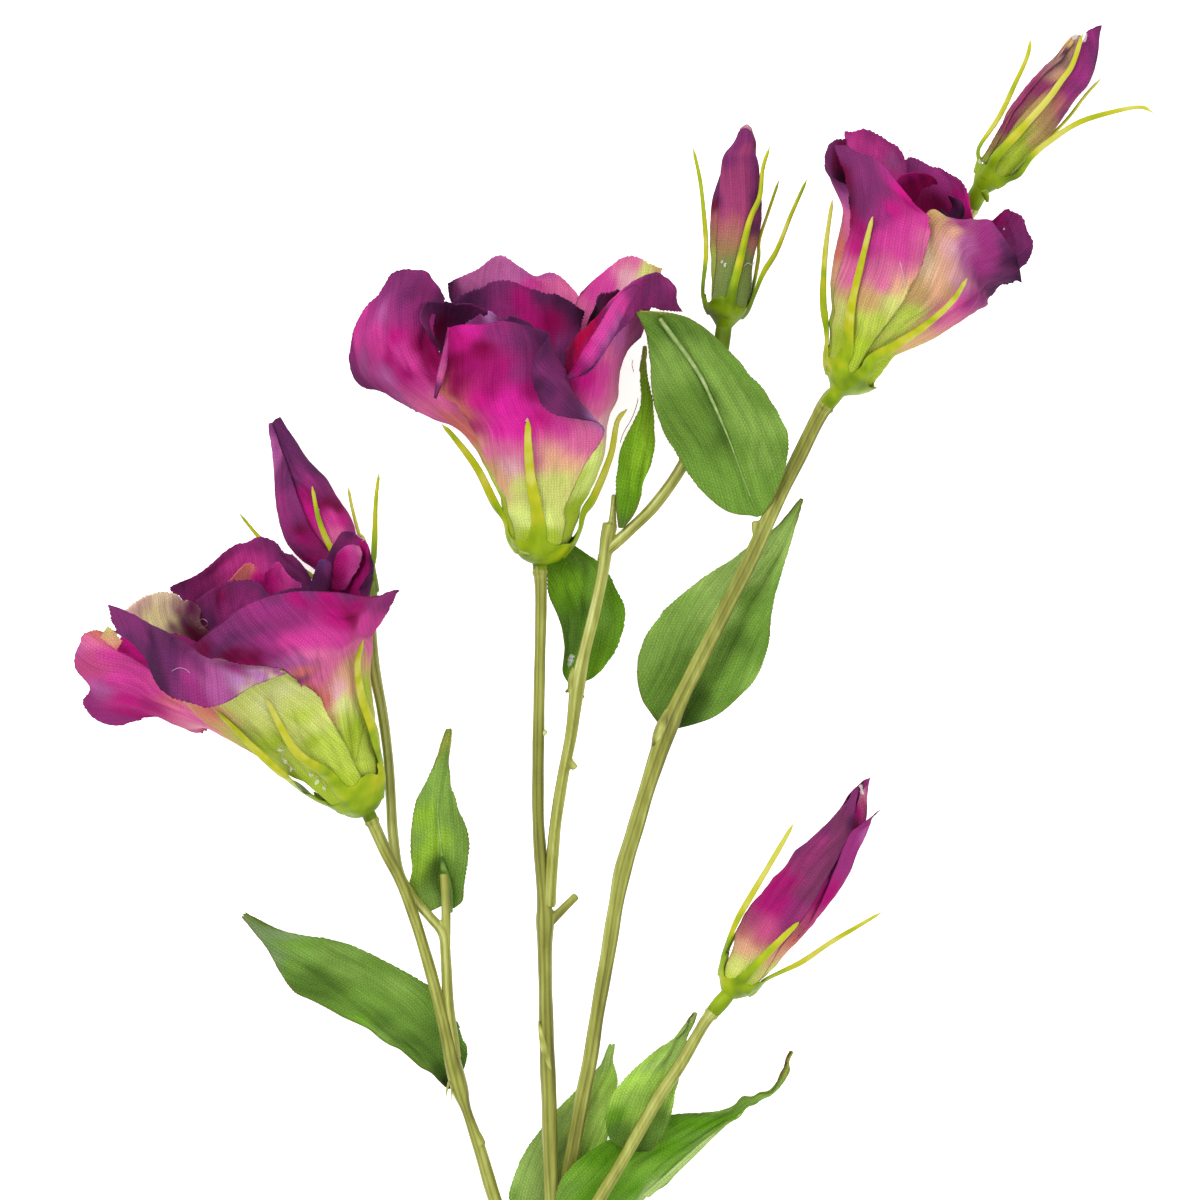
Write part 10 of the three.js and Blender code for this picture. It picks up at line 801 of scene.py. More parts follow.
# creases: places along the line, width and height in mm
CREASE = {
    'flower_centre_petal_front': [
        ([(0.417, 0.363), (0.23, 0.467), (0.287, 0.59)], 0.55, -0.28),
        ([(0.307, 0.333), (0.187, 0.44), (0.207, 0.557)], 0.5, -0.25),
        ([(0.49, 0.363), (0.363, 0.463), (0.39, 0.607)], 0.55, -0.22),
        ([(0.23, 0.377), (0.14, 0.467), (0.21, 0.583)], 0.5, -0.2),
        ([(0.56, 0.39), (0.493, 0.46), (0.503, 0.533)], 0.6, -0.2),
        ([(0.253, 0.35), (0.16, 0.453), (0.213, 0.573)], 0.5, 0.2),
        ([(0.11, 0.603), (0.003, 0.493), (0, 0.37), (0, 0.26)], 0.55, -0.5),
        ([(0.093, 0.54), (0.047, 0.437), (0.047, 0.327)], 0.8, 0.25),
        ([(0.173, 0.83), (0.22, 0.837), (0.297, 0.82)], 1.2, -0.3),
        ([(0.857, 0.663), (0.743, 0.717), (0.71, 0.823)], 0.8, -0.25),
        ([(0.677, 0.29), (0.68, 0.383), (0.67, 0.447)], 0.7, -0.2),
        ([(0.997, 0.233), (0.913, 0.337), (0.893, 0.433)], 0.5, 0.2),
        ([(0.547, 0.297), (0.517, 0.093), (0.547, 0.017)], 0.5, -0.15),
    ],
    'flower_centre_petal_left': [
        ([(0.59, 0.877), (0.677, 0.767), (0.667, 0.687), (0.593, 0.647)], 0.5, -0.35),
        ([(0.667, 0.853), (0.757, 0.77), (0.773, 0.687)], 0.45, 0.3),
        ([(0.737, 0.803), (0.767, 0.74), (0.74, 0.69)], 0.4, -0.25),
        ([(0.483, 0.87), (0.587, 0.763), (0.637, 0.707)], 0.5, -0.25),
        ([(0.67, 0.747), (0.677, 0.713), (0.623, 0.687)], 0.45, 0.25),
        ([(0.927, 0.83), (0.87, 0.737), (0.797, 0.653), (0.703, 0.587)], 0.9, -0.5),
        ([(0.84, 0.787), (0.833, 0.723), (0.803, 0.637)], 0.6, 0.25),
        ([(0.743, 0.917), (0.873, 0.867), (0.967, 0.78)], 0.9, -0.3),
        ([(0.243, 0.833), (0.44, 0.707), (0.477, 0.607)], 1.1, 0.25),
        ([(0.53, 0.543), (0.46, 0.403), (0.707, 0.26)], 0.5, -0.25),
    ],
    'flower_centre_petal_right': [
        ([(0.28, 0.45), (0.237, 0.32), (0.277, 0.103)], 0.5, -0.25),
        ([(0.447, 0.593), (0.387, 0.503), (0.343, 0.423)], 0.5, 0.2),
        ([(0.277, 0.583), (0.3, 0.507), (0.347, 0.44)], 0.45, -0.2),
        ([(0.293, 0.943), (0.21, 0.97), (0.1, 0.98)], 0.6, 0.3),
        ([(0.687, 0.88), (0.473, 0.963), (0.26, 0.983)], 0.9, 0.3),
        ([(0.803, 0.953), (0.813, 0.713), (0.637, 0.677)], 0.9, -0.3),
        ([(0.383, 0.997), (0.503, 0.593), (0.463, 0.47)], 0.45, -0.2),
    ],
    'flower_centre_petal_inner_back': [
        ([(0.437, 0.957), (0.523, 0.887), (0.57, 0.823)], 0.8, -0.25),
        ([(0.633, 0.977), (0.747, 0.887), (0.803, 0.807)], 0.8, -0.3),
        ([(0.82, 0.973), (0.86, 0.87), (0.88, 0.787)], 0.7, 0.25),
        ([(0.24, 0.98), (0.413, 0.907), (0.56, 0.887)], 0.8, 0.2),
    ],
    'flower_centre_petal_back_left': [
        ([(0.41, 0.967), (0.48, 0.91), (0.55, 0.873)], 0.7, -0.25),
        ([(0.647, 0.933), (0.743, 0.88), (0.793, 0.863)], 0.6, -0.25),
        ([(0.193, 0.983), (0.303, 0.89), (0.357, 0.86)], 0.6, 0.25),
        ([(0.817, 0.947), (0.88, 0.913), (0.93, 0.88)], 0.5, 0.2),
    ],
    'flower_centre_petal_inner_left': [
        ([(0.703, 0.987), (0.72, 0.913), (0.63, 0.84)], 0.5, -0.3),
        ([(0.583, 0.977), (0.58, 0.903), (0.54, 0.833)], 0.5, 0.25),
        ([(0.807, 0.997), (0.827, 0.927), (0.797, 0.887)], 0.5, -0.2),
    ],
    'flower_left_petal_front_right': [
        ([(0.547, 0.923), (0.507, 0.797), (0.303, 0.603), (0.143, 0.457), (0.087, 0.297)], 0.6, -0.35),
        ([(0.557, 0.877), (0.47, 0.693), (0.203, 0.523), (0.15, 0.367)], 0.6, 0.25),
        ([(0.317, 0.74), (0.18, 0.617), (0.07, 0.49)], 0.6, -0.3),
        ([(0.337, 0.697), (0.153, 0.57), (0.103, 0.45)], 0.5, 0.22),
        ([(0.153, 0.723), (0.05, 0.617), (0.04, 0.493)], 0.6, -0.28),
        ([(0.297, 0.757), (0.173, 0.64)], 0.5, 0.2),
        ([(0.593, 0.817), (0.68, 0.76), (0.807, 0.783)], 0.7, -0.4),
        ([(0.627, 0.843), (0.697, 0.8), (0.787, 0.833)], 0.7, 0.25),
        ([(0.753, 0.347), (0.37, 0.257), (0, 0.12)], 0.6, -0.35),
        ([(0.353, 0.427), (0.237, 0.303), (0, 0.147)], 0.55, -0.3),
        ([(0.257, 0.417), (0.123, 0.287), (0, 0.13)], 0.5, 0.22),
        ([(0.463, 0.4), (0.27, 0.26), (0, 0.09)], 0.5, 0.25),
        ([(0.063, 0.893), (0.033, 0.78), (0, 0.673)], 1.2, -0.3),
        ([(0.203, 0.813), (0.14, 0.737), (0.05, 0.647)], 0.6, -0.3),
        ([(0.043, 0.207), (0.23, 0.18), (0.473, 0.153)], 0.4, -0.35),
    ],
    'flower_left_petal_front_left': [
        ([(0.76, 0.54), (0.647, 0.397), (0.393, 0.157)], 0.6, -0.3),
        ([(0.583, 0.567), (0.513, 0.427), (0.19, 0.193)], 0.6, -0.28),
        ([(0.35, 0.55), (0.293, 0.393), (0, 0.2)], 0.6, -0.3),
        ([(0.63, 0.547), (0.553, 0.4), (0.27, 0.17)], 0.6, 0.25),
        ([(0.847, 0.497), (0.767, 0.33), (0.533, 0.123)], 0.6, 0.25),
        ([(0.057, 0.903), (0.323, 0.857), (0.563, 0.863)], 1.2, 0.3),
        ([(0.257, 0.797), (0.457, 0.79), (0.59, 0.78)], 0.8, -0.3),
        ([(0.407, 0.967), (0.61, 0.903), (0.82, 0.893)], 1.2, 0.25),
        ([(0.19, 0.55), (0.253, 0.483), (0.2, 0.357)], 0.5, -0.45),
        ([(0.957, 0.347), (0.867, 0.23), (0.72, 0.093)], 0.5, 0.22),
        ([(0.9, 0.45), (0.83, 0.29), (0.64, 0.107)], 0.5, -0.25),
    ],
    'flower_left_petal_left': [
        ([(0.81, 0.897), (0.77, 0.76), (0.663, 0.66), (0.597, 0.53)], 0.6, -0.35),
        ([(0.8, 0.84), (0.713, 0.733), (0.627, 0.623)], 0.6, 0.3),
        ([(0.517, 0.883), (0.54, 0.727), (0.6, 0.593)], 0.6, -0.25),
        ([(1, 0.847), (1, 0.767), (0.973, 0.69)], 0.5, -0.25),
        ([(0.7, 0.93), (0.703, 0.833), (0.463, 0.753)], 0.9, 0.25),
        ([(0.54, 0.727), (0.643, 0.63), (0.723, 0.453)], 0.5, 0.2),
    ],
    'flower_left_petal_back': [
        ([(0.45, 0.963), (0.437, 0.867), (0.367, 0.827)], 0.8, -0.25),
        ([(0.593, 0.987), (0.68, 0.93), (0.82, 0.913)], 0.8, -0.25),
        ([(0.253, 0.997), (0.287, 0.867), (0.283, 0.813)], 0.7, -0.2),
    ],
    'flower_left_petal_inner_back': [
        ([(0.393, 1), (0.513, 0.983), (0.543, 0.883)], 0.6, -0.5),
        ([(0.707, 1), (0.68, 0.927), (0.75, 0.893)], 0.5, -0.35),
        ([(0.287, 0.987), (0.38, 0.937), (0.29, 0.907)], 0.5, 0.3),
    ],
    'flower_left_petal_inner_mid': [
        ([(0.34, 0.993), (0.293, 0.933), (0.32, 0.85)], 0.6, -0.4),
        ([(0.607, 0.977), (0.563, 0.907), (0.49, 0.847)], 0.6, 0.25),
    ],
    'flower_left_petal_right': [
        ([(0.577, 0.92), (0.727, 0.813), (0.747, 0.743)], 0.6, -0.35),
        ([(0.39, 0.943), (0.417, 0.82), (0.527, 0.737)], 0.7, 0.3),
        ([(0.283, 0.93), (0.08, 1), (0.007, 1)], 0.5, -0.3),
    ],
    'flower_right_petal_front': [
        ([(0.21, 0.743), (0.233, 0.57), (0.33, 0.463)], 1.1, -0.3),
        ([(0.48, 0.787), (0.453, 0.713), (0.533, 0.673)], 0.6, -0.35),
        ([(0.877, 0.883), (0.903, 0.823), (0.977, 0.81)], 0.8, 0.25),
        ([(0.45, 0.397), (0.553, 0.217), (0.657, 0.073)], 0.5, -0.2),
        ([(0.617, 0.423), (0.74, 0.243), (0.84, 0.083)], 0.5, 0.2),
        ([(0.773, 0.51), (0.863, 0.313), (0.983, 0.093)], 0.5, -0.2),
        ([(0.243, 0.97), (0.3, 0.85), (0.253, 0.723)], 1, 0.3),
    ],
    'flower_right_petal_right': [
        ([(0.213, 0.65), (0.18, 0.543), (0.217, 0.34), (0.353, 0.09)], 0.6, -0.3),
        ([(0.79, 0.863), (0.843, 0.62), (0.463, 0.47), (0.453, 0.31)], 0.9, -0.45),
        ([(0.65, 0.783), (0.663, 0.593), (0.337, 0.46)], 0.9, 0.3),
        ([(0.067, 0.613), (0.153, 0.57), (0.107, 0.507)], 0.6, -0.2),
        ([(0.19, 0.79), (0.453, 0.623), (0.293, 0.537)], 0.8, -0.2),
    ],
    'flower_right_petal_right_back': [
        ([(0.783, 0.977), (0.52, 0.92), (0.297, 0.903)], 0.6, -0.3),
        ([(0.54, 1), (0.417, 0.97), (0.237, 0.947)], 0.6, 0.25),
    ],
    'flower_right_petal_back_right': [
        ([(0.373, 1), (0.55, 0.963), (0.663, 0.887)], 0.7, -0.35),
        ([(0.57, 1), (0.76, 0.98), (0.91, 0.933)], 0.7, 0.3),
    ],
    'flower_right_petal_back_left': [
        ([(0.3, 0.973), (0.44, 0.92), (0.62, 0.877)], 0.7, -0.25),
        ([(0.54, 0.98), (0.72, 0.973), (0.907, 0.937)], 0.6, 0.2),
    ],
    'flower_right_petal_inner_left': [
        ([(0.393, 0.993), (0.69, 0.873), (0.907, 0.807)], 0.35, -0.2),
        ([(0.477, 1), (0.81, 0.873), (0.993, 0.817)], 0.35, 0.2),
        ([(0.583, 1), (0.863, 0.897), (1, 0.827)], 0.35, -0.2),
        ([(0.697, 1), (0.937, 0.923), (1, 0.85)], 0.35, 0.2),
    ],
    'bud_a_petal_front': [
        ([(0.337, 0.757), (0.493, 0.567), (0.64, 0.36)], 0.5, -0.35),
        ([(0.673, 0.763), (0.663, 0.557), (0.76, 0.35)], 0.5, 0.22),
        ([(0.897, 0.717), (0.843, 0.53), (0.893, 0.363)], 0.5, -0.2),
        ([(0.147, 0.69), (0.327, 0.513), (0.42, 0.337)], 0.5, -0.3),
        ([(0.143, 0.657), (0.13, 0.48), (0.353, 0.313)], 0.5, 0.25),
        ([(0.123, 0.593), (0.16, 0.407), (0.383, 0.247)], 0.4, -0.3),
    ],
    'bud_c_petal_front': [
        ([(0.303, 0.917), (0.39, 0.533), (0.363, 0.313)], 0.5, -0.22),
        ([(0.57, 0.907), (0.573, 0.59), (0.51, 0.39)], 0.5, 0.2),
        ([(0.28, 0.727), (0.237, 0.53), (0.24, 0.31)], 0.5, 0.22),
        ([(0.717, 0.743), (0.73, 0.547), (0.797, 0.28)], 0.5, -0.3),
        ([(0.543, 0.54), (0.547, 0.39), (0.593, 0.277)], 0.4, 0.2),
    ],
    'bud_b_petal_right': [
        ([(0.14, 0.887), (0.15, 0.55), (0.23, 0.287), (0.3, 0.037)], 0.5, -0.25),
        ([(0.26, 0.84), (0.273, 0.523), (0.337, 0.277)], 0.5, 0.22),
        ([(0, 0.753), (0.127, 0.447), (0.18, 0.22)], 0.5, 0.2),
        ([(0.363, 0.587), (0.347, 0.393), (0.39, 0.143)], 0.5, -0.25),
    ],
    'bud_b_petal_left': [
        ([(0.05, 0.74), (0.657, 0.443), (0.643, 0.267)], 0.5, -0.35),
        ([(0.3, 0.673), (0.02, 0.39), (0, 0.21)], 0.5, 0.25),
    ],
    'bud_d_petal_left': [
        ([(0.837, 0.8), (0.78, 0.567), (0.713, 0.387)], 0.5, -0.22),
        ([(0.96, 0.74), (0.883, 0.533), (0.733, 0.357)], 0.5, 0.22),
    ],
    'bud_d_petal_right': [
        ([(0.173, 0.913), (0.15, 0.597), (0.103, 0.353)], 0.5, -0.3),
        ([(0.253, 0.817), (0.233, 0.577), (0.207, 0.36)], 0.6, 0.22),
        ([(0.23, 0.663), (0.287, 0.523), (0.283, 0.37)], 0.5, -0.22),
    ],
    'bud_a_petal_back': [
        ([(0.073, 0.947), (0.06, 0.68), (0.19, 0.473)], 0.5, -0.3),
        ([(0.133, 0.897), (0.24, 0.657), (0.287, 0.5)], 0.4, 0.25),
    ],
    'leaf_1': [
        ([(0.43, 0.86), (0.463, 0.723), (0.493, 0.553), (0.53, 0.387), (0.537, 0.24), (0.463, 0.083)], 0.9, -0.6),
        ([(0.217, 0.867), (0.337, 0.747), (0.367, 0.597), (0.343, 0.45), (0.317, 0.313)], 1.6, 0.35),
        ([(0.29, 0.787), (0.293, 0.633), (0.25, 0.487)], 0.8, -0.15),
        ([(1, 0.557), (0.9, 0.423), (0.85, 0.277), (0.91, 0.103)], 0.8, 0.3),
        ([(0.073, 0.663), (0.147, 0.53), (0.17, 0.417)], 0.8, 0.15),
    ],
    'leaf_2': [
        ([(0.77, 0.87), (0.583, 0.62), (0.47, 0.39), (0.45, 0.203)], 0.5, -0.35),
        ([(0.437, 0.67), (0.3, 0.503), (0.24, 0.31), (0.24, 0.067)], 0.6, -0.18),
        ([(0.833, 0.633), (0.793, 0.443), (0.833, 0.213)], 0.6, -0.18),
        ([(0.69, 0.77), (0.677, 0.577), (0.657, 0.343)], 0.7, 0.15),
    ],
    'leaf_3': [
        ([(0.903, 0.773), (0.6, 0.553), (0.55, 0.383), (0.517, 0.19)], 0.7, -0.5),
        ([(0.94, 0.743), (0.677, 0.51), (0.667, 0.263)], 1, 0.3),
        ([(1, 0.747), (0.84, 0.52), (0.807, 0.273)], 0.7, -0.2),
        ([(0.537, 0.733), (0.427, 0.557), (0.507, 0.407)], 0.7, -0.3),
        ([(0.787, 0.803), (0.577, 0.607), (0.533, 0.457)], 0.6, 0.25),
    ],
    'leaf_4': [
        ([(1, 0.91), (0.84, 0.643), (0.707, 0.43), (1, 0.113)], 0.5, -0.5),
        ([(0.06, 0.693), (0.337, 0.507), (0.623, 0.207)], 0.5, 0.4),
        ([(0.383, 0.557), (0.837, 0.403), (1, 0.18)], 0.45, 0.4),
        ([(0.283, 0.507), (0.373, 0.36), (0.643, 0.143)], 0.45, -0.4),
        ([(0.967, 0.643), (0.913, 0.453), (1, 0.23)], 0.5, -0.3),
    ],
    'leaf_5': [
        ([(0.587, 0.787), (0.52, 0.627), (0.503, 0.493), (0.503, 0.353), (0.467, 0.177), (0.527, 0.047)], 0.8, -0.5),
        ([(0.653, 0.723), (0.627, 0.587), (0.61, 0.44), (0.597, 0.28)], 1.3, 0.3),
        ([(0.317, 0.79), (0.337, 0.63), (0.353, 0.453), (0.34, 0.233)], 1.3, 0.3),
        ([(0.767, 0.513), (0.807, 0.42), (0.723, 0.3), (0.59, 0.187)], 0.6, -0.25),
        ([(0.71, 0.51), (0.75, 0.417), (0.667, 0.303), (0.54, 0.213)], 0.6, 0.2),
        ([(0.207, 0.65), (0.227, 0.49), (0.233, 0.283)], 0.7, -0.18),
        ([(0.807, 0.673), (0.817, 0.557), (0.793, 0.45)], 0.6, -0.15),
        ([(0.287, 0.387), (0.303, 0.303), (0.35, 0.19)], 0.8, -0.25),
    ],
    'leaf_6': [
        ([(0.323, 0.973), (0.627, 0.713), (0.597, 0.457), (0.607, 0.2)], 1, -0.6),
        ([(0.703, 0.77), (0.88, 0.59), (0.717, 0.38), (0.737, 0.177)], 1.2, 0.35),
        ([(0.563, 0.823), (0.357, 0.707), (0.42, 0.387), (0.473, 0.153)], 1.2, 0.3),
        ([(0.873, 0.627), (0.807, 0.437), (0.713, 0.243)], 0.7, -0.3),
        ([(1, 0.667), (1, 0.473), (0.897, 0.28)], 0.7, -0.15),
        ([(0.117, 0.703), (0.183, 0.503), (0.183, 0.273)], 0.8, -0.15),
    ],
    'leaf_7': [
        ([(0.923, 0.947), (0.523, 0.717), (0.427, 0.497), (0.403, 0.287)], 0.7, -0.3),
        ([(0.463, 0.8), (0.627, 0.563), (0.487, 0.397)], 0.8, 0.2),
        ([(0.657, 0.74), (0.873, 0.547), (0.853, 0.457)], 0.6, -0.2),
        ([(0.2, 0.68), (0.25, 0.52), (0.243, 0.31)], 0.6, -0.15),
    ],
    'leaf_8': [
        ([(0.17, 0.91), (0.15, 0.767), (0.337, 0.647), (0.457, 0.5), (0.377, 0.32)], 0.9, -0.4),
        ([(0, 0.707), (0.367, 0.593), (0.45, 0.44), (0.34, 0.307)], 1, 0.3),
        ([(0.987, 0.633), (1, 0.45), (0.763, 0.323)], 0.6, 0.5),
        ([(0.337, 0.663), (0.637, 0.513), (0.593, 0.34)], 0.7, -0.5),
        ([(0.15, 0.59), (0.233, 0.483), (0.227, 0.333)], 0.8, -0.2),
    ],
    'leaf_9': [
        ([(0, 0.97), (0.433, 0.747), (0.59, 0.51), (0.513, 0.237)], 0.6, -0.4),
        ([(0.347, 0.833), (0.337, 0.637), (0.38, 0.367), (0.27, 0.187)], 0.8, 0.25),
        ([(0.9, 0.74), (0.943, 0.483), (0.897, 0.237)], 0.8, 0.25),
        ([(0.28, 0.543), (0.297, 0.377), (0.273, 0.213)], 0.5, -0.3),
        ([(0.43, 0.543), (0.533, 0.347), (0.45, 0.147)], 0.45, 0.35),
        ([(0.607, 0.51), (0.647, 0.337), (0.67, 0.14)], 0.45, -0.3),
    ],
}
# outline trims: place (x, y), shift (x, y) and reach, in mm
TRIM = {
    'flower_centre_petal_left': [
        (-50.45, 159.86, 1.49, 1.73, 2.72),
        (-47.12, 157.40, 1.24, 0.75, 2.24),
        (-55.72, 160.32, -0.74, 0.25, 1.97),
    ],
    'flower_centre_petal_back_left': [
        (-21.53, 165.24, 0.00, -1.28, 2.31),
        (-25.87, 165.68, -0.26, 0.00, 2.05),
    ],
    'flower_centre_petal_right': [
        (0.89, 136.65, -1.75, 0.50, 6.01),
        (4.70, 147.57, 1.26, -0.76, 2.52),
        (12.62, 157.58, 1.00, 0.75, 2.00),
    ],
    'flower_right_petal_right': [
        (88.89, 151.92, -0.50, 0.50, 3.99),
        (82.02, 148.02, -0.25, 0.25, 4.00),
        (94.90, 157.10, -0.50, 0.99, 2.23),
    ],
    'flower_right_petal_back_left': [
        (56.99, 196.08, -1.50, 1.25, 2.24),
        (60.24, 198.04, -0.25, 0.25, 3.00),
        (65.05, 197.04, -0.25, 0.50, 2.51),
    ],
    'flower_right_petal_left': [
        (56.04, 194.68, 0.75, 0.25, 1.75),
    ],
    'flower_right_petal_front': [
        (56.32, 183.17, -0.86, 0.00, 1.96),
    ],
    'flower_left_petal_inner_left': [
        (-119.24, 63.77, 0.50, -1.73, 1.98),
        (-116.71, 61.30, 0.74, -1.48, 2.23),
    ],
    'flower_centre_petal_front': [
        (-45.61, 128.74, 0.99, 1.73, 2.22),
        (-43.44, 126.83, 2.47, 1.98, 2.47),
        (-40.53, 124.67, 1.24, 0.74, 1.98),
        (-37.62, 121.03, 0.74, 0.25, 1.98),
    ],
    'bud_a_petal_back': [
        (64.11, 29.19, -1.02, 0.00, 4.58),
        (63.08, 20.80, -2.04, 0.00, 5.60),
        (58.18, 12.98, -1.02, -0.25, 5.08),
        (52.53, 3.65, -0.51, 0.25, 3.56),
    ],
    'bud_b_petal_right': [
        (119.08, 209.63, -1.27, -0.25, 5.08),
        (115.79, 205.06, -0.76, 0.25, 4.57),
    ],
    'bud_d_petal_right': [
        (-77.70, 116.26, -1.02, -1.02, 6.62),
        (-72.25, 108.17, -0.77, -0.77, 5.11),
    ],
    'bud_c_petal_front': [
        (34.33, 193.66, -0.50, 0.00, 2.26),
        (28.62, 193.10, -1.51, 0.13, 3.01),
    ],
    'leaf_1': [
        (-42.26, -22.45, -1.53, -1.27, 3.56),
        (-38.96, -29.32, -1.02, -0.51, 3.05),
        (-56.26, -36.95, 0.51, 1.02, 4.58),
        (-66.45, -30.12, 0.25, 1.02, 4.07),
        (-48.62, -41.02, 0.25, 1.02, 3.05),
    ],
    'leaf_2': [
        (-42.47, 40.22, -0.76, -0.50, 3.03),
        (-42.24, 33.88, -0.76, -0.25, 2.53),
        (-51.53, 7.56, -1.78, -0.25, 3.55),
        (-41.87, 4.55, 1.52, -0.25, 3.04),
    ],
    'leaf_5': [
        (34.47, 138.62, -1.00, -1.00, 4.98),
        (28.16, 143.93, -0.75, -0.75, 4.47),
        (39.55, 131.76, -0.75, -1.00, 3.99),
    ],
    'leaf_7': [
        (-0.77, -37.00, -0.89, 0.00, 2.56),
    ],
    'leaf_8': [
        (44.29, -36.54, -1.02, -0.51, 2.04),
        (8.67, -73.12, -2.55, 1.02, 3.57),
        (31.64, -48.04, -0.51, 1.79, 2.04),
        (35.46, -46.47, 0.00, 1.02, 1.79),
    ],
    'leaf_9': [
        (18.54, -30.79, -0.76, 0.00, 2.54),
        (16.51, -38.96, -0.51, 0.00, 2.54),
    ],
    'flower_left_petal_left': [
        (-122.04, 64.57, 0.99, 0.99, 2.96),
        (-118.60, 62.84, 0.99, 0.99, 2.47),
        (-116.63, 61.11, 0.62, 1.60, 1.97),
    ],
    'flower_right_petal_back_right': [
        (72.21, 191.40, 0.00, 1.52, 2.79),
        (79.87, 189.94, 0.00, 1.01, 3.30),
        (85.13, 185.76, 0.51, 1.01, 3.03),
    ],
    'flower_right_petal_right_back': [
        (95.49, 176.98, 0.62, 1.00, 1.00),
    ],
    'bud_a_petal_front': [
        (34.51, 3.63, -1.02, 0.25, 3.30),
        (38.07, 9.46, -0.76, 0.38, 3.30),
        (31.77, 0.22, -0.89, 0.25, 2.54),
        (29.85, -3.57, -1.02, 0.25, 2.54),
        (43.93, 16.81, -0.64, 0.38, 3.05),
    ],
}
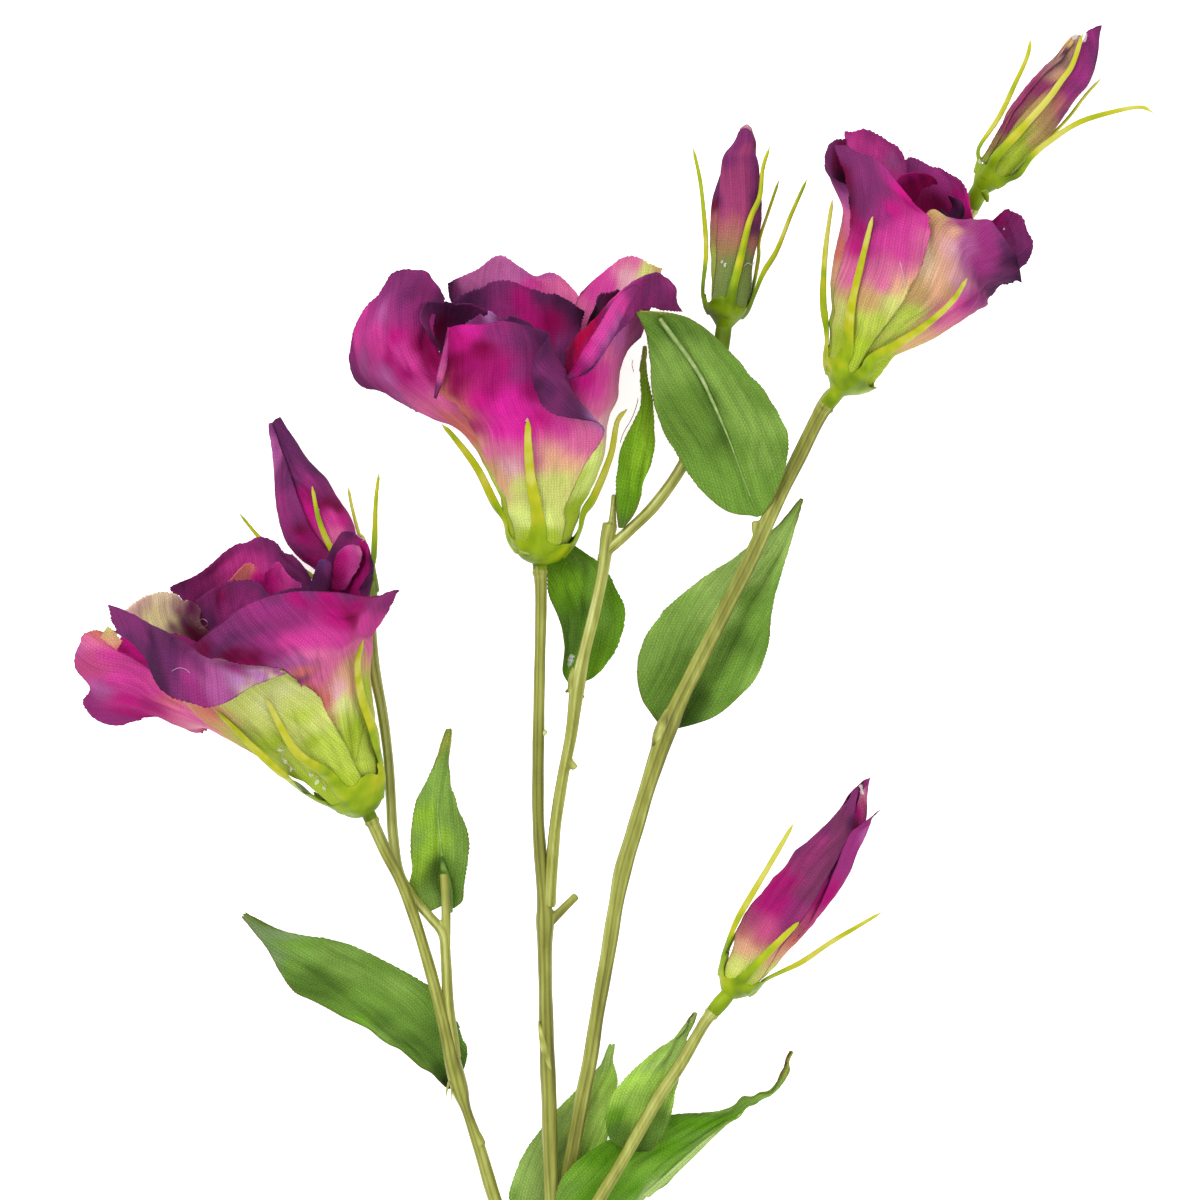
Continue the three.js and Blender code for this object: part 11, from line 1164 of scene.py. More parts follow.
# further cloth: points, cloth, thickness, raggedness, dyed places (across, along, dye)
SHEET = {
    'flower_centre_right_lip': ([
        [(-13.88, 134.36, 60.36), (-13.64, 134.33, 60.84), (-13.39, 134.2, 61.11), (-13.15, 134.2, 61.09)],
        [(-11.93, 137.45, 61.68), (-10.95, 136.43, 62.6), (-9.98, 135.67, 63.14), (-9.25, 135.44, 63.05)],
        [(-9.25, 142.01, 62.73), (-7.55, 140.24, 63.89), (-6.1, 138.79, 63.95), (-4.88, 140.02, 63.46)],
        [(-6.83, 145.89, 62.65), (-4.88, 144.14, 63.54), (-3.43, 142.95, 63.15), (-2.46, 143.51, 61.91)],
        [(-4.64, 149.63, 61.14), (-2.7, 148.16, 61.28), (-1.48, 146.75, 60.55), (-0.74, 147.32, 59.09)],
        [(-2.2, 153.74, 57.77), (-0.74, 152.29, 57.66), (0.49, 151.16, 56.3), (1.23, 151.74, 54.83)],
        [(0.51, 156.74, 53.2), (1.49, 155.79, 52.78), (2.48, 154.89, 51.6), (3.22, 155.22, 50.41)],
        [(3.47, 158.33, 49.78), (3.97, 157.98, 49.44), (4.46, 157.31, 48.52), (4.97, 157.37, 47.61)],
    ], 'petal', 0.28, 0.3, [(0, 0, 'dp'), (0.5, 0, 'dp'), (1, 0, 'dp'), (0, 0.12, 'rmag'), (0.5, 0.14, 'dmag'), (1, 0.14, 'vd'), (0, 0.3, 'magn'), (0.35, 0.3, 'hopi'), (0.6, 0.3, 'vmag'), (0.85, 0.3, 'blup'), (1, 0.3, 'dp'), (0, 0.45, 'hopi'), (0.3, 0.45, 'hopi'), (0.6, 0.45, 'lave'), (0.85, 0.45, 'blup'), (1, 0.42, 'vd'), (0, 0.6, 'hopi'), (0.3, 0.6, 'hopi'), (0.6, 0.6, 'lave'), (0.9, 0.6, 'blup'), (0, 0.75, 'hopi'), (0.5, 0.75, 'hopi'), (1, 0.75, 'vmag'), (0, 0.9, 'vmag'), (0.5, 0.9, 'vmag'), (1, 0.9, 'pu'), (0, 1, 'pu'), (1, 1, 'pu')]),
    'flower_centre_front_turn': ([
        [(-42.32, 146.75, 64.54), (-42.07, 146.48, 64.93), (-41.84, 146.02, 64.58)],
        [(-43.47, 142.68, 59.35), (-42.74, 142.19, 59.47), (-42.14, 141.47, 59.26)],
        [(-44.74, 138.8, 54.52), (-43.76, 137.81, 54.71), (-42.78, 137.08, 54.64)],
        [(-45.74, 134.59, 50.64), (-44.87, 133.84, 50.87), (-44.13, 133.1, 50.92)],
        [(-46.35, 130.53, 48.02), (-45.95, 130.03, 48.2), (-45.6, 129.91, 48.22)],
    ], 'petal', 0.28, 0.3, [(0, 0, 'hopi'), (1, 0, 'dmag'), (0, 0.3, 'lave'), (0.5, 0.3, 'hopi'), (1, 0.3, 'rmag'), (0, 0.6, 'lave'), (0.6, 0.6, 'pk'), (1, 0.6, 'dmag'), (0, 0.9, 'pu'), (1, 0.9, 'pu'), (0.5, 1, 'dp')]),
    'flower_left_right_face': ([
        [(-73.5, 83.62, 23.66), (-71.5, 82.99, 23.37), (-69.22, 82.86, 23.76)],
        [(-72.78, 86.63, 25.08), (-70.16, 86.12, 24.93), (-67.34, 85.37, 25.99)],
        [(-72.5, 90.14, 25.7), (-68.8, 90.13, 26.74), (-65.14, 89.1, 29.58)],
        [(-71.59, 92.26, 26.24), (-68.22, 93.12, 28.13), (-64.56, 91.83, 31.94)],
        [(-69.55, 94.01, 26.76), (-67.43, 94.74, 28.92), (-65.27, 94.33, 31.75)],
    ], 'petal', 0.28, 0.5, [(0, 0, 'rmag'), (0.5, 0, 'dmag'), (1, 0, 'vmag'), (0, 0.3, 'rmag'), (0.5, 0.3, 'dmag'), (0.9, 0.3, 'hopi'), (1, 0.3, 'lave'), (0, 0.6, 'rmag'), (0.3, 0.6, 'magn'), (0.7, 0.6, 'hopi'), (1, 0.6, 'lave'), (0, 0.85, 'vmag'), (0.5, 0.85, 'hopi'), (1, 0.85, 'pk'), (0.5, 1, 'lave')]),
    'flower_left_left_fold': ([
        [(-129.3, 70.48, 44.04), (-128.19, 72.45, 42.89), (-127.1, 74.41, 41.59)],
        [(-127.27, 68.51, 44.49), (-125.87, 70.48, 43.72), (-124.78, 72.69, 42.4)],
        [(-125.29, 66.29, 44.53), (-124.09, 68.26, 44.25), (-122.87, 70.23, 44.11)],
    ], 'petal', 0.28, 0.4, [(0, 0, 'cr'), (0.5, 0, 'tann'), (1, 0, 'yg'), (0, 0.5, 'salm'), (0.5, 0.5, 'cr'), (1, 0.5, 'tann'), (0, 1, 'hopi'), (0.5, 1, 'salm'), (1, 1, 'cr')]),
    'bud_a_second_tip': ([
        [(43.47, -5.69, 16.23), (44.72, -4.65, 16.52), (46.01, -3.44, 15.89)],
        [(47.27, -1.91, 16.05), (49.57, 0.09, 15.63), (51.66, 2.28, 14.37)],
        [(51.56, 6.72, 16.42), (54.4, 8.16, 15.21), (57.15, 9.69, 11.19)],
        [(54.55, 14.11, 17.22), (57.18, 15.01, 15.31), (59.81, 16.18, 13.64)],
        [(56.34, 18.64, 16.83), (58.99, 19.28, 14.77), (61.85, 20.23, 13.42)],
        [(58.4, 22.14, 16.15), (60.8, 22.54, 14.05), (63.16, 23.49, 12.73)],
        [(61.63, 24, 12.87), (62.64, 24.52, 13.04), (63.99, 25.34, 11.56)],
        [(65.66, 26.69, 5.11), (65.99, 26.94, 5.17), (66.27, 27.08, 4.75)],
    ], 'bud', 0.28, 0.18, [(0, 0, 'du'), (1, 0, 'ro'), (0.5, 0.12, 'ro'), (0.5, 0.25, 'dmag'), (1, 0.25, 'vmag'), (0.5, 0.42, 'vmag'), (1, 0.42, 'vmag'), (0.3, 0.6, 'vmag'), (1, 0.6, 'lave'), (0.5, 0.8, 'vmag'), (1, 0.9, 'pu'), (0.5, 1, 'dp')]),
    'bud_b_inner_fold': ([
        [(90.98, 191.8, 12.42), (92, 191.69, 12.34), (93.01, 191.55, 12.42)],
        [(93.58, 196.3, 13.17), (94.99, 195.68, 13.04), (96.37, 195.03, 13.17)],
        [(96.42, 201.28, 14.07), (98.02, 200.16, 13.86), (99.59, 199, 14.07)],
        [(99.66, 205.78, 14.65), (101.51, 204.78, 14.49), (103.34, 203.75, 14.65)],
        [(103.03, 210.28, 15.19), (105.21, 209.29, 14.97), (107.34, 208.25, 15.19)],
        [(106.3, 214.05, 15.41), (108.48, 212.94, 15.12), (110.61, 211.77, 15.41)],
        [(108.88, 216.89, 14.99), (111.31, 215.9, 14.76), (113.69, 214.86, 14.99)],
        [(111.74, 220.27, 14.26), (113.79, 219.79, 14.01), (115.79, 219.26, 14.26)],
        [(114.52, 223.45, 13.15), (115.62, 223.23, 12.9), (116.67, 222.94, 13.15)],
        [(115.29, 224.51, 11.8), (116.07, 224.39, 11.7), (116.82, 224.25, 11.8)],
    ], 'bud', 0.28, 0.12, [(0, 0, 'ol'), (1, 0, 'ol'), (0.5, 0.13, 'dt'), (0.5, 0.24, 'dr'), (0, 0.36, 'dr'), (1, 0.36, 'dt'), (0.5, 0.48, 'dr'), (0.15, 0.6, 'mv'), (0.85, 0.62, 'cr'), (0.5, 0.68, 'mv'), (0, 0.8, 'cr'), (1, 0.8, 'mv'), (0.5, 0.9, 'mv'), (0.5, 1, 'cr')]),
    'leaf_8_fold': ([
        [(4.83, -71.39, 7.35), (6.11, -71.51, 7.42), (7.39, -71.7, 6.98)],
        [(9.94, -67.12, 6.85), (11.21, -67.37, 6.9), (12.24, -67.65, 6.72)],
        [(15.05, -62.56, 6.56), (16.06, -62.8, 6.74), (17.09, -63.08, 6.54)],
        [(19.64, -58.5, 6.43), (20.66, -58.73, 6.61), (21.43, -58.88, 6.44)],
        [(23.73, -55.18, 6.44), (24.49, -55.41, 6.6), (25, -55.43, 6.46)],
        [(27.04, -52.36, 6.56), (27.54, -52.45, 6.87), (27.8, -52.48, 6.61)],
    ], 'leaf', 0.25, 0.1, [(0, 0, 'g5'), (0.5, 0, 'g6'), (1, 0, 'g5'), (0, 0.3, 'g6'), (1, 0.3, 'g5'), (0, 0.6, 'g6'), (1, 0.6, 'g5'), (0, 1, 'g5'), (1, 1, 'g4')]),
}
# ribs, sockets, threads: points (x, y, z, radius), material, flatness
STRAND = {
    'leaf_5_midrib': ([(9.42, 149.89, 45.33, 0.5), (11.45, 147.4, 41.65, 0.62), (14.49, 143.65, 37.82, 0.6), (17.53, 139.6, 34.77, 0.55), (20.07, 135.72, 32.59, 0.48), (22.37, 131.07, 30.5, 0.4), (24.66, 126.14, 28.86, 0.3), (27.21, 120.2, 27.11, 0.2), (30.04, 112.74, 24.93, 0.14), (32.38, 106.77, 22.43, 0.1)], 'rib', 1),
    'leaf_2_midrib': ([(-45.38, 15.77, 15.33, 0.2), (-45.86, 20.37, 16.11, 0.18), (-46.34, 26.23, 16.99, 0.16), (-46.31, 31.32, 17.76, 0.1)], 'rib', 1),
    'leaf_2_socket': ([(-45.64, 15.51, 15.3, 0.25), (-45.14, 13.22, 14.97, 0.7), (-44.65, 10.66, 14.62, 1.2), (-44.15, 7.35, 14.28, 1.45), (-43.9, 4.05, 14.27, 1.3), (-43.65, 1.5, 14.07, 1)], 'socket', 0.55),
    'flower_left_thread_1': ([(-108.58, 63.48, 69.81, 0.055), (-107.13, 64.2, 69.81, 0.055), (-105.44, 63.96, 69.8, 0.055), (-104.21, 63, 70.08, 0.055)], 'string', 1),
    'flower_left_thread_3': ([(-109.2, 76.04, 15.36, 0.055), (-107.81, 75.02, 13.88, 0.055), (-104.63, 75.85, 29.77, 0.055), (-103.42, 74.6, 29.37, 0.055), (-106.88, 73.49, 12.92, 0.055), (-107.83, 74.26, 13.69, 0.055)], 'string', 1),
    'flower_left_thread_4': ([(-84.09, 45.67, 47.99, 0.055), (-83.31, 43.61, 45.09, 0.055), (-83.97, 41.8, 42.73, 0.055), (-82.63, 39.99, 40.61, 0.055), (-80.76, 38.44, 38.93, 0.055)], 'string', 1),
    'flower_left_thread_5': ([(-77.76, 38.46, 39.34, 0.055), (-76.43, 36.37, 36.85, 0.055), (-74.9, 36.9, 37.51, 0.055), (-73.61, 34.27, 34.14, 0.055)], 'string', 1),
    'flower_left_thread_6': ([(-66.35, 97.1, 30.23, 0.08), (-65.01, 96.07, 32.05, 0.08), (-63.97, 95.81, 32.74, 0.08), (-64.74, 95.32, 32.46, 0.08)], 'string', 1),
    'flower_right_thread_1': ([(71.56, 192.34, 19.91, 0.12), (73.54, 194.87, 2, 0.12), (74.05, 195.89, 2, 0.12), (74.31, 195.64, 2, 0.12)], 'hair', 1),
    'flower_right_thread_2': ([(67.92, 163.17, 55.61, 0.09), (68.51, 161.33, 54.13, 0.09), (69.1, 158.99, 52.6, 0.09), (68.96, 157.13, 51.07, 0.09)], 'string', 1),
    'stray_hair_1': ([(-0.31, 120.34, 16, 0.1), (0.7, 123.12, 16, 0.1), (2.74, 126.7, 15, 0.1), (4, 130.25, 15, 0.1), (4.26, 131.77, 15, 0.09)], 'hair', 1),
    'stray_hair_2': ([(3.24, 138.31, 16, 0.09), (2.73, 140.08, 16, 0.09), (2.98, 141.34, 16, 0.08)], 'hair', 1),
    'bud_c_thread_1': ([(30.7, 164.26, 27.81, 0.1), (31.71, 165.04, 27.45, 0.1), (32.75, 164.61, 26.45, 0.1), (33.53, 165.43, 25.5, 0.1)], 'string', 1),
    'bud_a_thread_1': ([(25.88, -22.38, 2.2, 0.08), (27.42, -20.84, 2.2, 0.08), (27.93, -19.3, 2.2, 0.08)], 'string', 1),
    'stem_centre_nub': ([(-20.27, 47.02, 18.65, 1.2), (-19.51, 47.17, 18.65, 0.9), (-18.8, 47.4, 18.65, 0.45)], 'stem', 1),
    'stem_right_node': ([(8.96, 43.07, 13.96, 1.5), (9.97, 45.87, 14.25, 2.15), (11.1, 48.41, 14.49, 2.3), (12.24, 50.96, 14.74, 2), (13.5, 53.75, 14.99, 1.4)], 'stem', 1),
    'stem_twig_sleeve': ([(-12.04, 63.49, 22.46, 0.5), (-12.42, 60.97, 22.28, 0.85), (-12.62, 58.45, 22.11, 0.9), (-12.72, 56.43, 21.98, 0.4)], 'stem', 1),
    'stem_twig_spur_1': ([(-13.19, 57.9, 20.17, 0.6), (-14.07, 57.4, 20.12, 0.3)], 'stem', 1),
    'stem_twig_spur_2': ([(-10.92, 56.64, 19.87, 0.8), (-9.41, 56.13, 19.82, 0.35)], 'stem', 1),
    'stem_sleeve_lip': ([(-20.85, -26.25, 12.82, 0.22), (-20.35, -29.32, 12.53, 0.7), (-19.46, -33.17, 12.15, 1), (-18.58, -36.76, 11.82, 0.8), (-17.82, -38.81, 11.64, 0.4)], 'stem', 1),
    'stem_bud_a_spur': ([(10.1, -43.69, 13.48, 0.9), (11.12, -42.68, 13.44, 0.5)], 'stem', 1),
    'stem_bud_b_spur': ([(91.07, 183.32, 24.72, 0.9), (91.7, 181.82, 24.72, 0.75), (91.95, 180.56, 24.72, 0.35)], 'calyx', 1),
    'stem_left_fray_1': ([(-43.6, -41.45, 15.49, 0.35), (-44.12, -43.49, 15.3, 0.25), (-44.38, -45.29, 15.12, 0.12)], 'stem', 1),
    'stem_left_fray_2': ([(-42.84, -42.45, 15.57, 0.35), (-42.98, -44.76, 15.32, 0.25), (-42.86, -46.82, 15, 0.12)], 'stem', 1),
}
# drops of glue: (x, y, z, radius, height)
DROP = {
    'flower_left_glue': [(-84.31, 43.6, 44.86, 0.55, 0.25), (-83.33, 40.75, 41.25, 0.6, 0.25), (-82.01, 38.68, 38.75, 0.5, 0.25), (-77.13, 37.15, 37.62, 0.5, 0.25), (-75.78, 35.32, 35.27, 0.65, 0.25), (-74.17, 33.74, 33.19, 0.5, 0.25), (-72.06, 31.9, 30.98, 0.4, 0.25)],
    'flower_centre_glue': [(-23.29, 124.78, 50.44, 0.45, 0.2)],
    'leaf_3_glue': [(-12.96, 64.92, 16.74, 1, 0.3), (-12.71, 66.18, 16.39, 0.8, 0.3)],
    'flower_right_glue': [(95.42, 173.16, 32.26, 0.3, 0.2)],
    'bud_a_glue': [(60.91, 33.11, 12.09, 0.6, 0.25), (61.17, 31.84, 12.15, 0.6, 0.25), (32.06, -19.39, 1.2, 0.8, 0.3), (24.37, -10.42, 1.2, 0.6, 0.3)],
    'bud_b_glue': [(114.76, 223.59, 18.09, 1.2, 0.85), (116.81, 222.61, 17.8, 1.1, 0.85), (91.06, 191.75, 13, 0.6, 0.3)],
    'bud_c_glue': [(25.94, 164.52, 27.71, 0.5, 0.25), (25.19, 165.28, 27.57, 0.4, 0.25)],
    'bud_d_glue': [(-76.66, 103.35, 17.31, 0.4, 0.25), (-75.14, 98.3, 17.37, 0.4, 0.25)],
}
# sepals with a line of their own
SEPAL_LINE = {
    ('flower_left', 1): [(-72.21, 28.59, 24.2), (-76.46, 30.49, 24.6), (-80.62, 33.32, 26.2), (-83.9, 37.25, 40.14), (-87.94, 41.53, 45.77), (-91.87, 45.58, 49.11), (-95.69, 49.68, 50.53), (-99.37, 53.55, 53.41)],
    ('bud_a', 1): [(29.01, -16.87, 17.2), (31.25, -14.47, 18.6), (34.23, -11.22, 19.8), (37.49, -7.77, 20.4), (41.27, -3.99, 20.4), (44.82, -0.61, 20)],
}

# width of the sepals from foot to tip (mm)
SEPAL_W = {'flower_centre': (5.2, 4.3, 3.2, 2.7, 2.2, 1.5), 'flower_left': (5.0, 4.2, 3.0, 2.4, 1.9, 1.2), 'flower_right': (4.8, 3.7, 2.5, 1.9, 1.6, 1.2),
           'bud_a': (3.4, 2.6, 2.2, 2.0, 1.7, 1.1), 'bud_b': (3.2, 2.4, 1.9, 1.7, 1.5, 1.0), 'bud_c': (3.2, 2.3, 1.8, 1.5, 1.3, 0.9), 'bud_d': (3.2, 2.4, 1.9, 1.6, 1.3, 0.9)}
# stem under each head: name, length of the green neck, swelling of it (mm)
NECK = {'flower_centre': ('stem_centre', 2.4, 0.0), 'flower_left': ('stem_left', 2.4, 0.1), 'flower_right': ('stem_right', 5.0, 0.0), 'bud_a': ('stem_bud_a', 7.4, 0.35),
        'bud_b': ('stem_bud_b', 6.5, 0.15), 'bud_c': ('stem_bud_c', 9.0, 0.1), 'bud_d': ('stem_bud_d', 3.0, 0.15)}
# outer face of each bowl: (height over the head's foot, radius) (mm)
BOWL = {
    'flower_centre': [(-1.9, 2.0), (-1.5, 3.4), (-0.8, 4.8), (0, 5.6), (1, 6.4), (2, 7.0), (3, 7.7), (4, 8.3), (5, 8.7), (6, 9.0), (8, 9.5), (10, 10.2), (12, 10.8)],
    'flower_left': [(-1.7, 2.1), (-1.2, 3.4), (-0.5, 4.4), (0, 4.9), (1, 5.7), (2, 6.2), (3, 6.9), (4, 7.6), (5, 8.1), (6, 8.5), (8, 9.1), (10, 9.8), (12, 10.6)],
    'flower_right': [(-2, 2.0), (-1, 2.8), (0, 4.1), (1, 5.2), (2, 6.0), (3, 6.7), (4, 7.2), (5, 7.7), (6, 8.2), (8, 8.8), (10, 9.3), (12, 9.9)],
    'bud_a': [(-2.2, 2.3), (-1, 3.4), (0, 4.3), (1, 4.9), (2, 5.3), (3, 5.6), (4, 5.8), (6, 6.1), (8, 6.3), (10, 6.6), (12, 6.9)],
    'bud_b': [(-2, 2.3), (-1, 2.8), (0, 3.3), (1, 3.7), (2, 4.0), (3, 4.2), (4, 4.3), (6, 4.6), (8, 4.8), (10, 5.0), (12, 5.2)],
    'bud_c': [(-2, 2.2), (-1, 2.9), (0, 3.8), (1, 4.7), (2, 5.2), (3, 5.5), (4, 5.8), (6, 6.0), (8, 6.0), (10, 6.0), (12, 6.0)],
    'bud_d': [(-2, 2.2), (-1, 2.8), (0, 3.5), (1, 4.1), (2, 4.5), (3, 4.9), (4, 5.1), (6, 5.4), (8, 5.8), (10, 6.3), (12, 6.9)],
}
# play between petals and bowl, how far the petals' feet are set down, and moved sideways (mm)
FEET = {'flower_centre': (0.75, 1.6, 0), 'flower_left': (0.75, 1.6, 0), 'flower_right': (0.75, 1.6, 0), 'bud_a': (0.8, 2.0, 1.2), 'bud_b': (0.7, 1.8, 0.6), 'bud_c': (0.8, 1.8, 0), 'bud_d': (0.8, 1.8, 0)}
RIM = {'flower_centre': 4.6, 'flower_left': 5.6, 'flower_right': 4.4, 'bud_a': 2.4, 'bud_b': 3.0, 'bud_c': 3.0, 'bud_d': 2.8}
# where the rim stands up or is torn down: (angle, width, height)
RIM_SHAPE = {'bud_a': [(-0.1, 0.55, 6.4), (-2.3, 0.45, 0.8), (3.0, 0.40, 6.6)], 'flower_right': [(0.1, 0.50, 4.7), (3.1, 0.25, 6.2)], 'flower_left': [(-1.1, 0.45, 9.6), (0.0, 0.4, 8.0)],
             'bud_c': [(-1.9, 0.5, 5.0)], 'bud_b': [(-0.2, 0.4, 5.0)]}
NUB = {'stem_bud_c': [[(-1.2, 95.3, 23.95, 1.5), (-3.2, 93.4, 23.9, 1.5), (-4.6, 91.6, 23.8, 1.35), (-5.2, 90.0, 23.7, 0.9)]]}
RELIEF = {}
# how far a bowl leans to the right of the head's axis
LEAN = {'flower_right': 0.09, 'bud_a': 0.06}
CALYX_TONE = {'bud_a': -0.05, 'bud_b': -0.06, 'bud_c': -0.16, 'bud_d': -0.14, 'flower_centre': 0.04, 'flower_right': 0.10}
STEM_TONE = {'stem_bud_a': -0.10, 'stem_right': -0.14, 'stem_main': -0.08, 'stem_centre': -0.08, 'stem_left': -0.04}
LEAF_BROWN = {'leaf_1': 0.9, 'leaf_2': 0.9, 'leaf_3': 0.6, 'leaf_4': 0.8, 'leaf_5': 0.8, 'leaf_6': 0.9, 'leaf_7': 0.4, 'leaf_8': 0.5, 'leaf_9': 0.5}



# ------------------------------------------------------------------ numbers
def ss(a, b, x):
    t = np.clip((np.asarray(x, float) - a) / (b - a), 0, 1)
    return t * t * (3 - 2 * t)


def spline(q, t):
    q = np.asarray(q, float)
    m = len(q)
    e = np.concatenate([(2 * q[0] - q[1])[None], q, (2 * q[-1] - q[-2])[None]])
    i = np.clip(np.floor(t).astype(int), 0, m - 2)
    f = (t - i).reshape((-1,) + (1,) * (q.ndim - 1))
    a, b, c, d = e[i], e[i + 1], e[i + 2], e[i + 3]
    return 0.5 * (2 * b + (c - a) * f + (2 * a - 5 * b + 4 * c - d) * f * f + (3 * b - a - 3 * c + d) * f ** 3)


def surface(net, nv, nu):
    net = np.asarray(net, float)
    m, n, _ = net.shape
    a = spline(net, np.linspace(0, m - 1, nv + 1))
    return spline(a.transpose(1, 0, 2), np.linspace(0, n - 1, nu + 1)).transpose(1, 0, 2)


def waves(p, size, seed, n=14):
    """smooth noise, about -1 to 1, from n plane waves of about the given size (mm)"""
    r = np.random.default_rng(seed)
    out = np.zeros(p.shape[:-1])
    for _ in range(n):
        k = r.normal(size=p.shape[-1])
        k /= np.linalg.norm(k)
        out += np.sin(2 * math.pi / (size * r.uniform(0.7, 1.6)) * (p @ k) + r.uniform(0, 6.28))
    return out * 1.6 / n ** 0.5 / 1.4


def line_noise(n, step, seed):
    """n values, smooth over about `step` values"""
    r = np.random.default_rng(seed)
    k = max(int(n / step) + 3, 4)
    return spline(r.uniform(-1, 1, k), np.linspace(0, k - 1.001, n))


def normals(g):
    du = np.gradient(g, axis=1)
    dv = np.gradient(g, axis=0)
    n = np.cross(du, dv)
    return n / np.maximum(np.linalg.norm(n, axis=2, keepdims=True), 1e-9)


def bilinear(g, v, u):
    """g sampled at fractional rows v and columns u (same shape)"""
    i = np.clip(v.astype(int), 0, g.shape[0] - 2)
    j = np.clip(u.astype(int), 0, g.shape[1] - 2)
    a = (v - i)[..., None]
    b = (u - j)[..., None]
    return (g[i, j] * (1 - a) * (1 - b) + g[i + 1, j] * a * (1 - b) + g[i, j + 1] * (1 - a) * b + g[i + 1, j + 1] * a * b)


# ------------------------------------------------------------------ meshes
def make(name, verts, faces, attrs=None, uv=None, smooth=True):
    me = bpy.data.meshes.new(name)
    verts = np.asarray(verts, float) * MM
    faces = np.asarray(faces, np.int32)
    k = faces.shape[1]
    me.vertices.add(len(verts))
    me.vertices.foreach_set("co", verts.astype(np.float32).ravel())
    me.loops.add(faces.size)
    me.loops.foreach_set("vertex_index", faces.ravel())
    me.polygons.add(len(faces))
    me.polygons.foreach_set("loop_start", np.arange(0, faces.size, k, dtype=np.int32))
    me.polygons.foreach_set("loop_total", np.full(len(faces), k, np.int32))
    me.update(calc_edges=True)
    me.validate()
    for key, val in (attrs or {}).items():
        val = np.asarray(val, np.float32)
        if val.ndim == 2:
            a = me.attributes.new(key, "FLOAT_COLOR", "POINT")
            a.data.foreach_set("color", np.concatenate([val, np.ones((len(val), 1), np.float32)], 1).ravel())
        else:
            a = me.attributes.new(key, "FLOAT", "POINT")
            a.data.foreach_set("value", val.ravel())
    if uv is not None:
        layer = me.uv_layers.new(name="UVMap")
        layer.data.foreach_set("uv", np.asarray(uv, np.float32)[faces.ravel()].ravel())
    if smooth:
        me.polygons.foreach_set("use_smooth", np.ones(len(me.polygons), bool))
    o = bpy.data.objects.new(name, me)
    bpy.context.scene.collection.objects.link(o)
    return o


def sheet_faces(nv, nu, base=0):
    """quads of a closed two-sided grid: top then bottom layer, and the rim between them"""
    W = nu + 1
    N = W * (nv + 1)
    i, j = np.meshgrid(np.arange(nv), np.arange(nu), indexing="ij")
    a = (i * W + j).ravel()
    top = np.stack([a, a + 1, a + W + 1, a + W], 1)
    bot = np.stack([a + N, a + W + N, a + W + 1 + N, a + 1 + N], 1)
    l = np.arange(nv) * W
    r = l + nu
    s = [np.stack([l, l + W, l + W + N, l + N], 1), np.stack([r, r + N, r + W + N, r + W], 1)]
    b = np.arange(nu)
    e = nv * W + b
    s += [np.stack([b, b + N, b + 1 + N, b + 1], 1), np.stack([e, e + 1, e + 1 + N, e + N], 1)]
    return np.concatenate([top, bot] + s) + base


def grid_coords(g):
    """distance along (from the base) and across (from the middle column) each point, mm, and to the rim"""
    d = np.concatenate([np.zeros((1, g.shape[1])), np.cumsum(np.linalg.norm(np.diff(g, axis=0), axis=2), 0)])
    w = np.concatenate([np.zeros((g.shape[0], 1)), np.cumsum(np.linalg.norm(np.diff(g, axis=1), axis=2), 1)], 1)
    half = w[:, -1:] / 2
    side = np.minimum(w, w[:, -1:] - w)
    tip = d[-1:] - d
    return d, w - half, np.minimum(side, tip), side, tip


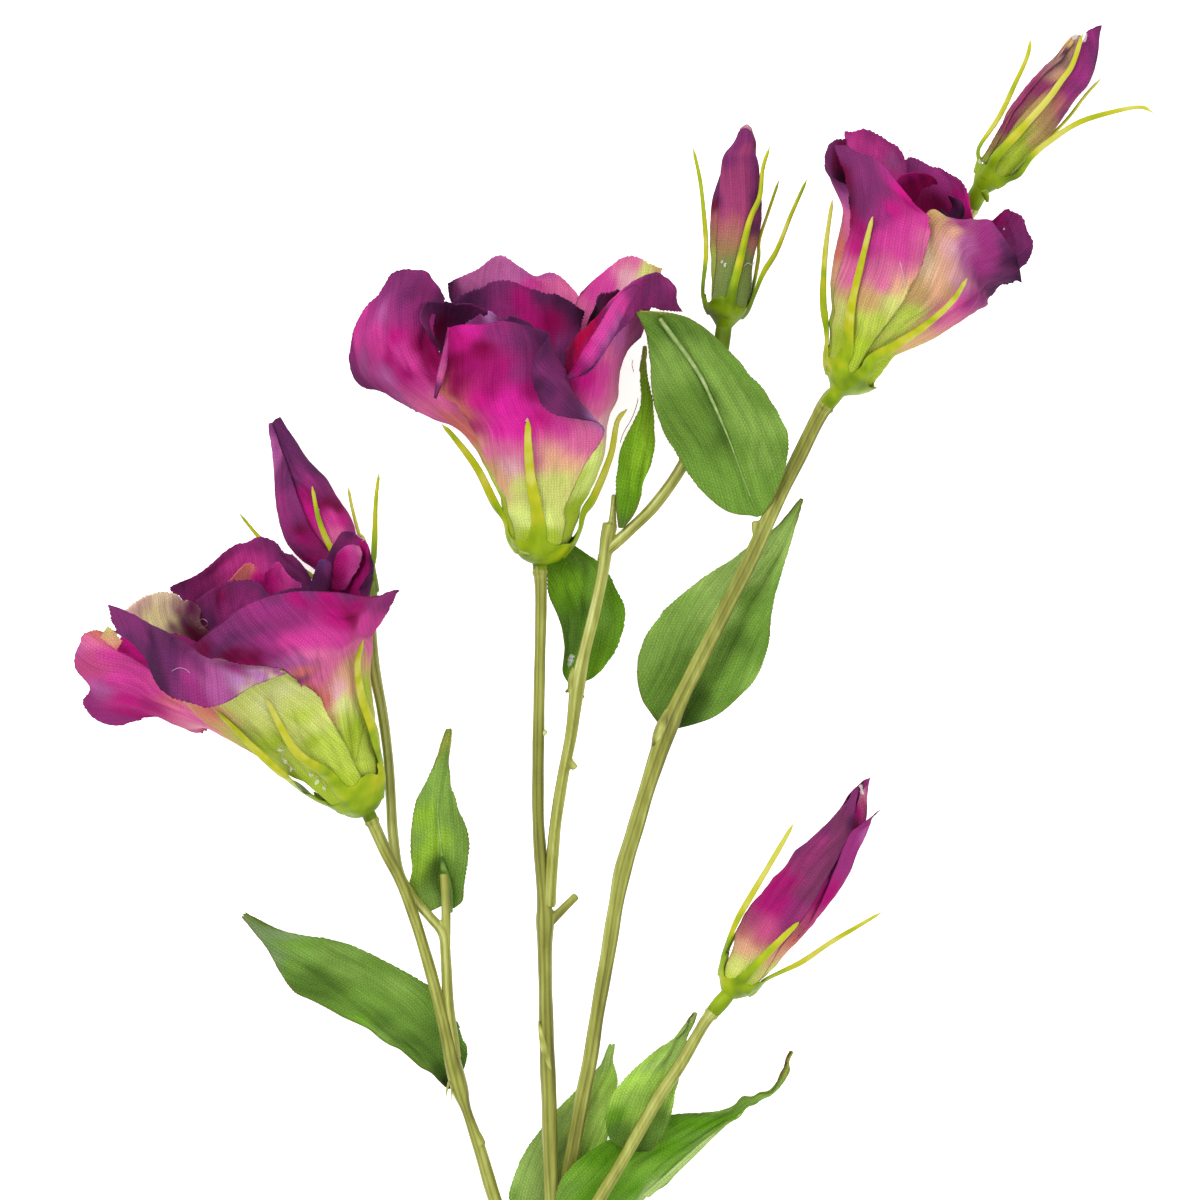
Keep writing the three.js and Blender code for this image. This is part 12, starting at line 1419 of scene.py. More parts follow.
def cloth(name, net, step=0.55, thick=0.28, saw=0.30, saw_pitch=0.9, relief=None, bite=0.0, seed=1, tone=None,
          jag_from=0.3, limit=150, trim=(), bend=None):
    """thin closed sheet through a net of points, with a cut cloth's ragged rim"""
    net = np.asarray(net, float)
    rough = surface(net, 40, 40)
    ln = np.linalg.norm(np.diff(rough, axis=0), axis=2).sum(0).mean()
    wd = np.linalg.norm(np.diff(rough, axis=1), axis=2).sum(1).max()
    nv = int(np.clip(ln / step, 16, limit))
    nu = int(np.clip(wd / step, 14, limit))
    fine = surface(net, nv * 3, nu * 3)
    if bend:
        fine = bend(fine)
    for x, y, dx, dy, reach in trim:
        k = np.exp(-((fine[..., 0] - x) ** 2 + (fine[..., 1] - y) ** 2) / reach ** 2)
        fine[..., 0] += dx * k
        fine[..., 1] += dy * k
    d, w, _, side, tip = grid_coords(fine)
    W0, D0 = w, d
    r = np.random.default_rng(seed)
    V, U = np.meshgrid(np.linspace(0, 1, nv + 1), np.linspace(0, 1, nu + 1), indexing="ij")
    # ragged rim: the outermost rows and columns are drawn in by a fraction of a millimetre
    span_u = np.maximum(w[:, -1] - w[:, 0], 0.5)[::3][:, None]
    span_v = np.maximum(d[-1], 0.5)[::3][None, :]
    def ragged(n, ln_mm):
        saw_n = max(ln_mm / saw_pitch, 3)
        ph = np.linspace(0, saw_n, n) + 0.35 * line_noise(n, 6, int(r.integers(1e6)))
        tri = 1 - np.abs((ph % 1) * 2 - 1)
        return saw * (0.85 * tri + 0.55 * (0.5 + 0.5 * line_noise(n, 3, int(r.integers(1e6)))) + 0.5 * np.clip(line_noise(n, 14, int(r.integers(1e6))), 0, 1))
    def nicks(n, ln_mm):
        """wide shallow bites in the rim"""
        a = line_noise(n, max(n * 5.0 / max(ln_mm, 5.0), 2), int(r.integers(1e6)))
        return bite * np.clip(a - 0.15, 0, 1) * 1.6
    l, rr, t = ragged(nv + 1, ln), ragged(nv + 1, ln), ragged(nu + 1, wd)
    bl, br, bt = nicks(nv + 1, ln), nicks(nv + 1, ln), nicks(nu + 1, wd)
    cut = ss(jag_from - 0.15, jag_from + 0.1, V)
    near_l = np.clip(1 - U * nu / 2.2, 0, 1)
    near_r = np.clip(1 - (1 - U) * nu / 2.2, 0, 1)
    near_t = np.clip(1 - (1 - V) * nv / 2.2, 0, 1)
    wide_l = np.clip(1 - U * nu / 6, 0, 1)
    wide_r = np.clip(1 - (1 - U) * nu / 6, 0, 1)
    wide_t = np.clip(1 - (1 - V) * nv / 6, 0, 1)
    Up = U + cut * (near_l * l[:, None] - near_r * rr[:, None] + wide_l * bl[:, None] - wide_r * br[:, None]) / span_u
    Vp = V - (near_t * t[None, :] + wide_t * bt[None, :]) / span_v
    Up = np.clip(Up, 0, 1)
    Vp = np.clip(Vp, 0, 1)
    g = bilinear(fine, Vp * nv * 3 * 0.999999, Up * nu * 3 * 0.999999)
    d, w, rim, side, tip = [bilinear(a[..., None], Vp * nv * 3 * 0.999999, Up * nu * 3 * 0.999999)[..., 0] for a in (d, w, np.minimum(side, tip), side, tip)]
    f = dict(g=g, d=d, w=w, rim=rim, side=side, tip=tip, U=U, V=V, len=ln, wid=wd, W0=W0, D0=D0)
    if relief is not None:
        n = normals(g)
        h = relief(f)
        g = g + n * h[..., None]
    n = normals(g)
    th = thick * (0.55 + 0.45 * ss(0, 0.8, rim))[..., None]
    verts = np.concatenate([(g + n * th / 2).reshape(-1, 3), (g - n * th / 2).reshape(-1, 3)])
    f["g"] = g
    tn = tone(f) if tone else {}
    attrs = {k: np.concatenate([v.reshape(g[..., 0].size, -1).squeeze()] * 2) for k, v in tn.items()}
    attrs["rim"] = np.concatenate([rim.ravel()] * 2)
    face_side = np.concatenate([np.ones(g[..., 0].size), np.zeros(g[..., 0].size)])
    attrs["front"] = face_side
    uv = np.stack([w.ravel() * 0.01 + 0.5, d.ravel() * 0.01], 1)
    uv = np.concatenate([uv, uv])
    faces = sheet_faces(nv, nu)
    return make(name, verts, faces, attrs, uv)


def tube(points, sides=20, step=0.9, shape=None, cap=True):
    """swept solid through [x, y, z, r]; returns verts, quads (caps as quads to a centre ring)"""
    q = np.asarray(points, float)
    rough = spline(q, np.linspace(0, len(q) - 1, 200))
    ln = np.linalg.norm(np.diff(rough[:, :3], axis=0), axis=1)
    cum = np.concatenate([[0], np.cumsum(ln)])
    n = max(int(cum[-1] / step), 4)
    at = np.interp(np.linspace(0, cum[-1], n + 1), cum, np.linspace(0, len(q) - 1, 200))
    p = spline(q, at)
    t = np.gradient(p[:, :3], axis=0)
    t /= np.linalg.norm(t, axis=1, keepdims=True)
    up = np.array([0.0, 0, 1])
    s = np.cross(t, up)
    s /= np.linalg.norm(s, axis=1, keepdims=True)
    w = np.cross(s, t)
    a = np.linspace(0, 2 * math.pi, sides, endpoint=False)
    r = p[:, 3:4] * np.ones((1, sides))
    dist = np.linspace(0, cum[-1], n + 1)[:, None] * np.ones((1, sides))
    if shape is not None:
        r = r + shape(dist, a[None, :] * np.ones((n + 1, 1)), p)
    ring = p[:, None, :3] + s[:, None] * (r * np.cos(a))[..., None] + w[:, None] * (r * np.sin(a))[..., None]
    # rounded ends: two smaller rings beyond each end
    def ends(c, tt, rg, sign):
        out = []
        for k, (sc, off) in enumerate(((0.8, 0.16), (0.4, 0.28), (0.05, 0.32))):
            out.append(c + (rg - c) * sc + tt * sign * off * min(1.0, np.linalg.norm(rg[0] - c)))
        return out
    a0 = ends(p[0, :3], t[0], ring[0], -1)[::-1]
    a1 = ends(p[-1, :3], t[-1], ring[-1], 1)
    rings = np.array(list(a0) + list(ring) + list(a1)) if cap else ring
    m = len(rings)
    verts = rings.reshape(-1, 3)
    i, j = np.meshgrid(np.arange(m - 1), np.arange(sides), indexing="ij")
    A = (i * sides + j).ravel()
    B = (i * sides + (j + 1) % sides).ravel()
    faces = np.stack([A, B, B + sides, A + sides], 1)
    # close the two tiny end holes with quads to a centre point pair
    faces = faces.tolist()
    h = sides // 2
    for base, flip in ((0, True), ((m - 1) * sides, False)):
        for k in range(1, h):
            quad = [base + k - 1, base + k, base + (sides - k) % sides - 0, base + (sides - k + 1) % sides]
            if k == h:
                break
            faces.append(quad[::-1] if flip else quad)
        k = h
        quad = [base + k - 1, base + k, base + (sides - k), base + (sides - k + 1) % sides]
    dd = np.concatenate([np.repeat(dist[0, 0], 3 * sides), dist.ravel(), np.repeat(dist[-1, 0], 3 * sides)])
    aa = np.tile(a, m)
    return verts, faces, dd, aa


def join(parts):
    vs, fs, n = [], [], 0
    for v, f in parts:
        vs.append(np.asarray(v, float))
        fs += [[i + n for i in q] for q in f]
        n += len(v)
    return np.concatenate(vs), fs


def fused(name, parts, voxel, smooth=2):
    """parts merged into one body with soft joints"""
    v, f = join(parts)
    me = bpy.data.meshes.new(name)
    me.from_pydata([tuple(x * MM) for x in v], [], f)
    me.validate()
    o = bpy.data.objects.new(name, me)
    bpy.context.scene.collection.objects.link(o)
    bpy.context.view_layer.objects.active = o
    m = o.modifiers.new("fuse", "REMESH")
    m.mode = "VOXEL"
    m.voxel_size = voxel * MM
    m.use_smooth_shade = True
    s = o.modifiers.new("soft", "SMOOTH")
    s.factor = 0.5
    s.iterations = smooth
    dg = bpy.context.evaluated_depsgraph_get()
    new = bpy.data.meshes.new_from_object(o.evaluated_get(dg))
    o.modifiers.clear()
    o.data = new
    new.name = name
    new.polygons.foreach_set("use_smooth", np.ones(len(new.polygons), bool))
    return o


def coords(o):
    v = np.empty(len(o.data.vertices) * 3, np.float32)
    o.data.vertices.foreach_get("co", v)
    return v.reshape(-1, 3).astype(float) / MM


def put(o, **attrs):
    for key, val in attrs.items():
        a = o.data.attributes.new(key, "FLOAT", "POINT")
        a.data.foreach_set("value", np.asarray(val, np.float32).ravel())


def done(o, material, slot, *nodes):
    v = coords(o)
    if v[:, 2].min() < 0.05:
        v[:, 2] = np.maximum(v[:, 2], 0.05)
        o.data.vertices.foreach_set("co", (v * MM).astype(np.float32).ravel())
        o.data.update()
    o.data.materials.clear()
    o.data.materials.append(material)
    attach(o, "root")
    if nodes:
        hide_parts(*nodes)
    return o


# ------------------------------------------------------------------ materials
class Nodes:
    def __init__(self, name):
        self.m = bpy.data.materials.new(name)
        self.m.use_nodes = True
        self.t = self.m.node_tree
        self.b = self.t.nodes["Principled BSDF"]

    def new(self, kind, **props):
        n = self.t.nodes.new(kind)
        for k, v in props.items():
            setattr(n, k, v)
        return n

    def link(self, a, b):
        self.t.links.new(a, b)

    def attr(self, name):
        return self.new("ShaderNodeAttribute", attribute_name=name).outputs["Fac"]

    def math(self, op, a, b=None, c=None, clamp=False):
        n = self.new("ShaderNodeMath", operation=op, use_clamp=clamp)
        for k, v in enumerate((a, b, c)):
            if v is None:
                continue
            if isinstance(v, (int, float)):
                n.inputs[k].default_value = v
            else:
                self.link(v, n.inputs[k])
        return n.outputs[0]

    def noise(self, vec, scale, detail=3.0, rough=0.55, dim="3D"):
        n = self.new("ShaderNodeTexNoise", noise_dimensions=dim)
        n.inputs["Scale"].default_value = scale
        n.inputs["Detail"].default_value = detail
        n.inputs["Roughness"].default_value = rough
        if vec is not None:
            self.link(vec, n.inputs["Vector"])
        return n.outputs[0]

    def ramp(self, fac, stops, interp="LINEAR"):
        n = self.new("ShaderNodeValToRGB")
        n.color_ramp.interpolation = interp
        e = n.color_ramp.elements
        while len(e) > 1:
            e.remove(e[-1])
        for k, (pos, col) in enumerate(stops):
            el = e[0] if k == 0 else e.new(pos)
            el.position = pos
            el.color = col if len(col) == 4 else (*col, 1)
        self.link(fac, n.inputs[0])
        return n.outputs[0]

    def mix(self, fac, a, b, blend="MIX"):
        n = self.new("ShaderNodeMix", data_type="RGBA", blend_type=blend)
        for k, v in ((0, fac), (6, a), (7, b)):
            if isinstance(v, (int, float)):
                n.inputs[k].default_value = v
            elif isinstance(v, tuple):
                n.inputs[k].default_value = v if len(v) == 4 else (*v, 1)
            else:
                self.link(v, n.inputs[k])
        return n.outputs[2]

    def mapped(self, vec, scale=(1, 1, 1), rot=(0, 0, 0)):
        n = self.new("ShaderNodeMapping")
        n.inputs["Scale"].default_value = scale
        n.inputs["Rotation"].default_value = rot
        self.link(vec, n.inputs["Vector"])
        return n.outputs[0]


def srgb(r, g, b, k=1.0):
    f = lambda c: ((c / 255) / 12.92 if c / 255 <= 0.04045 else ((c / 255 + 0.055) / 1.055) ** 2.4) * k
    return (f(r), f(g), f(b))


LIGHT = 1.5   # how much brighter than its own colour a lit surface comes out


def c(r, g, b):
    return srgb(r, g, b, 1 / LIGHT)


def weave(N, pitch, depth, streak):
    """plain weave over the piece's own cloth coordinates (UV, 100 mm to a unit)"""
    uv = N.new("ShaderNodeTexCoord").outputs["UV"]
    sep = N.new("ShaderNodeSeparateXYZ")
    # threads wander a little
    wob = N.noise(N.mapped(uv, (1, 1, 1)), 26, 2, 0.5)
    N.link(uv, sep.inputs[0])
    k = 2 * math.pi * 100 / pitch
    wx = N.math("ADD", N.math("MULTIPLY", sep.outputs[0], k), N.math("MULTIPLY", wob, 5.0))
    wy = N.math("ADD", N.math("MULTIPLY", sep.outputs[1], k * 0.93), N.math("MULTIPLY", wob, 5.0))
    sx = N.math("SINE", wx)
    sy = N.math("SINE", wy)
    height = N.math("ADD", N.math("MULTIPLY", N.math("MULTIPLY", sx, sy), 0.5), N.math("MULTIPLY", sx, 0.32))
    height = N.math("ADD", height, N.math("MULTIPLY", sy, 0.18))
    # thread streaks along and across
    s1 = N.noise(N.mapped(uv, (230, 5, 1)), 1, 3, 0.7)
    s2 = N.noise(N.mapped(uv, (9, 260, 1)), 1, 3, 0.7)
    grain = N.noise(N.mapped(uv, (280, 280, 1)), 1, 3, 0.85)
    both = N.math("ADD", N.math("MULTIPLY", s1, 0.9), N.math("MULTIPLY", s2, 0.35))
    both = N.math("ADD", both, N.math("MULTIPLY", grain, 2.4))
    streaks = N.math("MULTIPLY", N.math("SUBTRACT", both, 1.825), streak)
    val = N.math("ADD", N.math("ADD", N.math("MULTIPLY", height, depth), streaks), 1.0)
    return height, streaks, val, uv


DYES_AND_SHADING = {k: c(*v) for k, v in DYE_AND_SHADING.items()}


def cloth_material(name, pitch, streak, depth, blotch, rough, edge_dye, edge_width, edge_gain, edge_by=None):
    N = Nodes(name)
    h, st, val, uv = weave(N, pitch, depth, streak)
    obj = N.new("ShaderNodeTexCoord").outputs["Object"]
    mott = N.noise(obj, 95, 4, 0.6)
    blot = N.noise(obj, 30, 3, 0.5)
    col = N.new("ShaderNodeAttribute", attribute_name="dye").outputs["Color"]
    bright = N.math("ADD", val, N.math("ADD", N.math("MULTIPLY", N.math("SUBTRACT", mott, 0.5), 0.20), N.math("MULTIPLY", N.math("SUBTRACT", blot, 0.5), blotch)))
    g = N.new("ShaderNodeCombineColor")
    for k in range(3):
        N.link(bright, g.inputs[k])
    col = N.mix(1.0, col, g.outputs[0], "MULTIPLY")
    rim = N.attr("rim")
    edge = N.math("SUBTRACT", 1.0, N.math("DIVIDE", rim, edge_width), clamp=True)
    ragged = N.noise(obj, 180, 2, 0.5)
    edge = N.math("MULTIPLY", edge, N.math("MULTIPLY", ragged, edge_gain * 1.8, clamp=True))
    if edge_by:
        edge = N.math("MULTIPLY", edge, N.attr(edge_by))
    col = N.mix(edge, col, edge_dye)
    N.link(col, N.b.inputs["Base Color"])
    N.b.inputs["Roughness"].default_value = rough
    N.b.inputs["Specular IOR Level"].default_value = 0.04
    bump = N.new("ShaderNodeBump")
    bump.inputs["Strength"].default_value = 0.55
    bump.inputs["Distance"].default_value = 0.00012
    hh = N.math("ADD", h, N.math("MULTIPLY", mott, 2.0))
    hh = N.math("ADD", hh, N.math("MULTIPLY", st, 2.5))
    N.link(hh, bump.inputs["Height"])
    N.link(bump.outputs[0], N.b.inputs["Normal"])
    return N.m


def plastic_material(name, stops, scale=60, rough=0.42, streaky=0.5, spec=0.25):
    N = Nodes(name)
    obj = N.new("ShaderNodeTexCoord").outputs["Object"]
    n1 = N.noise(obj, scale, 4, 0.6)
    n2 = N.noise(N.mapped(obj, (420, 36, 420)), 1, 3, 0.6)
    t = N.math("ADD", N.attr("tone"), N.math("MULTIPLY", N.math("SUBTRACT", n1, 0.5), 0.26))
    t = N.math("ADD", t, N.math("MULTIPLY", N.math("SUBTRACT", n2, 0.5), streaky), clamp=True)
    col = N.ramp(t, stops)
    N.link(col, N.b.inputs["Base Color"])
    r = N.math("ADD", N.math("MULTIPLY", n1, 0.22), rough - 0.11)
    N.link(r, N.b.inputs["Roughness"])
    N.b.inputs["Specular IOR Level"].default_value = spec
    N.b.inputs["Subsurface Weight"].default_value = 0.0
    bump = N.new("ShaderNodeBump")
    bump.inputs["Strength"].default_value = 0.5
    bump.inputs["Distance"].default_value = 0.00015
    n3 = N.noise(obj, 700, 3, 0.55)
    N.link(N.math("ADD", N.math("MULTIPLY", n3, 0.6), N.math("MULTIPLY", n2, 1.2)), bump.inputs["Height"])
    N.link(bump.outputs[0], N.b.inputs["Normal"])
    return N.m


M_PETAL = cloth_material("petal_cloth", 0.74, 0.60, 0.26, 0.16, 0.9, c(52, 20, 44), 0.6, 0.75)
M_BUD = cloth_material("bud_cloth", 0.68, 0.58, 0.24, 0.14, 0.9, c(50, 20, 40), 0.5, 0.7)
M_LEAF = cloth_material("leaf_cloth", 0.80, 0.80, 0.27, 0.12, 0.85, c(120, 72, 56), 0.75, 0.9, "brown")
M_STEM = plastic_material("stem_plastic", [(0.0, c(88, 86, 22)), (0.3, c(128, 130, 44)), (0.55, c(160, 164, 74)), (0.8, c(190, 194, 112)), (1.0, c(220, 222, 160))], streaky=0.7)
M_CALYX = plastic_material("calyx_plastic", [(0.0, c(78, 98, 0)), (0.3, c(112, 140, 2)), (0.55, c(146, 172, 12)), (0.8, c(188, 188, 26)), (1.0, c(206, 204, 88))], streaky=0.3, rough=0.4, spec=0.12)


def glue_material():
    N = Nodes("clear_glue")
    obj = N.new("ShaderNodeTexCoord").outputs["Object"]
    N.b.inputs["Base Color"].default_value = (0.72, 0.70, 0.68, 1)
    N.b.inputs["Roughness"].default_value = 0.18
    N.b.inputs["Alpha"].default_value = 0.24
    bump = N.new("ShaderNodeBump")
    bump.inputs["Strength"].default_value = 0.5
    bump.inputs["Distance"].default_value = 0.0002
    N.link(N.noise(obj, 900, 3, 0.6), bump.inputs["Height"])
    N.link(bump.outputs[0], N.b.inputs["Normal"])
    return N.m


M_GLUE = glue_material()

# ------------------------------------------------------------------ dyes
def plane(f, u, v):
    """cloth coordinates (mm across, mm along) of a place given as shares of the width and length"""
    nv, nu = f["W0"].shape[0] - 1, f["W0"].shape[1] - 1
    q = np.stack([f["W0"], f["D0"]], -1)
    return bilinear(q, np.asarray(v, float) * nv * 0.999999, np.asarray(u, float) * nu * 0.999999)


def dyed_and_shaded(name, f, ground, reach=11.0, blur=4):
    """colour of every point, painted shade and painted light included: the ground colour, pulled towards the marked
    places near it
    """
    pts = np.stack([f["w"], f["d"]], -1)
    base = ground(f)
    col = base / (reach ** 2) ** 1.9
    tot = np.full(f["d"].shape, 1 / (reach ** 2) ** 1.9)
    ms = MARKS.get(name, ())
    if ms:
        at = plane(f, [q[0] for q in ms], [q[1] for q in ms])
        for k, q in enumerate(ms):
            r2 = ((pts - at[k]) ** 2).sum(-1) + 1.2
            w = 1 / r2 ** 1.9
            col = col + w[..., None] * np.array(DYES_AND_SHADING[q[2]])
            tot = tot + w
    col = col / tot[..., None]
    for _ in range(blur):
        p = np.pad(col, ((1, 1), (1, 1), (0, 0)), "edge")
        col = (p[1:-1, 1:-1] * 2 + p[:-2, 1:-1] + p[2:, 1:-1] + p[1:-1, :-2] + p[1:-1, 2:]) / 6
    return col


def folds(name, f):
    """pressed creases along their lines"""
    h = np.zeros_like(f["d"])
    pts = np.stack([f["w"], f["d"]], -1)
    for line, wid, high in CREASE.get(name, ()):
        q = plane(f, [p[0] for p in line], [p[1] for p in line])
        s = np.linspace(0, len(q) - 1, 60)
        c = spline(q, s)
        best = np.full(h.shape, 1e9)
        where = np.zeros_like(h)
        for k in range(len(c)):
            r = ((pts - c[k]) ** 2).sum(-1)
            m = r < best
            best = np.where(m, r, best)
            where = np.where(m, k / (len(c) - 1), where)
        h += high * np.exp(-best / wid ** 2) * np.clip(np.sin(math.pi * np.clip(where, 0.02, 0.98)) * 1.6, 0, 1)
    return h


def ground_of(stops):
    xs = [p[0] for p in stops]
    cs = np.array([DYES_AND_SHADING[p[1]] for p in stops])
    return lambda f: np.stack([np.interp(f["d"], xs, cs[:, k]) for k in range(3)], -1)


PETAL_GROUND = ground_of([(0, "lime"), (14, "ligr"), (22, "yg"), (28, "cr"), (34, "pk"), (42, "magn"), (54, "vmag"), (66, "pu"), (82, "dp")])
INNER_GROUND = ground_of([(0, "lime"), (16, "yg"), (24, "cr"), (30, "pk"), (38, "magn"), (48, "dmag"), (58, "pu"), (70, "dp")])
BUD_GROUND = ground_of([(0, "lime"), (8, "ol"), (13, "cr"), (18, "salm"), (25, "hopi"), (33, "vmag"), (44, "pu")])
LEAF_GROUND = ground_of([(0, "g3"), (60, "g3")])


def petal_relief(name, f):
    seed = sum(ord(ch) * (k + 3) for k, ch in enumerate(name)) % 9973
    P = RELIEF.get(name, {})
    r = np.random.default_rng(seed)
    g, d, U, V, rim = f["g"], f["d"], f["U"], f["V"], f["rim"]
    bud = name.startswith("bud")
    grow = ss(6, 22, d)
    h = np.zeros_like(d)
    # lengthwise creases pressed in the cloth
    for k in range(9 if not bud else 5):
        u0 = (k + 0.5 + r.uniform(-0.3, 0.3)) / (9 if not bud else 5)
        wig = 0.025 * np.sin(d / r.uniform(9, 16) + r.uniform(0, 6))
        wid = r.uniform(0.012, 0.022)
        h += r.uniform(-1, 0.6) * 0.16 * np.exp(-((U - u0 - wig) / wid) ** 2) * grow * (1 - 0.5 * ss(0.75, 1, V))
    # broad soft waves, stronger towards the rim
    amp = P.get("wave", 0.30 if not bud else 0.12)
    h += amp * waves(g, 17, seed + 1) * ss(8, 40, d)
    h += amp * 0.55 * waves(g, 7, seed + 2) * ss(5, 0, rim) * ss(20, 40, d)
    h += 0.05 * waves(g, 3.2, seed + 3, 20)
    h += folds(name, f)
    f["fold"] = folds(name, f)
    return h


def petal_tone(name, f):
    seed = sum(ord(ch) * (k + 3) for k, ch in enumerate(name)) % 9973
    g, d, rim = f["g"], f["d"], f["rim"]
    ground = BUD_GROUND if name.startswith("bud") else INNER_GROUND if "inner" in name else PETAL_GROUND
    col = dyed_and_shaded(name, f, ground)
    # colour runs up the petal in fingers; painted shade darkens the creases and painted light brightens the raised
    # folds
    k = 1 + 0.05 * waves(g, 12, seed + 5) + 0.07 * waves(np.stack([f["w"], d * 0.07], -1), 1.5, seed + 6, 30) * ss(10, 24, d)
    k = k * (1 + 0.35 * np.clip(f["fold"], -0.5, 0.3))
    return dict(dye=col * np.clip(k, 0.4, 1.5)[..., None])


class Cup:
    """axis of a head, and how far its petals reach from that axis by height and angle"""
    def __init__(self, key, head):
        self.a = np.array(head["axis"], float)
        self.b = np.array(head["base"], float)
        self.x = np.cross(self.a, [0, 0, 1.0])
        self.x /= np.linalg.norm(self.x)
        self.a = self.a + self.x * LEAN.get(key, 0)
        self.a /= np.linalg.norm(self.a)
        self.x = np.cross(self.a, [0, 0, 1.0])
        self.x /= np.linalg.norm(self.x)
        self.y = np.cross(self.a, self.x)
        self.key = key
        self.bowl = np.array(BOWL[key])
        self.gap, self.drop, self.shift = FEET[key]
        self.held = False
        self.NA, self.hs = 48, np.arange(-1, 26, 0.5)
        self.gain = np.ones(len(self.hs))
        natural = self.measure().mean(1)
        want = np.interp(self.hs, self.bowl[:, 0], self.bowl[:, 1]) - self.gap
        gain = np.clip(want / np.maximum(natural, 0.3), 0.75, 1.8)
        gain = 1 + (gain - 1) * ss(18, 11, self.hs)
        self.gain = np.convolve(np.pad(gain, 2, "edge"), np.ones(5) / 5, "valid")
        self.held = True
        self.rad = self.measure()

    def measure(self):
        """reach of the petals by height and angle"""
        NA, hs = self.NA, self.hs
        rad = np.zeros((len(hs), NA))
        for name, net in PETAL.items():
            if name.startswith(self.key + "_"):
                h, t, r = self.polar(self.bend(surface(net, 150, 150)).reshape(-1, 3))
                m = (h > -1) & (h < 25)
                np.maximum.at(rad, (np.round((h[m] + 1) / 0.5).astype(int), np.round((t[m] % (2 * math.pi)) / (2 * math.pi) * NA).astype(int) % NA), r[m])
        full = (rad > 0).mean(1)
        k0 = int(np.argmax(full > 0.6))
        for i in range(len(hs)):
            if full[i] > 0:
                j = np.nonzero(rad[i])[0]
                rad[i] = np.interp(np.arange(NA), np.concatenate([j - NA, j, j + NA]), np.tile(rad[i, j], 3))
        for i in range(k0):
            rad[i] = rad[k0] * max((hs[i] + 1) / (hs[k0] + 1), 0) ** 0.55
        for i in range(k0, len(hs)):
            if full[i] == 0:
                rad[i] = rad[i - 1]
        for _ in range(4):
            rad = (np.roll(rad, 1, 1) + rad * 2 + np.roll(rad, -1, 1)) / 4
        p = np.pad(rad, ((1, 1), (0, 0)), "edge")
        return (p[:-2] + 2 * p[1:-1] + p[2:]) / 4

    def polar(self, p):
        d = p - self.b
        return d @ self.a, np.arctan2(d @ self.y, d @ self.x), np.hypot(d @ self.x, d @ self.y)

    def at(self, h, t, r):
        return self.b + np.outer(h, self.a) + np.outer(r * np.cos(t), self.x) + np.outer(r * np.sin(t), self.y)

    def wall(self, h, t):
        g = np.concatenate([self.rad, self.rad[:, :1]], 1)[..., None]
        return bilinear(g, np.clip((h + 1) / 0.5, 0, len(self.rad) - 1.01), (t % (2 * math.pi)) / (2 * math.pi) * self.NA * 0.99999)[..., 0]

    def out(self, h, t):
        """outer face of the bowl"""
        return np.maximum(self.wall(h, t) + 0.5, np.interp(h, self.bowl[:, 0], self.bowl[:, 1]))

    def bend(self, g):
        """spreads the feet of the petals to fill the bowl, and sets them down in it"""
        d = g - self.b
        h = d @ self.a
        foot = self.b + h[..., None] * self.a
        side = g - foot + self.x * self.shift * ss(18, 5, h)[..., None]
        reach = np.maximum(np.linalg.norm(side, axis=-1), 1e-6)
        want = reach * np.interp(h, self.hs, self.gain)
        if self.held:
            # the bowl holds the feet together
            room = np.interp(h, self.bowl[:, 0], self.bowl[:, 1]) - self.gap + 0.15
            want = want - 0.85 * np.maximum(want - room, 0) * ss(13, 5, h)
        return foot + side * (want / reach)[..., None] - self.a * self.drop * ss(10, 2, h)[..., None]


CUP = {key: Cup(key, head) for key, head in HEAD.items()}

for name, net in PETAL.items():
    bud = name.startswith("bud")
    hidden = "inner" in name
    o = cloth(name + "_cloth", net, step=0.62 if not bud else 0.5, thick=0.30, saw=0.60 if not bud else 0.22, saw_pitch=1.5 if not bud else 0.9, bite=0.9 if not bud else 0.15, seed=len(name) * 7 + 1,
              relief=lambda f, n=name: petal_relief(n, f), tone=lambda f, n=name: petal_tone(n, f), jag_from=0.45, trim=TRIM.get(name, ()),
              bend=CUP[name.split("_petal")[0]].bend)
    done(o, M_BUD if bud else M_PETAL, "bud_fabric" if bud else "petal_fabric", name)


# ------------------------------------------------------------------ leaves
def leaf_relief(name, f):
    d, w, rim, g, ln = f["d"], f["w"], f["rim"], f["g"], f["len"]
    seed = sum(map(ord, name))
    h = folds(name, f)
    f["fold"] = h.copy()
    # faint side veins at an angle to the midrib
    sp = 4.8
    ph = (d - 1.1 * np.abs(w) - 0.02 * w * w + 0.8 * waves(g, 20, seed + 3)) / sp + np.where(w > 0, 0.45, 0)
    fr = np.abs((ph + 0.5) % 1 - 0.5) * sp
    vein = np.exp(-(fr / 0.45) ** 2) * ss(0.3, 2.5, rim) * ss(0.8, 2.2, np.abs(w)) * ss(4, 12, d) * ss(2, 12, ln - d)
    h += -0.10 * vein
    f["vein"] = vein
    h += 0.26 * waves(g, 16, seed) + 0.09 * waves(g, 5, seed + 1)
    h += 0.22 * waves(g, 9, seed + 2) * ss(3, 0, rim)
    return h


def leaf_tone(name, f):
    d, w, rim, g = f["d"], f["w"], f["rim"], f["g"]
    seed = sum(map(ord, name))
    col = dyed_and_shaded(name, f, LEAF_GROUND, blur=10)
    # painted shade darkens the creases and vein grooves, painted light brightens the raised folds
    k = 1 + 0.08 * waves(g, 14, seed + 7) + 0.07 * waves(np.stack([f["w"], d * 0.09], -1), 2.2, seed + 8, 30) - 0.06 * f["vein"] + 0.42 * np.clip(f["fold"], -0.6, 0.4)
    brown = LEAF_BROWN.get(name, 0.5) * np.clip(0.6 + 0.5 * waves(g, 9, seed + 9), 0, 1)
    return dict(dye=col * np.clip(k, 0.4, 1.5)[..., None], brown=brown)


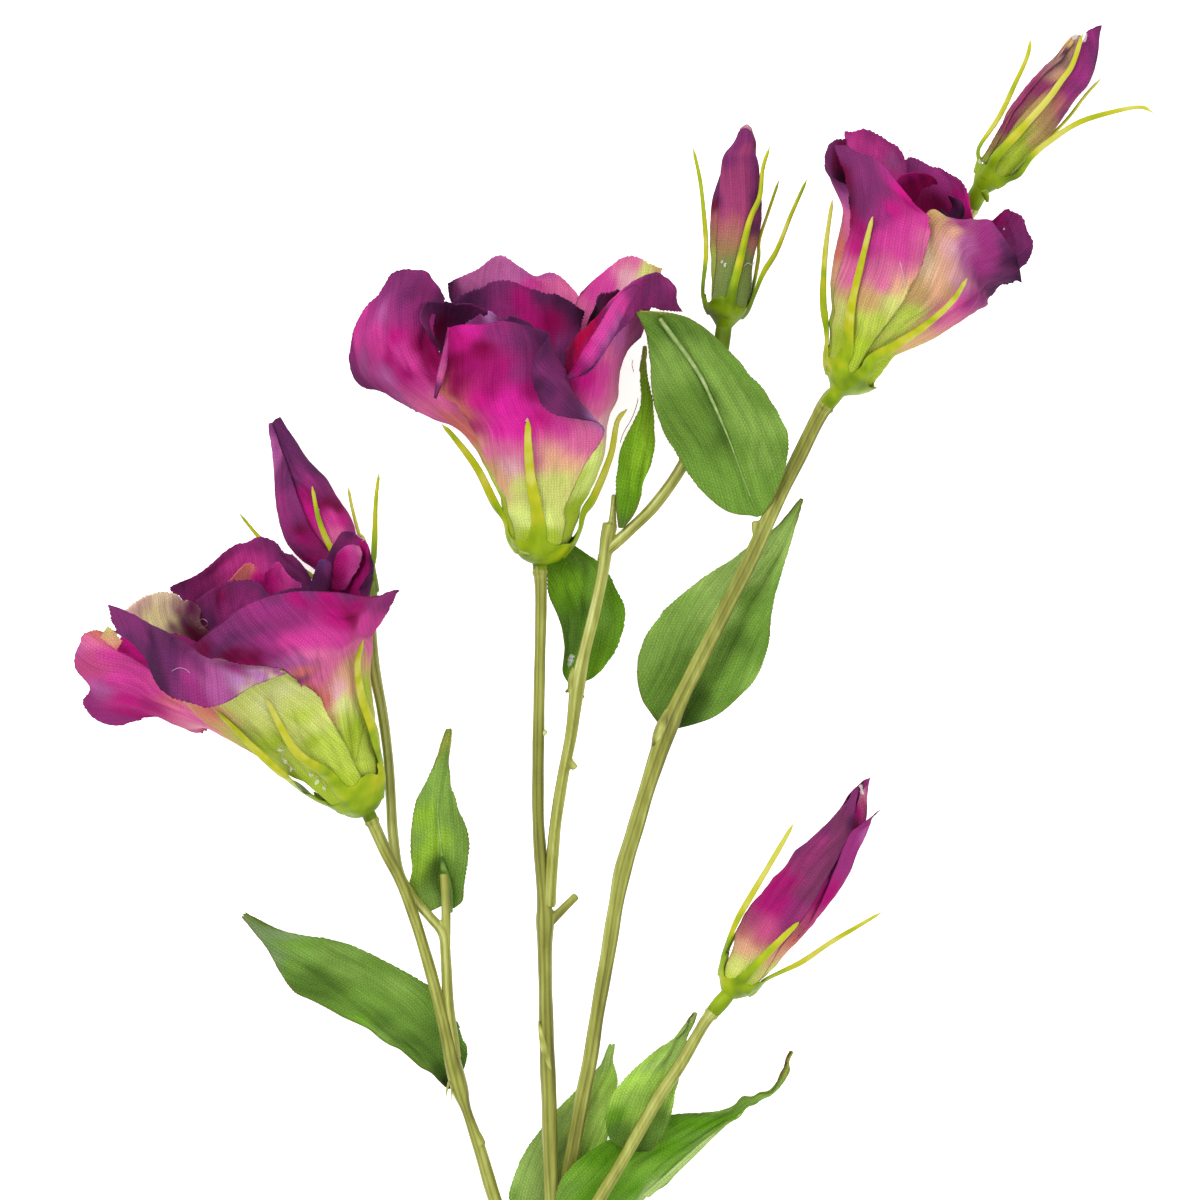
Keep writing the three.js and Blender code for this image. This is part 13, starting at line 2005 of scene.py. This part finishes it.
for name, net in LEAF.items():
    o = cloth(name + "_cloth", net, step=0.5, thick=0.32, saw=0.34, saw_pitch=1.1, bite=0.45, seed=sum(map(ord, name)),
              relief=lambda f, n=name: leaf_relief(n, f), tone=lambda f, n=name: leaf_tone(n, f), jag_from=0.2, trim=TRIM.get(name, ()))
    done(o, M_LEAF, "leaf_fabric", name)


# ------------------------------------------------------------------ stems
def stem_shape(seed):
    r = np.random.default_rng(seed)
    ph = r.uniform(0, 6.28)
    k1, k2 = r.uniform(5, 9), r.uniform(14, 24)
    def shape(dist, ang, p):
        seam = 0.13 * (np.exp(-((np.cos((ang - ph) / 2)) / 0.10) ** 2) + np.exp(-((np.sin((ang - ph) / 2)) / 0.10) ** 2))
        rib = 0.05 * np.cos(5 * ang + ph + 0.3 * np.sin(dist / k2))
        lump = 0.05 * np.sin(dist / k1 + ph) + 0.04 * np.sin(dist / 2.3 + 2 * ang + ph)
        return (seam + rib + lump) * np.clip(p[:, 3:4] / 1.8, 0.5, 1.3)
    return shape


def along_stem(points, length):
    """the first `length` mm of a stem"""
    q = np.asarray(points, float)
    fine = spline(q, np.linspace(0, len(q) - 1, 600))
    ln = np.concatenate([[0], np.cumsum(np.linalg.norm(np.diff(fine[:, :3], axis=0), axis=1))])
    return np.stack([np.interp(np.linspace(0, length, 8), ln, fine[:, k]) for k in range(4)], 1)


for name, pts in STEM.items():
    seed = sum(map(ord, name))
    parts = [tube(pts, 24, 0.7, stem_shape(seed))[:2]]
    for k, st in enumerate(STUB.get(name, ())):
        parts.append(tube(st, 16, 0.5, stem_shape(seed + k + 1))[:2])
    for k, st in enumerate(NUB.get(name, ())):
        parts.append(tube(st, 12, 0.3)[:2])
    ring = [n for n in NECK.values() if n[0] == name]
    ends = None
    if ring:
        cut = along_stem(pts, ring[0][1] + 0.55)[-2:]
        ends = cut.mean(0)[:3]
        d = cut[1, :3] - cut[0, :3]
        d /= np.linalg.norm(d)
        parts.append(tube([[*(ends - d * 0.45), cut[0, 3] + 0.34], [*ends, cut[0, 3] + 0.40], [*(ends + d * 0.45), cut[0, 3] + 0.28]], 20, 0.2)[:2])
    o = fused(name + "_moulding", parts, 0.30, 1)
    v = coords(o)
    line = np.asarray(pts, float)
    line = spline(line, np.linspace(0, len(line) - 1, 160))[:, :3]
    near = np.concatenate([np.argmin(((part[:, None] - line[None]) ** 2).sum(-1), 1) for part in np.array_split(v, max(len(v) // 4000, 1))])
    run = np.gradient(line, axis=0)
    run /= np.linalg.norm(run, axis=1, keepdims=True)
    over = np.cross(run, [0, 0, 1.0])
    over /= np.linalg.norm(over, axis=1, keepdims=True)
    d = v - line[near]
    turn = np.arctan2((d * np.cross(over, run)[near]).sum(1), (d * over[near]).sum(1))
    rs = np.random.default_rng(seed + 40)
    t = 0.45 + STEM_TONE.get(name, 0) + 0.06 * waves(v, 30, seed) + 0.03 * waves(v, 6, seed + 1)
    # lengthwise stripes run the whole length: darker ones are painted shade in grooves, lighter ones painted highlights
    # on ridges
    for k in range(9):
        at = k * 2 * math.pi / 9 + rs.uniform(-0.25, 0.25) + 0.10 * waves(v, 60, seed + k)
        w = (turn - at + math.pi) % (2 * math.pi) - math.pi
        t = t + rs.choice([-0.30, -0.22, 0.24]) * np.exp(-(w / rs.uniform(0.10, 0.17)) ** 2)
    # highlight along the upper side, and a pale moulding lip where a branch is plugged in
    nrm = np.empty(len(v) * 3, np.float32)
    o.data.vertex_normals.foreach_get("vector", nrm)
    nrm = nrm.reshape(-1, 3)
    t = t + 0.20 * np.clip(nrm @ np.array([-0.45, 0.2, 0.87]), -0.6, 1) ** 5
    if ends is not None:
        t = t + 0.16 * np.exp(-(np.linalg.norm(v - ends, axis=1) / (0.7 + cut[0, 3])) ** 6)
    put(o, tone=np.clip(t, 0, 1))
    done(o, M_STEM, "stem_plastic", name)


# ------------------------------------------------------------------ calyxes
def cup_parts(cup, sepals, rim, seed):
    """bowl that fits round the feet of the petals, standing higher at each sepal"""
    n = 90
    ang = np.linspace(0, 2 * math.pi, n, endpoint=False)
    top = rim * (1 + 0.10 * np.interp(ang, np.linspace(0, 2 * math.pi, 31), np.append(q := line_noise(30, 1.6, seed), q[0])))
    for s in sepals:
        h, t, r = cup.polar(np.asarray(s, float))
        k = min(int(np.searchsorted(h, rim)), len(h) - 1)
        dd = (ang - t[k] + math.pi) % (2 * math.pi) - math.pi
        top = np.maximum(top, rim * (1 + 0.75 * np.exp(-(dd / 0.26) ** 2)))
    for t0, wide, high in RIM_SHAPE.get(cup.key, ()):
        dd = (ang - t0 + math.pi) % (2 * math.pi) - math.pi
        torn = high * (1 + 0.09 * np.interp(ang, np.linspace(0, 2 * math.pi, 46), np.append(q := line_noise(45, 1.5, seed + 5), q[0])))
        top = top + (torn - top) * np.exp(-(dd / wide) ** 2)
    low = cup.bowl[0, 0]
    rows = []
    for f in np.linspace(0, 1, 20):
        h = low + (top - low) * f
        rows.append((h, np.maximum(cup.out(h, ang), 1.5)))
    rows.append((top + 0.12, cup.out(top, ang) - 0.22))
    for f in np.linspace(1, 0.35, 8):
        h = low + (top - low) * f
        rows.append((h, np.maximum(cup.out(h, ang) - 0.52, 0.9)))
    one = np.ones(n)
    rows += [(one * -0.6, cup.out(one * -0.6, ang) * 0.5), (one * -0.4, one * 1.5), (one * 0.4, one * 1.25), (one * 3.3, one * 1.25), (one * 3.6, one * 0.9), (one * 3.7, one * 0.02)]
    rows = [(one * (low - 0.05), one * 1.3), (one * (low - 0.1), one * 0.02)][::-1] + rows
    v = np.concatenate([cup.at(h, ang, r) for h, r in rows])
    f = []
    m = len(rows)
    for i in range(m - 1):
        for j in range(n):
            f.append([i * n + j, i * n + (j + 1) % n, (i + 1) * n + (j + 1) % n, (i + 1) * n + j])
    f.append([j for j in range(n)][::-1])
    f.append([(m - 1) * n + j for j in range(n)])
    return v, f


def sepal_path(cup, points, rim):
    """the sepal's line, kept on the bowl's wall until it leaves the rim"""
    q = np.asarray(points, float)
    h, t, r = cup.polar(q)
    k = min(int(np.searchsorted(h, rim * 1.7)), len(q) - 2)
    lead = []
    h0, t0 = np.array([h[k]]), np.array([t[k]])
    off = max(r[k], cup.wall(h0, t0)[0] + 0.5) - cup.out(h0, t0)[0]
    for hh in np.arange(0.4, h[k] - 1.5, 1.6):
        w = cup.out(np.array([hh]), t0)[0] - 0.05 + off * (hh / h[k]) ** 2.5
        lead.append(cup.at(np.array([hh]), t0, np.array([w]))[0])
    # the rest lies on the petals or stands off from them, never in them
    near = np.where(h < 24, np.maximum(r, cup.wall(h, t) + 0.5), r)
    q = cup.at(h, t, near)
    return np.concatenate([np.array(lead), q[k:]]) if lead else q


def sepal_parts(points, widths, head, seed):
    q = np.asarray(points, float)
    rough = spline(q, np.linspace(0, len(q) - 1, 160))
    ln = np.concatenate([[0], np.cumsum(np.linalg.norm(np.diff(rough, axis=0), axis=1))])
    n = max(int(ln[-1] / 0.5), 8)
    p = spline(q, np.interp(np.linspace(0, ln[-1], n + 1), ln, np.linspace(0, len(q) - 1, 160)))
    t = np.gradient(p, axis=0)
    t /= np.linalg.norm(t, axis=1, keepdims=True)
    a = np.array(head["axis"])
    d = p - np.array(head["base"])
    out = d - np.outer(d @ a, a)
    out /= np.linalg.norm(out, axis=1, keepdims=True)
    s = np.linspace(0, 1, n + 1)
    # past the bowl the blade turns its flat side up
    turn = 0.95 * ss(0.15, 0.45, s) * ss(-0.75, -0.2, out[:, 2])
    out = out + turn[:, None] * np.array([0, 0, 1.0])
    side = np.cross(t, out)
    side /= np.linalg.norm(side, axis=1, keepdims=True)
    nrm = np.cross(side, t)
    w = np.interp(s, np.linspace(0, 1, len(widths)), widths)
    w = w * (1 + 0.05 * line_noise(n + 1, 9, seed))
    # the last tenth comes to a blunt point
    tip = np.clip((1 - s) / 0.05, 0.25, 1) ** 0.6
    w = w * tip
    th = 0.42 * np.clip(tip, 0.5, 1) * np.interp(s, [0, 0.3, 1], [1.0, 1.0, 0.8])
    k = 16
    ang = np.linspace(0, 2 * math.pi, k, endpoint=False)
    cx, cy = np.cos(ang), np.sin(ang)
    # lens section with a raised middle rib outside and a shallow channel inside
    sec = np.stack([np.sign(cx) * np.abs(cx) ** 0.9, cy + np.where(cy > 0, 0.45 * np.exp(-(cx / 0.28) ** 2), 0)], 1)
    bow = 0.10 * w[:, None] * (sec[:, 0] ** 2)[None, :] * ss(0.5, 0.1, s)[:, None]
    v = (p[:, None] + side[:, None] * (sec[:, 0][None, :, None] * (w / 2)[:, None, None])
         + nrm[:, None] * (sec[:, 1][None, :, None] * th[:, None, None] - bow[..., None])).reshape(-1, 3)
    f = []
    for i in range(n):
        for j in range(k):
            f.append([i * k + j, i * k + (j + 1) % k, (i + 1) * k + (j + 1) % k, (i + 1) * k + j])
    f.append(list(range(k))[::-1])
    f.append([n * k + j for j in range(k)])
    return v, f


for key, head in HEAD.items():
    flower = key.startswith("flower")
    W = SEPAL_W[key]
    cup = CUP[key]
    rim = RIM.get(key, 5.0 if flower else 3.2)
    parts = [cup_parts(cup, SEPAL[key], rim, len(key))]
    parts += [sepal_parts(SEPAL_LINE.get((key, k)) or sepal_path(cup, p, rim), W, head, k + len(key)) for k, p in enumerate(SEPAL[key])]
    stem, length, bulge = NECK[key]
    q = along_stem(STEM[stem], length)
    r0 = np.maximum(q[:, 3], 1.45) + 0.10 + bulge * np.sin(np.linspace(0.25, 2.9, 8))
    start = np.append(cup.b - cup.a * 0.9, r0[0])
    parts.append(tube(np.concatenate([start[None], np.column_stack([q[:, :3], r0])]), 20, 0.4)[:2])
    o = fused(key + "_calyx_moulding", parts, 0.21, 2)
    v = coords(o)
    a, b = cup.a, cup.b
    h = (v - b) @ a
    t = 0.46 + 0.10 * waves(v, 12, len(key)) + 0.08 * waves(v, 4, len(key) + 1)
    t += (0.34 if flower else 0.46) * ss(6, 24 if flower else 14, h) - 0.16 * ss(3, -2, h) + CALYX_TONE.get(key, 0)
    put(o, tone=np.clip(t, 0, 1))
    done(o, M_CALYX, "calyx_plastic", key + "_calyx")

# ------------------------------------------------------------------ further pieces
def rib_material():
    N = Nodes("leaf_rib")
    obj = N.new("ShaderNodeTexCoord").outputs["Object"]
    n = N.noise(obj, 300, 3, 0.6)
    N.link(N.ramp(n, [(0.3, c(118, 152, 66)), (0.55, c(154, 180, 104)), (0.75, c(190, 204, 152))]), N.b.inputs["Base Color"])
    N.b.inputs["Roughness"].default_value = 0.45
    N.b.inputs["Specular IOR Level"].default_value = 0.3
    return N.m


def string_material(name, a, b):
    N = Nodes(name)
    obj = N.new("ShaderNodeTexCoord").outputs["Object"]
    N.link(N.ramp(N.noise(obj, 500, 2, 0.6), [(0.35, a), (0.65, b)]), N.b.inputs["Base Color"])
    N.b.inputs["Roughness"].default_value = 0.5
    return N.m


M_RIB = rib_material()
M_SOCKET = plastic_material("socket_plastic", [(0.0, c(40, 66, 14)), (0.4, c(66, 104, 22)), (0.7, c(98, 138, 40)), (1.0, c(140, 168, 80))], streaky=0.5)
M_STRING = string_material("glue_string", c(176, 140, 164), c(206, 180, 196))
M_HAIR = string_material("loose_thread", c(150, 122, 142), c(186, 164, 172))
SHEET_LOOK = {"petal": (M_PETAL, "petal_fabric"), "bud": (M_BUD, "bud_fabric"), "leaf": (M_LEAF, "leaf_fabric")}
STRAND_LOOK = {"rib": (M_RIB, "leaf_fabric"), "socket": (M_SOCKET, "stem_plastic"), "string": (M_STRING, "calyx_plastic"), "hair": (M_HAIR, "petal_fabric"), "calyx": (M_CALYX, "calyx_plastic"), "stem": (M_STEM, "stem_plastic")}

for name, (net, kind, thick, saw, marks) in SHEET.items():
    MARKS[name] = marks
    seed = sum(map(ord, name))

    def extra_relief(f, seed=seed):
        return 0.10 * waves(f["g"], 7, seed) + 0.05 * waves(f["g"], 3, seed + 1)

    def extra_tone(f, n=name):
        first = DYES_AND_SHADING[MARKS[n][0][2]]
        col = dyed_and_shaded(n, f, lambda q: np.ones(q["d"].shape + (1,)) * np.array(first), reach=60, blur=2)
        return dict(dye=col, brown=np.zeros_like(f["d"]))

    o = cloth(name + "_cloth", net, step=0.4, thick=thick, saw=saw, saw_pitch=1.1, seed=seed, relief=extra_relief, tone=extra_tone, jag_from=0.0)
    done(o, SHEET_LOOK[kind][0], SHEET_LOOK[kind][1])

for name, (pts, kind, flat) in STRAND.items():
    verts, faces, dist, _ = tube(pts, 12, 0.35)
    if flat < 1:
        ax = np.asarray(pts, float)
        near = np.argmin(((verts[:, None, :3] - ax[None, :, :3]) ** 2).sum(-1), 1)
        verts[:, 2] = ax[near, 2] + (verts[:, 2] - ax[near, 2]) * flat
    o = make(name + "_moulding", verts, faces, {"tone": 0.5 + 0.3 * waves(verts, 4, len(name))})
    done(o, *STRAND_LOOK[kind])

for name, pts in DROP.items():
    r = np.random.default_rng(sum(map(ord, name)))
    parts = []
    n, m = 14, 9
    for x, y, z, rad, high in pts:
        a = np.linspace(0, 2 * math.pi, n, endpoint=False)
        b = np.linspace(-math.pi / 2, math.pi / 2, m + 2)[1:-1]
        wob = 1 + 0.28 * np.sin(2 * a + r.uniform(0, 6)) + 0.18 * np.sin(3 * a + r.uniform(0, 6))
        v = np.array([[x + rad * math.cos(q) * math.cos(t) * w, y + rad * math.cos(q) * math.sin(t) * w, z + high * math.sin(q)] for q in b for t, w in zip(a, wob)])
        f = [[i * n + j, i * n + (j + 1) % n, (i + 1) * n + (j + 1) % n, (i + 1) * n + j] for i in range(m - 1) for j in range(n)]
        f.append(list(range(n))[::-1])
        f.append([(m - 1) * n + j for j in range(n)])
        parts.append((v, f))
    o = fused(name + "_drops", parts, 0.12, 1)
    done(o, M_GLUE, "calyx_plastic")


# ------------------------------------------------------------------ floor, light, camera
fl = bpy.data.meshes.new("floor")
S = 3.0
fl.from_pydata([(-S, -S, 0), (S, -S, 0), (S, S, 0), (-S, S, 0)], [], [(0, 1, 2, 3)])
floor = bpy.data.objects.new("floor", fl)
bpy.context.scene.collection.objects.link(floor)
floor.location.z = -0.0002
NF = Nodes("floor_white")
NF.b.inputs["Base Color"].default_value = (0.93, 0.93, 0.93, 1)
NF.b.inputs["Roughness"].default_value = 0.9
NF.b.inputs["Specular IOR Level"].default_value = 0.1
NF.b.inputs["Emission Color"].default_value = (1, 1, 1, 1)
NF.b.inputs["Emission Strength"].default_value = 0.55
fl.materials.append(NF.m)

world = bpy.data.worlds.new("studio")
bpy.context.scene.world = world
world.use_nodes = True
bg = world.node_tree.nodes["Background"]
bg.inputs[0].default_value = (1, 1, 1, 1)
bg.inputs[1].default_value = 1.30


def area(name, loc, target, size, power, color=(1, 1, 1)):
    l = bpy.data.lights.new(name, "AREA")
    l.shape = "SQUARE"
    l.size = size
    l.energy = power
    l.color = color
    o = bpy.data.objects.new(name, l)
    o.location = loc
    d = Vector(target) - Vector(loc)
    o.rotation_euler = d.to_track_quat("-Z", "Y").to_euler()
    bpy.context.scene.collection.objects.link(o)


area("key", (-0.55, 0.65, 1.30), (0, 0.05, 0), 0.7, 13.0)
area("fill", (0.80, 0.10, 1.10), (0, 0.05, 0), 1.0, 3.5)


cam = bpy.data.cameras.new("camera")
cam.lens = 135
cam.sensor_width = 36
cam.clip_start = 0.05
cam.clip_end = 20
co = bpy.data.objects.new("camera", cam)
co.location = (OFFSET[0] * MM, OFFSET[1] * MM, (CAMERA_HEIGHT + OFFSET[2]) * MM)
co.rotation_euler = (0, 0, 0)
bpy.context.scene.collection.objects.link(co)
bpy.context.scene.camera = co
bpy.context.scene.view_settings.view_transform = "Standard"
